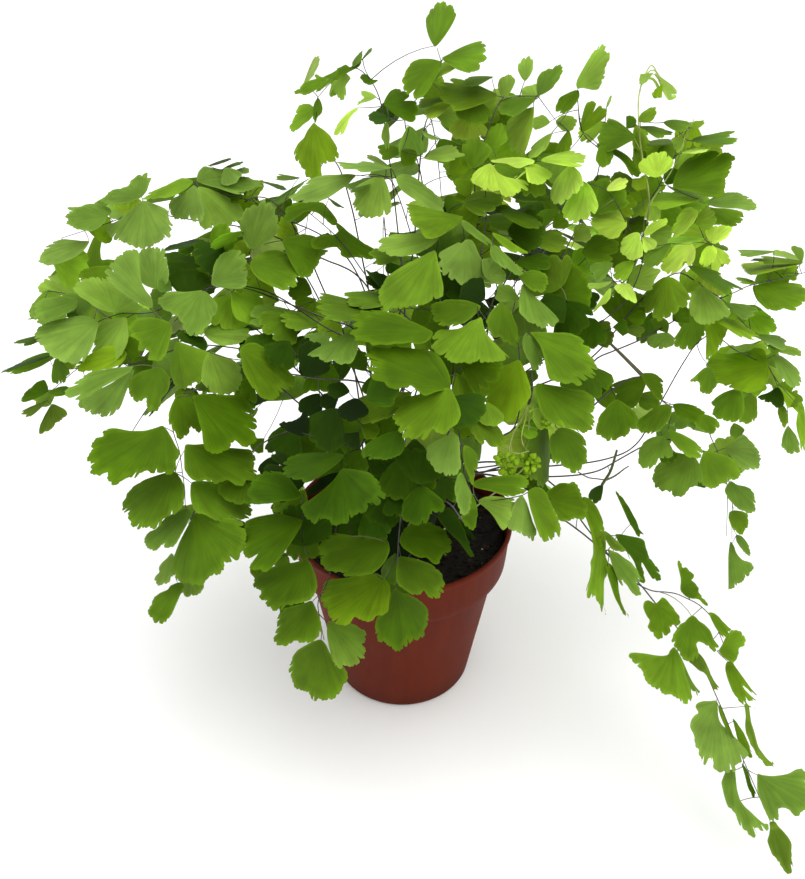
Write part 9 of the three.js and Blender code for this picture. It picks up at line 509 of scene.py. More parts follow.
        (96.8, 9.6, 225, -0.821, -0.301, -0.486, -0.444, -0.199, 0.873, 11.2, -60, 11.2, 11.2, 60, 14, -1, 20.88, ((0, 0), (2.3, 1), (4.9, 2.9), (5.4, 6.2), (3.8, 8.7), (0.7, 10.6), (-2.8, 10.8), (-5.5, 9.5), (-5.2, 6.8), (-3.6, 3.8))),
        (91.6, 1.8, 219.2, 0.224, -0.74, -0.634, 0.411, -0.518, 0.75, 9.4, -60, 9.4, 9.4, 60, 18, -1, 20.15, ((-0, 0), (3.3, 0.4), (5.7, 1.2), (4.9, 3.5), (3.1, 5.8), (0.6, 7.7), (-2, 9.1), (-4.4, 8.3), (-4.4, 5.6), (-3.8, 2.8), (-3, 0.5))),
        (83.9, -11.1, 226.4, -0.956, -0.067, -0.286, -0.272, -0.165, 0.948, 10.3, -60, 10.3, 10.3, 60, 12, 3, 1, ((0, 0), (0.7, 2.7), (1.5, 5.7), (3.4, 9.3), (-0.4, 10.3), (-2, 7), (-2.1, 4.2), (-1.1, 1.9))),
        (85.4, -2.7, 219.6, -0.482, -0.3, -0.823, -0.792, -0.253, 0.556, 13.3, -60, 13.3, 13.3, 60, 18, 1, 1, ((0, 0), (0.9, 2.2), (1.5, 4.7), (1.7, 7.6), (1.9, 10.5), (1.6, 13.2), (0.3, 11.3), (-0.5, 8.2), (-2.6, 6.5), (-3.1, 4), (-1.7, 1.7))),
        (86.9, 6, 226.2, -0.882, 0.074, -0.466, -0.47, -0.062, 0.88, 11.3, -53, 10.5, 9.2, 34, 8, -1, 19.84, (1.5, 2.6, 4.9, 10.7, 12.9, 11.8, 11.2, 11.1, 9.4, 9.4, 9.3, 9.5, 9.7, 9.6, 9.4, 10.9, 11.5, 8.6, 5.8, 2.7, 2.2, 1.2)),
        (93.4, 18.9, 238.6, -0.949, 0.288, -0.133, -0.203, -0.229, 0.952, 17.4, -60, 17.4, 17.4, 60, 16, -1, 22, ((-0, -0), (4, 2.1), (8.1, 4.2), (10.2, 7.3), (11, 11.2), (9.7, 14.4), (6.3, 15.7), (0.9, 15), (-3.7, 13.1), (-7.1, 10.2), (-9.7, 7.1), (-11, 4.5), (-9.7, 2.2), (-5.9, 1.4), (-3.3, -0.3))),
        (74.8, 22.2, 254.6, -0.275, -0.526, -0.805, -0.829, -0.295, 0.475, 16.9, -51, 16, 15.3, 46, 18, 8, 1, (2.2, 4.8, 8.2, 12.2, 16.6, 17.8, 17.7, 17.6, 18.1, 18, 17.6, 17.2, 16.4, 17, 16.4, 17.6, 17, 16.6, 16.6, 16.3, 16.2, 16.1, 16.1, 16.6, 16.5, 16.4, 15.7, 15.3, 11.7, 6.9, 2.8, 0.6)),
        (68.9, 25.3, 260.6, -0.266, -0.502, -0.823, -0.872, -0.24, 0.427, 16.2, -54, 16.3, 16.4, 53, 19, 6, 1, (0.8, 3.9, 9, 12.1, 14.6, 14.6, 14.3, 14.3, 14.3, 14, 14.6, 14.3, 13.7, 15.3, 15.3, 16, 16.3, 16.3, 16.3, 16.3, 16.3, 16.3, 17.3, 16.7, 16.3, 16.4, 16.4, 16.7, 16.7, 16.7, 14.2, 9.7, 3.1, 0.7)),
        (84.2, 23.8, 250.1, 0.864, 0.021, 0.504, -0.482, -0.259, 0.837, 9.5, -60, 9.5, 9.5, 60, 19, 5, 1, ((0, 0), (-2.3, 1.6), (-3.6, 4.3), (-3.5, 6.9), (-1.6, 9), (1, 9.5), (3.8, 7.7), (4, 5.4), (2.1, 2.5))),
        (76.9, 22, 223.5, 0.954, -0.087, 0.286, -0.297, -0.363, 0.883, 13, -52, 13.3, 13.1, 49, 6, -1, 19.07, (1.7, 2.9, 6.4, 10.1, 10.9, 11, 11.3, 11.6, 12.7, 13.2, 14, 15.1, 15.1, 15.7, 15.2, 15.2, 15.7, 13.5, 13.5, 13.5, 13.5, 13.4, 12.9, 11.3, 10.8, 7.1, 4.2, 0.6)),
        (95.4, 13.4, 213.4, 0.913, -0.054, 0.404, -0.399, -0.321, 0.859, 12.5, -52, 12.6, 12.5, 50, 12, -1, 20.88, (0.5, 3.4, 5.8, 9.5, 11.5, 12, 11.8, 12, 12.3, 12.8, 12.8, 13.1, 15.1, 15.1, 15.1, 11.3, 11.6, 12.1, 12.6, 12.6, 12.5, 12.5, 12, 8.3, 4.3, 1.8, 0.5)),
        (79.5, 3.3, 193.9, 0.97, -0.098, 0.223, -0.243, -0.292, 0.925, 11, -51, 11.2, 11, 50, 5, -1, 16.42, (0.4, 2.2, 4.5, 9.8, 11, 11, 11.1, 11.8, 11.6, 10.5, 10.1, 9.6, 10.3, 11.2, 11.4, 11.2, 11.1, 11.1, 12, 11.3, 11.2, 8.2, 6, 2.4, 0.9)),
        (77.1, 14.8, 207.8, 0.8, -0.403, -0.444, 0.245, -0.456, 0.855, 7.6, -50, 7.9, 7.6, 49, 2, -1, 18.21, (0.5, 2.4, 4.4, 6.8, 10.2, 9.2, 8.4, 8, 8, 8.1, 8.1, 8, 8.3, 9.2, 7.8, 7.8, 5.6, 3.5, 1.9, 0.9)),
        (88.5, -2.3, 200.8, 0.974, -0.196, 0.11, -0.168, -0.307, 0.937, 6.4, -52, 6.6, 6.5, 50, 3, 11, 1, (6, 5.3, 7, 5.3, 6.2, 6.2, 6.7, 6.7, 6.7, 6.6)),
        (66.8, -4.7, 214.1, 0.249, -0.916, -0.315, -0.554, -0.402, 0.729, 14.3, -38, 17.4, 15.1, 46, 2, -1, 17.18, ()),
        (79.1, 21.4, 240.5, 0.511, 0.568, 0.645, -0.191, -0.657, 0.73, 14.4, -44, 16.7, 14.8, 47, 6, 8, 0.69, ()),
        (65.6, -11.9, 218.6, -0.856, -0.247, -0.455, -0.226, -0.612, 0.758, 10.2, -56, 10.4, 8.5, 58, 2, 14, 0.95, ()),
        (73.2, 21.9, 215.3, 0.819, 0.516, 0.252, -0.021, -0.412, 0.911, 12.5, -46, 14.5, 12.5, 56, 14, 9, 0.82, ()),
        (65, -3.3, 219.6, -0.634, 0.7, 0.329, -0.205, -0.563, 0.801, 14.3, -60, 15.4, 14.8, 62, 6, 16, 0.3, ()),
        (102.6, 40.7, 245, -0.879, 0.436, 0.194, 0, -0.406, 0.914, 14.2, -60, 14.2, 14.2, 60, 5, -1, 22, ((0, 0), (3, 4.4), (5.3, 9), (4.7, 12.5), (1.8, 14.1), (-1.9, 13.5), (-4, 9.9), (-4.7, 5), (-4.2, 1.6))),
    ]),
    "frond_24": (0, [(17, -10.6, 89), (17.5, -10.6, 96.9), (18, -10.7, 104.7), (18.6, -10.8, 112.6), (18.8, -11, 120.5), (18.1, -11.3, 128.3), (17.5, -11.6, 136.2), (16.8, -12, 144.1), (17, -12.5, 152), (17.7, -13, 159.9), (18.6, -13.5, 167.7), (19.6, -14, 175.6), (20.6, -14.1, 183.4), (21.9, -13.4, 191.1), (23.6, -11.4, 198.5), (25.6, -7.8, 205.2), (27.5, -3.2, 211.3), (29.3, 1.5, 217.4), (31.1, 6.2, 223.5), (32.8, 10.8, 229.7), (34.2, 15.2, 236), (34.7, 19.1, 242.8), (34.4, 22.8, 249.8), (34.9, 26.4, 256.8), (39.8, 29.5, 261.2), (47.5, 30.5, 260.9), (55.3, 31.3, 260.1)], [
        (35.5, 21.3, 262.9, 0.415, -0.702, -0.578, 0.394, -0.434, 0.81, 18.7, -60, 18.7, 18.7, 60, 16, -1, 23.44, ((0, 0), (3.7, 1), (7.3, 2), (11, 4), (13.4, 6.6), (12.8, 9.1), (10.4, 10.4), (9.8, 11.9), (8.2, 12.7), (4.8, 13.1), (2.7, 13), (2.3, 15), (0.6, 16.7), (-3.3, 16.3), (-6.5, 15.2), (-9, 13.6), (-10.7, 15.4), (-12.8, 13.7), (-12.9, 11.7), (-12.2, 10.1), (-9, 9.2), (-5.8, 8.2), (-2.9, 6.8), (-1, 4.6), (-0.9, 2.1))),
        (49.7, 21.6, 261.5, 0.856, -0.339, -0.391, 0.266, -0.36, 0.894, 12.1, -60, 12.1, 12.1, 60, 16, 3, 1, ((0, 0), (-3, 1.5), (-5.3, 3.9), (-5.3, 7.1), (-5.3, 9.5), (-5.1, 11), (-1.4, 11.1), (2.4, 10.4), (5.7, 8.5), (7.4, 6), (6.5, 3.7), (3.5, 2))),
        (55.7, 19.1, 264.5, 0.986, -0.105, 0.127, -0.118, 0.086, 0.989, 18, -55, 18.1, 17.6, 40, 16, 3, 1, (0.7, 3.9, 7.3, 12.4, 17.6, 19.5, 19.1, 18.4, 18, 17.7, 17.7, 17.7, 17.7, 17.4, 17.4, 18.1, 18.5, 17.7, 17.4, 17.4, 17.4, 17.3, 17.3, 17.6, 17.9, 18.6, 18.5, 18.5, 18.7, 15.8, 9.9, 4.6, 2.6, 1.8)),
        (54.2, 22.9, 263.1, -0.997, 0.045, -0.067, -0.078, -0.296, 0.952, 18.2, -60, 18.2, 18.2, 60, 18, -1, 25.48, ((0, -0), (2.2, 3.1), (3.2, 7.1), (2.9, 11.2), (2.5, 15.2), (1.5, 18.1), (0.1, 17.7), (-0.1, 14.5), (-1, 11.3), (-3.2, 9), (-4, 6.6), (-2.3, 4.1), (-1.8, 1.7))),
        (51.6, 32.5, 255.9, -0.997, 0.058, -0.053, -0.055, -0.024, 0.998, 12.7, -53, 13.3, 13, 41, 9, -1, 25.48, (1.3, 2.1, 4.8, 7.7, 11.4, 11.5, 11.6, 11.7, 11.7, 12.1, 12.1, 12.2, 12.2, 12.8, 12.8, 13, 13.5, 13.8, 14.3, 14.2, 14.2, 13.6, 13, 9, 5.3, 3.1, 0.6)),
        (24.9, 17.5, 247.5, 1, -0.026, 0.01, -0.013, -0.096, 0.995, 13.2, -61, 14.3, 13.7, 60, 6, -1, 21.69, (1.4, 3.2, 4.9, 11.2, 14.8, 12.8, 14.6, 15.3, 15.7, 15.3, 17.6, 17.4, 17.5, 17.1, 16.5, 16.3, 16.6, 16.6, 14.3, 14.3, 14.2, 14.2, 14.1, 14.3, 13.4, 13.7, 13.6, 13.5, 13.4, 9.3, 4.5, 2.1, 1.8)),
        (42.9, 35.7, 245.1, 0.978, -0.209, 0.009, 0, 0.041, 0.999, 15.7, -54, 18.2, 18.7, 55, 4, 4, 1, (1.4, 3.5, 6.6, 11.1, 15.1, 14.4, 14, 13.6, 12.8, 21.5, 20, 19.6, 19.1, 18.5, 18.3, 18.4, 18.5, 18.6, 18.6, 18.6, 19.3, 20.1, 21.9, 21.6, 21.2, 21.7, 18.8, 18.1, 18.9, 18.5, 19, 19, 19.1, 14.3, 6.4, 4.7, 2.5)),
        (40.3, 17.4, 244.1, 0.969, -0.166, -0.182, 0.2, 0.097, 0.975, 14.3, -52, 17.3, 18.3, 57, 4, -1, 21.15, (0.6, 4.6, 8.1, 11.7, 14.6, 15, 15.3, 15.7, 16, 16.7, 16.6, 16.9, 16.4, 16.3, 16.1, 16.2, 16.6, 17, 17.3, 17.7, 18.1, 18.8, 18.9, 19.3, 19.4, 19.4, 20.3, 21.1, 19.1, 19.2, 18.2, 18.3, 14.2, 9.3, 5.9, 0.7)),
        (68, 36.4, 236.8, -0.821, 0.262, -0.508, -0.568, -0.271, 0.777, 12.3, -38, 12.6, 12, 28, 9, 15, 1, (0.5, 2.5, 5.5, 9.9, 12.1, 12.1, 12.2, 14, 12.3, 13.1, 11.8, 12.1, 11.3, 11.6, 12.2, 12.2, 8.6, 5.3, 2.9, 0.5)),
        (54.5, 24.4, 228.2, 0.987, -0.162, 0.015, -0.016, -0.003, 1, 16.3, -58, 16, 14.6, 48, 9, -1, 20.08, (2.2, 5.2, 9.6, 13.1, 17.9, 17.6, 16.9, 16.5, 16.5, 16.5, 16.7, 15.1, 15.1, 14.4, 16.3, 16.3, 16.3, 16, 16, 15.6, 15.6, 15.5, 16.9, 16.1, 16, 15.8, 15.6, 15.4, 14.6, 10.5, 6.4, 3.5, 1.5)),
        (28.8, 31.4, 256.7, 0.224, 0.311, 0.924, -0.706, -0.601, 0.374, 12.4, -51, 12.3, 12.1, 51, 9, -1, 23.09, (0.7, 2.6, 5.1, 7.5, 11.9, 10.9, 13.6, 12.6, 12.6, 12.6, 12.6, 12.6, 12.5, 13, 13.3, 12.3, 12.3, 12.3, 10.8, 13.4, 14.1, 11.9, 12.1, 8.5, 6.6, 3.9, 1.3)),
        (38.2, 40.4, 261.6, 0.241, 0.286, 0.928, -0.718, -0.591, 0.368, 9.2, -52, 9.2, 9.1, 51, 14, -1, 23.9, (1.2, 2.5, 2.3, 7.9, 9, 9, 9, 9, 9, 10.9, 11.2, 11.4, 11.4, 9.2, 9.2, 9.1, 9.1, 9.1, 6.7, 3.8, 2, 0.7)),
        (81.3, 42, 244.3, 0.865, -0.018, 0.502, -0.463, -0.412, 0.785, 7.6, -53, 7.8, 7.8, 49, 8, 8, 1, (1, 2.4, 2.4, 5.5, 6.8, 7.5, 7.7, 7.9, 8.9, 10.3, 8.3, 8.7, 8, 7.6, 7.3, 8.1, 2.7, 2.7, 2.5, 1)),
        (18.8, 21.5, 241.9, 0.492, 0.299, 0.818, -0.623, -0.535, 0.57, 7.5, -52, 7.6, 7.5, 50, 4, 5, 1, (0.3, 0.7, 3.9, 6.2, 7.8, 7.5, 7.6, 7.6, 7.6, 6.1, 6.1, 6.4, 7.3, 7.9, 8.1, 7.8, 5.7, 3.6, 2.2, 0.3)),
        (27.4, 28.3, 245.7, -0.278, 0.363, 0.889, 0.602, -0.656, 0.456, 7.6, -50, 7.7, 7.6, 51, 7, -1, 21.69, (1, 1.2, 4.5, 5.8, 6.8, 6.6, 9.2, 10, 8, 7.5, 7.5, 7.5, 7.5, 7.5, 7.5, 7.6, 6.9, 2.2, 1.1, 0.5)),
        (63.3, 20.8, 235.3, 0.755, 0.13, 0.643, -0.548, -0.412, 0.728, 7.1, -52, 7.2, 7.2, 50, 6, 9, 1, (1, 2.2, 2.1, 5.2, 7.2, 7.1, 7.2, 6.2, 6, 6.5, 6.8, 6.8, 6.3, 6.8, 6.8, 4.7, 2.2, 2.3, 1)),
        (44.4, 22, 233.3, 0.975, -0.207, 0.087, -0.196, -0.594, 0.781, 13.2, -55, 14.9, 13.5, 50, 3, 9, 0.52, ()),
        (30.9, -4.5, 214.8, 0.599, -0.672, -0.435, 0.63, 0.061, 0.775, 7.6, -52, 8, 7.5, 49, 2, -1, 16.34, ()),
        (54, 27.2, 258.1, -0.216, -0.416, -0.883, 0.122, -0.909, 0.399, 10.6, -46, 10.9, 10.1, 43, 7, 3, 0.45, ()),
    ]),
    "frond_25": (0, [(9.4, 17.6, 89), (10.4, 17.5, 97), (12.2, 17.3, 104.9), (14.7, 17, 112.5), (18.1, 16.5, 119.9), (22.3, 15.8, 126.7), (27.3, 14.9, 133), (32.9, 13.8, 138.7), (39, 12.3, 143.8), (45.5, 10.7, 148.4), (52.1, 8.8, 152.6), (58.9, 6.6, 156.5), (65.6, 4.2, 160.4), (71.9, 1.2, 164.6), (77.1, -2.5, 169.5), (79.9, -7, 175.5), (79.4, -11.5, 182.1), (77.5, -16.1, 188.6), (80.4, -17.2, 194.6), (87.3, -13, 195.3), (94, -8.4, 195.4), (100.7, -3.9, 195.8), (107.3, 0.7, 196.9), (113.8, 5.4, 198), (120.2, 10.2, 199), (126.5, 15.2, 199.3), (132.8, 20.4, 199.1), (139, 25.6, 198.7), (145.1, 30.9, 198.3), (151.4, 36, 198.1), (157.5, 41.2, 198), (164.8, 44.9, 198), (172.1, 48.3, 197.8), (179.5, 51.7, 197.7), (187, 54.8, 198), (194.5, 56, 200.2)], [
        (169.4, 48, 212.4, -0.927, 0.324, -0.191, -0.076, 0.335, 0.939, 17.7, -48, 18.2, 17.7, 48, 10, -1, 31.54, (0.7, 1.7, 5.6, 8.4, 15.9, 15.6, 15.7, 16.8, 16.9, 16.2, 15.9, 15.6, 15.6, 15.6, 14.9, 14.9, 14.9, 14.9, 15.3, 15.6, 16.3, 17, 17.7, 18, 18.7, 19.7, 20.4, 20.7, 21.3, 21.9, 9.9, 4.7, 1.7, 0.7)),
        (183.4, 48.1, 207, -0.939, 0.338, -0.069, 0, 0.199, 0.98, 18.7, -30, 19, 18.7, 30, 7, 5, 1, (1.9, 4.5, 8.1, 13.2, 18.7, 18.8, 18.4, 16.6, 16.6, 23.5, 23.2, 22.4, 22, 21.7, 20.1, 18.9, 18.9, 19.2, 19.6, 19.9, 19.8, 13.5, 8.2, 4.5, 1.9)),
        (184.8, 51, 205.1, -0.91, 0.325, -0.257, -0.133, 0.358, 0.924, 29.4, -57, 30.5, 29.4, 57, 11, -1, 33.54, (3.9, 8.9, 11.9, 20.3, 30, 33.6, 32, 30.3, 31, 29.9, 28.8, 27.6, 27.1, 26.6, 26, 26.1, 26.1, 25.5, 25.6, 25.6, 25.6, 25.6, 26.2, 26.2, 26.8, 27.4, 28, 28.6, 29.1, 30.3, 31.5, 34.4, 35.5, 37.2, 30.5, 29.9, 29.8, 29.7, 29.6, 29.5, 30.6, 23.7, 13.7, 8.2, 3.9)),
        (161.1, 39.4, 200.7, -0.933, 0.359, 0.014, 0.106, 0.237, 0.966, 9.9, -57, 10.2, 9.9, 57, 12, -1, 30.18, (1.3, 3.2, 5.4, 7.1, 8.5, 8.2, 8.4, 8.7, 8.7, 8.7, 8.8, 8.8, 9.2, 9.6, 10, 10.1, 10.7, 11.5, 12.4, 13.3, 12.5, 9.6, 3.4, 1, 0.6)),
        (158.6, 36.8, 200.5, 0.7, -0.712, -0.05, 0.021, -0.049, 0.999, 24.2, -61, 24, 20.3, 42, 7, 3, 1, (1.3, 3, 8.7, 15.7, 22.7, 23.7, 23.7, 23.7, 23.7, 23.6, 23.6, 23.6, 23.6, 23.6, 23.1, 23.1, 23.1, 23.6, 23.5, 23.5, 23.5, 23.5, 23.5, 23.5, 23.5, 22.1, 22.5, 23.4, 24.2, 25, 24.3, 23.2, 22, 21.7, 21.3, 21, 21.5, 21.1, 21.1, 21.5, 15.8, 11.1, 1.9, 0.8)),
        (183.7, 49.9, 206.1, -0.048, 0.671, 0.74, 0.444, -0.649, 0.617, 10.3, -45, 9.5, 7.5, 22, 8, 2, 1, (1.4, 3, 3.2, 6.2, 9.9, 9.3, 8.1, 7.4, 7.8, 7, 6.7, 6.4, 5.1, 4.3, 2.7, 1.2, 0.3)),
        (170.8, 58.7, 199, -0.331, -0.329, -0.885, -0.941, 0.047, 0.334, 8.1, -51, 7.9, 7.3, 50, 11, -1, 32.61, (0.3, 1.4, 4.3, 6.5, 9.7, 9.2, 8.5, 8.3, 8.1, 8.1, 8.1, 8.5, 9.5, 8.4, 8.2, 8.2, 5.6, 3.7, 2.3, 1)),
        (181.5, 63.7, 193.4, 0.912, -0.298, 0.282, -0.369, -0.297, 0.881, 8.1, -54, 8.2, 8.5, 50, 11, -1, 33.89, (1.1, 2.2, 2.6, 7.3, 8.6, 8.6, 8.6, 8.2, 7.5, 7.2, 7.1, 7.1, 7.1, 7.6, 8.3, 8.1, 8.2, 3.4, 3.1, 2.7, 0.8)),
        (116.4, 8.7, 198.1, 0.604, -0.326, 0.727, -0.576, -0.81, 0.115, 7.4, -49, 8.3, 7.2, 41, 6, -1, 23.5, ()),
        (192.5, 81.2, 188.8, -0.899, -0.265, -0.35, -0.009, -0.785, 0.619, 14.1, -47, 16.3, 14.2, 50, 4, 7, 0.95, ()),
        (84.9, -2.5, 165.7, 0.95, -0.12, 0.287, -0.308, -0.491, 0.815, 8.1, -46, 8.6, 7.9, 56, 6, -1, 14, ()),
        (147.8, 31.3, 200.2, -0.329, 0.432, -0.84, -0.944, -0.187, 0.274, 8.3, -43, 8.6, 7.8, 47, 18, -1, 28.28, ()),
        (112.9, 1.6, 196, -0.657, 0.413, 0.631, -0.742, -0.505, -0.442, 7.6, -58, 8.8, 7.9, 63, 6, -1, 22.6, ()),
        (167.9, 53.4, 182.2, -0.451, -0.561, -0.694, -0.445, -0.533, 0.72, 13.7, -62, 15.6, 14.2, 58, 14, -1, 31.84, ()),
        (74.4, -20, 193.3, 0.076, -0.723, -0.686, 0.017, -0.687, 0.726, 13, -64, 14.6, 11.8, 64, 3, -1, 17.52, ()),
        (135, 39.1, 189.4, 0.013, -0.875, -0.484, 0.069, -0.482, 0.873, 11.7, -63, 14.2, 13.3, 56, 9, -1, 27.78, ()),
        (186.2, 58.2, 202.8, -0.886, 0.424, 0.189, 0, -0.406, 0.914, 14.6, -60, 14.6, 14.6, 60, 13, -1, 34, ((1.8, 0.5), (2.5, 4.5), (2.5, 8.4), (1.4, 11.9), (-1.3, 14.5), (-2.2, 10.8), (-1.1, 7.3), (-1.7, 3.3), (-1.8, -0.5))),
    ]),
    "frond_26": (0, [(4.7, 15.8, 89), (5.4, 16.1, 97), (6.7, 16.1, 104.8), (8.5, 16.1, 112.6), (10.9, 15.4, 120.1), (14.1, 14.1, 127.3), (18.1, 12.7, 134.1), (22.6, 11.1, 140.4), (27.9, 9.7, 146.3), (33.7, 8.4, 151.6), (40, 7.1, 156.4), (46.7, 5.9, 160.6), (53.6, 4.9, 164.4), (60.7, 4.2, 168.1), (67.8, 3.9, 171.7), (74.7, 4.2, 175.6), (81.3, 5.3, 180), (87, 7.3, 185.1), (91.8, 9.5, 191.1), (96.5, 11.7, 197.2), (101.4, 14.1, 202.9), (106.7, 17.1, 208), (112.9, 20.3, 211.9), (120.3, 22.8, 213.7), (127.2, 22.2, 210.1), (133.6, 22.6, 205.5), (139.8, 24.8, 201.1), (145.8, 26, 196), (151.2, 25.5, 190.2), (156.9, 25.4, 184.7), (163.5, 26.6, 180.4), (170.3, 28.5, 176.7), (177.1, 30.4, 173)], [
        (111.6, 10.1, 218.3, -0.214, -0.549, -0.808, -0.82, -0.349, 0.454, 18.8, -58, 19.3, 18.3, 58, 9, -1, 21.73, (2.3, 5, 8.6, 12.5, 16.5, 17, 17, 17.8, 17.1, 17.1, 17.2, 17.2, 16.9, 18.4, 18.1, 17.7, 17.7, 18.1, 19.3, 18.9, 18.9, 18.9, 18.5, 18.5, 17.3, 17.3, 17.2, 17.5, 17.9, 17.8, 18.1, 16.5, 16.8, 19.7, 20.3, 19.1, 20.1, 13.2, 7.9, 4.2, 2.1)),
        (128.2, 14.6, 211.4, 0.222, -0.684, -0.695, 0.362, -0.604, 0.71, 17.6, -60, 17.6, 17.6, 60, 12, -1, 24.09, ((-0, -0), (4.3, 1.4), (7.9, 4.3), (9.6, 7.7), (10.3, 11.3), (9.1, 14.1), (6.6, 16.1), (3.3, 17.3), (-0.7, 16.8), (-4, 15.4), (-8.5, 14.9), (-11.4, 12.9), (-10.1, 10.5), (-8.3, 7.6), (-5.5, 4.6), (-2.6, 2))),
        (121.5, 17.1, 219.6, 0.883, -0.396, -0.252, 0.306, 0.078, 0.949, 21.6, -47, 22.2, 21.6, 47, 4, -1, 23.03, (0.9, 5.7, 10.6, 14, 20.3, 19.5, 18.2, 17.4, 16.6, 15.8, 14.9, 14.5, 17.6, 18.1, 26.5, 25.7, 25.3, 24.8, 24.4, 24, 20, 20.4, 20.8, 21.3, 21.2, 21.6, 22, 22, 22.4, 23.2, 24, 26.1, 26.5, 23, 22, 14, 5.3, 6, 0.9)),
        (142, 21.6, 199.7, 0.865, -0.501, 0.022, 0.054, 0.136, 0.989, 10.3, -31, 14.3, 18.7, 51, 8, -1, 26.25, (1.1, 3.2, 4.4, 5, 8.9, 12.2, 11.2, 11.2, 13.3, 14.6, 14.8, 14.3, 14.1, 14, 14.3, 15, 15.4, 15.9, 16.5, 17.1, 17.7, 18.3, 11.3, 5.6, 5.8, 2.5)),
        (158.6, 35.2, 186.6, 0.7, -0.689, -0.189, 0.021, -0.245, 0.969, 14.6, -60, 14.6, 14.6, 60, 14, -1, 29.1, ((0, -0), (-4.5, 1.4), (-8.4, 3.2), (-7.5, 7), (-6.2, 10.4), (-2.2, 13.9), (2.1, 14.5), (5, 12.7), (7.1, 9.8), (8, 6.2), (6.6, 2.1))),
        (136.5, 13.4, 196.7, 0.875, -0.396, -0.277, 0.35, 0.125, 0.928, 19.9, -57, 20.6, 19.9, 57, 11, 3, 1, (2.5, 5.2, 11.4, 14.9, 20.3, 20.4, 19.6, 19.7, 20.2, 20.6, 20.7, 24.8, 24, 23.3, 22.9, 23, 20.1, 19.7, 19.3, 18.9, 18.5, 18.5, 18.1, 18.1, 18.1, 17.7, 17.7, 19.3, 20, 20.4, 20.4, 20.3, 19.9, 19.8, 18.1, 18.9, 20, 21.2, 19.5, 8.9, 8.4, 4.3, 1.8)),
        (156.1, 18.9, 185.2, 0.909, -0.394, -0.132, 0.226, 0.202, 0.953, 16.6, -49, 17.1, 16.6, 49, 10, -1, 29.1, (2.2, 5.1, 8.2, 9.6, 15.3, 16.3, 16.4, 16.5, 16.5, 16.6, 16.6, 16.7, 14.6, 14.3, 14.3, 14.7, 14.7, 15, 15, 15.4, 15.7, 15.6, 16.3, 16.6, 16.9, 16.1, 16.1, 16, 15.9, 10.3, 2.9, 3.1, 2.2)),
        (163.8, 19.9, 179.5, 0.908, -0.418, -0.015, -0.074, -0.196, 0.978, 15.7, -60, 15.7, 15.7, 60, 12, -1, 30.02, ((0, -0), (-2.7, 3.4), (-2.8, 7.8), (-2.9, 12.1), (-2.4, 14.7), (2.3, 15.5), (2.9, 11.8), (3.1, 7.5), (2.4, 3.5))),
        (114.2, 5, 194.4, -0.539, -0.244, -0.806, -0.685, -0.43, 0.588, 10.7, -60, 10.7, 10.7, 60, 10, -1, 20.28, ((0, 0), (3.1, 2.3), (5.9, 5), (6.9, 8.2), (3.3, 9.2), (-0.2, 8.7), (-2.7, 7.2), (-4.9, 5.4), (-6.5, 2.9), (-4.8, 0.3))),
        (129.2, 23.5, 192.3, -0.047, -0.398, -0.916, 0.564, -0.768, 0.304, 16.1, -60, 16.1, 16.1, 60, 9, -1, 25.34, ((0, 0), (2.4, 1.8), (6.1, 3.9), (8.2, 7), (11.7, 10.5), (8.5, 13.7), (3.1, 14.7), (-1.1, 15.2), (-4.9, 13.5), (-7.2, 10.9), (-9.5, 8.2), (-10.3, 4.6), (-7, 1.4))),
        (110.4, 20.9, 195.7, -0.258, -0.457, -0.851, -0.923, -0.143, 0.356, 15.3, -40, 15.5, 14.9, 38, 7, -1, 20.69, (0.6, 2.6, 5.4, 13.2, 13.2, 18.1, 16.6, 15.7, 15.4, 15.1, 14.5, 13.6, 13.6, 13.9, 14.2, 15.1, 15.4, 14.7, 14, 14.5, 14.4, 14.3, 13.1, 6.3, 1.9, 2)),
        (122.7, 21.7, 204.6, 0.502, 0.261, 0.825, -0.752, -0.339, 0.565, 11.1, -50, 10.9, 10.4, 52, 16, -1, 24.09, (1.5, 2.2, 5.5, 10.7, 11.1, 11.5, 13, 12.7, 11.4, 11.4, 10.5, 10.5, 10.7, 8.7, 8.7, 8.9, 9.2, 9.6, 9.3, 9.4, 10.6, 6.9, 5, 2.9, 1.2)),
        (160, 31.9, 171.1, 0.918, -0.396, 0.014, -0.145, -0.301, 0.943, 9.3, -53, 9.5, 9.7, 49, 16, -1, 30.51, (0.4, 1.4, 3.3, 6.3, 11, 11.4, 11.6, 9.4, 9.5, 9.5, 9.7, 9.7, 12.4, 9.3, 9.2, 9, 9.6, 9.7, 9.7, 7.1, 4.5, 1.7, 0.4)),
        (97.1, 9.5, 198.7, 0.97, -0.202, 0.133, -0.192, -0.31, 0.931, 7, -52, 7.2, 7.1, 50, 4, -1, 19.34, (0.9, 1.7, 2, 2, 6.6, 7.9, 8, 8.3, 7.5, 7.5, 7.5, 7.2, 6.9, 6.8, 6.8, 5, 1.2, 1.5, 0.8)),
        (98.4, 13.8, 192.1, 0.003, 0.729, 0.684, -0.057, -0.683, 0.728, 16.1, -46, 16.6, 15, 49, 4, -1, 18.73, ()),
        (95.6, 15.1, 190.8, 0.995, 0.088, -0.051, 0.07, -0.225, 0.972, 9, -40, 10.4, 8.9, 41, 12, 14, 0.95, ()),
    ]),
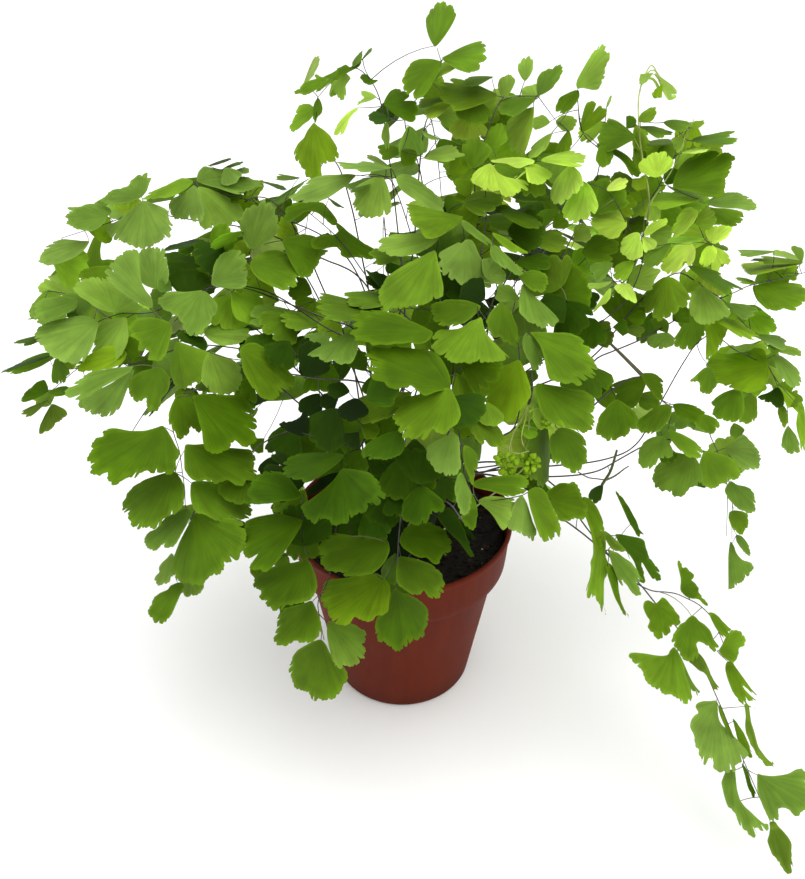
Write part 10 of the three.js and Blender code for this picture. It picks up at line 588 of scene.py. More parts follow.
    "frond_27": (0, [(2.2, 9.2, 89), (4.5, 9.1, 96.6), (8.9, 9.2, 103.2), (15.1, 9.4, 108.1), (22.3, 9.7, 111.3), (30, 10.4, 113.4), (37.9, 11.1, 114.6), (45.8, 11.7, 115.4), (53.7, 12.2, 115.9), (61.6, 12.7, 116.2), (69.5, 13.1, 116.6), (77.4, 13.6, 117), (85.3, 13.9, 117.6), (93.1, 14.3, 118.7), (100.8, 14.7, 120.8), (107.8, 14.9, 124.4), (112.6, 15, 130.5), (115.2, 14.9, 138.1), (117.5, 14.8, 145.6), (119.8, 14.7, 153.2), (122.1, 14.6, 160.8), (124.5, 14.5, 168.4), (127.2, 14.4, 175.9), (130.5, 14.5, 183.1), (136.3, 14.9, 187.7), (143, 15.8, 183.8), (149, 17, 178.8), (155.6, 18.9, 174.9), (162, 21, 170.8), (168.4, 23.2, 166.6)], [
        (133.5, 14.1, 195.3, 0.414, -0.233, -0.88, 0.54, -0.715, 0.444, 17.5, -60, 17.5, 17.5, 60, 11, -1, 23.91, ((-0, 0), (-5, 1.6), (-9.8, 5.1), (-10, 9.2), (-5.6, 11.8), (-1.4, 14.1), (5.1, 15.1), (9.9, 14.4), (7.8, 10.6), (5.2, 7.1), (3.7, 2.9))),
        (165.1, 15.4, 171.3, -0.955, 0.203, -0.218, -0.237, -0.078, 0.968, 27.1, -60, 27.1, 27.1, 60, 11, -1, 28, ((0, 0), (6, -0.1), (12.2, 0.7), (14.2, 3.6), (11.7, 7.7), (15.3, 11), (17.5, 15.3), (16.5, 19), (13.7, 21.8), (10.3, 24.6), (5.2, 26.6), (-2.5, 26), (-8.7, 23.7), (-10.5, 20.3), (-13.8, 17.1), (-17.1, 13.1), (-19, 9), (-18, 6), (-15.5, 3.3), (-11.5, 1.4), (-5.9, -0.4))),
        (169, 20.3, 174.6, 0.529, -0.623, -0.577, 0.338, -0.469, 0.816, 18, -60, 18, 18, 60, 10, -1, 28.5, ((0, 0), (-3, 2.4), (-4.9, 6.6), (-6.3, 10.5), (-5.7, 14.1), (-1.8, 17.9), (2.6, 17.6), (4.7, 14.5), (5.6, 10.8), (5.1, 6.6), (3.6, 2.9))),
        (132.6, -3.5, 182.6, -0.292, -0.484, -0.825, 0.53, -0.8, 0.282, 13.4, -60, 13.4, 13.4, 60, 6, -1, 23.03, ((0, -0), (3.9, 1.9), (5.9, 4.6), (9.6, 9.5), (3.5, 8), (1.9, 11.2), (-0.8, 12.4), (-4.5, 11.5), (-6.8, 9.2), (-8.2, 6.6), (-4.5, 3.4))),
        (150, 5.7, 165.6, -0.419, -0.194, -0.887, -0.856, -0.242, 0.457, 17.4, -60, 17.4, 17.4, 60, 9, 5, 1, ((-0, -0), (3.5, 2.9), (6.8, 6.2), (9.4, 10.3), (10.3, 12.9), (6.4, 13.5), (5.1, 16.6), (1.7, 16.8), (-3.2, 15.1), (-7.9, 13.5), (-10.3, 11.1), (-10.3, 6.9), (-7.6, 3.2), (-4, 1))),
        (158.4, 10.4, 159.4, -0.252, -0.66, -0.708, 0.552, -0.699, 0.455, 15.6, -60, 15.6, 15.6, 60, 7, 11, 1, ((0, 0), (-4.5, -0), (-5.8, 3.9), (-7, 7.3), (-6.5, 10.3), (-2.3, 13.5), (3.3, 14.3), (8, 13.4), (6.6, 8.8), (5.1, 4.5), (3.1, 1.9))),
        (175.8, 27.8, 153.4, 0.701, 0.008, -0.713, 0.533, -0.671, 0.515, 23.6, -60, 23.6, 23.6, 60, 11, 9, 1, ((-0, 0), (-1.9, 4.9), (-3.4, 10.9), (-4.2, 17.5), (-2.3, 21.5), (0.9, 23.5), (1.1, 20.1), (1.3, 15.7), (3.9, 13), (2.4, 10.2), (2.2, 5.7))),
        (180.9, 29.2, 142.9, 0.273, -0.456, -0.847, 0.488, -0.693, 0.531, 12.6, -60, 12.6, 12.6, 60, 7, 6, 1, ((0, 0), (-3.1, 3.9), (-3.1, 7.9), (-1.8, 11.6), (1.5, 12.6), (2.9, 8.1), (3.6, 3.9))),
        (189.9, 33.9, 126.4, 0.151, -0.604, -0.782, 0.487, -0.643, 0.591, 15, -60, 15, 15, 60, 8, 10, 1, ((0, 0), (-2.3, 2.7), (-5.1, 6), (-6.3, 10.2), (-5.3, 14.1), (-0, 14.4), (4.7, 12.9), (6.7, 9.2), (4.9, 4.9), (2.8, 2.2))),
        (169.6, 27.1, 164.7, 0.335, -0.601, -0.726, 0.333, -0.645, 0.688, 9, -49, 9.7, 9.1, 48, 12, -1, 29, (1.2, 1.4, 3.5, 6.4, 9.2, 9.3, 9.5, 9.6, 10.9, 10.4, 10.5, 9.7, 9.5, 9.2, 9.3, 9.2, 9.4, 9.1, 6.6, 4, 2.2, 1.2)),
        (184, 31.6, 143.4, 0.913, -0.403, 0.063, -0.175, -0.246, 0.953, 8, -53, 8.1, 8.2, 50, 7, 7, 1, (1.1, 1.3, 2.9, 4.7, 7, 7.1, 7.9, 7.9, 7.9, 7.9, 7.9, 7.9, 7.9, 6.8, 7.3, 7.5, 6.9, 5.3, 4, 2, 0.9)),
        (160.9, 20.2, 158.9, 0.764, -0.558, -0.325, 0.102, -0.393, 0.914, 6.8, -53, 7.2, 7.2, 48, 14, -1, 28.5, (0.9, 1.9, 3.3, 5.2, 7.3, 8, 7.9, 8.1, 7.2, 6.8, 6.8, 6.5, 6.9, 7.1, 7.2, 6.2, 3.9, 2.3, 1)),
        (186.2, 41.3, 135, 0.357, 0.547, 0.757, -0.14, -0.77, 0.622, 9.8, -43, 10.8, 10.2, 42, 7, 8, 0.54, ()),
        (177.7, 32.7, 160.5, -0.599, 0.763, 0.244, -0.766, -0.635, 0.102, 10.4, -49, 11, 9.9, 49, 12, 6, 0.61, ()),
        (158.1, 21.3, 160, 0.229, -0.411, -0.882, 0.254, -0.85, 0.462, 9.2, -50, 10.2, 8.6, 56, 12, 11, 0.95, ()),
        (119.7, 15.7, 138.1, 0.692, -0.579, -0.431, 0.008, -0.591, 0.807, 8, -59, 9.8, 8.4, 46, 10, -1, 17.17, ()),
        (156.9, 22, 175.2, -0.157, 0.957, -0.244, -0.213, 0.209, 0.954, 9, -62, 9.5, 9, 52, 15, -1, 27.22, ()),
        (173.8, 19.6, 158, -0.528, -0.776, -0.345, 0, -0.406, 0.914, 12.8, -60, 12.8, 12.8, 60, 2, -1, 29, ((0, 0), (2.5, 6.1), (5.2, 9.1), (5.8, 11.4), (2.4, 11.3), (-1.1, 10.4), (-5.4, 11.5), (-5.9, 6.7), (-3.6, 3))),
        (181.7, 13.4, 152.7, -0.065, -0.912, -0.405, 0, -0.406, 0.914, 26.2, -60, 26.2, 26.2, 60, 9, -1, 29, ((-0.1, -0.6), (-0.5, 2.7), (1, 7.2), (2, 11.5), (2.1, 15.8), (1.4, 20), (1.7, 25.2), (0, 26.2), (-2.1, 14.5), (-3.1, 3.6), (-2.4, -0.7))),
    ]),
    "frond_28": (0, [(7, -18.7, 89), (7.4, -18.9, 97.2), (8.4, -19.5, 105.3), (10, -20.5, 113.3), (12.6, -21.9, 120.7), (16.2, -23.8, 127.5), (20.7, -25.9, 133.8), (25.9, -28.2, 139.5), (31.8, -30.5, 144.5), (38.4, -32.4, 148.8), (45.4, -33.8, 152.6), (52.7, -34, 156), (59.9, -32.6, 159), (66.5, -29.1, 161.9), (72, -24.6, 165.5), (77.5, -20.2, 169.2), (83.4, -16.1, 172.7), (89.6, -12.9, 176.6), (96.2, -10.4, 180.2), (103.5, -8, 179.5), (108.6, -6.9, 173.4), (113.1, -5.9, 166.9), (118.9, -3.9, 161.9), (125.5, -1.1, 158.5), (132, 2, 154.9), (137.2, 4.8, 149.6), (140.8, 7.5, 143.1), (144.1, 9.7, 136.1), (147.8, 11.5, 129.3), (151.5, 13.5, 122.5), (155, 15, 115.5), (158, 15.8, 108.1), (159.8, 15, 100.4), (160.7, 12.7, 92.7), (161.2, 10, 85.1), (161.8, 7.5, 77.4)], [
        (99.5, -16.6, 186, 0.873, 0.091, -0.479, 0.487, -0.183, 0.854, 10.2, -37, 12.8, 13.5, 52, 4, -1, 18.33, (1.1, 2.6, 4.5, 4.8, 8.2, 9.1, 8.7, 12.8, 12.3, 12.6, 11.5, 12, 12, 11.6, 11.4, 12.7, 13.1, 13.2, 13.3, 13.4, 13.5, 9.7, 5.8, 3.1, 1)),
        (108.2, 5.7, 170.9, -0.896, -0.196, -0.399, -0.401, -0.034, 0.915, 20.6, -49, 18, 16, 31, 7, 8, 1, (2.7, 5.7, 9.8, 19.9, 21, 20.3, 19.6, 19.7, 19.4, 19.1, 18.9, 18.6, 18.4, 20.1, 19.2, 18.8, 17.3, 17.3, 17.2, 17.1, 16.9, 17.7, 17.4, 17.4, 17.4, 16.6, 13.6, 5.8, 4.5, 2.1)),
        (88.6, -26.1, 180.3, -0.042, -0.404, -0.914, 0.542, -0.778, 0.319, 18, -60, 18, 18, 60, 4, 3, 1, ((0, 0), (3.8, 1.5), (6.9, 4.2), (10, 6.5), (10.2, 9.4), (11.6, 12.2), (9.6, 14.4), (6.8, 15.1), (4.3, 16.9), (0.8, 18), (-2, 17), (-3.6, 15.8), (-6, 16.8), (-8, 14.4), (-11.4, 12.9), (-12.7, 9.6), (-10.5, 6), (-6.7, 3.3), (-3, 1.4))),
        (87, -18.9, 182.6, -0.905, 0.104, -0.413, -0.412, 0.031, 0.911, 10.4, -46, 9.9, 9, 33, 3, -1, 17.06, (0.4, 1, 4.7, 9.9, 10.6, 9.5, 8.9, 8.7, 8.6, 8.7, 9.1, 9.7, 10.6, 11.9, 9.1, 7.2, 6.2, 3.7, 1.9, 0.6)),
        (114.4, -11.9, 168.6, -0.583, -0.199, -0.788, -0.781, -0.132, 0.611, 17.9, -60, 17.9, 17.9, 60, 9, 5, 1, ((0, 0), (3.7, 2.8), (5.5, 6.2), (6.4, 9.6), (8.3, 13.1), (7.7, 16.1), (4, 17.2), (0.1, 16.4), (-3.9, 14.4), (-6.2, 11.3), (-7.8, 8.6), (-7.8, 5.3), (-6.3, 1.7), (-3.7, -0))),
        (116.4, -11.2, 168.1, 0.699, -0.716, -0.009, -0.102, -0.112, 0.988, 15.1, -60, 15.1, 15.1, 60, 4, -1, 21.01, ((0, 0), (-2.6, 2.2), (-4.7, 5.9), (-5.3, 9.9), (-4.6, 13.3), (0, 14.8), (3.5, 14.7), (4.2, 11.7), (5.1, 8.4), (4.5, 5))),
        (131.8, -4, 158.7, 0.412, -0.788, -0.457, 0.186, -0.418, 0.889, 11.1, -60, 11.1, 11.1, 60, 6, -1, 23.5, ((-0, -0), (-3.1, 2.1), (-5.9, 4.7), (-5.9, 7.9), (-3.2, 10.2), (0.7, 11), (2.8, 9.2), (4.4, 6.6), (6, 3.9), (4.2, 1.3))),
        (117.3, -8, 152.8, 0.721, -0.582, -0.376, 0.291, -0.238, 0.927, 19, -60, 19, 19, 60, 9, -1, 21.98, ((-0, -0), (-2, 2.8), (-3.9, 6.2), (-5.2, 9.9), (-5.6, 13.6), (-5, 17.2), (-0.7, 19), (2.9, 17.7), (5.3, 14.7), (5.7, 11.1), (5, 6.8), (3.4, 3.1))),
        (103.2, -2.7, 166.3, 0.927, -0.355, -0.124, 0.016, -0.292, 0.956, 8.7, -52, 8.9, 8.8, 50, 6, -1, 20.49, (1.2, 2.5, 4.3, 6.4, 8.7, 8.7, 11.6, 11.8, 11.3, 9.8, 9.8, 10.5, 10.5, 9.8, 8.2, 8.1, 7.9, 7, 6.3, 5.2, 2.3, 1.1)),
        (168.2, 31.5, 125.1, -0.591, 0.588, -0.553, -0.805, -0.382, 0.454, 6.6, -38, 8.2, 7.7, 36, 12, -1, 30, ()),
        (127.3, 3, 156.4, -0.441, -0.831, -0.34, -0.277, -0.234, 0.932, 9.4, -59, 11.3, 9.2, 53, 8, -1, 23.49, ()),
        (161.2, 17.8, 115, -0.749, 0.464, 0.472, -0.26, -0.862, 0.435, 13.4, -60, 13.8, 11.7, 55, 15, 9, 0.23, ()),
        (131.8, 0.6, 146.6, 0.629, 0.773, -0.079, 0.146, -0.018, 0.989, 7.8, -53, 8.1, 6.9, 56, 13, -1, 24.62, ()),
        (164.3, 13, 112.9, -0.1, 0.983, -0.151, -0.72, 0.033, 0.693, 13.9, -59, 14.4, 13.4, 52, 17, 11, 0.95, ()),
        (148.8, 15.1, 101.9, -0.69, 0.711, 0.137, 0.26, 0.067, 0.963, 8.7, -45, 9.8, 9.5, 51, 4, -1, 31.5, ()),
    ]),
    "frond_29": (0, [(6, 0.5, 89), (7.8, 0.4, 96.6), (11.5, 0.6, 103.6), (17.1, 1, 109.1), (24.1, 1.9, 112.6), (31.6, 3.2, 114.5), (39.3, 4.5, 115.3), (47.1, 5.7, 115.5), (55, 6.5, 115.2), (62.9, 7.2, 114.7), (70.7, 7.8, 114.4), (78.6, 8.3, 114.4), (86.5, 8.5, 115.3), (94, 8.3, 117.8), (100.1, 7.8, 122.8), (106.1, 7.2, 128), (112.2, 6.7, 132.9), (119.2, 6.5, 136.5), (127, 6.8, 136.6), (134.2, 7.7, 133.4), (140.6, 8.9, 128.8), (146.4, 10.7, 123.8), (151.7, 12.4, 118.2), (156.4, 13.7, 112), (160.1, 13.7, 104.9), (162.2, 12.7, 97.4), (163.3, 11.3, 89.8), (164.2, 9.8, 82.1), (165.3, 8.5, 74.5)], [
        (117.2, -5.8, 147.5, -0.534, -0.442, -0.721, -0.764, -0.115, 0.635, 17.1, -60, 17.1, 17.1, 60, 12, -1, 17.05, ((-0, 0), (4.6, 1.6), (8.6, 4), (10.8, 7.4), (10.3, 10.5), (8.2, 13.5), (4.6, 16.5), (0.1, 17), (-3.9, 15.6), (-5.4, 12.4), (-4.9, 9.4), (-8.6, 8.6), (-11.4, 6), (-8.9, 3.3), (-4.1, 1.2))),
        (134.1, 0.2, 132.7, -0.539, -0.299, -0.788, -0.797, -0.124, 0.592, 24.3, -60, 24.3, 24.3, 60, 12, 2, 1, ((0, 0), (5.4, 2.2), (11.4, 4.1), (15.4, 7.9), (15.3, 12), (15.4, 16.7), (12.3, 20.9), (7.2, 22.8), (2.5, 22), (-0.4, 19.8), (-5.6, 20.3), (-9.8, 18.5), (-11.8, 15.7), (-11.2, 12.1), (-14.8, 10.1), (-15.3, 6), (-10.8, 2.8), (-5.1, 0.7))),
        (139.6, 2.7, 133.7, 0.509, -0.664, -0.548, 0.087, -0.593, 0.8, 20.6, -60, 20.6, 20.6, 60, 9, -1, 19.38, ((-0, 0), (-2.8, 2.6), (-5.5, 5.3), (-8.3, 7.9), (-9.9, 12.2), (-9.6, 16.4), (-7.6, 19.1), (-3.4, 18.4), (0.1, 17.6), (4.5, 17.3), (8.7, 16.6), (10.6, 14.4), (10.3, 10.8), (8.2, 6.4), (4.5, 3))),
        (150.6, 7.7, 131.3, 0.978, -0.156, -0.137, 0.115, -0.142, 0.983, 18.1, -60, 18.1, 18.1, 60, 10, -1, 20.77, ((0, 0), (-4.8, 4.1), (-10.8, 7.4), (-14.7, 10.5), (-11.1, 13.1), (-6.1, 15.6), (-0.4, 17.4), (6.1, 16.4), (9.9, 15.1), (11, 11.3), (10.8, 7.7), (7, 4.2), (3, 1.7))),
        (157.3, 8.5, 111.8, 0.52, -0.64, -0.565, 0.415, -0.388, 0.823, 18.9, -60, 18.9, 18.9, 60, 8, -1, 22.75, ((-0, -0), (-2.1, 3.7), (-6.5, 6.2), (-9.5, 9.2), (-8.3, 12.7), (-5.1, 16.4), (-1.6, 18.9), (3, 17.4), (5.9, 14.5), (7.9, 10.8), (8.6, 6.6), (7.7, 2.4))),
        (161.6, 5.8, 95.5, 0.405, -0.427, -0.808, 0.566, -0.577, 0.589, 12.9, -60, 12.9, 12.9, 60, 7, -1, 25.52, ((0, 0), (-5.3, 3.1), (-8.6, 6.4), (-6.3, 9.6), (-2.9, 11.8), (1.5, 12.8), (4.8, 9.6), (6.5, 5.5), (6.3, 1.2), (4, -0.9))),
        (164.6, 3.8, 81.9, 0.507, -0.65, -0.566, 0.453, -0.358, 0.816, 12.8, -60, 12.8, 12.8, 60, 8, -1, 27.01, ((-0, 0), (-3, 2.4), (-3.4, 5.4), (-3, 9.3), (0.9, 12.8), (2.4, 9.9), (3, 6.2), (3, 2.8))),
        (161.5, 0.2, 77.9, 0.318, -0.554, -0.77, 0.418, -0.647, 0.638, 22.6, -60, 22.6, 22.6, 60, 8, 6, 1, ((-1, -2.2), (-2.2, 1.3), (-2, 4.8), (-4.2, 9.3), (-8.7, 11.9), (-10.3, 14.5), (-7.2, 16.6), (-2.9, 18.2), (3.1, 19.1), (7.5, 19.6), (10.5, 20), (8.3, 15.2), (5.9, 9.8), (3.2, 4.1))),
        (90.8, -14.9, 126.9, -0.565, -0.324, -0.759, -0.804, 0.012, 0.594, 8.7, -46, 9.1, 8.8, 48, 3, -1, 13.55, (1.2, 2.1, 3.8, 5.5, 8.2, 8.8, 8.9, 9, 9.1, 8.7, 8.9, 8.9, 9.1, 9.4, 9.7, 9.4, 9.3, 8.2, 4.2, 2.4, 1.2)),
        (123, 7.9, 132, 0.295, -0.623, -0.724, 0.432, -0.589, 0.683, 7.9, -50, 8.3, 8, 49, 6, -1, 17.53, (1.1, 2.5, 3.7, 5.7, 7.7, 7.9, 8, 8, 8.1, 8.1, 8.1, 8.1, 8.2, 8.2, 7.3, 7.8, 7, 3.2, 1.5, 0.3)),
        (120.4, 11.1, 138.5, -0.65, 0.621, 0.437, 0.219, -0.398, 0.891, 14.5, -48, 15.8, 15, 42, 17, -1, 17.18, ()),
    ]),
    "frond_30": (0, [(-0.7, 20, 89), (-0.4, 19.6, 97), (-0.1, 19.1, 105), (0.4, 18.4, 113), (1, 17.4, 121), (1.6, 16.3, 129), (2.4, 14.9, 136.9), (3.3, 13.2, 144.7), (4.5, 11.1, 152.4), (5.9, 8.8, 159.9), (7.5, 6.1, 167.4), (9.2, 3.2, 174.7), (11.2, 0.3, 181.9), (13, -2.4, 189.3), (14.3, -3.3, 197.1), (13.7, -0.3, 204.5), (11.7, 5.3, 209.9), (9.5, 10.9, 215.3), (7.4, 16.6, 220.7), (5.3, 22.3, 226), (3.2, 27.9, 231.3), (0.9, 33.3, 236.8), (-1.7, 38, 242.7), (-5.2, 39.3, 249.4), (-12.3, 41.3, 250.7), (-19.4, 44.6, 248.8)], [
        (-18.5, 25.9, 256.2, -0.942, -0.203, -0.267, -0.181, -0.361, 0.915, 30.1, -60, 30.1, 30.1, 60, 10, 2, 1, ((0, 0), (2.4, 3.3), (3.9, 7.3), (6.1, 11.5), (7.4, 15.1), (7.3, 18.7), (5.6, 21.7), (3.5, 24), (2.6, 27.3), (2.1, 30), (-1.1, 27.7), (-4, 24.5), (-5.8, 21), (-6.9, 17.8), (-6.8, 14.3), (-5.9, 11.1), (-4.8, 8.2), (-3.9, 5), (-1.9, 2.7))),
        (-4, 21.4, 260.8, -0.998, 0.027, 0.056, 0.06, 0.194, 0.979, 20, -54, 20.7, 20, 54, 10, 4, 1, (0.8, 4.4, 8.4, 14.4, 19.6, 19.7, 18.9, 17.8, 17.4, 17.1, 17.1, 17.2, 20.9, 21, 20.6, 20.2, 20.2, 20.3, 21.1, 21.1, 21.1, 21.5, 21.5, 21.5, 24.4, 24.7, 25.1, 25.5, 19.3, 18.4, 17.5, 17.1, 17.8, 19, 19.3, 19.3, 20, 14.7, 11.4, 2.7, 2.7)),
        (-8.3, 31.2, 253.8, -0.457, -0.219, -0.862, -0.722, -0.475, 0.503, 19.9, -60, 19.9, 19.9, 60, 15, -1, 23.28, ((0, 0), (4, 2), (7.4, 4.8), (11.2, 8.2), (13.8, 11.1), (12.6, 13.5), (9.2, 14.4), (10.1, 17.2), (7.3, 18.3), (2.6, 17.7), (0.2, 18.6), (-4.1, 17.6), (-8, 15.5), (-10.7, 13.8), (-14.8, 11.2), (-16, 8.8), (-12.5, 5.8), (-8.4, 3), (-4.2, 1))),
        (-9, 43.3, 248.9, -0.947, -0.123, -0.295, -0.315, 0.198, 0.928, 14, -58, 14.5, 14, 58, 5, -1, 23.66, (0.6, 2.6, 5.7, 9.7, 14.6, 14.6, 14.7, 14.8, 17.4, 16.6, 16.1, 15.5, 15, 15, 15.1, 15.1, 15.1, 15.4, 15.9, 16.5, 16.7, 14.4, 14.4, 12, 12.5, 12.8, 13.3, 13.8, 14, 10.3, 6.5, 4.5, 1.9)),
        (-2.9, 25.5, 255.1, 0.863, -0.234, -0.447, 0.366, -0.32, 0.874, 25.4, -60, 25.4, 25.4, 60, 10, 2, 1, ((0, 0), (-5.6, 1.6), (-7, 5.3), (-6.9, 9.2), (-5.8, 13), (-4.8, 16.8), (-4, 20), (-2.8, 22.8), (0.5, 22.6), (2.5, 25.3), (6.2, 23.8), (6.6, 20.2), (6, 16.1), (5.3, 12.1), (5.2, 8.3), (4.5, 4.2))),
        (2.9, 24.8, 243.7, 0.636, 0.519, -0.571, 0.756, -0.57, 0.323, 36, -60, 36, 36, 60, 19, -1, 20.61, ((-0.6, -0.8), (-3.5, 3.8), (-4, 9.8), (-3.6, 16.1), (-2.7, 21.3), (-3.5, 27.6), (-3.9, 32.7), (-3.2, 35.8), (-0.3, 32.8), (2.8, 27.8), (5, 21.1), (6.1, 15.1), (5.4, 10.8), (3.9, 6.3), (2.1, 2.5))),
        (-6, 41.4, 254.4, -0.892, 0.13, 0.432, 0.45, 0.173, 0.876, 10.1, -54, 10.4, 10.1, 54, 13, -1, 23.28, (1.4, 2.6, 6, 8.6, 9.9, 8.7, 8, 8, 10.5, 10.1, 10, 10, 9.6, 9.4, 9.3, 9.3, 9.5, 9.4, 9.4, 10, 9.7, 7.1, 4.3, 2, 0.4)),
    ]),
    "frond_31": (0, [(14, -14.2, 89), (14.9, -14.2, 96.7), (15.9, -14.4, 104.5), (17.2, -14.7, 112.1), (18.4, -15.2, 119.9), (19.8, -15.9, 127.5), (21.5, -16.8, 135.1), (23.4, -17.9, 142.6), (25.3, -19.3, 150.1), (27.7, -20.9, 157.3), (30.4, -22.5, 164.4), (34.2, -23.9, 171.1), (38.3, -25, 177.7), (42.6, -25.2, 184.2), (46.4, -23.5, 190.8), (48.2, -19.3, 197), (48.1, -13.7, 202.5), (47.5, -8.2, 208), (46.8, -2.7, 213.6), (46.4, 1.9, 219.9), (46.3, 4.7, 227.2)], [
        (46.5, 5.9, 226.7, 0.981, -0.177, 0.083, -0.096, -0.072, 0.993, 14.4, -44, 14.3, 13.4, 37, 3, -1, 20, (0.6, 3.2, 6.1, 10.2, 13.8, 13.8, 13.8, 13.8, 13.8, 14.3, 14.6, 14.6, 14.6, 14.6, 14.5, 14.5, 14.4, 14.5, 14.6, 14.4, 14.2, 9.3, 5.3, 3, 1.4)),
        (72.4, 20.1, 229.8, 0.704, 0.157, 0.692, -0.595, -0.401, 0.696, 7.9, -52, 8, 7.9, 51, 12, 2, 1, (0.3, 0.8, 4.7, 7.6, 7.9, 7.5, 8.4, 10, 7, 8.5, 8, 7.7, 7.8, 8.7, 7.5, 8.1, 7.1, 2.9, 1.4, 0.3)),
        (60, 6.9, 210.5, 0.921, 0.034, 0.388, -0.355, -0.336, 0.872, 7.4, -51, 7.6, 7.5, 50, 4, -1, 18.17, (0.9, 2.4, 4, 4.8, 5.2, 7.5, 7.5, 7.7, 7.7, 7.9, 7.9, 7.9, 7.9, 7.7, 7.5, 7.5, 4.5, 3.3, 1.8, 1)),
        (61.3, 0.8, 212.8, 0.928, -0.028, 0.371, -0.23, -0.827, 0.514, 16.2, -54, 16.6, 15.5, 47, 4, 2, 0.83, ()),
        (49.2, -3.9, 214.6, -0.917, -0.324, -0.23, 0.008, -0.595, 0.804, 8.8, -51, 9.9, 9.2, 55, 15, -1, 17.96, ()),
    ]),
    "frond_32": (0, [(4, 4.5, 89), (4.1, 4.4, 97), (4.4, 4.1, 104.9), (4.8, 3.8, 112.9), (5.5, 3.3, 120.8), (6.4, 2.6, 128.7), (7.5, 1.7, 136.6), (8.9, 0.7, 144.4), (10.4, -0.6, 152.1), (12.2, -2, 159.8), (14.1, -3.6, 167.4), (15.9, -5.3, 175), (17.2, -6.7, 182.7), (16.2, -7, 190.5), (11.6, -4.9, 196.6), (5.8, -1.9, 201.2), (0.1, 0.9, 206), (-5.7, 3.7, 210.7), (-11.3, 7, 215.3), (-16.3, 11.7, 219.4), (-20.3, 17.7, 222.7), (-24.3, 24, 225.5), (-29, 29.9, 228.2), (-34.2, 35.4, 230.6), (-39.6, 40.9, 232.8), (-44.9, 46.4, 235)], [
        (-28.8, 29.5, 227.8, 0.752, -0.469, -0.464, 0.381, -0.265, 0.886, 22, -60, 22, 22, 60, 4, -1, 21.99, ((-7.6, -5.4), (-8.1, -2.3), (-7.6, 1.6), (-8, 5.4), (-8.1, 8.2), (-9, 12.2), (-10.8, 16.7), (-9.9, 19.7), (-4.9, 19.4), (-1.6, 16), (2.1, 13.1), (6.8, 11), (7.3, 8.6), (3.5, 6.2), (5.5, 4.3), (8.9, 3), (12.3, 2.3), (15.9, -0.5), (12.4, -4.5), (7.1, -4.1), (3.3, -2.6), (-0.1, -0.6), (-4.2, -1), (-5, -3.3))),
        (-43.9, 45.5, 235.8, 0.793, -0.121, -0.597, 0.609, 0.16, 0.777, 21.7, -64, 22.6, 21.7, 64, 4, -1, 25, (0,)),
        (-34.4, 43, 237.7, -0.552, -0.776, -0.304, -0.075, -0.318, 0.945, 20.7, -60, 20.7, 20.7, 60, 4, -1, 23.99, ((0, 0), (-4.3, 2.1), (-9.2, 4.5), (-13, 6.8), (-13.3, 10.2), (-9.9, 9.2), (-6.5, 8.2), (-2.3, 6.8), (1.1, 7.3), (3.5, 9.3), (3.8, 13.1), (4.9, 17.3), (6.5, 19.6), (10, 15), (12.4, 10.5), (10.9, 5.9), (5.4, 3))),
        (-8.7, -13.6, 224.6, -0.525, 0.648, 0.552, 0.79, 0.131, 0.599, 8.9, -47, 9.1, 8.9, 47, 2, -1, 17.54, (0.4, 0.9, 3.4, 5.6, 8.9, 9, 9, 9, 9.1, 9.1, 9.1, 9.1, 9.4, 10.3, 11.2, 7.3, 8.9, 8.6, 1.6, 2.6, 0.4)),
        (-5.8, 10.3, 224.6, 0.351, -0.315, -0.881, 0.601, -0.646, 0.471, 7.5, -51, 7.1, 6.4, 45, 2, -1, 18.41, (0.3, 0.7, 3.8, 7, 7.7, 6.5, 5.7, 5.2, 5, 5, 5.2, 5.6, 3.5, 3.6, 3.5, 2.8, 2, 0.3)),
        (-31.4, 32.8, 243.6, 0.864, -0.134, -0.486, 0.504, 0.25, 0.827, 8.4, -58, 8.7, 8.4, 58, 5, -1, 22.98, (1.1, 2, 3.1, 4.2, 3.4, 9.7, 8.7, 9.3, 8.8, 8, 7.8, 7.8, 8, 8, 8.1, 8.1, 7.7, 7.3, 8.4, 7.5, 3.2, 1, 0.3)),
        (-29.3, 36.1, 221.5, -0.962, 0.035, 0.272, 0.236, -0.398, 0.887, 7.2, -49, 7.4, 7.2, 51, 5, -1, 22.48, (1, 2.3, 3.2, 5.2, 7.2, 7.3, 7.3, 7.5, 7.8, 7.8, 8, 7.4, 7.3, 7.1, 7.2, 5.5, 3.6, 2.2, 1)),
    ]),
    "frond_33": (1, [(20, -0.1, 89), (20.6, -0.4, 96.7), (21.4, -0.7, 104.4), (22.3, -0.7, 112.1), (23.5, -0.4, 119.7), (24.8, 1, 127.1), (26.7, 2.7, 134.4), (29.6, 4.8, 141.3), (33.5, 7, 147.6), (38.6, 9.1, 153.1), (44.4, 11, 157.9), (50.2, 12.6, 162.7), (55.5, 13.9, 168.2), (61, 15.3, 173.5), (67, 16.8, 178.1), (73.6, 18.4, 181.8)], [
        (56.8, -4.6, 155.3, 0.476, -0.798, -0.371, 0.592, -0.021, 0.805, 20.5, -58, 21.5, 20.5, 58, 3, -1, 10.66, ()),
    ]),
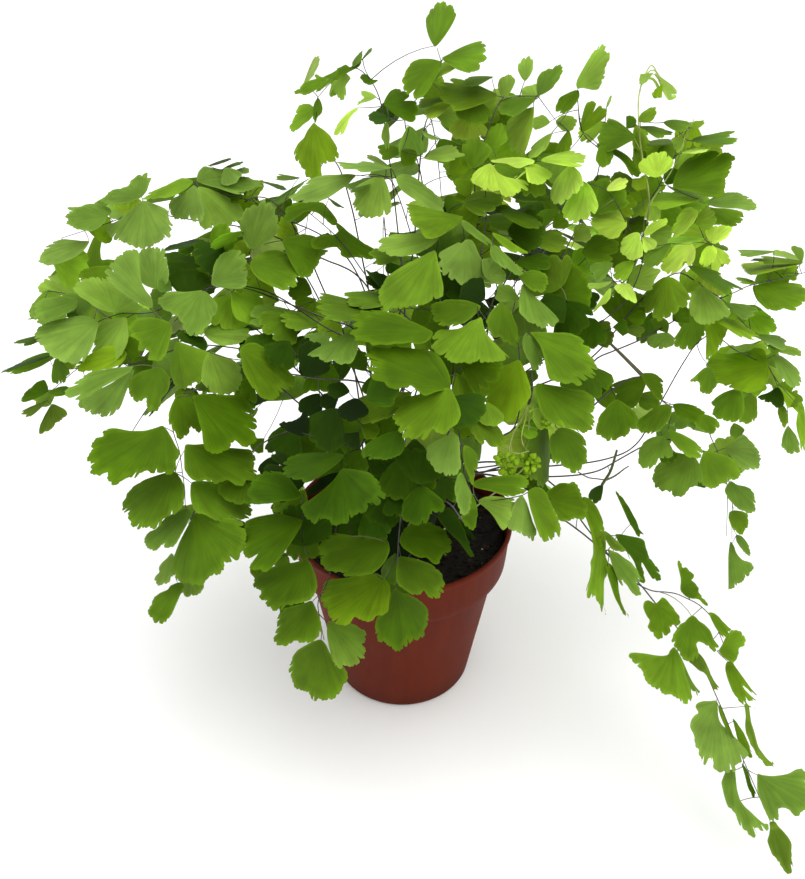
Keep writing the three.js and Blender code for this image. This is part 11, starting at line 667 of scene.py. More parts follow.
    "frond_34": (1, [(-0.9, 5.9, 89), (-0.6, 6, 97.1), (-0.1, 6.2, 105.1), (0.6, 6.4, 113.2), (1.5, 6.7, 121.2), (2.7, 7.1, 129.2), (4.2, 7.5, 137.2), (6.1, 8.1, 145), (8.5, 9, 152.7), (11.5, 10.1, 160.1), (15.3, 11.5, 167.1), (19.8, 13.2, 173.6), (24.7, 15.3, 179.7), (29.9, 17.6, 185.5), (34.9, 20.1, 191.4), (39.5, 22.6, 197.6), (43.3, 24.8, 204.4), (47.1, 26.9, 211.2), (51.2, 29.3, 217.7), (56.1, 32, 223.6), (61.7, 35.1, 228.5), (68.2, 38.7, 231.5), (75.3, 42.6, 231.3), (81.9, 46.3, 228.6), (87.8, 49.5, 224.2), (93.1, 52.5, 218.9), (98, 55.2, 213)], [
        (28.3, 12, 181, 0.698, -0.673, 0.244, -0.251, 0.088, 0.964, 17.9, -57, 18.9, 17.9, 57, 13, -1, 12.48, ()),
        (31.2, 19.7, 189.8, -0.084, 0.995, -0.047, 0.385, 0.076, 0.92, 22.3, -44, 23.5, 22.3, 44, 2, -1, 13.41, ()),
        (42.8, 19.2, 197.9, 0.753, -0.625, 0.208, 0.115, 0.436, 0.893, 23.4, -50, 24.7, 23.4, 50, 18, -1, 14.89, ()),
        (43, 29.9, 205.1, -0.335, 0.871, -0.36, 0.182, 0.435, 0.882, 18, -47, 19, 18, 47, 17, -1, 16.36, ()),
        (69.9, 51.9, 220.1, 0.858, -0.471, -0.205, 0.397, 0.354, 0.847, 22.3, -52, 23.5, 22.3, 52, 4, -1, 22.45, ()),
        (71.9, 41, 232.8, 0.187, 0.965, -0.184, 0.566, 0.047, 0.823, 21.2, -44, 22.4, 21.2, 44, 3, -1, 21.5, ()),
        (85.8, 58.3, 222, 0.874, -0.286, -0.393, 0.483, 0.43, 0.763, 17.2, -44, 18.1, 17.2, 44, 17, 8, 1, ()),
        (96.4, 46.9, 219, 0.806, -0.493, -0.328, 0.424, 0.095, 0.9, 18.4, -52, 19.3, 18.4, 52, 2, -1, 25.11, ()),
        (90.1, 61.8, 217.6, -0.055, 0.868, -0.493, 0.273, 0.488, 0.829, 21.4, -54, 22.5, 21.4, 54, 18, 9, 1, ()),
        (89.8, 58.2, 212.2, 0.109, 0.703, -0.703, 0.402, 0.616, 0.678, 18, -50, 19, 18, 50, 19, -1, 25.55, ()),
    ]),
    "frond_35": (1, [(-6.5, 15.2, 89), (-6.1, 15.5, 97.1), (-5.3, 15.9, 105.1), (-4.2, 16.4, 113.1), (-2.6, 17.1, 121), (-0.3, 17.7, 128.7), (2.7, 18.6, 136.1), (6.4, 19.9, 143.1), (10.8, 21.5, 149.7), (15.9, 23.6, 155.6), (21.5, 26.3, 160.8), (27.3, 29.4, 165.5), (32.9, 33.1, 170.1), (38, 37.2, 174.7), (42.3, 41.3, 180.1), (46.3, 45.3, 185.9), (50.4, 49.4, 191.5), (54.9, 53.9, 196.5), (59.8, 58.8, 200.6), (65.1, 64.1, 203.5), (70.8, 69.7, 204.7), (76.4, 75.4, 204.1), (81.8, 80.8, 201.5), (86.8, 85.8, 197.5), (91.3, 90.4, 192.7), (95.5, 94.7, 187.3), (99.4, 98.7, 181.5)], [
        (42.2, 37.2, 173.4, 0.965, -0.226, 0.132, 0.057, 0.672, 0.738, 18, -54, 19, 18, 54, 0, -1, 13.36, ()),
        (41, 46.5, 180.2, -0.499, 0.802, -0.328, 0.503, 0.576, 0.645, 20.1, -44, 21.2, 20.1, 44, 0, -1, 14.3, ()),
        (35.4, 64.9, 177, -0.449, 0.887, -0.104, 0.449, 0.325, 0.832, 20.3, -43, 21.4, 20.3, 43, 0, 1, 1, ()),
        (53.6, 46.2, 188.9, 0.907, -0.371, -0.199, 0.325, 0.315, 0.892, 17.2, -52, 18.1, 17.2, 52, 0, -1, 15.7, ()),
        (54.2, 58.9, 196.5, -0.164, 0.986, -0.03, 0.518, 0.112, 0.848, 16.4, -56, 17.3, 16.4, 56, 18, -1, 17.48, ()),
        (68.5, 61.2, 202.5, 0.949, -0.303, -0.084, 0.262, 0.616, 0.743, 15.8, -51, 16.7, 15.8, 51, 0, -1, 19.15, ()),
        (80.9, 55.9, 198.3, 0.902, -0.356, -0.244, 0.416, 0.57, 0.709, 21.3, -44, 22.4, 21.3, 44, 12, 5, 1, ()),
        (68.5, 74.3, 204, -0.536, 0.831, -0.15, -0.067, 0.136, 0.989, 17.4, -57, 18.3, 17.4, 57, 0, -1, 20.07, ()),
        (67.6, 86.1, 196.9, -0.182, 0.883, -0.433, 0.329, 0.469, 0.819, 22.9, -44, 24.2, 22.9, 44, 1, -1, 21.47, ()),
        (86.5, 84.4, 197.6, 0.882, -0.133, -0.451, 0.462, 0.424, 0.779, 20, -50, 21, 20, 50, 0, -1, 22.73, ()),
        (86.2, 89.2, 194, -0.243, 0.72, -0.65, 0.52, 0.662, 0.539, 20.3, -47, 21.3, 20.3, 47, 4, -1, 23.67, ()),
        (84.4, 102.2, 182.8, -0.188, 0.707, -0.681, 0.388, 0.691, 0.61, 22.7, -49, 23.9, 22.7, 49, 0, -1, 25.05, ()),
        (99.4, 93.5, 184, 0.734, -0.293, -0.613, 0.679, 0.296, 0.672, 15.3, -40, 16.1, 15.3, 40, 3, -1, 25.52, ()),
        (110.2, 85.8, 178.8, 0.762, -0.481, -0.433, 0.612, 0.318, 0.724, 17.6, -56, 18.5, 17.6, 56, 3, 12, 1, ()),
    ]),
    "frond_36": (1, [(-5.1, 19.3, 89), (-4.9, 19.4, 97), (-4.6, 19.5, 104.9), (-4.2, 19.6, 112.9), (-3.7, 19.7, 120.8), (-2.9, 19.9, 128.7), (-2, 20, 136.6), (-0.9, 20.2, 144.5), (0.3, 20.6, 152.4), (1.8, 21.2, 160.2), (3.6, 21.9, 168), (5.9, 22.9, 175.5), (8.7, 24.3, 182.8), (11.9, 26.2, 189.9), (15.3, 28.8, 196.6), (18.5, 32.1, 203), (21.4, 35.7, 209.5), (23.8, 39.4, 216.1), (25.7, 42.8, 223.1), (27.6, 46.1, 230.1), (29.6, 49.7, 236.9), (32, 54, 243.3), (34.8, 58.8, 248.9), (38, 64.6, 253.3), (41.7, 71.4, 254.8), (45.4, 78.3, 253.2), (48.7, 84.4, 249.5), (51.6, 89.9, 244.5), (54.2, 95, 239), (56.6, 99.6, 232.9), (58.8, 103.9, 226.6), (60.9, 107.9, 220)], [
        (15.8, 35.8, 201.4, -0.409, 0.912, -0.04, 0.273, 0.164, 0.948, 14.4, -53, 15.2, 14.4, 53, 13, -1, 14.78, ()),
        (12.2, 52.3, 206.1, -0.303, 0.891, 0.339, 0.728, -0.013, 0.685, 15.2, -47, 16, 15.2, 47, 9, 3, 1, ()),
        (25.3, 33.6, 209.1, 0.931, -0.201, 0.305, -0.182, 0.469, 0.864, 17.2, -40, 18.1, 17.2, 40, 9, -1, 16.2, ()),
        (21.5, 49.7, 215.9, -0.581, 0.798, 0.161, 0.245, -0.017, 0.969, 16.1, -45, 16.9, 16.1, 45, 13, -1, 17.21, ()),
        (32.5, 53.1, 224.7, 0.979, -0.17, 0.115, 0.033, 0.684, 0.729, 24, -41, 25.3, 24, 41, 6, -1, 19.16, ()),
        (39.4, 58, 247.9, 0.998, -0.021, -0.053, 0.054, 0.028, 0.998, 19.3, -46, 20.4, 19.3, 46, 19, -1, 22.27, ()),
        (53.1, 58.8, 251.6, 0.983, 0.038, 0.18, -0.155, 0.698, 0.699, 16.9, -52, 17.8, 16.9, 52, 11, 5, 1, ()),
        (35.6, 69.1, 253.1, -0.478, 0.878, -0.031, 0.576, 0.34, 0.743, 17.7, -47, 18.7, 17.7, 47, 9, -1, 23.51, ()),
        (45.6, 86.4, 247.5, -0.494, 0.641, -0.587, 0.419, 0.767, 0.486, 18, -56, 18.9, 18, 56, 9, -1, 26.25, ()),
        (55.3, 83.1, 242.8, 0.779, -0.178, -0.602, 0.603, 0.476, 0.64, 18.1, -51, 19.1, 18.1, 51, 9, -1, 26.73, ()),
        (65.8, 90.1, 229.7, 0.707, -0.076, -0.704, 0.705, 0.16, 0.691, 21.2, -40, 22.3, 21.2, 40, 9, -1, 29.11, ()),
        (53.8, 103.1, 229.6, -0.614, 0.602, -0.511, -0.003, 0.645, 0.764, 17.4, -51, 18.3, 17.4, 51, 9, -1, 29.63, ()),
        (65, 112.3, 217.3, 0.808, -0.119, -0.577, 0.503, 0.649, 0.571, 22.4, -46, 23.5, 22.4, 46, 9, -1, 31, ()),
        (33.1, 59.7, 251.9, -0.426, -0.583, -0.692, 0.153, -0.8, 0.58, 12.5, -56, 15.5, 14.7, 57, 9, -1, 22.21, ()),
        (51, 68.8, 260.1, -0.717, 0.052, 0.695, 0.169, -0.955, 0.246, 15.1, -58, 16.7, 15.1, 50, 7, -1, 24.13, ()),
        (67.8, 104, 214.5, -0.807, -0.54, -0.24, 0, -0.406, 0.914, 12.3, -60, 12.3, 12.3, 60, 3, -1, 31, ((1, -0.9), (3.9, 1.9), (5.8, 5.6), (7.8, 7.1), (6.3, 9.7), (3.5, 9.4), (0.3, 10.7), (-3.8, 9.6), (-8.7, 8.6), (-11, 5.4), (-5.2, -0.2))),
    ]),
    "frond_37": (1, [(-12.3, 11, 89), (-12, 11.3, 97), (-11.5, 11.8, 105), (-10.7, 12.5, 113), (-9.7, 13.6, 120.9), (-8.5, 14.9, 128.7), (-6.9, 16.7, 136.3), (-4.7, 18.9, 143.7), (-1.8, 21.6, 150.7), (1.4, 24.9, 157.1), (5.1, 28.9, 163), (8.9, 33.5, 168.3), (12.6, 38.7, 173.3), (15.8, 44.1, 178.1), (18.5, 49.8, 183.2), (20.4, 54.8, 189.1), (22.3, 59.7, 195.2), (24.3, 64.8, 201), (26.5, 70.6, 206.1), (28.9, 76.8, 210.4), (31.6, 83.7, 213.5), (34.5, 91.1, 214.7), (37.3, 98.4, 213.6), (40, 105.1, 210.3), (42.3, 111.1, 205.4), (44.5, 116.4, 199.9), (46.5, 121.3, 193.8), (48.3, 125.9, 187.5), (50, 130.1, 180.9), (51.6, 134, 174.1), (53.1, 137.8, 167.2)], [
        (22.6, 52.5, 176.9, 0.953, -0.211, -0.216, 0.302, 0.644, 0.703, 17.2, -49, 18.1, 17.2, 49, 1, -1, 13.61, ()),
        (17, 58.8, 190.4, -0.736, 0.669, 0.103, 0.387, 0.292, 0.874, 19.1, -42, 20.1, 19.1, 42, 1, -1, 15.12, ()),
        (28.1, 61.9, 197.2, 0.944, -0.152, -0.294, 0.3, 0.019, 0.954, 15.4, -39, 16.3, 15.4, 39, 13, -1, 16.58, ()),
        (22.6, 73.6, 205.6, -0.746, 0.664, -0.049, 0.043, 0.122, 0.992, 16.4, -43, 17.2, 16.4, 43, 1, -1, 17.94, ()),
        (34.6, 79.3, 210.8, 0.993, 0.06, -0.101, 0.06, 0.477, 0.877, 17.4, -52, 18.3, 17.4, 52, 4, -1, 19.68, ()),
        (47.4, 85.3, 213.7, 0.936, 0.329, 0.127, -0.294, 0.527, 0.798, 15.8, -40, 16.6, 15.8, 40, 3, -1, 20.98, ()),
        (29.7, 91, 212.9, -0.667, 0.678, -0.31, 0.405, 0.679, 0.613, 22.5, -46, 23.6, 22.5, 46, 1, -1, 20.53, ()),
        (41.7, 105.4, 209.2, 0.836, 0.315, -0.449, 0.262, 0.491, 0.831, 16.8, -52, 17.7, 16.8, 52, 1, -1, 23.23, ()),
        (39.3, 109.5, 204.8, -0.414, 0.602, -0.682, 0.068, 0.768, 0.637, 18.2, -57, 19.2, 18.2, 57, 1, -1, 23.69, ()),
        (48.8, 118.9, 194.7, 0.737, 0.079, -0.671, 0.438, 0.7, 0.564, 17.4, -47, 18.3, 17.4, 47, 8, -1, 25.68, ()),
        (59.4, 122.3, 185.1, 0.745, 0.133, -0.653, 0.507, 0.523, 0.685, 22.9, -38, 24.1, 22.9, 38, 2, -1, 27.54, ()),
        (44.2, 118.6, 188.6, -0.66, 0.485, -0.574, -0.21, 0.614, 0.76, 20.9, -52, 22, 20.9, 52, 1, -1, 26.11, ()),
        (40, 134.4, 174.1, -0.431, 0.532, -0.729, 0.354, 0.843, 0.406, 17.4, -45, 18.4, 17.4, 45, 1, -1, 28.57, ()),
        (54.4, 130.8, 174.2, 0.738, -0.062, -0.671, 0.492, 0.73, 0.475, 20.7, -54, 21.8, 20.7, 54, 2, -1, 29.11, ()),
        (66.2, 133, 165, 0.796, -0.031, -0.604, 0.545, 0.47, 0.694, 18.9, -46, 19.9, 18.9, 46, 1, -1, 30, ()),
        (49.9, 112.2, 206.9, 0.965, -0.238, -0.106, 0, -0.406, 0.914, 12.7, -60, 12.7, 12.7, 60, 3, -1, 24, ((-1.9, -3.5), (-2, -0.4), (-3.8, 3.4), (-1.6, 5.9), (-1, 9.1), (-2.2, 11), (0.9, 12.6), (3.5, 8), (4.2, 3), (4, -1.7))),
    ]),
    "frond_38": (1, [(-12.5, 15.6, 89), (-12.3, 15.8, 97), (-12.1, 16, 105), (-11.8, 16.2, 112.9), (-11.4, 16.5, 120.9), (-10.8, 16.9, 128.9), (-10.1, 17.3, 136.9), (-9.2, 17.9, 144.8), (-8.4, 18.7, 152.8), (-7.5, 19.6, 160.6), (-6.4, 20.8, 168.4), (-5, 22.5, 176.1), (-3.2, 24.6, 183.6), (-1.2, 27.3, 190.8), (0.8, 30.7, 197.7), (2.7, 34.7, 204.4), (4.2, 39, 210.9), (5.3, 43.4, 217.5), (5.9, 47.3, 224.4), (6.4, 51, 231.5), (7, 54.8, 238.5), (7.6, 58.9, 245.3), (8.3, 63.8, 251.6), (9.2, 69.5, 257.1), (10.4, 76.4, 260.9), (11.7, 84.1, 261.4), (13, 91.6, 259), (14.2, 98, 254.4), (15.2, 103.7, 248.9), (16.2, 108.9, 242.9), (17.1, 113.5, 236.5), (18, 117.9, 229.8), (18.8, 121.9, 223), (19.6, 125.7, 216), (20.3, 129.4, 208.9), (21.1, 132.8, 201.7), (21.8, 136.2, 194.5), (22.4, 139.3, 187.1), (23.1, 142.3, 179.8), (23.7, 145.3, 172.4), (24.4, 148.3, 165)], [
        (11.4, 53.1, 234.3, 0.972, 0.199, 0.125, -0.206, 0.46, 0.864, 14.5, -44, 15.2, 14.5, 44, 15, -1, 19.31, ()),
        (28.9, 92.6, 256.7, 0.895, 0.376, -0.24, 0.029, 0.487, 0.873, 14.6, -39, 15.3, 14.6, 39, 15, -1, 26.53, ()),
        (10.5, 96.9, 253.2, -0.614, 0.358, -0.703, -0.387, 0.64, 0.664, 22.5, -44, 23.7, 22.5, 44, 13, -1, 27.01, ()),
        (18.4, 105.2, 244.9, 0.623, 0.245, -0.743, 0.334, 0.776, 0.536, 16.9, -49, 17.8, 16.9, 49, 7, -1, 28.45, ()),
        (4.3, 119.2, 229.4, -0.642, 0.467, -0.608, -0.251, 0.622, 0.742, 20.9, -55, 22, 20.9, 55, 10, -1, 30.72, ()),
        (33.1, 116.6, 220.6, 0.81, -0.003, -0.587, 0.484, 0.568, 0.665, 22.9, -52, 24.1, 22.9, 52, 19, -1, 32.14, ()),
        (25.1, 135.4, 193.6, 0.715, 0.074, -0.695, 0.302, 0.864, 0.404, 17.2, -42, 18.1, 17.2, 42, 15, -1, 36.1, ()),
        (19.2, 143.6, 182, -0.681, 0.259, -0.685, -0.417, 0.633, 0.653, 20.5, -52, 21.6, 20.5, 52, 15, -1, 37.55, ()),
        (27.2, 154.6, 167.2, 0.638, 0.022, -0.769, 0.77, -0.032, 0.638, 18.9, -46, 19.9, 18.9, 46, 15, -1, 40, ()),
        (21.1, 151.2, 160.8, -0.674, 0.268, -0.688, -0.154, 0.861, 0.485, 21.5, -53, 22.6, 21.5, 53, 15, -1, 40, ()),
        (13.8, 66.9, 269, 0.998, -0.055, -0.044, -0.027, -0.874, 0.485, 11.2, -48, 13, 11.1, 39, 12, -1, 23.52, ()),
        (11.9, 69.2, 268.3, -0.865, 0.441, 0.24, 0.202, -0.132, 0.97, 7.6, -61, 8.4, 7.1, 64, 8, 10, 0.81, ()),
        (25.6, 114.4, 237.7, 0.024, 0.914, 0.406, 0, -0.406, 0.914, 19.8, -60, 19.8, 19.8, 60, 3, -1, 30, ((-7, 18.3), (-5, 19.1), (-2, 14.8), (2, 12.1), (6, 10.7), (9, 6.5), (6.9, 0.2), (2, -1.3), (-1, 1.4), (-1.5, 5.6), (-0.5, 9.2), (-3.5, 11.9), (-5.5, 14.8))),
    ]),
    "frond_39": (1, [(-15.9, 4.4, 89), (-15.8, 4.9, 97.1), (-15.5, 5.8, 105.1), (-15.1, 7, 113.1), (-14.6, 8.6, 120.9), (-14, 10.9, 128.7), (-13.2, 13.8, 136.1), (-12.2, 17.5, 143.2), (-10.7, 22, 149.8), (-9.1, 27.3, 155.7), (-7.6, 33.3, 160.9), (-6.3, 39.7, 165.6), (-5.7, 46.4, 170.1), (-5.6, 53, 174.7), (-6, 59, 180.2), (-6.5, 64.5, 186), (-6.9, 70.3, 191.6), (-7.4, 76.7, 196.6), (-7.9, 83.6, 200.7), (-8.4, 91.1, 203.6), (-8.8, 99.1, 204.7), (-9.2, 107.1, 203.9), (-9.5, 114.6, 200.7), (-9.8, 121.1, 196.1), (-10.1, 127.1, 190.6), (-10.3, 132.6, 184.7), (-10.4, 137.6, 178.4), (-10.5, 142.3, 171.9), (-10.6, 146.7, 165.1), (-10.7, 150.9, 158.2), (-10.8, 154.9, 151.2), (-10.8, 158.8, 144), (-10.9, 162.5, 136.8), (-10.9, 166, 129.5), (-11, 169.4, 122.2), (-11, 172.6, 114.8), (-11, 175.7, 107.4)], [
        (-1.5, 63.1, 170.4, 0.85, 0.224, -0.476, 0.355, 0.424, 0.833, 19.7, -47, 20.7, 19.7, 47, 2, -1, 13.8, ()),
        (10.8, 58.7, 180.7, 0.875, 0.479, 0.075, -0.295, 0.404, 0.865, 16.8, -42, 17.7, 16.8, 42, 5, -1, 13.8, ()),
        (-2.5, 73.2, 192.4, 0.905, 0.426, 0.012, -0.285, 0.584, 0.76, 17.9, -39, 18.8, 17.9, 39, 1, -1, 16.13, ()),
        (8.4, 82.2, 191.8, 0.811, 0.585, -0.028, -0.41, 0.601, 0.687, 22.2, -41, 23.3, 22.2, 41, 3, 2, 1, ()),
        (-4, 91, 201.1, 0.843, 0.381, -0.378, -0.144, 0.839, 0.525, 17.5, -41, 18.4, 17.5, 41, 2, -1, 18.74, ()),
        (-6.4, 128.2, 186.8, 0.733, 0.365, -0.575, 0.087, 0.787, 0.61, 21.4, -45, 22.6, 21.4, 45, 6, -1, 24.38, ()),
        (-6.6, 144.6, 164.8, 0.787, 0.156, -0.598, 0.04, 0.953, 0.301, 16.9, -42, 17.8, 16.9, 42, 5, -1, 27.72, ()),
        (-8, 158.1, 143.2, 0.566, 0.206, -0.798, 0.712, 0.365, 0.599, 18.5, -43, 19.5, 18.5, 43, 5, -1, 31.05, ()),
        (4.4, 161.6, 136.7, 0.802, 0.234, -0.55, 0.438, 0.395, 0.807, 17.2, -39, 18.1, 17.2, 39, 1, -1, 32.06, ()),
        (-13.3, 157.2, 138.3, -0.519, 0.237, -0.821, -0.038, 0.954, 0.299, 16.7, -44, 17.6, 16.7, 44, 1, -1, 31.55, ()),
        (-23.6, 163.1, 128.1, -0.676, 0.243, -0.695, -0.709, 0.043, 0.704, 16.9, -44, 17.8, 16.9, 44, 3, -1, 33.12, ()),
        (-7.5, 167.2, 125.1, 0.687, 0.152, -0.711, 0.117, 0.942, 0.314, 18.7, -40, 19.7, 18.7, 40, 9, -1, 33.57, ()),
        (-14.4, 169.8, 118.9, -0.696, 0.221, -0.683, -0.377, 0.698, 0.609, 20.1, -55, 21.2, 20.1, 55, 2, -1, 34.52, ()),
        (-21.4, 181.4, 102, -0.532, 0.212, -0.82, -0.134, 0.935, 0.329, 17.3, -53, 18.3, 17.3, 53, 6, -1, 36, ()),
    ]),
    "frond_40": (1, [(-16.5, -0.3, 89), (-16.5, 0, 97.1), (-16.4, 0.5, 105.1), (-16.3, 1, 113.2), (-16.1, 1.8, 121.2), (-15.9, 2.8, 129.2), (-15.6, 4.1, 137.2), (-15.3, 5.7, 145.1), (-14.9, 7.7, 152.9), (-14.5, 10.2, 160.5), (-14.1, 13.4, 167.9), (-13.7, 17.2, 175), (-13.5, 21.7, 181.7), (-13.7, 26.7, 188.1), (-14.3, 31.9, 194.2), (-15.4, 37, 200.3), (-17.1, 41.7, 206.7), (-18.6, 45.4, 213.6), (-20.2, 49.2, 220.6), (-21.8, 53.2, 227.4), (-23.8, 57.8, 233.7), (-26, 63.2, 239.3), (-28.6, 69.5, 243.5), (-31.7, 76.8, 244.7), (-34.7, 84, 242.7), (-37.4, 90.3, 238.5), (-39.7, 95.9, 233.1), (-41.9, 100.9, 227.2), (-43.8, 105.4, 220.8), (-45.6, 109.6, 214.1), (-47.3, 113.5, 207.3), (-48.8, 117.1, 200.3), (-50.3, 120.6, 193.1), (-51.8, 124, 185.9), (-53.1, 127.1, 178.7), (-54.4, 130.1, 171.3)], [
        (-13.2, 40.7, 209.8, 0.74, 0.628, 0.24, -0.581, 0.419, 0.698, 21.9, -46, 23, 21.9, 46, 10, -1, 15.99, ()),
        (-24.4, 50.5, 214.9, -0.997, -0.025, 0.077, 0.054, 0.511, 0.858, 19.8, -39, 20.8, 19.8, 39, 12, -1, 17.38, ()),
        (-18.2, 56, 225.7, 0.624, 0.781, 0.022, -0.364, 0.265, 0.893, 18.5, -47, 19.5, 18.5, 47, 10, -1, 18.73, ()),
        (-9.2, 66.2, 229.3, 0.64, 0.744, 0.194, -0.626, 0.358, 0.693, 15.9, -47, 16.7, 15.9, 47, 12, 2, 1, ()),
        (-54.5, 97.3, 218.7, -0.746, -0.052, -0.664, -0.34, 0.887, 0.313, 23.5, -41, 24.7, 23.5, 41, 7, -1, 27.89, ()),
        (-50.1, 113.8, 207.5, -0.742, 0.025, -0.67, -0.659, 0.162, 0.735, 16.5, -44, 17.3, 16.5, 44, 7, -1, 30.21, ()),
        (-54.4, 123.4, 187.6, -0.725, -0.041, -0.688, -0.67, 0.274, 0.69, 17.6, -56, 18.5, 17.6, 56, 10, -1, 32.66, ()),
        (-58.2, 131.3, 170.4, -0.808, -0.142, -0.572, -0.582, 0.349, 0.735, 22.4, -42, 23.5, 22.4, 42, 12, -1, 35, ()),
    ]),
    "frond_41": (1, [(-9.4, 1.3, 89), (-9.9, 1.6, 97.1), (-10.6, 2.1, 105.2), (-11.4, 3.1, 113.2), (-12, 4.7, 121.1), (-12.7, 7, 128.9), (-13.8, 10.1, 136.4), (-15.2, 13.9, 143.5), (-17.3, 18.4, 150), (-19.8, 23.5, 155.7), (-22.8, 29.2, 160.7), (-26.2, 35, 165.3), (-29.9, 40.6, 169.9), (-33.6, 45.6, 175.2), (-37, 50.2, 181), (-40.5, 54.8, 186.7), (-44.3, 59.9, 191.6), (-48.5, 65.5, 195.8), (-53.1, 71.6, 198.6), (-58, 78, 199.8), (-62.8, 84.4, 198.8), (-67.4, 90.4, 195.7), (-71.5, 95.7, 191.1), (-75.2, 100.6, 185.8), (-78.7, 105, 180), (-81.9, 109.2, 173.7), (-84.9, 113, 167.3), (-87.7, 116.7, 160.6)], [
        (-29.8, 47.9, 171.8, 0.45, 0.876, -0.173, -0.434, 0.384, 0.815, 16.9, -52, 17.7, 16.9, 52, 4, -1, 12.55, ()),
        (-22, 59.1, 168.6, 0.526, 0.823, -0.213, -0.17, 0.347, 0.922, 20.2, -43, 21.2, 20.2, 43, 3, 0, 1, ()),
        (-40.5, 39.1, 185.7, -0.954, -0.287, 0.081, -0.123, 0.628, 0.768, 17.2, -58, 18.1, 17.2, 58, 9, -1, 13.9, ()),
        (-52.8, 63.9, 193.9, -0.916, -0.235, -0.325, -0.383, 0.269, 0.884, 23.7, -40, 24.9, 23.7, 40, 4, -1, 16.93, ()),
        (-54.3, 79.6, 197.7, 0.295, 0.889, -0.351, -0.31, 0.437, 0.845, 22.3, -40, 23.4, 22.3, 40, 3, -1, 19, ()),
        (-50, 82, 199.9, 0.24, 0.941, -0.238, -0.229, 0.293, 0.928, 17.3, -49, 18.2, 17.3, 49, 9, 4, 1, ()),
        (-64.5, 79.6, 197.5, -0.862, -0.262, -0.434, -0.506, 0.512, 0.695, 16.3, -41, 17.1, 16.3, 41, 4, -1, 19.9, ()),
        (-76.2, 74.6, 195.6, -0.913, 0.075, -0.402, -0.35, 0.364, 0.863, 19.4, -50, 20.4, 19.4, 50, 3, 6, 1, ()),
        (-64.2, 95.4, 193, 0.511, 0.707, -0.489, -0.329, 0.686, 0.649, 20.8, -44, 21.9, 20.8, 44, 9, -1, 21.17, ()),
        (-57.7, 110.4, 183.3, 0.507, 0.697, -0.507, -0.178, 0.661, 0.729, 19.7, -39, 20.7, 19.7, 39, 4, -1, 23.07, ()),
        (-76.8, 101.9, 184.6, -0.775, -0.22, -0.592, -0.597, 0.562, 0.572, 20.9, -52, 22, 20.9, 52, 3, -1, 23.46, ()),
        (-75.7, 106.6, 179.2, 0.266, 0.621, -0.737, -0.088, 0.777, 0.623, 14.5, -50, 15.2, 14.5, 50, 9, -1, 23.86, ()),
        (-86.4, 111.1, 168.5, -0.73, -0.148, -0.668, -0.642, 0.483, 0.595, 23.6, -47, 24.8, 23.6, 47, 9, -1, 25.61, ()),
        (-94.6, 107.7, 158.4, -0.646, -0.108, -0.756, -0.701, 0.476, 0.531, 16.8, -56, 17.7, 16.8, 56, 3, -1, 27, ()),
    ]),
    "frond_42": (1, [(-17.9, 9, 89), (-18, 9.2, 97.1), (-18.1, 9.4, 105.2), (-18.2, 9.6, 113.3), (-18.4, 10, 121.3), (-18.6, 10.4, 129.4), (-18.8, 11, 137.5), (-19.2, 11.7, 145.5), (-19.7, 12.7, 153.5), (-20.5, 14, 161.4), (-21.6, 15.8, 169.2), (-23.4, 18.2, 176.7), (-25.8, 21.3, 183.8), (-29, 24.8, 190.3), (-32.5, 28.3, 196.7), (-35.8, 31.6, 203.2), (-38.9, 34.7, 210), (-42.1, 37.9, 216.7), (-45.7, 41.4, 223), (-49.9, 45.4, 228.6), (-54.8, 50.2, 232.7), (-60.2, 56, 234.1), (-65.3, 61.9, 232.6), (-69.7, 67.8, 229.6), (-74.1, 72.8, 225.2), (-78.7, 75.9, 219.4), (-82.9, 77.6, 212.7), (-86.3, 80.1, 205.9), (-89.4, 83.1, 199)], [
        (-25.4, 27.6, 186.9, 0.389, 0.921, -0.029, -0.774, 0.344, 0.532, 21.4, -41, 22.5, 21.4, 41, 9, -1, 12.49, ()),
        (-16.3, 38.2, 184.6, 0.581, 0.804, -0.126, -0.394, 0.413, 0.821, 15.1, -48, 15.9, 15.1, 48, 14, 0, 1, ()),
        (-36, 27.3, 192.8, -0.744, -0.571, -0.347, -0.629, 0.422, 0.653, 21.5, -40, 22.6, 21.5, 40, 1, -1, 13.86, ()),
        (-46.9, 39.4, 214, -0.903, -0.428, 0.028, -0.068, 0.207, 0.976, 15.5, -53, 16.3, 15.5, 53, 1, -1, 16.87, ()),
        (-58.6, 29.5, 213.4, -0.863, -0.498, -0.082, -0.354, 0.48, 0.803, 16.4, -50, 17.3, 16.4, 50, 14, 3, 1, ()),
        (-46.8, 51.8, 224.2, 0.193, 0.935, 0.297, -0.553, -0.146, 0.82, 16.9, -39, 17.8, 16.9, 39, 6, -1, 18.8, ()),
        (-59.4, 69.1, 218.4, -0.866, -0.45, -0.217, -0.377, 0.305, 0.874, 20.2, -39, 21.2, 20.2, 39, 14, -1, 22.94, ()),
        (-68.1, 35.9, 227.1, -0.892, -0.395, -0.219, -0.398, 0.458, 0.795, 15.1, -44, 15.9, 15.1, 44, 14, -1, 19.72, ()),
        (-56.9, 56.8, 233.8, 0.343, 0.924, -0.171, -0.546, 0.344, 0.764, 20.8, -56, 21.9, 20.8, 56, 12, -1, 20.62, ()),
        (-74.3, 79, 222.9, -0.851, -0.23, -0.471, -0.513, 0.182, 0.839, 21.5, -38, 22.6, 21.5, 38, 6, -1, 24.5, ()),
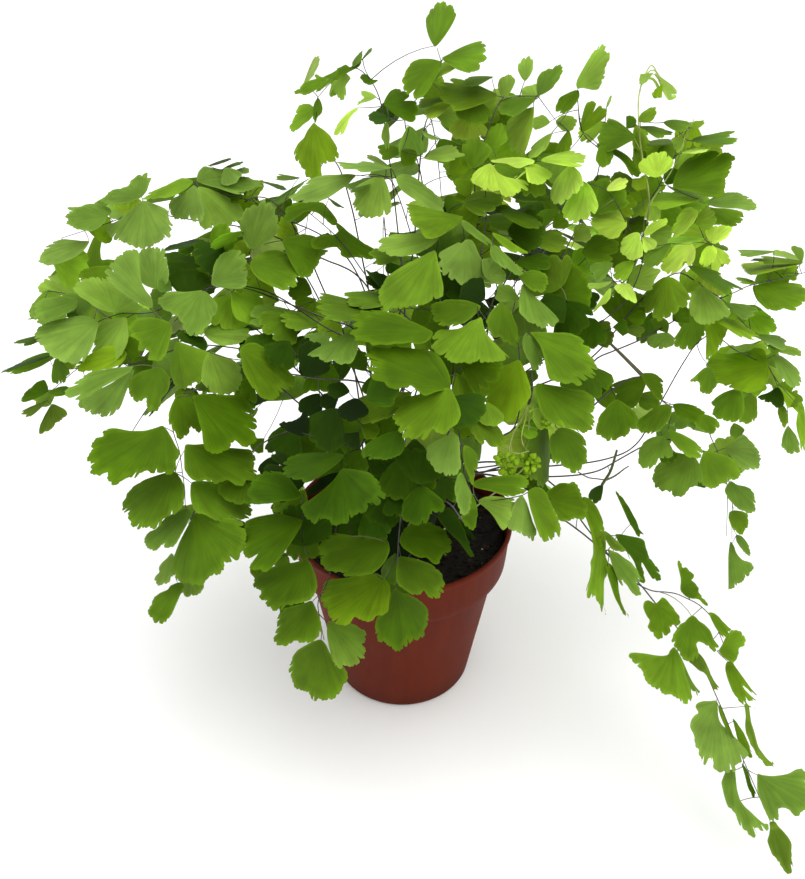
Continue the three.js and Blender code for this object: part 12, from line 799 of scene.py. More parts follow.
        (-76.6, 70.1, 231.8, 0.392, 0.244, -0.887, 0.229, -0.96, -0.162, 26.9, -60, 26.9, 26.9, 60, 11, -1, 23.51, ((0, 0), (-2.9, 4.2), (-5.8, 8.4), (-8, 13), (-8, 17.9), (-7.3, 22), (-7.4, 25.9), (-3.7, 25.6), (0.3, 25), (4.3, 25.1), (7.4, 25.8), (7.5, 21.1), (7.5, 16.5), (7.3, 11.6), (5.4, 6.5), (3.3, 2.9))),
        (-68.6, 80.8, 215.6, 0.246, 0.741, -0.625, 0.069, 0.63, 0.773, 15.8, -43, 16.7, 15.8, 43, 14, 9, 1, ()),
        (-84.1, 73.2, 213.5, -0.696, -0.237, -0.678, -0.689, 0.486, 0.538, 19.5, -56, 20.5, 19.5, 56, 14, -1, 25.87, ()),
        (-84.3, 84, 204.1, 0.24, 0.665, -0.707, -0.467, 0.718, 0.517, 16.4, -56, 17.3, 16.4, 56, 6, -1, 27.09, ()),
        (-64.2, 74.4, 234.6, 0.842, 0.417, -0.343, 0.24, 0.28, 0.929, 9.1, -60, 10.7, 9.9, 65, 3, -1, 23, ()),
    ]),
    "frond_43": (1, [(-11.7, -11.6, 89), (-12.1, -11.1, 97), (-12.8, -10.3, 104.9), (-13.8, -9.1, 112.7), (-15.1, -7.4, 120.4), (-17, -5.1, 127.8), (-19.5, -2.1, 134.7), (-22.6, 1.4, 141.2), (-26.4, 5.6, 146.8), (-31, 9.9, 151.7), (-36.1, 14.2, 156.1), (-41.6, 18.1, 160.3), (-47.5, 21.2, 164.7), (-52.9, 23.5, 170.1), (-58.2, 25.7, 175.6), (-63.9, 28.1, 180.6), (-70.2, 30.7, 184.8), (-77, 33.4, 188), (-84.3, 36.3, 189.6), (-91.7, 39.2, 189.5), (-98.9, 42, 187.4), (-105.4, 44.5, 183.6), (-111.5, 46.8, 178.9), (-117.1, 48.9, 173.7), (-122.3, 50.8, 167.9), (-127.2, 52.6, 161.9)], [
        (-48.9, 26.3, 164.9, -0.193, 0.98, -0.044, -0.697, -0.106, 0.709, 17.2, -56, 18.1, 17.2, 56, 17, -1, 12.08, ()),
        (-46.3, 40.3, 165.1, 0.087, 0.996, 0.002, -0.585, 0.05, 0.81, 16, -39, 16.9, 16, 39, 8, 0, 1, ()),
        (-68, 6.3, 175.8, -0.672, -0.74, -0.011, -0.262, 0.224, 0.939, 22.8, -46, 24, 22.8, 46, 4, -1, 14.09, ()),
        (-65.2, 34.6, 179.6, -0.171, 0.983, -0.073, -0.294, 0.019, 0.956, 18.8, -54, 19.7, 18.8, 54, 4, -1, 15.56, ()),
        (-68.9, 54.3, 176.8, -0.189, 0.982, 0, 0.152, 0.029, 0.988, 14.6, -40, 15.3, 14.6, 40, 4, 3, 1, ()),
        (-78.4, 31.1, 185.7, -0.855, -0.518, -0.025, -0.234, 0.343, 0.91, 23, -41, 24.2, 23, 41, 11, -1, 17.01, ()),
        (-88.2, 41.9, 188.2, -0.262, 0.908, -0.327, -0.238, 0.267, 0.934, 19.6, -43, 20.6, 19.6, 43, 1, -1, 18.79, ()),
        (-111.2, 31.5, 176.8, -0.651, -0.462, -0.602, -0.738, 0.201, 0.644, 23.3, -56, 24.5, 23.3, 56, 3, -1, 21.8, ()),
        (-108, 48.1, 179.1, -0.12, 0.714, -0.69, -0.483, 0.565, 0.669, 21.9, -39, 23, 21.9, 39, 13, -1, 21.8, ()),
        (-107.9, 61.1, 169.9, -0.006, 0.786, -0.618, -0.5, 0.533, 0.683, 18.7, -57, 19.7, 18.7, 57, 3, -1, 23.13, ()),
        (-125.1, 63.7, 159.9, -0.471, -0.59, -0.656, -0.807, -0.012, 0.59, 22.6, -54, 23.8, 22.6, 54, 1, -1, 25, ()),
        (-130.4, 40.7, 161.5, -0.665, -0.443, -0.601, -0.706, 0.11, 0.7, 15.4, -43, 16.2, 15.4, 43, 3, -1, 25, ()),
        (-104.6, 36, 188.1, -0.993, 0.044, 0.114, 0.075, -0.513, 0.855, 13.6, -64, 14.9, 14.1, 58, 8, -1, 20.31, ()),
        (-74.6, 37.6, 195.6, 0.512, 0.773, 0.374, 0.307, -0.572, 0.761, 13.9, -50, 16.9, 16.4, 48, 11, -1, 17.11, ()),
    ]),
    "frond_44": (1, [(-18.9, -6.5, 89), (-19.3, -6.2, 97), (-19.8, -5.7, 105), (-20.7, -5, 113), (-21.9, -3.8, 120.8), (-23.7, -2.2, 128.5), (-26.6, 0.1, 135.7), (-30.6, 2.7, 142.1), (-36, 5.3, 147.5), (-42.2, 7.2, 152.2), (-48.3, 8.2, 157.4), (-54, 9.2, 162.9), (-60.3, 10.2, 167.9), (-67.2, 11.3, 171.8), (-74.7, 12.5, 174.2), (-82.6, 13.8, 174.7), (-90.3, 15, 172.8), (-97.2, 16.1, 169), (-103.5, 17.1, 164), (-109.2, 18, 158.4), (-114.4, 18.7, 152.4), (-119.3, 19.5, 146), (-123.9, 20.1, 139.4), (-128.3, 20.8, 132.7), (-132.4, 21.4, 125.8), (-136.2, 22, 118.7), (-139.9, 22.5, 111.6)], [
        (-48.5, 12.7, 155.6, -0.335, 0.938, -0.093, -0.218, 0.018, 0.976, 21.3, -50, 22.4, 21.3, 50, 12, -1, 10.18, ()),
        (-59.9, 5.8, 164.7, -0.638, -0.762, -0.114, -0.409, 0.21, 0.888, 15.4, -52, 16.2, 15.4, 52, 3, -1, 11.83, ()),
        (-63.9, -7.8, 163.3, -0.381, -0.919, -0.103, -0.728, 0.229, 0.647, 14.3, -46, 15, 14.3, 46, 12, 1, 1, ()),
        (-71.4, 24.6, 165.3, -0.362, 0.871, -0.333, -0.491, 0.126, 0.862, 17.8, -54, 18.8, 17.8, 54, 14, -1, 13.52, ()),
        (-83.7, 26.4, 162.4, -0.465, -0.81, -0.356, -0.818, 0.239, 0.524, 22.1, -52, 23.3, 22.1, 52, 7, 3, 1, ()),
        (-89.9, 13.3, 174.5, -0.469, 0.771, -0.431, -0.486, 0.182, 0.855, 23.1, -53, 24.3, 23.1, 53, 13, -1, 15.79, ()),
        (-97.3, 26.5, 164.9, -0.471, 0.718, -0.513, -0.67, 0.087, 0.737, 18.6, -57, 19.6, 18.6, 57, 2, -1, 17.53, ()),
        (-100.6, 13, 166.1, -0.58, -0.635, -0.511, -0.754, 0.18, 0.631, 19.8, -54, 20.8, 19.8, 54, 2, -1, 17.53, ()),
        (-110.2, 32.4, 150.9, -0.194, 0.683, -0.704, -0.67, 0.433, 0.604, 23.1, -55, 24.3, 23.1, 55, 8, -1, 19.82, ()),
        (-111.3, 50.2, 140.2, -0.035, 0.822, -0.569, -0.348, 0.523, 0.778, 18.8, -55, 19.8, 18.8, 55, 12, 8, 1, ()),
        (-130.9, 17.9, 127.8, -0.363, -0.609, -0.705, -0.48, -0.526, 0.702, 16.4, -40, 17.3, 16.4, 40, 8, -1, 23.71, ()),
        (-134, 24.4, 120.1, -0.138, 0.573, -0.808, -0.791, 0.427, 0.439, 16.4, -49, 17.2, 16.4, 49, 13, -1, 24.66, ()),
        (-136.7, 35.4, 111.5, -0.179, 0.727, -0.662, -0.697, 0.382, 0.607, 21.9, -39, 23.1, 21.9, 39, 14, -1, 26, ()),
        (-97.8, 8, 175.5, -0.957, 0.289, 0.033, -0.133, -0.537, 0.833, 14.3, -60, 15.2, 14.5, 66, 10, -1, 16.53, ()),
    ]),
    "unfurling_frond_01": (0, [(13.7, 9.1, 89), (14.5, 10, 96.9), (15.6, 11.1, 104.8), (17.3, 12.3, 112.5), (19.4, 13.2, 120.2), (21.9, 13.4, 127.7), (25, 13.8, 135), (28.7, 14.4, 142), (33, 15.7, 148.5), (38, 17.5, 154.5), (43.5, 19.4, 160.1), (49.3, 21.5, 165.2), (55.3, 23.6, 170), (61.6, 25.7, 174.4), (68.1, 27.9, 178.6), (74.6, 30, 182.6), (81.1, 32, 186.7), (87.6, 33.9, 191), (93.8, 35.6, 195.8), (99.3, 36.8, 201.5), (103.2, 37.1, 208.4), (105, 36.5, 216.2), (105.3, 35.1, 224.1), (105.5, 33.7, 231.9), (105.4, 33.3, 239.9), (104.2, 35.5, 247.4), (102.5, 39.3, 254.2), (101.2, 44, 260.6), (100.6, 49.3, 266.8), (100.5, 55, 272.5), (101, 60.4, 278.3), (103.2, 65, 284.4), (107.5, 66.9, 287.2), (112.5, 64.3, 281.6)], [
        (106, 61.7, 287.3, -0.804, 0.343, -0.485, -0.557, -0.152, 0.816, 6.6, -61, 6.3, 5.3, 29, 15, 1, 1, (5.3, 8.1, 6.8, 6.5, 6.3, 6, 6.1, 6.6)),
        (108, 62.5, 285.9, 0.768, -0.182, -0.613, 0.446, -0.534, 0.718, 10.3, -19, 11.9, 12.4, 37, 15, -1, 32.35, (0.7, 2.7, 3.5, 5.8, 10.1, 11.1, 11.4, 11.4, 11.4, 11.5, 11.8, 12.1, 12.3, 12.4, 8.9, 5.1, 1.2, 0.9)),
        (110.1, 58.5, 283.7, -0.686, 0.055, -0.725, -0.681, -0.398, 0.614, 6.6, -55, 5.3, 4.4, 13, 11, 1, 1, (6.2, 6.1, 5.7, 5.6, 5.5, 4.2)),
        (102.3, 31.9, 252.7, -0.838, -0.082, -0.54, -0.526, -0.144, 0.838, 6.7, -66, 6.1, 5.7, 52, 11, -1, 25.61, (6.6, 5.6, 7.5, 7.3, 7, 6.8, 7.2, 6.4, 6.1, 7.2, 7.3)),
        (98.8, 51.7, 267.5, 0.647, -0.088, -0.757, 0.605, -0.544, 0.581, 10.3, -56, 10.6, 8.5, 62, 11, -1, 28.27, ()),
        (108, 34.7, 226.2, 0.834, -0.524, 0.176, -0.402, -0.356, 0.844, 8.5, -54, 8.9, 7.8, 62, 12, -1, 22.28, ()),
        (105.4, 37.2, 228.7, -0.955, 0.185, -0.233, -0.296, -0.496, 0.817, 14.8, -43, 17, 13.8, 46, 11, -1, 22.52, ()),
    ]),
    "unfurling_frond_02": (0, [(1.7, -19.9, 89), (2.1, -20.7, 97.1), (2.5, -21.5, 105.1), (3.8, -24.3, 112.7), (6.7, -30, 116.9), (11, -36.8, 116.3), (15.6, -41.1, 120.7), (19.7, -43.9, 127.1), (23.7, -46.8, 133.5), (27.8, -49.7, 139.9), (31.9, -52.5, 146.3), (35.9, -55.4, 152.8), (39.9, -58.2, 159.3), (43.7, -60.9, 166), (46.9, -63.6, 172.9), (47.8, -65.9, 180.4), (44.9, -64.9, 187.5), (46.7, -59.1, 192.7), (48.8, -52.4, 196.8)], [
        (52.5, -61.8, 189.4, -0.001, 0.567, 0.823, 0.782, -0.512, 0.354, 7.9, -56, 8.7, 8.8, 58, 16, -1, 16.69, (1.1, 2.5, 3.3, 5.1, 6.6, 8.1, 8.3, 8.4, 8.4, 8.6, 8.7, 8.7, 8.9, 9.1, 9.2, 9.6, 10, 10.2, 9.7, 7, 3.7, 2.8, 1.2)),
        (39.9, -77.4, 193.1, -0.003, 0.549, 0.836, 0.931, -0.302, 0.202, 10.1, -54, 12, 13, 61, 7, 2, 1, (0,)),
        (40, -77.7, 190.6, -0.953, -0.203, -0.223, -0.216, -0.058, 0.975, 8.9, -54, 7.3, 6, 27, 12, 3, 1, (0,)),
        (43.4, -74.9, 188.5, -0.093, -0.588, -0.804, 0.816, -0.507, 0.276, 8.7, -56, 8.1, 7, 48, 12, 4, 1, (0,)),
        (46.6, -72.5, 187.7, 0.593, -0.517, -0.617, 0.616, -0.2, 0.761, 5.6, -59, 5.5, 5.1, 55, 9, -1, 15.59, (0,)),
        (42.6, -62.7, 165.7, -0.296, -0.475, -0.829, 0.19, -0.879, 0.436, 14.9, -69, 16.3, 13.6, 70, 6, -1, 12.98, (0,)),
    ]),
}

# young shoots, curled leaflets and bare twigs: frond, kind, colour, radius at the start, radius at the end, points
SHOOTS = (
    ("unfurling_frond_01", "tube", "young", 0.3, 0.24, ((101.5, 61.6, 279.5), (102, 63.3, 281.9), (103.7, 65.7, 285.4), (105.8, 67.9, 288.6), (107.5, 67.7, 288.2), (108.8, 66.2, 286.1), (110.5, 64.5, 283.7), (112.6, 63, 281.6))),
    ("unfurling_frond_01", "tube", "bright", 0.45, 0.75, ((102.3, 63, 282.4), (103.5, 64, 283.8), (105.6, 64.4, 284.5), (107.3, 63.8, 283.9), (108.6, 62.5, 282.2), (109.4, 61.2, 280.4), (109, 60.1, 278.7), (107.8, 59.7, 277.9), (107, 60.9, 279.3))),
    ("unfurling_frond_01", "tube", "bright", 0.5, 0.9, ((107.9, 65.7, 285.9), (109.9, 63.7, 283.9), (111.5, 61.8, 281.5), (112.7, 59.8, 279.1), (114.5, 59.1, 277.7), (116.3, 60, 278.3))),
    ("unfurling_frond_01", "tube", "young", 0.26, 0.2, ((105.7, 33.5, 240.2), (107.8, 35.7, 243.3), (111.3, 38.6, 247.5), (115.1, 42.1, 252.4), (118.5, 45.8, 257.6), (121.1, 49.4, 262.9), (122.8, 52.4, 267), (124.5, 54.6, 270.2))),
    ("unfurling_frond_01", "tube", "bright", 0.22, 0.16, ((119.8, 47.7, 260.4), (118.1, 49.7, 263.2), (117.6, 51.1, 265.3))),
    ("unfurling_frond_01", "tube", "bright", 0.2, 0.14, ((121.1, 49.4, 262.9), (118.5, 51.1, 265.3), (122.8, 52.1, 266.7))),
    ("unfurling_frond_01", "tube", "young", 0.24, 0.18, ((100.9, 44.6, 260.2), (98.3, 47.6, 264.3), (94.9, 50, 267.8), (91.1, 51.7, 270.2), (86.9, 52.4, 271.3))),
    ("unfurling_frond_02", "tube", "dark", 0.5, 0.42, ((49, -47.1, 206), (49.4, -49.8, 202.3), (49, -52.4, 198.6), (47.5, -55, 194.8))),
    ("unfurling_frond_02", "tube", "young", 0.4, 0.3, ((47.8, -54.8, 196), (45.2, -58, 191.4), (42.5, -60.7, 187.7), (41, -63.5, 183.6), (40.6, -66.3, 179.6))),
    ("unfurling_frond_02", "tube", "young", 0.34, 0.26, ((47.5, -55.2, 194.9), (48.2, -57.4, 191.8), (47.9, -60.4, 187.5), (46.3, -63.5, 183.1), (44.8, -66.1, 179.4))),
    ("unfurling_frond_02", "tube", "bright", 0.42, 0.55, ((48.1, -57.1, 194.4), (50, -56.5, 195.3), (52.2, -56.3, 195.7), (54.5, -56.7, 195), (56.4, -57.8, 193.5), (56.8, -59.1, 191.6), (55.6, -60.2, 190.1), (53.8, -60.4, 189.8), (52.2, -59.5, 191), (52.6, -58.4, 192.6))),
    ("unfurling_frond_02", "tube", "bright", 0.9, 0.35, ((53.3, -59.5, 191.9), (54.8, -60.2, 191), (56.3, -61, 189.7), (57.5, -62.1, 188.2))),
    ("unfurling_frond_02", "tube", "young", 0.25, 0.18, ((40.6, -63.5, 183.6), (37.2, -65, 181.4), (35.3, -66.6, 179.3))),
    ("unfurling_frond_02", "beads", "bright", 0, 0, ((47.5, -67.6, 175.2, 1.1), (48.4, -69.2, 175.7, 0.8), (43.7, -67.6, 178.8, 1.1), (38.6, -68, 175.1, 1.4), (42.8, -69.5, 173.3, 0.9), (51.8, -68.9, 177.7, 0.9), (48.7, -66.8, 179.1, 1.2), (50.5, -69, 176.8, 0.8), (39.8, -66.9, 181.3, 1.1), (42.1, -69.5, 173.1, 0.9), (47.3, -65.3, 179.4, 1.3), (38, -67.6, 174.4, 0.8), (46.9, -66.7, 179.2, 0.8), (42.9, -65.1, 178.1, 0.9), (39.4, -66.9, 177.7, 0.8), (47.1, -69.3, 173.2, 1.1), (47.4, -66.1, 176.9, 0.8), (50.2, -67.2, 177.5, 1.4), (45.4, -67.4, 181.9, 1), (46.9, -69.9, 177.1, 1.3), (47.1, -69.2, 175.5, 1.3), (50.4, -68.7, 178.7, 1.1), (43.6, -66.7, 177.4, 1), (38.6, -66.2, 178.4, 1.1), (40.7, -67.7, 177.7, 0.8), (38.4, -67.2, 175.9, 1), (49.6, -69.5, 177.6, 1.2), (40.5, -67.6, 174.3, 1), (41.3, -69.5, 175.2, 0.8), (36.7, -67, 178, 1.2), (51.1, -66.3, 177.6, 1.3), (45.7, -66.9, 179, 0.9), (43.5, -70.9, 174.6, 1.1), (41.8, -67.9, 177.9, 1), (43.2, -68.6, 179.2, 1.1), (38.6, -70.1, 175.7, 0.8), (47.4, -68.9, 179, 0.9), (42, -69.1, 175.4, 1.4), (47.7, -68.7, 174.7, 1.3), (47.1, -67.9, 177, 1.3), (49.6, -70.1, 177.1, 1.2), (49.1, -69.3, 179.7, 0.7), (37.6, -70.5, 176, 1.2), (40.7, -68.1, 175.3, 0.9), (39.2, -69.9, 174.6, 1.2), (40.8, -68.2, 177.4, 1.3), (36, -67.1, 180.2, 1.3), (37.1, -66.5, 181.1, 1.3), (42, -67.1, 180.2, 1.3), (45.8, -66.5, 181.1, 1.3), (49.6, -66.7, 180.8, 1.3), (51.1, -67.6, 179.6, 1.3), (52.5, -59.3, 192.2, 1.1), (54.1, -59.9, 191.3, 1.1), (55.2, -60.8, 190.1, 1.1), (53.3, -60.6, 190.4, 1.1), (51.4, -58.6, 193.1, 1.1))),
    ("frond_29", "tube", "olive", 0.55, 0.75, ((97.1, -5.8, 139.8), (96.2, -7.6, 137.2), (95.3, -9.5, 134.7), (94, -11.5, 131.7), (92.1, -13.3, 129.1), (90.3, -14.9, 126.9))),
    ("frond_29", "tube", "olive", 0.28, 0.5, ((102.5, -10, 133.9), (100.3, -10.8, 132.8), (98, -11.8, 131.3), (95.3, -12.8, 129.8), (92.1, -13.6, 128.7))),
    ("frond_29", "tube", "dark", 0.3, 0.3, ((92.1, -13.6, 128.7), (88.5, -13.3, 129.1), (84.9, -13.1, 129.5), (82.7, -12.6, 130.2), (79.5, -11.5, 131.7))),
    ("frond_28", "tube", "brown", 0.55, 0.95, ((87.9, -1.3, 193.1), (90.5, -2.8, 191), (93.5, -4.5, 188.6), (96.9, -6.5, 185.8), (100.3, -8.4, 183), (103.2, -10.1, 180.6))),
)

# colour of each leaf tone, linear, matched leaflet by leaflet: mostly the leaves' own greens, but the darkest tones are
# painted shade for leaflets deep in the foliage
def srgb(r, g, b):
    f = lambda c: c / 12.92 if c <= 0.04045 else ((c + 0.055) / 1.055) ** 2.4
    return np.array([f(r / 255), f(g / 255), f(b / 255)])


LEAF_TONES_WITH_PAINTED_SHADE = [srgb(19, 37, 3), srgb(31, 55, 3), srgb(49, 80, 3), srgb(65, 99, 7), srgb(79, 112, 7), srgb(92, 120, 30), srgb(92, 126, 20), srgb(102, 136, 22), srgb(109, 142, 50), srgb(115, 151, 34), srgb(126, 158, 65), srgb(130, 164, 27), srgb(139, 172, 65), srgb(146, 174, 84), srgb(147, 188, 46), srgb(158, 189, 80), srgb(171, 201, 70), srgb(176, 204, 110), srgb(186, 216, 89), srgb(206, 228, 108)]
STALK_DARK = srgb(34, 22, 17)
STALK_YOUNG = srgb(128, 140, 66)
SHOOT = {"young": srgb(140, 158, 70), "bright": srgb(150, 188, 40), "dark": srgb(42, 30, 20), "olive": srgb(62, 74, 20), "brown": srgb(74, 70, 44)}


def rng_of(*key):
    return np.random.default_rng(zlib.crc32(repr(key).encode()))


def unit(v):
    v = np.asarray(v, float)
    return v / max(1e-12, np.linalg.norm(v))


class Skin:
    """Gathers surfaces into one mesh with its materials and per-point values."""

    def __init__(self):
        self.co, self.faces, self.mat, self.smooth = [], [], [], []
        self.tone, self.leafco, self.extra = [], [], []
        self.n = 0

    def add(self, co, faces, mat, tone, leafco=None, extra=None):
        k = len(co)
        self.co.append(np.asarray(co, float))
        self.faces += [tuple(i + self.n for i in f) for f in faces]
        self.mat += [mat] * len(faces)
        self.tone.append(np.broadcast_to(np.asarray(tone, float), (k, 3)))
        self.leafco.append(np.zeros((k, 2)) if leafco is None else leafco)
        self.extra.append(np.zeros((k, 2)) if extra is None else np.broadcast_to(np.asarray(extra, float), (k, 2)))
        self.n += k

    def mesh(self, name, materials, sharp=48):
        me = bpy.data.meshes.new(name)
        co = np.vstack(self.co) * MM
        me.from_pydata([tuple(c) for c in co], [], self.faces)
        me.polygons.foreach_set("material_index", np.array(self.mat, np.int32))
        me.polygons.foreach_set("use_smooth", np.ones(len(self.faces), bool))
        for m in materials:
            me.materials.append(m)
        tone = me.attributes.new("tone", "FLOAT_COLOR", "POINT")
        t = np.vstack(self.tone)
        tone.data.foreach_set("color", np.hstack([t, np.ones((len(t), 1))]).astype(np.float32).ravel())
        at = me.attributes.new("leafco", "FLOAT_VECTOR", "POINT")
        lc, ex = np.vstack(self.leafco), np.vstack(self.extra)
        at.data.foreach_set("vector", np.hstack([lc, ex[:, :1]]).astype(np.float32).ravel())
        side = me.attributes.new("underside", "FLOAT", "POINT")
        side.data.foreach_set("value", ex[:, 1].astype(np.float32))
        me.validate()
        me.set_sharp_from_angle(angle=math.radians(sharp))
        ob = bpy.data.objects.new(name, me)
        scene.collection.objects.link(ob)
        return ob


def smooth_path(points, sub=3):
    """Catmull-Rom through the points, with sub spans between each two."""
    p = np.asarray(points, float)
    q = np.vstack([2 * p[0] - p[1], p, 2 * p[-1] - p[-2]])
    out = []
    for i in range(1, len(q) - 2):
        for k in range(sub):
            t = k / sub
            a, b, c, d = q[i - 1], q[i], q[i + 1], q[i + 2]
            out.append(0.5 * ((2 * b) + (c - a) * t + (2 * a - 5 * b + 4 * c - d) * t * t + (3 * b - a - 3 * c + d) * t ** 3))
    out.append(p[-1])
    return np.array(out)


def tube(path, radii, sides):
    """A closed tube along a path: points, faces."""
    path = np.asarray(path, float)
    n = len(path)
    tan = np.gradient(path, axis=0)
    tan /= np.maximum(1e-9, np.linalg.norm(tan, axis=1, keepdims=True))
    side = np.cross(tan[0], [0.0, 0.0, 1.0])
    if np.linalg.norm(side) < 0.1:
        side = np.cross(tan[0], [1.0, 0.0, 0.0])
    side = unit(side)
    rings = []
    ang = np.arange(sides) * 2 * math.pi / sides
    for i in range(n):
        side = unit(side - tan[i] * (side @ tan[i]))
        up = np.cross(tan[i], side)
        rings.append(path[i] + radii[i] * (np.cos(ang)[:, None] * side + np.sin(ang)[:, None] * up))
    co = np.vstack(rings + [path[:1] - tan[:1] * radii[0] * 0.5, path[-1:] + tan[-1:] * radii[-1] * 0.6])
    faces = []
    for i in range(n - 1):
        for k in range(sides):
            a, b = i * sides + k, i * sides + (k + 1) % sides
            faces.append((a, b, b + sides, a + sides))
    s, e = n * sides, n * sides + 1
    for k in range(sides):
        faces.append((s, (k + 1) % sides, k))
        faces.append((e, (n - 1) * sides + k, (n - 1) * sides + (k + 1) % sides))
    return co, faces


SPREAD = np.radians([6.0, 13.0, 21.0, 30.0])  # how far the rounded foot of a blade reaches past its two sides
FOOT = np.array([0.72, 0.44, 0.24, 0.10])  # and its length there, as a share of the side


def outline(row, r):
    """Angles and radii of a blade's margin: a smooth fan, or the stated lengths, with rounded lobes, clefts and fine teeth."""
    rl, al, rt, rr, ar = row[9], math.radians(row[10]), row[11], row[12], math.radians(row[13])
    arc = (ar - al) * (rl + rt + rt + rr) / 4
    known = row[17]
    if known:
        count = int(np.clip(round(arc / 1.15), 6, 37))
        ang = np.linspace(al, ar, count)
        rad = np.array(known, float)
        if len(known) == count + 8:
            # the sides run nearly straight to the foot, unless the stated lengths there are long
            left = SPREAD * (0.55 + 0.45 * np.clip((rad[3::-1] / max(rad[4], 1e-3) - FOOT) / 0.3, 0, 1))
            right = SPREAD * (0.55 + 0.45 * np.clip((rad[-4:] / max(rad[-5], 1e-3) - FOOT) / 0.3, 0, 1))
            left = np.maximum.accumulate(left) + np.arange(4) * 0.012
            right = np.maximum.accumulate(right) + np.arange(4) * 0.012
            ang = np.r_[al - left[::-1], ang, ar + right]
        # a lone point that sticks out is rounded off, and a deep cleft stays
        even = rad.copy()
        for _ in range(2):
            even[1:-1] = 0.25 * even[:-2] + 0.5 * even[1:-1] + 0.25 * even[2:]
        rad = np.where(rad < even * 0.84, rad * 0.6 + even * 0.4, even)
        n = int(np.clip((ang[-1] - ang[0]) * 0.5 * (rad.mean() + rt) / 0.58, 12, 96))
        fine = np.linspace(ang[0], ang[-1], n)
        k = np.clip(np.searchsorted(ang, fine, side="right") - 1, 0, len(ang) - 2)
        p0 = rad[np.maximum(k - 1, 0)]
        p1, p2 = rad[k], rad[k + 1]
        p3 = rad[np.minimum(k + 2, len(rad) - 1)]
        t = (fine - ang[k]) / (ang[k + 1] - ang[k])
        f = 0.5 * (2 * p1 + (p2 - p0) * t + (2 * p0 - 5 * p1 + 4 * p2 - p3) * t * t + (3 * p1 - p0 - 3 * p2 + p3) * t ** 3)
        ang, rad = fine, np.clip(f, np.minimum(p1, p2) * 0.97, np.maximum(p1, p2) * 1.03)
    else:
        n = int(np.clip(arc / 0.62, 10, 84))
        ang = np.linspace(al, ar, n)
        rad = np.where(ang < 0, rl + (rt - rl) * np.sin((ang - al) / (-al) * math.pi / 2), rr + (rt - rr) * np.sin((ar - ang) / ar * math.pi / 2)) * 1.04
        t = (ang - al) / (ar - al)
        rad *= 1 - 0.09 * np.clip(1 - np.minimum(t, 1 - t) / 0.09, 0, 1) ** 2
        if rt > 5:
            q = r.uniform(0.45, 0.85)
            ang = np.r_[al - SPREAD[::-1] * q, ang, ar + SPREAD * q]
            rad = np.r_[rl * FOOT[::-1], rad, rr * FOOT]
    # rounded lobes a few millimetres wide with narrow notches between them, and fine teeth, on the outer margin only
    inside = np.minimum(ang - al, ar - ang) * rad
    core = np.clip((inside + 0.6) / 1.8, 0, 1)
    s = np.cumsum(np.r_[0, np.hypot(np.diff(rad), np.diff(ang) * 0.5 * (rad[1:] + rad[:-1]))])
    span = max(s[-1], 1.0)
    big = min(1.0, rt / 15)
    if rt > 5:
        lobes = max(2, round(span / r.uniform(4.2, 6.4)))
        warp = s + 0.16 * span / lobes * np.sin(2 * math.pi * s / span * r.uniform(1.0, 2.4) + r.uniform(0, 6.28))
        lobe = np.abs(np.sin(math.pi * (lobes * warp / span + r.uniform(0, 1))))
        depth = r.uniform(1.0, 1.9) * (1 + 0.35 * np.sin(s / span * r.uniform(4, 9) + r.uniform(0, 6.28)))
        rad = rad + core * big * depth * (lobe ** 0.55 - 0.76)
    if rt > 10:
        for _ in range(int(r.integers(0, 3))):
            c = r.uniform(al * 0.75, ar * 0.75)
            w = r.uniform(0.5, 0.8) / rt
            rad = rad * (1 - core * r.uniform(0.10, 0.26) * np.exp(-(np.abs(ang - c) / w) ** 1.4))
    tooth = np.abs(np.sin(math.pi * (s / r.uniform(1.7, 2.2) + r.uniform(0, 1))))
    rad = rad + core * big * (0.36 * (tooth ** 0.7 - 0.7) + 0.04 * r.normal(size=len(ang)))
    return ang, np.maximum(rad, 0.06 * rt), al, ar


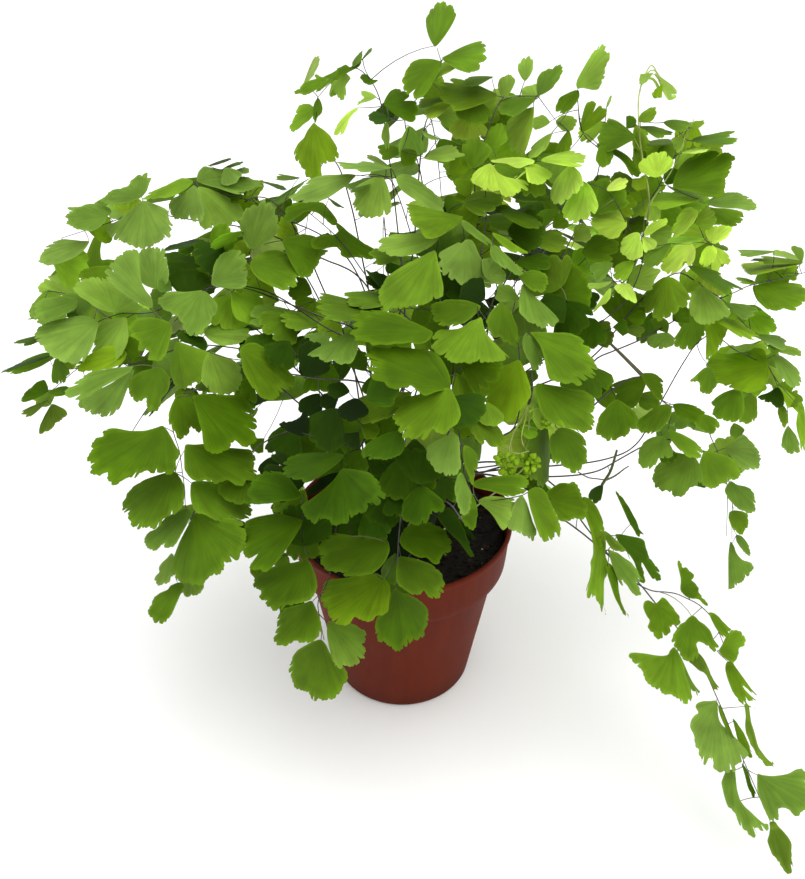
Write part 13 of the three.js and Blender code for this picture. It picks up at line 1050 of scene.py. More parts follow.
def sheet(skin, row, r, base, u, v, n, mat, thick):
    """A forked or twisted blade, from the outline of its own in the plane of the blade."""
    poly = np.array(row[17], float)
    if np.sum(poly[:, 0] * np.roll(poly[:, 1], -1) - np.roll(poly[:, 0], -1) * poly[:, 1]) < 0:
        poly = poly[::-1]
    for _ in range(2):  # corners cut twice, so that the lobes are round
        nxt = np.roll(poly, -1, axis=0)
        poly = np.stack([poly * 0.82 + nxt * 0.18, poly * 0.18 + nxt * 0.82], axis=1).reshape(-1, 2)
    step = np.hypot(*(np.roll(poly, -1, axis=0) - poly).T)
    at = np.r_[0, np.cumsum(step)]
    n_edge = max(18, int(at[-1] / 0.52))
    q = np.linspace(0, at[-1], n_edge, endpoint=False)
    closed = np.vstack([poly, poly[:1]])
    edge = np.stack([np.interp(q, at, closed[:, 0]), np.interp(q, at, closed[:, 1])], axis=1)
    tang = np.roll(edge, -1, axis=0) - np.roll(edge, 1, axis=0)
    tang /= np.maximum(np.linalg.norm(tang, axis=1, keepdims=True), 1e-6)
    out = np.stack([tang[:, 1], -tang[:, 0]], axis=1)
    # teeth and a few narrow clefts, on the outer margin only
    reach = np.hypot(*edge.T)
    facing = np.sum(out * edge, axis=1) / np.maximum(reach, 1e-6)
    far = np.clip(reach / row[11] * 2.2 - 0.9, 0, 1) * np.clip(facing * 3 - 0.4, 0, 1)
    big = float(np.clip(row[11] / 13, 0.25, 1.0))
    tooth = np.abs(np.sin(math.pi * (q / r.uniform(1.9, 2.5) + 0.25 * np.sin(q / r.uniform(2.5, 4.5)) + r.uniform(0, 3))))
    edge = edge + out * (far * big * 0.52 * (tooth ** 0.6 - 0.62))[:, None]
    lobe = np.abs(np.sin(math.pi * (q / r.uniform(4.6, 6.6) + 0.22 * np.sin(q / r.uniform(3.5, 7.0)) + r.uniform(0, 1))))
    edge = edge + out * (far * big * r.uniform(0.8, 1.25) * (lobe ** 0.5 - 0.76))[:, None]
    spots = [i for i in range(n_edge) if far[i] > 0.6]
    if row[11] > 7 and spots:
        taken = []
        for _ in range(int(round(at[-1] / 26.0)) + int(r.integers(0, 2))):
            i = int(spots[int(r.integers(0, len(spots)))])
            if any(min(abs(i - j), n_edge - abs(i - j)) < 5 for j in taken):
                continue
            taken.append(i)
            d = edge[i] * r.uniform(0.06, 0.15)
            edge[i] -= d
            for j, f in ((i - 1, 0.12), ((i + 1) % n_edge, 0.12)):
                edge[j] -= d * f
    lo, hi = edge.min(0), edge.max(0)
    inner = []
    nxt = np.roll(edge, -1, axis=0)
    for gx in np.arange(lo[0] + 1, hi[0], 2.2):
        for gy in np.arange(lo[1] + 1, hi[1], 2.2):
            p = np.array([gx, gy]) + r.uniform(-0.3, 0.3, 2)
            if np.hypot(*(edge - p).T).min() < 0.9:
                continue
            c = (edge[:, 1] > p[1]) != (nxt[:, 1] > p[1])
            x = edge[c, 0] + (p[1] - edge[c, 1]) / (nxt[c, 1] - edge[c, 1]) * (nxt[c, 0] - edge[c, 0])
            if np.count_nonzero(x > p[0]) % 2:
                inner.append(p)
    pts = np.vstack([edge, inner]) if inner else edge
    flat, _, tris, *_ = delaunay_2d_cdt([Vector(p) for p in pts], [], [list(range(len(edge)))], 1, 1e-6)
    flat = np.array([tuple(p) for p in flat])
    used = {}
    for t in tris:
        for a, b in zip(t, list(t[1:]) + [t[0]]):
            used[(a, b)] = used.get((a, b), 0) + 1
    rim = [e for e in used if (e[1], e[0]) not in used]
    size = row[11]
    x, y = flat.T
    rr = np.hypot(x, y)
    a = np.arctan2(x, y)
    cup, droop, wave, ph = r.uniform(-0.10, 0.14), r.uniform(-0.02, 0.10), r.uniform(0.008, 0.02), r.uniform(0, 6.28)
    w = -cup * x * x / size - droop * (rr * rr / size / 2 - 0.25 * rr) + wave * size * (rr / size) ** 1.5 * np.sin(3.2 * a + ph)
    P = base + x[:, None] * u + y[:, None] * v + w[:, None] * n
    near = np.array([np.hypot(*(edge - p).T).min() for p in flat])
    along = rr / np.maximum(rr + near, 1e-3)
    th = thick * 0.5 * (0.5 + 0.5 * np.clip(near / 4, 0, 1))[:, None]
    co = np.vstack([P + n * th, P - n * th])
    k = len(flat)
    up = np.cross(P[tris[0][1]] - P[tris[0][0]], P[tris[0][2]] - P[tris[0][0]]) @ n > 0
    faces = []
    for t in tris:
        t = tuple(t)
        faces += [t, tuple(i + k for i in t[::-1])] if up else [t[::-1], tuple(i + k for i in t)]
    faces += [(b, a, a + k, b + k) if up else (a, b, b + k, a + k) for a, b in rim]
    lc = np.stack([a / 1.1, along], axis=1)
    ex = np.zeros((2 * k, 2))
    ex[:, 0] = r.uniform(0, 100)
    ex[k:, 1] = 1.0
    # tone from the leaf tones, whose darkest entries are painted shade
    tone = LEAF_TONES_WITH_PAINTED_SHADE[row[14]] * (1 + r.uniform(-0.08, 0.08))
    skin.add(co, faces, mat, tone, np.vstack([lc, lc]), ex)


def leaflet(skin, row, key, mat=0, thick=0.26):
    r = rng_of("leaf", *key)
    base, v, n = np.array(row[0:3]), unit(row[3:6]), unit(row[6:9])
    u = unit(np.cross(v, n))
    n = np.cross(u, v)
    if row[17] == (0,):
        return base, v, n
    if row[17] and isinstance(row[17][0], tuple):
        sheet(skin, row, r, base, u, v, n, mat, thick)
        return base, v, n
    ang, rad, al, ar = outline(row, r)
    size = row[11]
    s = np.array([0.0, 0.2, 0.42, 0.64, 0.84, 1.0]) if size > 12 else np.array([0.0, 0.3, 0.62, 1.0])
    na, nr = len(ang), len(s)
    half = (ar - al) / 2
    mid = (ar + al) / 2
    bulge = r.uniform(-0.13, 0.0) if size > 9 else r.uniform(-0.03, 0.04)
    cup = r.uniform(-0.05, 0.13)
    droop = r.uniform(-0.04, 0.12)
    twist = r.uniform(-0.08, 0.08)
    wave = r.uniform(0.008, 0.028)
    phase = r.uniform(0, 6.28)
    S, A = np.meshgrid(s, ang, indexing="ij")
    half, mid = (ang[-1] - ang[0]) / 2, (ang[-1] + ang[0]) / 2
    R = S * rad[None, :]
    Ae = mid + (A - mid) * (1 + bulge * 4 * S * (1 - S))
    x, y = R * np.sin(Ae), R * np.cos(Ae)
    w = -cup * x * x / size - droop * (R * R / size / 2 - 0.25 * R) + twist * x * y / size
    w += wave * size * S ** 1.5 * np.sin(r.uniform(2.2, 4.6) * (A - mid) / half + phase)
    w += 0.5 * wave * size * S ** 2 * np.sin(r.uniform(6, 10) * (A - mid) / half + 2 * phase)
    P = base + x[..., None] * u + y[..., None] * v + w[..., None] * n
    gu = np.gradient(P, axis=1)
    gs = np.gradient(P, axis=0)
    N = np.cross(gu, gs)
    ln = np.linalg.norm(N, axis=2, keepdims=True)
    N = np.where(ln > 1e-6, N / np.maximum(ln, 1e-9), n)
    N = np.where((N @ n)[..., None] < 0, -N, N)
    N[0] = n
    th = thick * (0.5 + 0.5 * (1 - S)[..., None] ** 0.5) * 0.5
    top, bot = P + N * th, P - N * th
    lcoords = np.stack([(A - mid) / half, S], axis=2)
    ring = lambda base_i, i, k: base_i + 1 + (i - 1) * na + k
    faces = []
    T0, B0 = 0, 1 + (nr - 1) * na
    for which, off in ((0, T0), (1, B0)):
        for k in range(na - 1):
            f = (off, ring(off, 1, k + 1), ring(off, 1, k))
            faces.append(f if which else f[::-1])
            for i in range(1, nr - 1):
                f = (ring(off, i, k), ring(off, i, k + 1), ring(off, i + 1, k + 1), ring(off, i + 1, k))
                faces.append(f if which == 1 else f[::-1])
    for k in range(na - 1):
        faces.append((ring(T0, nr - 1, k), ring(T0, nr - 1, k + 1), ring(B0, nr - 1, k + 1), ring(B0, nr - 1, k)))
    for k, flip in ((0, False), (na - 1, True)):
        for i in range(0, nr - 1):
            a = T0 if i == 0 else ring(T0, i, k)
            b = ring(T0, i + 1, k)
            c = ring(B0, i + 1, k)
            d = B0 if i == 0 else ring(B0, i, k)
            f = (a, b, c, d)
            faces.append(f[::-1] if flip else f)
    pack = lambda g: np.vstack([g[0, :1], g[1:].reshape(-1, g.shape[2])])
    co = np.vstack([pack(top), pack(bot)])
    lcs = np.vstack([pack(lcoords), pack(lcoords)])
    seed = r.uniform(0, 100)
    ex = np.zeros((len(co), 2))
    ex[:, 0] = seed
    ex[len(co) // 2:, 1] = 1.0
    # tone from the leaf tones, whose darkest entries are painted shade
    tone = LEAF_TONES_WITH_PAINTED_SHADE[row[14]] * (1 + r.uniform(-0.12, 0.12)) * (1 + r.uniform(-0.05, 0.05, 3))
    skin.add(co, faces, mat, tone, lcs, ex)
    return base, v, n


def bead(skin, centre, size, tone, r):
    """A tightly curled young leaflet, a crinkled little lump."""
    co, faces = [], []
    rows, cols = 6, 10
    ph = r.uniform(0, 6.28, 3)
    q, _ = np.linalg.qr(r.normal(size=(3, 3)))
    if np.linalg.det(q) < 0:
        q[:, 0] *= -1
    for i in range(rows + 1):
        th = math.pi * i / rows
        for j in range(cols if 0 < i < rows else 1):
            a = 2 * math.pi * j / cols
            f = 1 + 0.16 * math.sin(3 * a + ph[0]) * math.sin(th) + 0.14 * math.cos(4 * th + ph[1]) * math.cos(a + ph[2])
            co.append(np.array([math.sin(th) * math.cos(a), math.sin(th) * math.sin(a) * 0.85, math.cos(th) * 1.15]) * f)
    idx = lambda i, j: 0 if i == 0 else 1 + (rows - 1) * cols if i == rows else 1 + (i - 1) * cols + j % cols
    for i in range(rows):
        for j in range(cols):
            quad = [idx(i, j), idx(i + 1, j), idx(i + 1, j + 1), idx(i, j + 1)]
            face = [v for n, v in enumerate(quad) if v not in quad[:n]]
            faces.append(tuple(face))
    co = np.array(co) @ q.T * size + np.asarray(centre)
    lc = np.tile([0.2, 0.5], (len(co), 1))
    skin.add(co, faces, 0, tone, lc, (r.uniform(0, 100), 0.0))


def frond(name, data):
    hidden, points, leaves = data
    skin = Skin()
    sub = 3
    path = smooth_path(points, sub)
    nlen = len(points) - 1
    pale = np.mean([row[14] in (5, 6, 12) for row in leaves]) if leaves else 0.0
    young = 1.0 if name.startswith("unfurling") else float(np.clip((pale - 0.45) * 1.6, 0, 0.8))
    stalk = STALK_DARK * (1 - young) + STALK_YOUNG * young
    k = np.linspace(0, 1, len(path))
    radii = 0.34 * (1 - k) ** 0.75 + 0.15
    if name.startswith("unfurling_frond_01"):
        radii = 0.42 * (1 - k) + 0.30
    co, faces = tube(path, radii, 7)
    tone = stalk[None, :] * (1 + 0.0 * k[:, None])
    tones = np.repeat(stalk[None, :] * (1 + 0.5 * (k[:, None] > 0.75) * young), 7, axis=0)
    tones = np.vstack([tones, stalk, stalk])
    skin.add(co, faces, 1, tones, None, (0.0, 0.0))
    # fine stalks
    ends = [np.array(row[0:3]) + unit(row[3:6]) * 0.5 for row in leaves]
    starts, bows = {}, {}

    def on_stalk(share):
        t = min(max(share, 0.0), nlen) * sub
        i = min(int(t), len(path) - 2)
        return path[i] + (path[i + 1] - path[i]) * (t - i)

    def at(i, share):
        a, b = start(i), ends[i]
        return a + (b - a) * share + bows[i] * 4 * share * (1 - share)

    def start(i):
        if i not in starts:
            row = leaves[i]
            starts[i] = on_stalk(row[16]) if row[15] < 0 else at(row[15], row[16])
            r = rng_of("twig", name, i)
            d = ends[i] - starts[i]
            bow = np.cross(d, r.normal(size=3))
            bows[i] = unit(bow) * np.linalg.norm(d) * r.uniform(0.02, 0.09) if np.linalg.norm(bow) > 1e-6 else np.zeros(3)
            bows[i][2] += np.linalg.norm(d) * 0.02
        return starts[i]

    for i, row in enumerate(leaves):
        start(i)
    for i, row in enumerate(leaves):
        t = np.linspace(0, 1, 6)
        p = np.array([at(i, x) for x in t])
        length = np.linalg.norm(ends[i] - starts[i])
        if length < 0.4:
            continue
        co, faces = tube(p, np.linspace(0.21, 0.13, 6), 5)
        green = young if row[14] not in (5, 6) else max(young, 0.35)
        skin.add(co, faces, 1, STALK_DARK * (1 - green) + STALK_YOUNG * green, None, (0.0, 0.0))
        leaflet(skin, row, (name, i))
    for owner, kind, colour, r0, r1, pts in SHOOTS:
        if owner != name:
            continue
        if kind == "tube":
            p = smooth_path(pts, 3)
            co, faces = tube(p, np.linspace(r0, r1, len(p)), 7)
            skin.add(co, faces, 1, SHOOT[colour], None, (0.0, 0.0))
        else:
            rb = rng_of("beads", name)
            for x, y, z, size in pts:
                bead(skin, (x, y, z), size, SHOOT[colour] * rb.uniform(0.75, 1.25), rb)
    ob = skin.mesh(name + "_leaves", [LEAF, STALK])
    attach(ob, "root")
    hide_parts(name)
    return ob


# ---- materials ------------------------------------------------------------------------------------------------------
class Nodes:
    def __init__(self, name):
        self.m = bpy.data.materials.new(name)
        self.m.use_nodes = True
        self.t = self.m.node_tree
        self.t.nodes.clear()
        self.out = self.t.nodes.new("ShaderNodeOutputMaterial")
        self.p = self.t.nodes.new("ShaderNodeBsdfPrincipled")
        self.t.links.new(self.p.outputs[0], self.out.inputs[0])

    def new(self, kind, **kw):
        n = self.t.nodes.new(kind)
        for k, v in kw.items():
            setattr(n, k, v)
        return n

    def link(self, a, b):
        self.t.links.new(a, b)

    def math(self, op, a, b=None, c=None, clamp=False):
        n = self.new("ShaderNodeMath", operation=op, use_clamp=clamp)
        for i, x in enumerate((a, b, c)):
            if x is None:
                continue
            if hasattr(x, "is_linked") or hasattr(x, "node"):
                self.link(x, n.inputs[i])
            else:
                n.inputs[i].default_value = x
        return n.outputs[0]

    def mix(self, fac, a, b, kind="MIX"):
        n = self.new("ShaderNodeMix", data_type="RGBA", blend_type=kind)
        for i, x in ((0, fac), (6, a), (7, b)):
            if hasattr(x, "node"):
                self.link(x, n.inputs[i])
            elif i == 0:
                n.inputs[i].default_value = x
            else:
                n.inputs[i].default_value = (*x, 1.0)
        return n.outputs[2]

    def noise(self, vec, scale, detail=3.0, rough=0.5, out=0):
        n = self.new("ShaderNodeTexNoise")
        n.inputs["Scale"].default_value = scale
        n.inputs["Detail"].default_value = detail
        n.inputs["Roughness"].default_value = rough
        if vec is not None:
            self.link(vec, n.inputs["Vector"])
        return n.outputs[out]

    def ramp(self, fac, stops):
        n = self.new("ShaderNodeValToRGB")
        e = n.color_ramp.elements
        while len(e) > 1:
            e.remove(e[-1])
        e[0].position, e[0].color = stops[0][0], (*([stops[0][1]] * 3 if np.isscalar(stops[0][1]) else stops[0][1]), 1)
        for pos, c in stops[1:]:
            x = e.new(pos)
            x.color = (*([c] * 3 if np.isscalar(c) else c), 1)
        self.link(fac, n.inputs[0])
        return n.outputs[0]

    def maprange(self, x, a, b, c, d, smooth=False):
        n = self.new("ShaderNodeMapRange")
        if smooth:
            n.interpolation_type = "SMOOTHSTEP"
        self.link(x, n.inputs[0])
        for i, val in enumerate((a, b, c, d)):
            n.inputs[i + 1].default_value = val
        return n.outputs[0]

    def attr(self, name, out):
        n = self.new("ShaderNodeAttribute", attribute_name=name)
        return n.outputs[out]

    def bump(self, height, strength, distance, normal=None):
        n = self.new("ShaderNodeBump")
        n.inputs["Strength"].default_value = strength
        n.inputs["Distance"].default_value = distance
        self.link(height, n.inputs["Height"])
        if normal is not None:
            self.link(normal, n.inputs["Normal"])
        return n.outputs[0]

    def coords(self):
        return self.new("ShaderNodeTexCoord").outputs["Object"]


def leaf_material():
    k = Nodes("leaf")
    tone = k.attr("tone", "Color")
    sep = k.new("ShaderNodeSeparateXYZ")
    k.link(k.attr("leafco", "Vector"), sep.inputs[0])
    across, along, seed = sep.outputs
    under = k.attr("underside", "Fac")
    # streaks that run out from the base as the veins do
    comb = k.new("ShaderNodeCombineXYZ")
    k.link(k.math("MULTIPLY", across, 7.0), comb.inputs[0])
    k.link(k.math("MULTIPLY", along, 1.6), comb.inputs[1])
    k.link(seed, comb.inputs[2])
    streak = k.noise(comb.outputs[0], 1.0, 4.0, 0.55)
    comb2 = k.new("ShaderNodeCombineXYZ")
    k.link(k.math("MULTIPLY", across, 44.0), comb2.inputs[0])
    k.link(k.math("MULTIPLY", along, 2.0), comb2.inputs[1])
    k.link(seed, comb2.inputs[2])
    veins = k.noise(comb2.outputs[0], 1.0, 2.0, 0.5)
    patch = k.noise(k.coords(), 90.0, 2.0, 0.5)
    v1 = k.maprange(streak, 0.3, 0.7, 0.88, 1.12)
    v2 = k.maprange(veins, 0.3, 0.7, 0.89, 1.11)
    v3 = k.maprange(patch, 0.3, 0.7, 0.84, 1.16)
    gain = k.math("MULTIPLY", k.math("MULTIPLY", v1, v2), v3)
    scaled = k.new("ShaderNodeVectorMath", operation="SCALE")
    k.link(tone, scaled.inputs[0])
    k.link(gain, scaled.inputs["Scale"])
    col = scaled.outputs[0]
    # the blade darker from the margin in towards its foot, which is painted shade; a light band along the margin,
    # strongest on dark leaflets, partly the blade's own paler edge and partly painted highlight; and a paler foot
    def lighter(fac, gains, start):
        up = k.new("ShaderNodeVectorMath", operation="MULTIPLY")
        k.link(start, up.inputs[0])
        up.inputs[1].default_value = gains
        return k.mix(fac, start, up.outputs[0])

    # painted shade: the blade darker inward from the margin
    col = lighter(k.maprange(along, 0.30, 0.96, 1.0, 0.0, smooth=True), (0.88, 0.90, 0.80), col)
    rgb = k.new("ShaderNodeSeparateXYZ")
    k.link(tone, rgb.inputs[0])
    # light margin band, strongest on dark leaflets: partly the paler edge, partly painted highlight
    rim = k.math("MULTIPLY", k.maprange(along, 0.88, 1.0, 0.0, 1.0, smooth=True), k.maprange(rgb.outputs[1], 0.18, 0.42, 0.85, 0.08))
    col = lighter(rim, (1.50, 1.40, 1.7), col)
    col = lighter(k.maprange(along, 0.0, 0.14, 1.0, 0.0, smooth=True), (1.22, 1.16, 1.2), col)
    # the underside is paler and duller
    col = lighter(k.math("MULTIPLY", under, 0.8), (1.30, 1.22, 1.7), col)
    k.link(col, k.p.inputs["Base Color"])
    rough = k.maprange(streak, 0.3, 0.7, 0.54, 0.68)
    k.link(k.math("ADD", rough, k.math("MULTIPLY", under, 0.12)), k.p.inputs["Roughness"])
    k.p.inputs["Specular IOR Level"].default_value = 0.07
    k.link(k.bump(k.math("ADD", veins, k.math("MULTIPLY", streak, 0.6)), 0.25, 0.0003), k.p.inputs["Normal"])
    thin = k.new("ShaderNodeBsdfTranslucent")
    bright = k.new("ShaderNodeVectorMath", operation="MULTIPLY")
    k.link(col, bright.inputs[0])
    bright.inputs[1].default_value = (1.35, 1.3, 0.45)
    k.link(bright.outputs[0], thin.inputs["Color"])
    mixer = k.new("ShaderNodeMixShader")
    mixer.inputs[0].default_value = 0.34
    k.link(k.p.outputs[0], mixer.inputs[1])
    k.link(thin.outputs[0], mixer.inputs[2])
    k.link(mixer.outputs[0], k.out.inputs[0])
    return k.m


def stalk_material():
    k = Nodes("stalk")
    tone = k.attr("tone", "Color")
    n1 = k.noise(k.coords(), 160.0, 3.0, 0.6)
    scaled = k.new("ShaderNodeVectorMath", operation="SCALE")
    k.link(tone, scaled.inputs[0])
    k.link(k.maprange(n1, 0.3, 0.7, 0.75, 1.35), scaled.inputs["Scale"])
    k.link(scaled.outputs[0], k.p.inputs["Base Color"])
    k.link(k.maprange(n1, 0.3, 0.7, 0.28, 0.42), k.p.inputs["Roughness"])
    k.link(k.bump(n1, 0.2, 0.0003), k.p.inputs["Normal"])
    return k.m


def pot_material():
    k = Nodes("pot_plastic")
    xyz = k.coords()
    big = k.noise(xyz, 22.0, 3.0, 0.5)
    fine = k.noise(xyz, 900.0, 2.0, 0.5)
    sep = k.new("ShaderNodeSeparateXYZ")
    k.link(xyz, sep.inputs[0])
    # faint streaks up the wall where the plastic flowed
    squash = k.new("ShaderNodeVectorMath", operation="MULTIPLY")
    k.link(xyz, squash.inputs[0])
    squash.inputs[1].default_value = (160.0, 160.0, 9.0)
    flow = k.noise(squash.outputs[0], 1.0, 3.0, 0.6)
    base = k.mix(k.maprange(big, 0.3, 0.7, 0.0, 1.0), tuple(srgb(80, 23, 7)), tuple(srgb(92, 30, 10)))
    base = k.mix(k.maprange(flow, 0.42, 0.75, 0.0, 0.35), base, tuple(srgb(103, 37, 14)))
    # darker, browner patches low on the wall, fading out within 18 mm of the bottom
    low = k.math("MULTIPLY", k.maprange(sep.outputs[2], 0.0, 0.018, 0.5, 0.0, smooth=True), k.maprange(big, 0.35, 0.65, 0.2, 1.0))
    base = k.mix(low, base, tuple(srgb(58, 26, 16)))
    k.link(base, k.p.inputs["Base Color"])
    k.link(k.maprange(big, 0.3, 0.7, 0.52, 0.68), k.p.inputs["Roughness"])
    k.p.inputs["Specular IOR Level"].default_value = 0.09
    k.link(k.bump(fine, 0.25, 0.0002, k.bump(flow, 0.15, 0.0006)), k.p.inputs["Normal"])
    return k.m


def soil_material():
    k = Nodes("soil")
    xyz = k.coords()
    tone = k.attr("tone", "Color")
    n1 = k.noise(xyz, 420.0, 4.0, 0.65)
    n2 = k.noise(xyz, 1500.0, 3.0, 0.6)
    scaled = k.new("ShaderNodeVectorMath", operation="SCALE")
    k.link(tone, scaled.inputs[0])
    k.link(k.math("MULTIPLY", k.maprange(n1, 0.3, 0.7, 0.45, 1.7), k.maprange(n2, 0.3, 0.7, 0.7, 1.35)), scaled.inputs["Scale"])
    k.link(scaled.outputs[0], k.p.inputs["Base Color"])
    k.link(k.maprange(n1, 0.3, 0.7, 0.75, 1.0), k.p.inputs["Roughness"])
    k.p.inputs["Specular IOR Level"].default_value = 0.25
    k.link(k.bump(n2, 0.6, 0.0005, k.bump(n1, 0.7, 0.0015)), k.p.inputs["Normal"])
    return k.m


LEAF, STALK, POT, SOIL = leaf_material(), stalk_material(), pot_material(), soil_material()

for name, data in FRONDS.items():
    frond(name, data)

# ---- pot ------------------------------------------------------------------------------------------------------------
POT_H, RIM_R, BASE_R, WALL_TOP_R, BAND = 97.0, 53.0, 34.7, 46.7, 23.0


def revolve(profile, turns=160):
    co, faces = [], []
    m = len(profile)
    for i in range(turns):
        a = 2 * math.pi * i / turns
        for r, z in profile:
            co.append((r * math.cos(a), r * math.sin(a), z))
    for i in range(turns):
        j = (i + 1) % turns
        for k in range(m - 1):
            faces.append((i * m + k, j * m + k, j * m + k + 1, i * m + k + 1))
    return co, faces


def arc(cx, cz, r, a0, a1, n=5):
    return [(cx + r * math.cos(math.radians(a0 + (a1 - a0) * i / n)), cz + r * math.sin(math.radians(a0 + (a1 - a0) * i / n))) for i in range(n + 1)]


band_z = POT_H - BAND
wall = lambda z: BASE_R + (WALL_TOP_R - BASE_R) * (z / band_z)
foot = arc(wall(3) - 3, 3, 3, -90, 0, 6)
profile = [(0.0001, 0.0), (12, 0), (22, 0)] + foot
for z in (8, 16, 28, 40, 52, 62, 70):
    profile.append((wall(z), z))
profile += [(WALL_TOP_R - 0.05, band_z - 0.6), (WALL_TOP_R + 0.5, band_z - 0.1), (RIM_R - 2.7, band_z + 0.25), (RIM_R - 2.25, band_z + 0.9)]
for z in (band_z + 4, band_z + 10, band_z + 16, POT_H - 3.2):
    profile.append((RIM_R - 2.2 + 1.55 * (z - band_z) / BAND, z))
profile += [(RIM_R - 0.55, POT_H - 2.9), (RIM_R - 0.12, POT_H - 2.5), (RIM_R, POT_H - 2.0), (RIM_R, POT_H - 0.9), (RIM_R - 0.25, POT_H - 0.3), (RIM_R - 0.8, POT_H)]
profile += [(RIM_R - 1.5, POT_H - 0.08), (RIM_R - 1.85, POT_H - 0.5), (RIM_R - 2.3, POT_H - 6), (RIM_R - 3.9, band_z + 3.0), (WALL_TOP_R - 1.5, band_z + 1.4)]
for z in (60, 40, 20, 6):
    profile.append((wall(z) - 1.6, z))
profile += [(wall(3) - 2.6, 2.8), (wall(3) - 4.0, 2.4), (20, 2.4), (0.0001, 2.4)]
co, faces = revolve(profile)
skin = Skin()
skin.add(co, faces, 0, (0.2, 0.05, 0.03))
pot = skin.mesh("nursery_pot", [POT], sharp=35)

for i in range(6):
    a = (i + 0.5) / 6 * 2 * math.pi
    hole_co, hole_faces = tube([(23 * math.cos(a), 23 * math.sin(a), -3), (23 * math.cos(a), 23 * math.sin(a), 6)], [3.5, 3.5], 24)
    hs = Skin()
    hs.add(hole_co, hole_faces, 0, (0.2, 0.05, 0.03))
    hole = hs.mesh("hole", [POT])
    mod = pot.modifiers.new("cut", "BOOLEAN")
    mod.operation = "DIFFERENCE"
    mod.object = hole
    mod.solver = "EXACT"
    dg = bpy.context.evaluated_depsgraph_get()
    new = bpy.data.meshes.new_from_object(pot.evaluated_get(dg))
    pot.modifiers.clear()
    old = pot.data
    pot.data = new
    bpy.data.meshes.remove(old)
    bpy.data.objects.remove(hole)
pot.data.set_sharp_from_angle(angle=math.radians(35))
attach(pot, "root")
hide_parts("pot")

# ---- soil -----------------------------------------------------------------------------------------------------------
r = rng_of("soil")
SOIL_R, SOIL_Z = 48.9, 87.5


def soil_height(x, y):
    d = np.hypot(x, y)
    h = SOIL_Z + 1.0 * np.clip(1 - d / 49, 0, 1)
    for (fx, fy, ph, am) in bumps:
        h = h + am * np.sin(fx * x + fy * y + ph)
    return h


bumps = [(r.normal() * 0.16, r.normal() * 0.16, r.uniform(0, 6.3), 0.35) for _ in range(5)] + [(r.normal() * 0.7, r.normal() * 0.7, r.uniform(0, 6.3), 0.16) for _ in range(8)] + [(r.normal() * 2.0, r.normal() * 2.0, r.uniform(0, 6.3), 0.12) for _ in range(8)]
skin = Skin()
rings, turns = 46, 150
co = [(0.0, 0.0, float(soil_height(0, 0)))]
for i in range(1, rings + 1):
    rr = SOIL_R * i / rings
    for k in range(turns):
        a = 2 * math.pi * k / turns
        x, y = rr * math.cos(a), rr * math.sin(a)
        co.append((x, y, float(soil_height(x, y)) - (0.8 if i == rings else 0)))
faces = [(0, 1 + k, 1 + (k + 1) % turns) for k in range(turns)]
for i in range(rings - 1):
    for k in range(turns):
        a, b = 1 + i * turns + k, 1 + i * turns + (k + 1) % turns
        faces.append((a, a + turns, b + turns, b))
low = len(co)
lower = [(48.6, 84.0), (44.0, 74.8), (33.5, 3.0)]
for rr, z in lower:
    for k in range(turns):
        a = 2 * math.pi * k / turns
        co.append((rr * math.cos(a), rr * math.sin(a), z))
prev = 1 + (rings - 1) * turns
for j in range(len(lower)):
    cur = low + j * turns
    for k in range(turns):
        faces.append((prev + k, cur + k, cur + (k + 1) % turns, prev + (k + 1) % turns))
    prev = cur
co.append((0, 0, 3.0))
for k in range(turns):
    faces.append((prev + k, len(co) - 1, prev + (k + 1) % turns))
skin.add(co, faces, 0, srgb(24, 19, 15))


def chunk(skin, centre, size, tone, mat=0, flat=0.75):
    """A small irregular crumb."""
    t = (1 + 5 ** 0.5) / 2
    p = np.array([(-1, t, 0), (1, t, 0), (-1, -t, 0), (1, -t, 0), (0, -1, t), (0, 1, t), (0, -1, -t), (0, 1, -t), (t, 0, -1), (t, 0, 1), (-t, 0, -1), (-t, 0, 1)], float)
    p /= np.linalg.norm(p[0])
    f = [(0, 11, 5), (0, 5, 1), (0, 1, 7), (0, 7, 10), (0, 10, 11), (1, 5, 9), (5, 11, 4), (11, 10, 2), (10, 7, 6), (7, 1, 8), (3, 9, 4), (3, 4, 2), (3, 2, 6), (3, 6, 8), (3, 8, 9), (4, 9, 5), (2, 4, 11), (6, 2, 10), (8, 6, 7), (9, 8, 1)]
    p *= r.uniform(0.62, 1.15, (12, 1))
    q, _ = np.linalg.qr(r.normal(size=(3, 3)))
    if np.linalg.det(q) < 0:
        q[:, 0] *= -1
    p = p @ q.T * size * np.array([1.0, r.uniform(0.6, 1.0), flat])
    skin.add(p + np.asarray(centre), f, mat, tone)


for i in range(1500):
    rr, a = 47.0 * math.sqrt(r.random()), r.uniform(0, 2 * math.pi)
    x, y = rr * math.cos(a), rr * math.sin(a)
    size = float(np.clip(r.lognormal(-0.25, 0.5), 0.35, 2.2))
    pick = r.random()
    tone = srgb(28, 22, 18) if pick < 0.76 else srgb(44, 34, 26) if pick < 0.92 else srgb(84, 70, 52) if pick < 0.975 else srgb(190, 184, 172)
    if pick >= 0.975:
        size = min(size, 0.7)
    chunk(skin, (x, y, float(soil_height(x, y)) + 0.25 * size), size, tone * r.uniform(0.7, 1.25))
soil = skin.mesh("potting_mix", [SOIL], sharp=40)
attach(soil, "root")
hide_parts("potting_soil")

# ---- rootstock ------------------------------------------------------------------------------------------------------
r = rng_of("rootstock")
skin = Skin()
brown = srgb(52, 36, 25)
feet = [np.array(d[1][0], float) for d in FRONDS.values()]
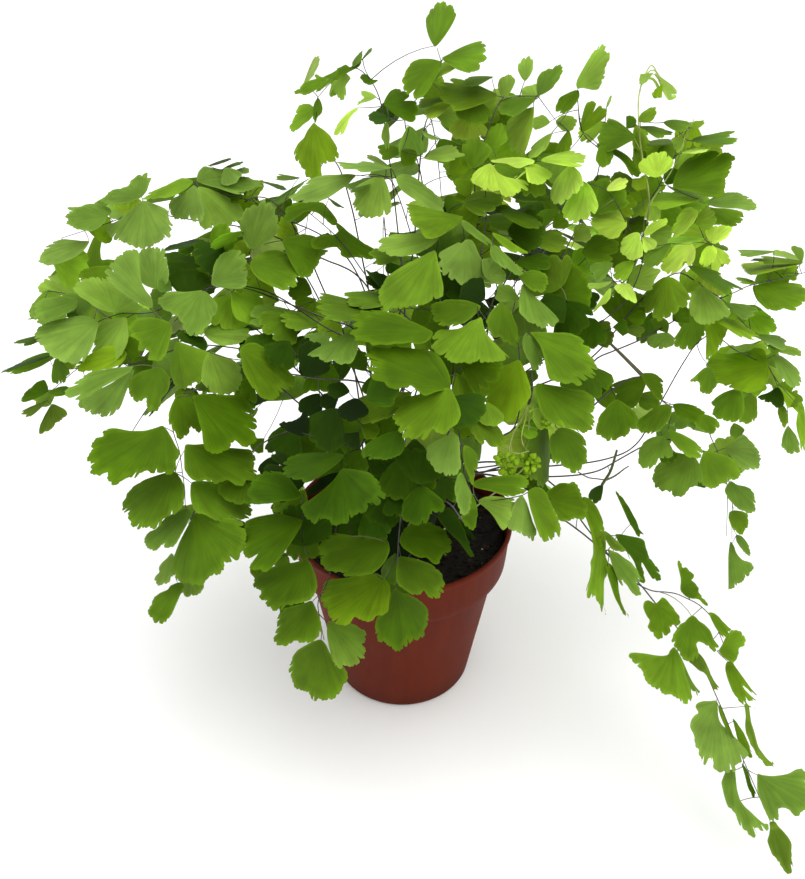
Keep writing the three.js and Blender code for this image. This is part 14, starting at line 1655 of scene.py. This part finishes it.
# knotty creeping branches under the feet of the stalks, with a collar at each foot
for i in range(9):
    a = 2 * math.pi * i / 9 + r.uniform(-0.2, 0.2)
    p = [np.array([0, 0, 88.0]) + np.array([r.uniform(-3, 3), r.uniform(-3, 3), 0])]
    for kk in range(1, 6):
        a += r.uniform(-0.35, 0.35)
        p.append(p[-1] + np.array([math.cos(a), math.sin(a), 0]) * 4.6 + np.array([0, 0, r.uniform(-0.2, 0.2)]))
    path = smooth_path(p, 4)
    radii = 1.9 + 0.5 * np.sin(np.arange(len(path)) * 1.3 + i) + r.uniform(-0.2, 0.2, len(path))
    radii *= np.linspace(1.1, 0.6, len(path))
    co, faces = tube(path, radii, 10)
    skin.add(co, faces, 0, brown * r.uniform(0.8, 1.2))
for f in feet:
    knob = smooth_path([f + (r.uniform(-1, 1), r.uniform(-1, 1), -2.2), f + (0, 0, -0.6), f + (0, 0, 1.0), f + (0, 0, 2.6)], 3)
    co, faces = tube(knob, np.linspace(1.9, 1.15, len(knob)) * r.uniform(0.85, 1.1), 9)
    skin.add(co, faces, 0, brown * r.uniform(0.7, 1.1))
    for h in range(9):
        a = r.uniform(0, 2 * math.pi)
        d = np.array([math.cos(a), math.sin(a), r.uniform(0.1, 0.9)])
        s0 = f + np.array([d[0] * 1.2, d[1] * 1.2, r.uniform(-0.6, 1.6)])
        e0 = s0 + d * r.uniform(0.8, 2.2)
        co, faces = tube([s0, (s0 + e0) / 2 + r.normal(size=3) * 0.15, e0], [0.12, 0.09, 0.04], 4)
        skin.add(co, faces, 0, srgb(84, 60, 38) * r.uniform(0.7, 1.3))
roots = skin.mesh("creeping_rootstock", [SOIL], sharp=60)
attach(roots, "root")
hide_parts("rootstock")

# ---- stage and light ------------------------------------------------------------------------------------------------
me = bpy.data.meshes.new("floor")
me.from_pydata([(-6, -6, 0), (6, -6, 0), (6, 6, 0), (-6, 6, 0)], [], [(0, 1, 2, 3)])
floor = bpy.data.objects.new("floor", me)
scene.collection.objects.link(floor)
k = Nodes("floor")
k.link(k.mix(k.noise(k.coords(), 3.0), (0.93, 0.93, 0.93), (0.96, 0.96, 0.96)), k.p.inputs["Base Color"])
k.p.inputs["Roughness"].default_value = 0.9
k.p.inputs["Specular IOR Level"].default_value = 0.1
me.materials.append(k.m)

world = bpy.data.worlds.new("studio")
scene.world = world
world.use_nodes = True
bg = world.node_tree.nodes["Background"]
bg.inputs[0].default_value = (1.0, 1.0, 1.0, 1.0)
bg.inputs[1].default_value = 1.08


def softbox(name, loc, target, size, power, color=(1, 1, 1)):
    li = bpy.data.lights.new(name, "AREA")
    li.shape = "DISK"
    li.size = size
    li.energy = power
    li.color = color
    ob = bpy.data.objects.new(name, li)
    ob.location = loc
    ob.rotation_euler = (Vector(target) - Vector(loc)).to_track_quat("-Z", "Y").to_euler()
    scene.collection.objects.link(ob)


softbox("key", (0.55, -0.55, 1.5), (0.03, 0.0, 0.15), 1.4, 11.0, (1.0, 0.985, 0.96))
softbox("top", (-0.35, 0.25, 1.6), (0.0, 0.0, 0.2), 1.5, 8.0)
scene.view_settings.view_transform = "Standard"
scene.view_settings.look = "None"
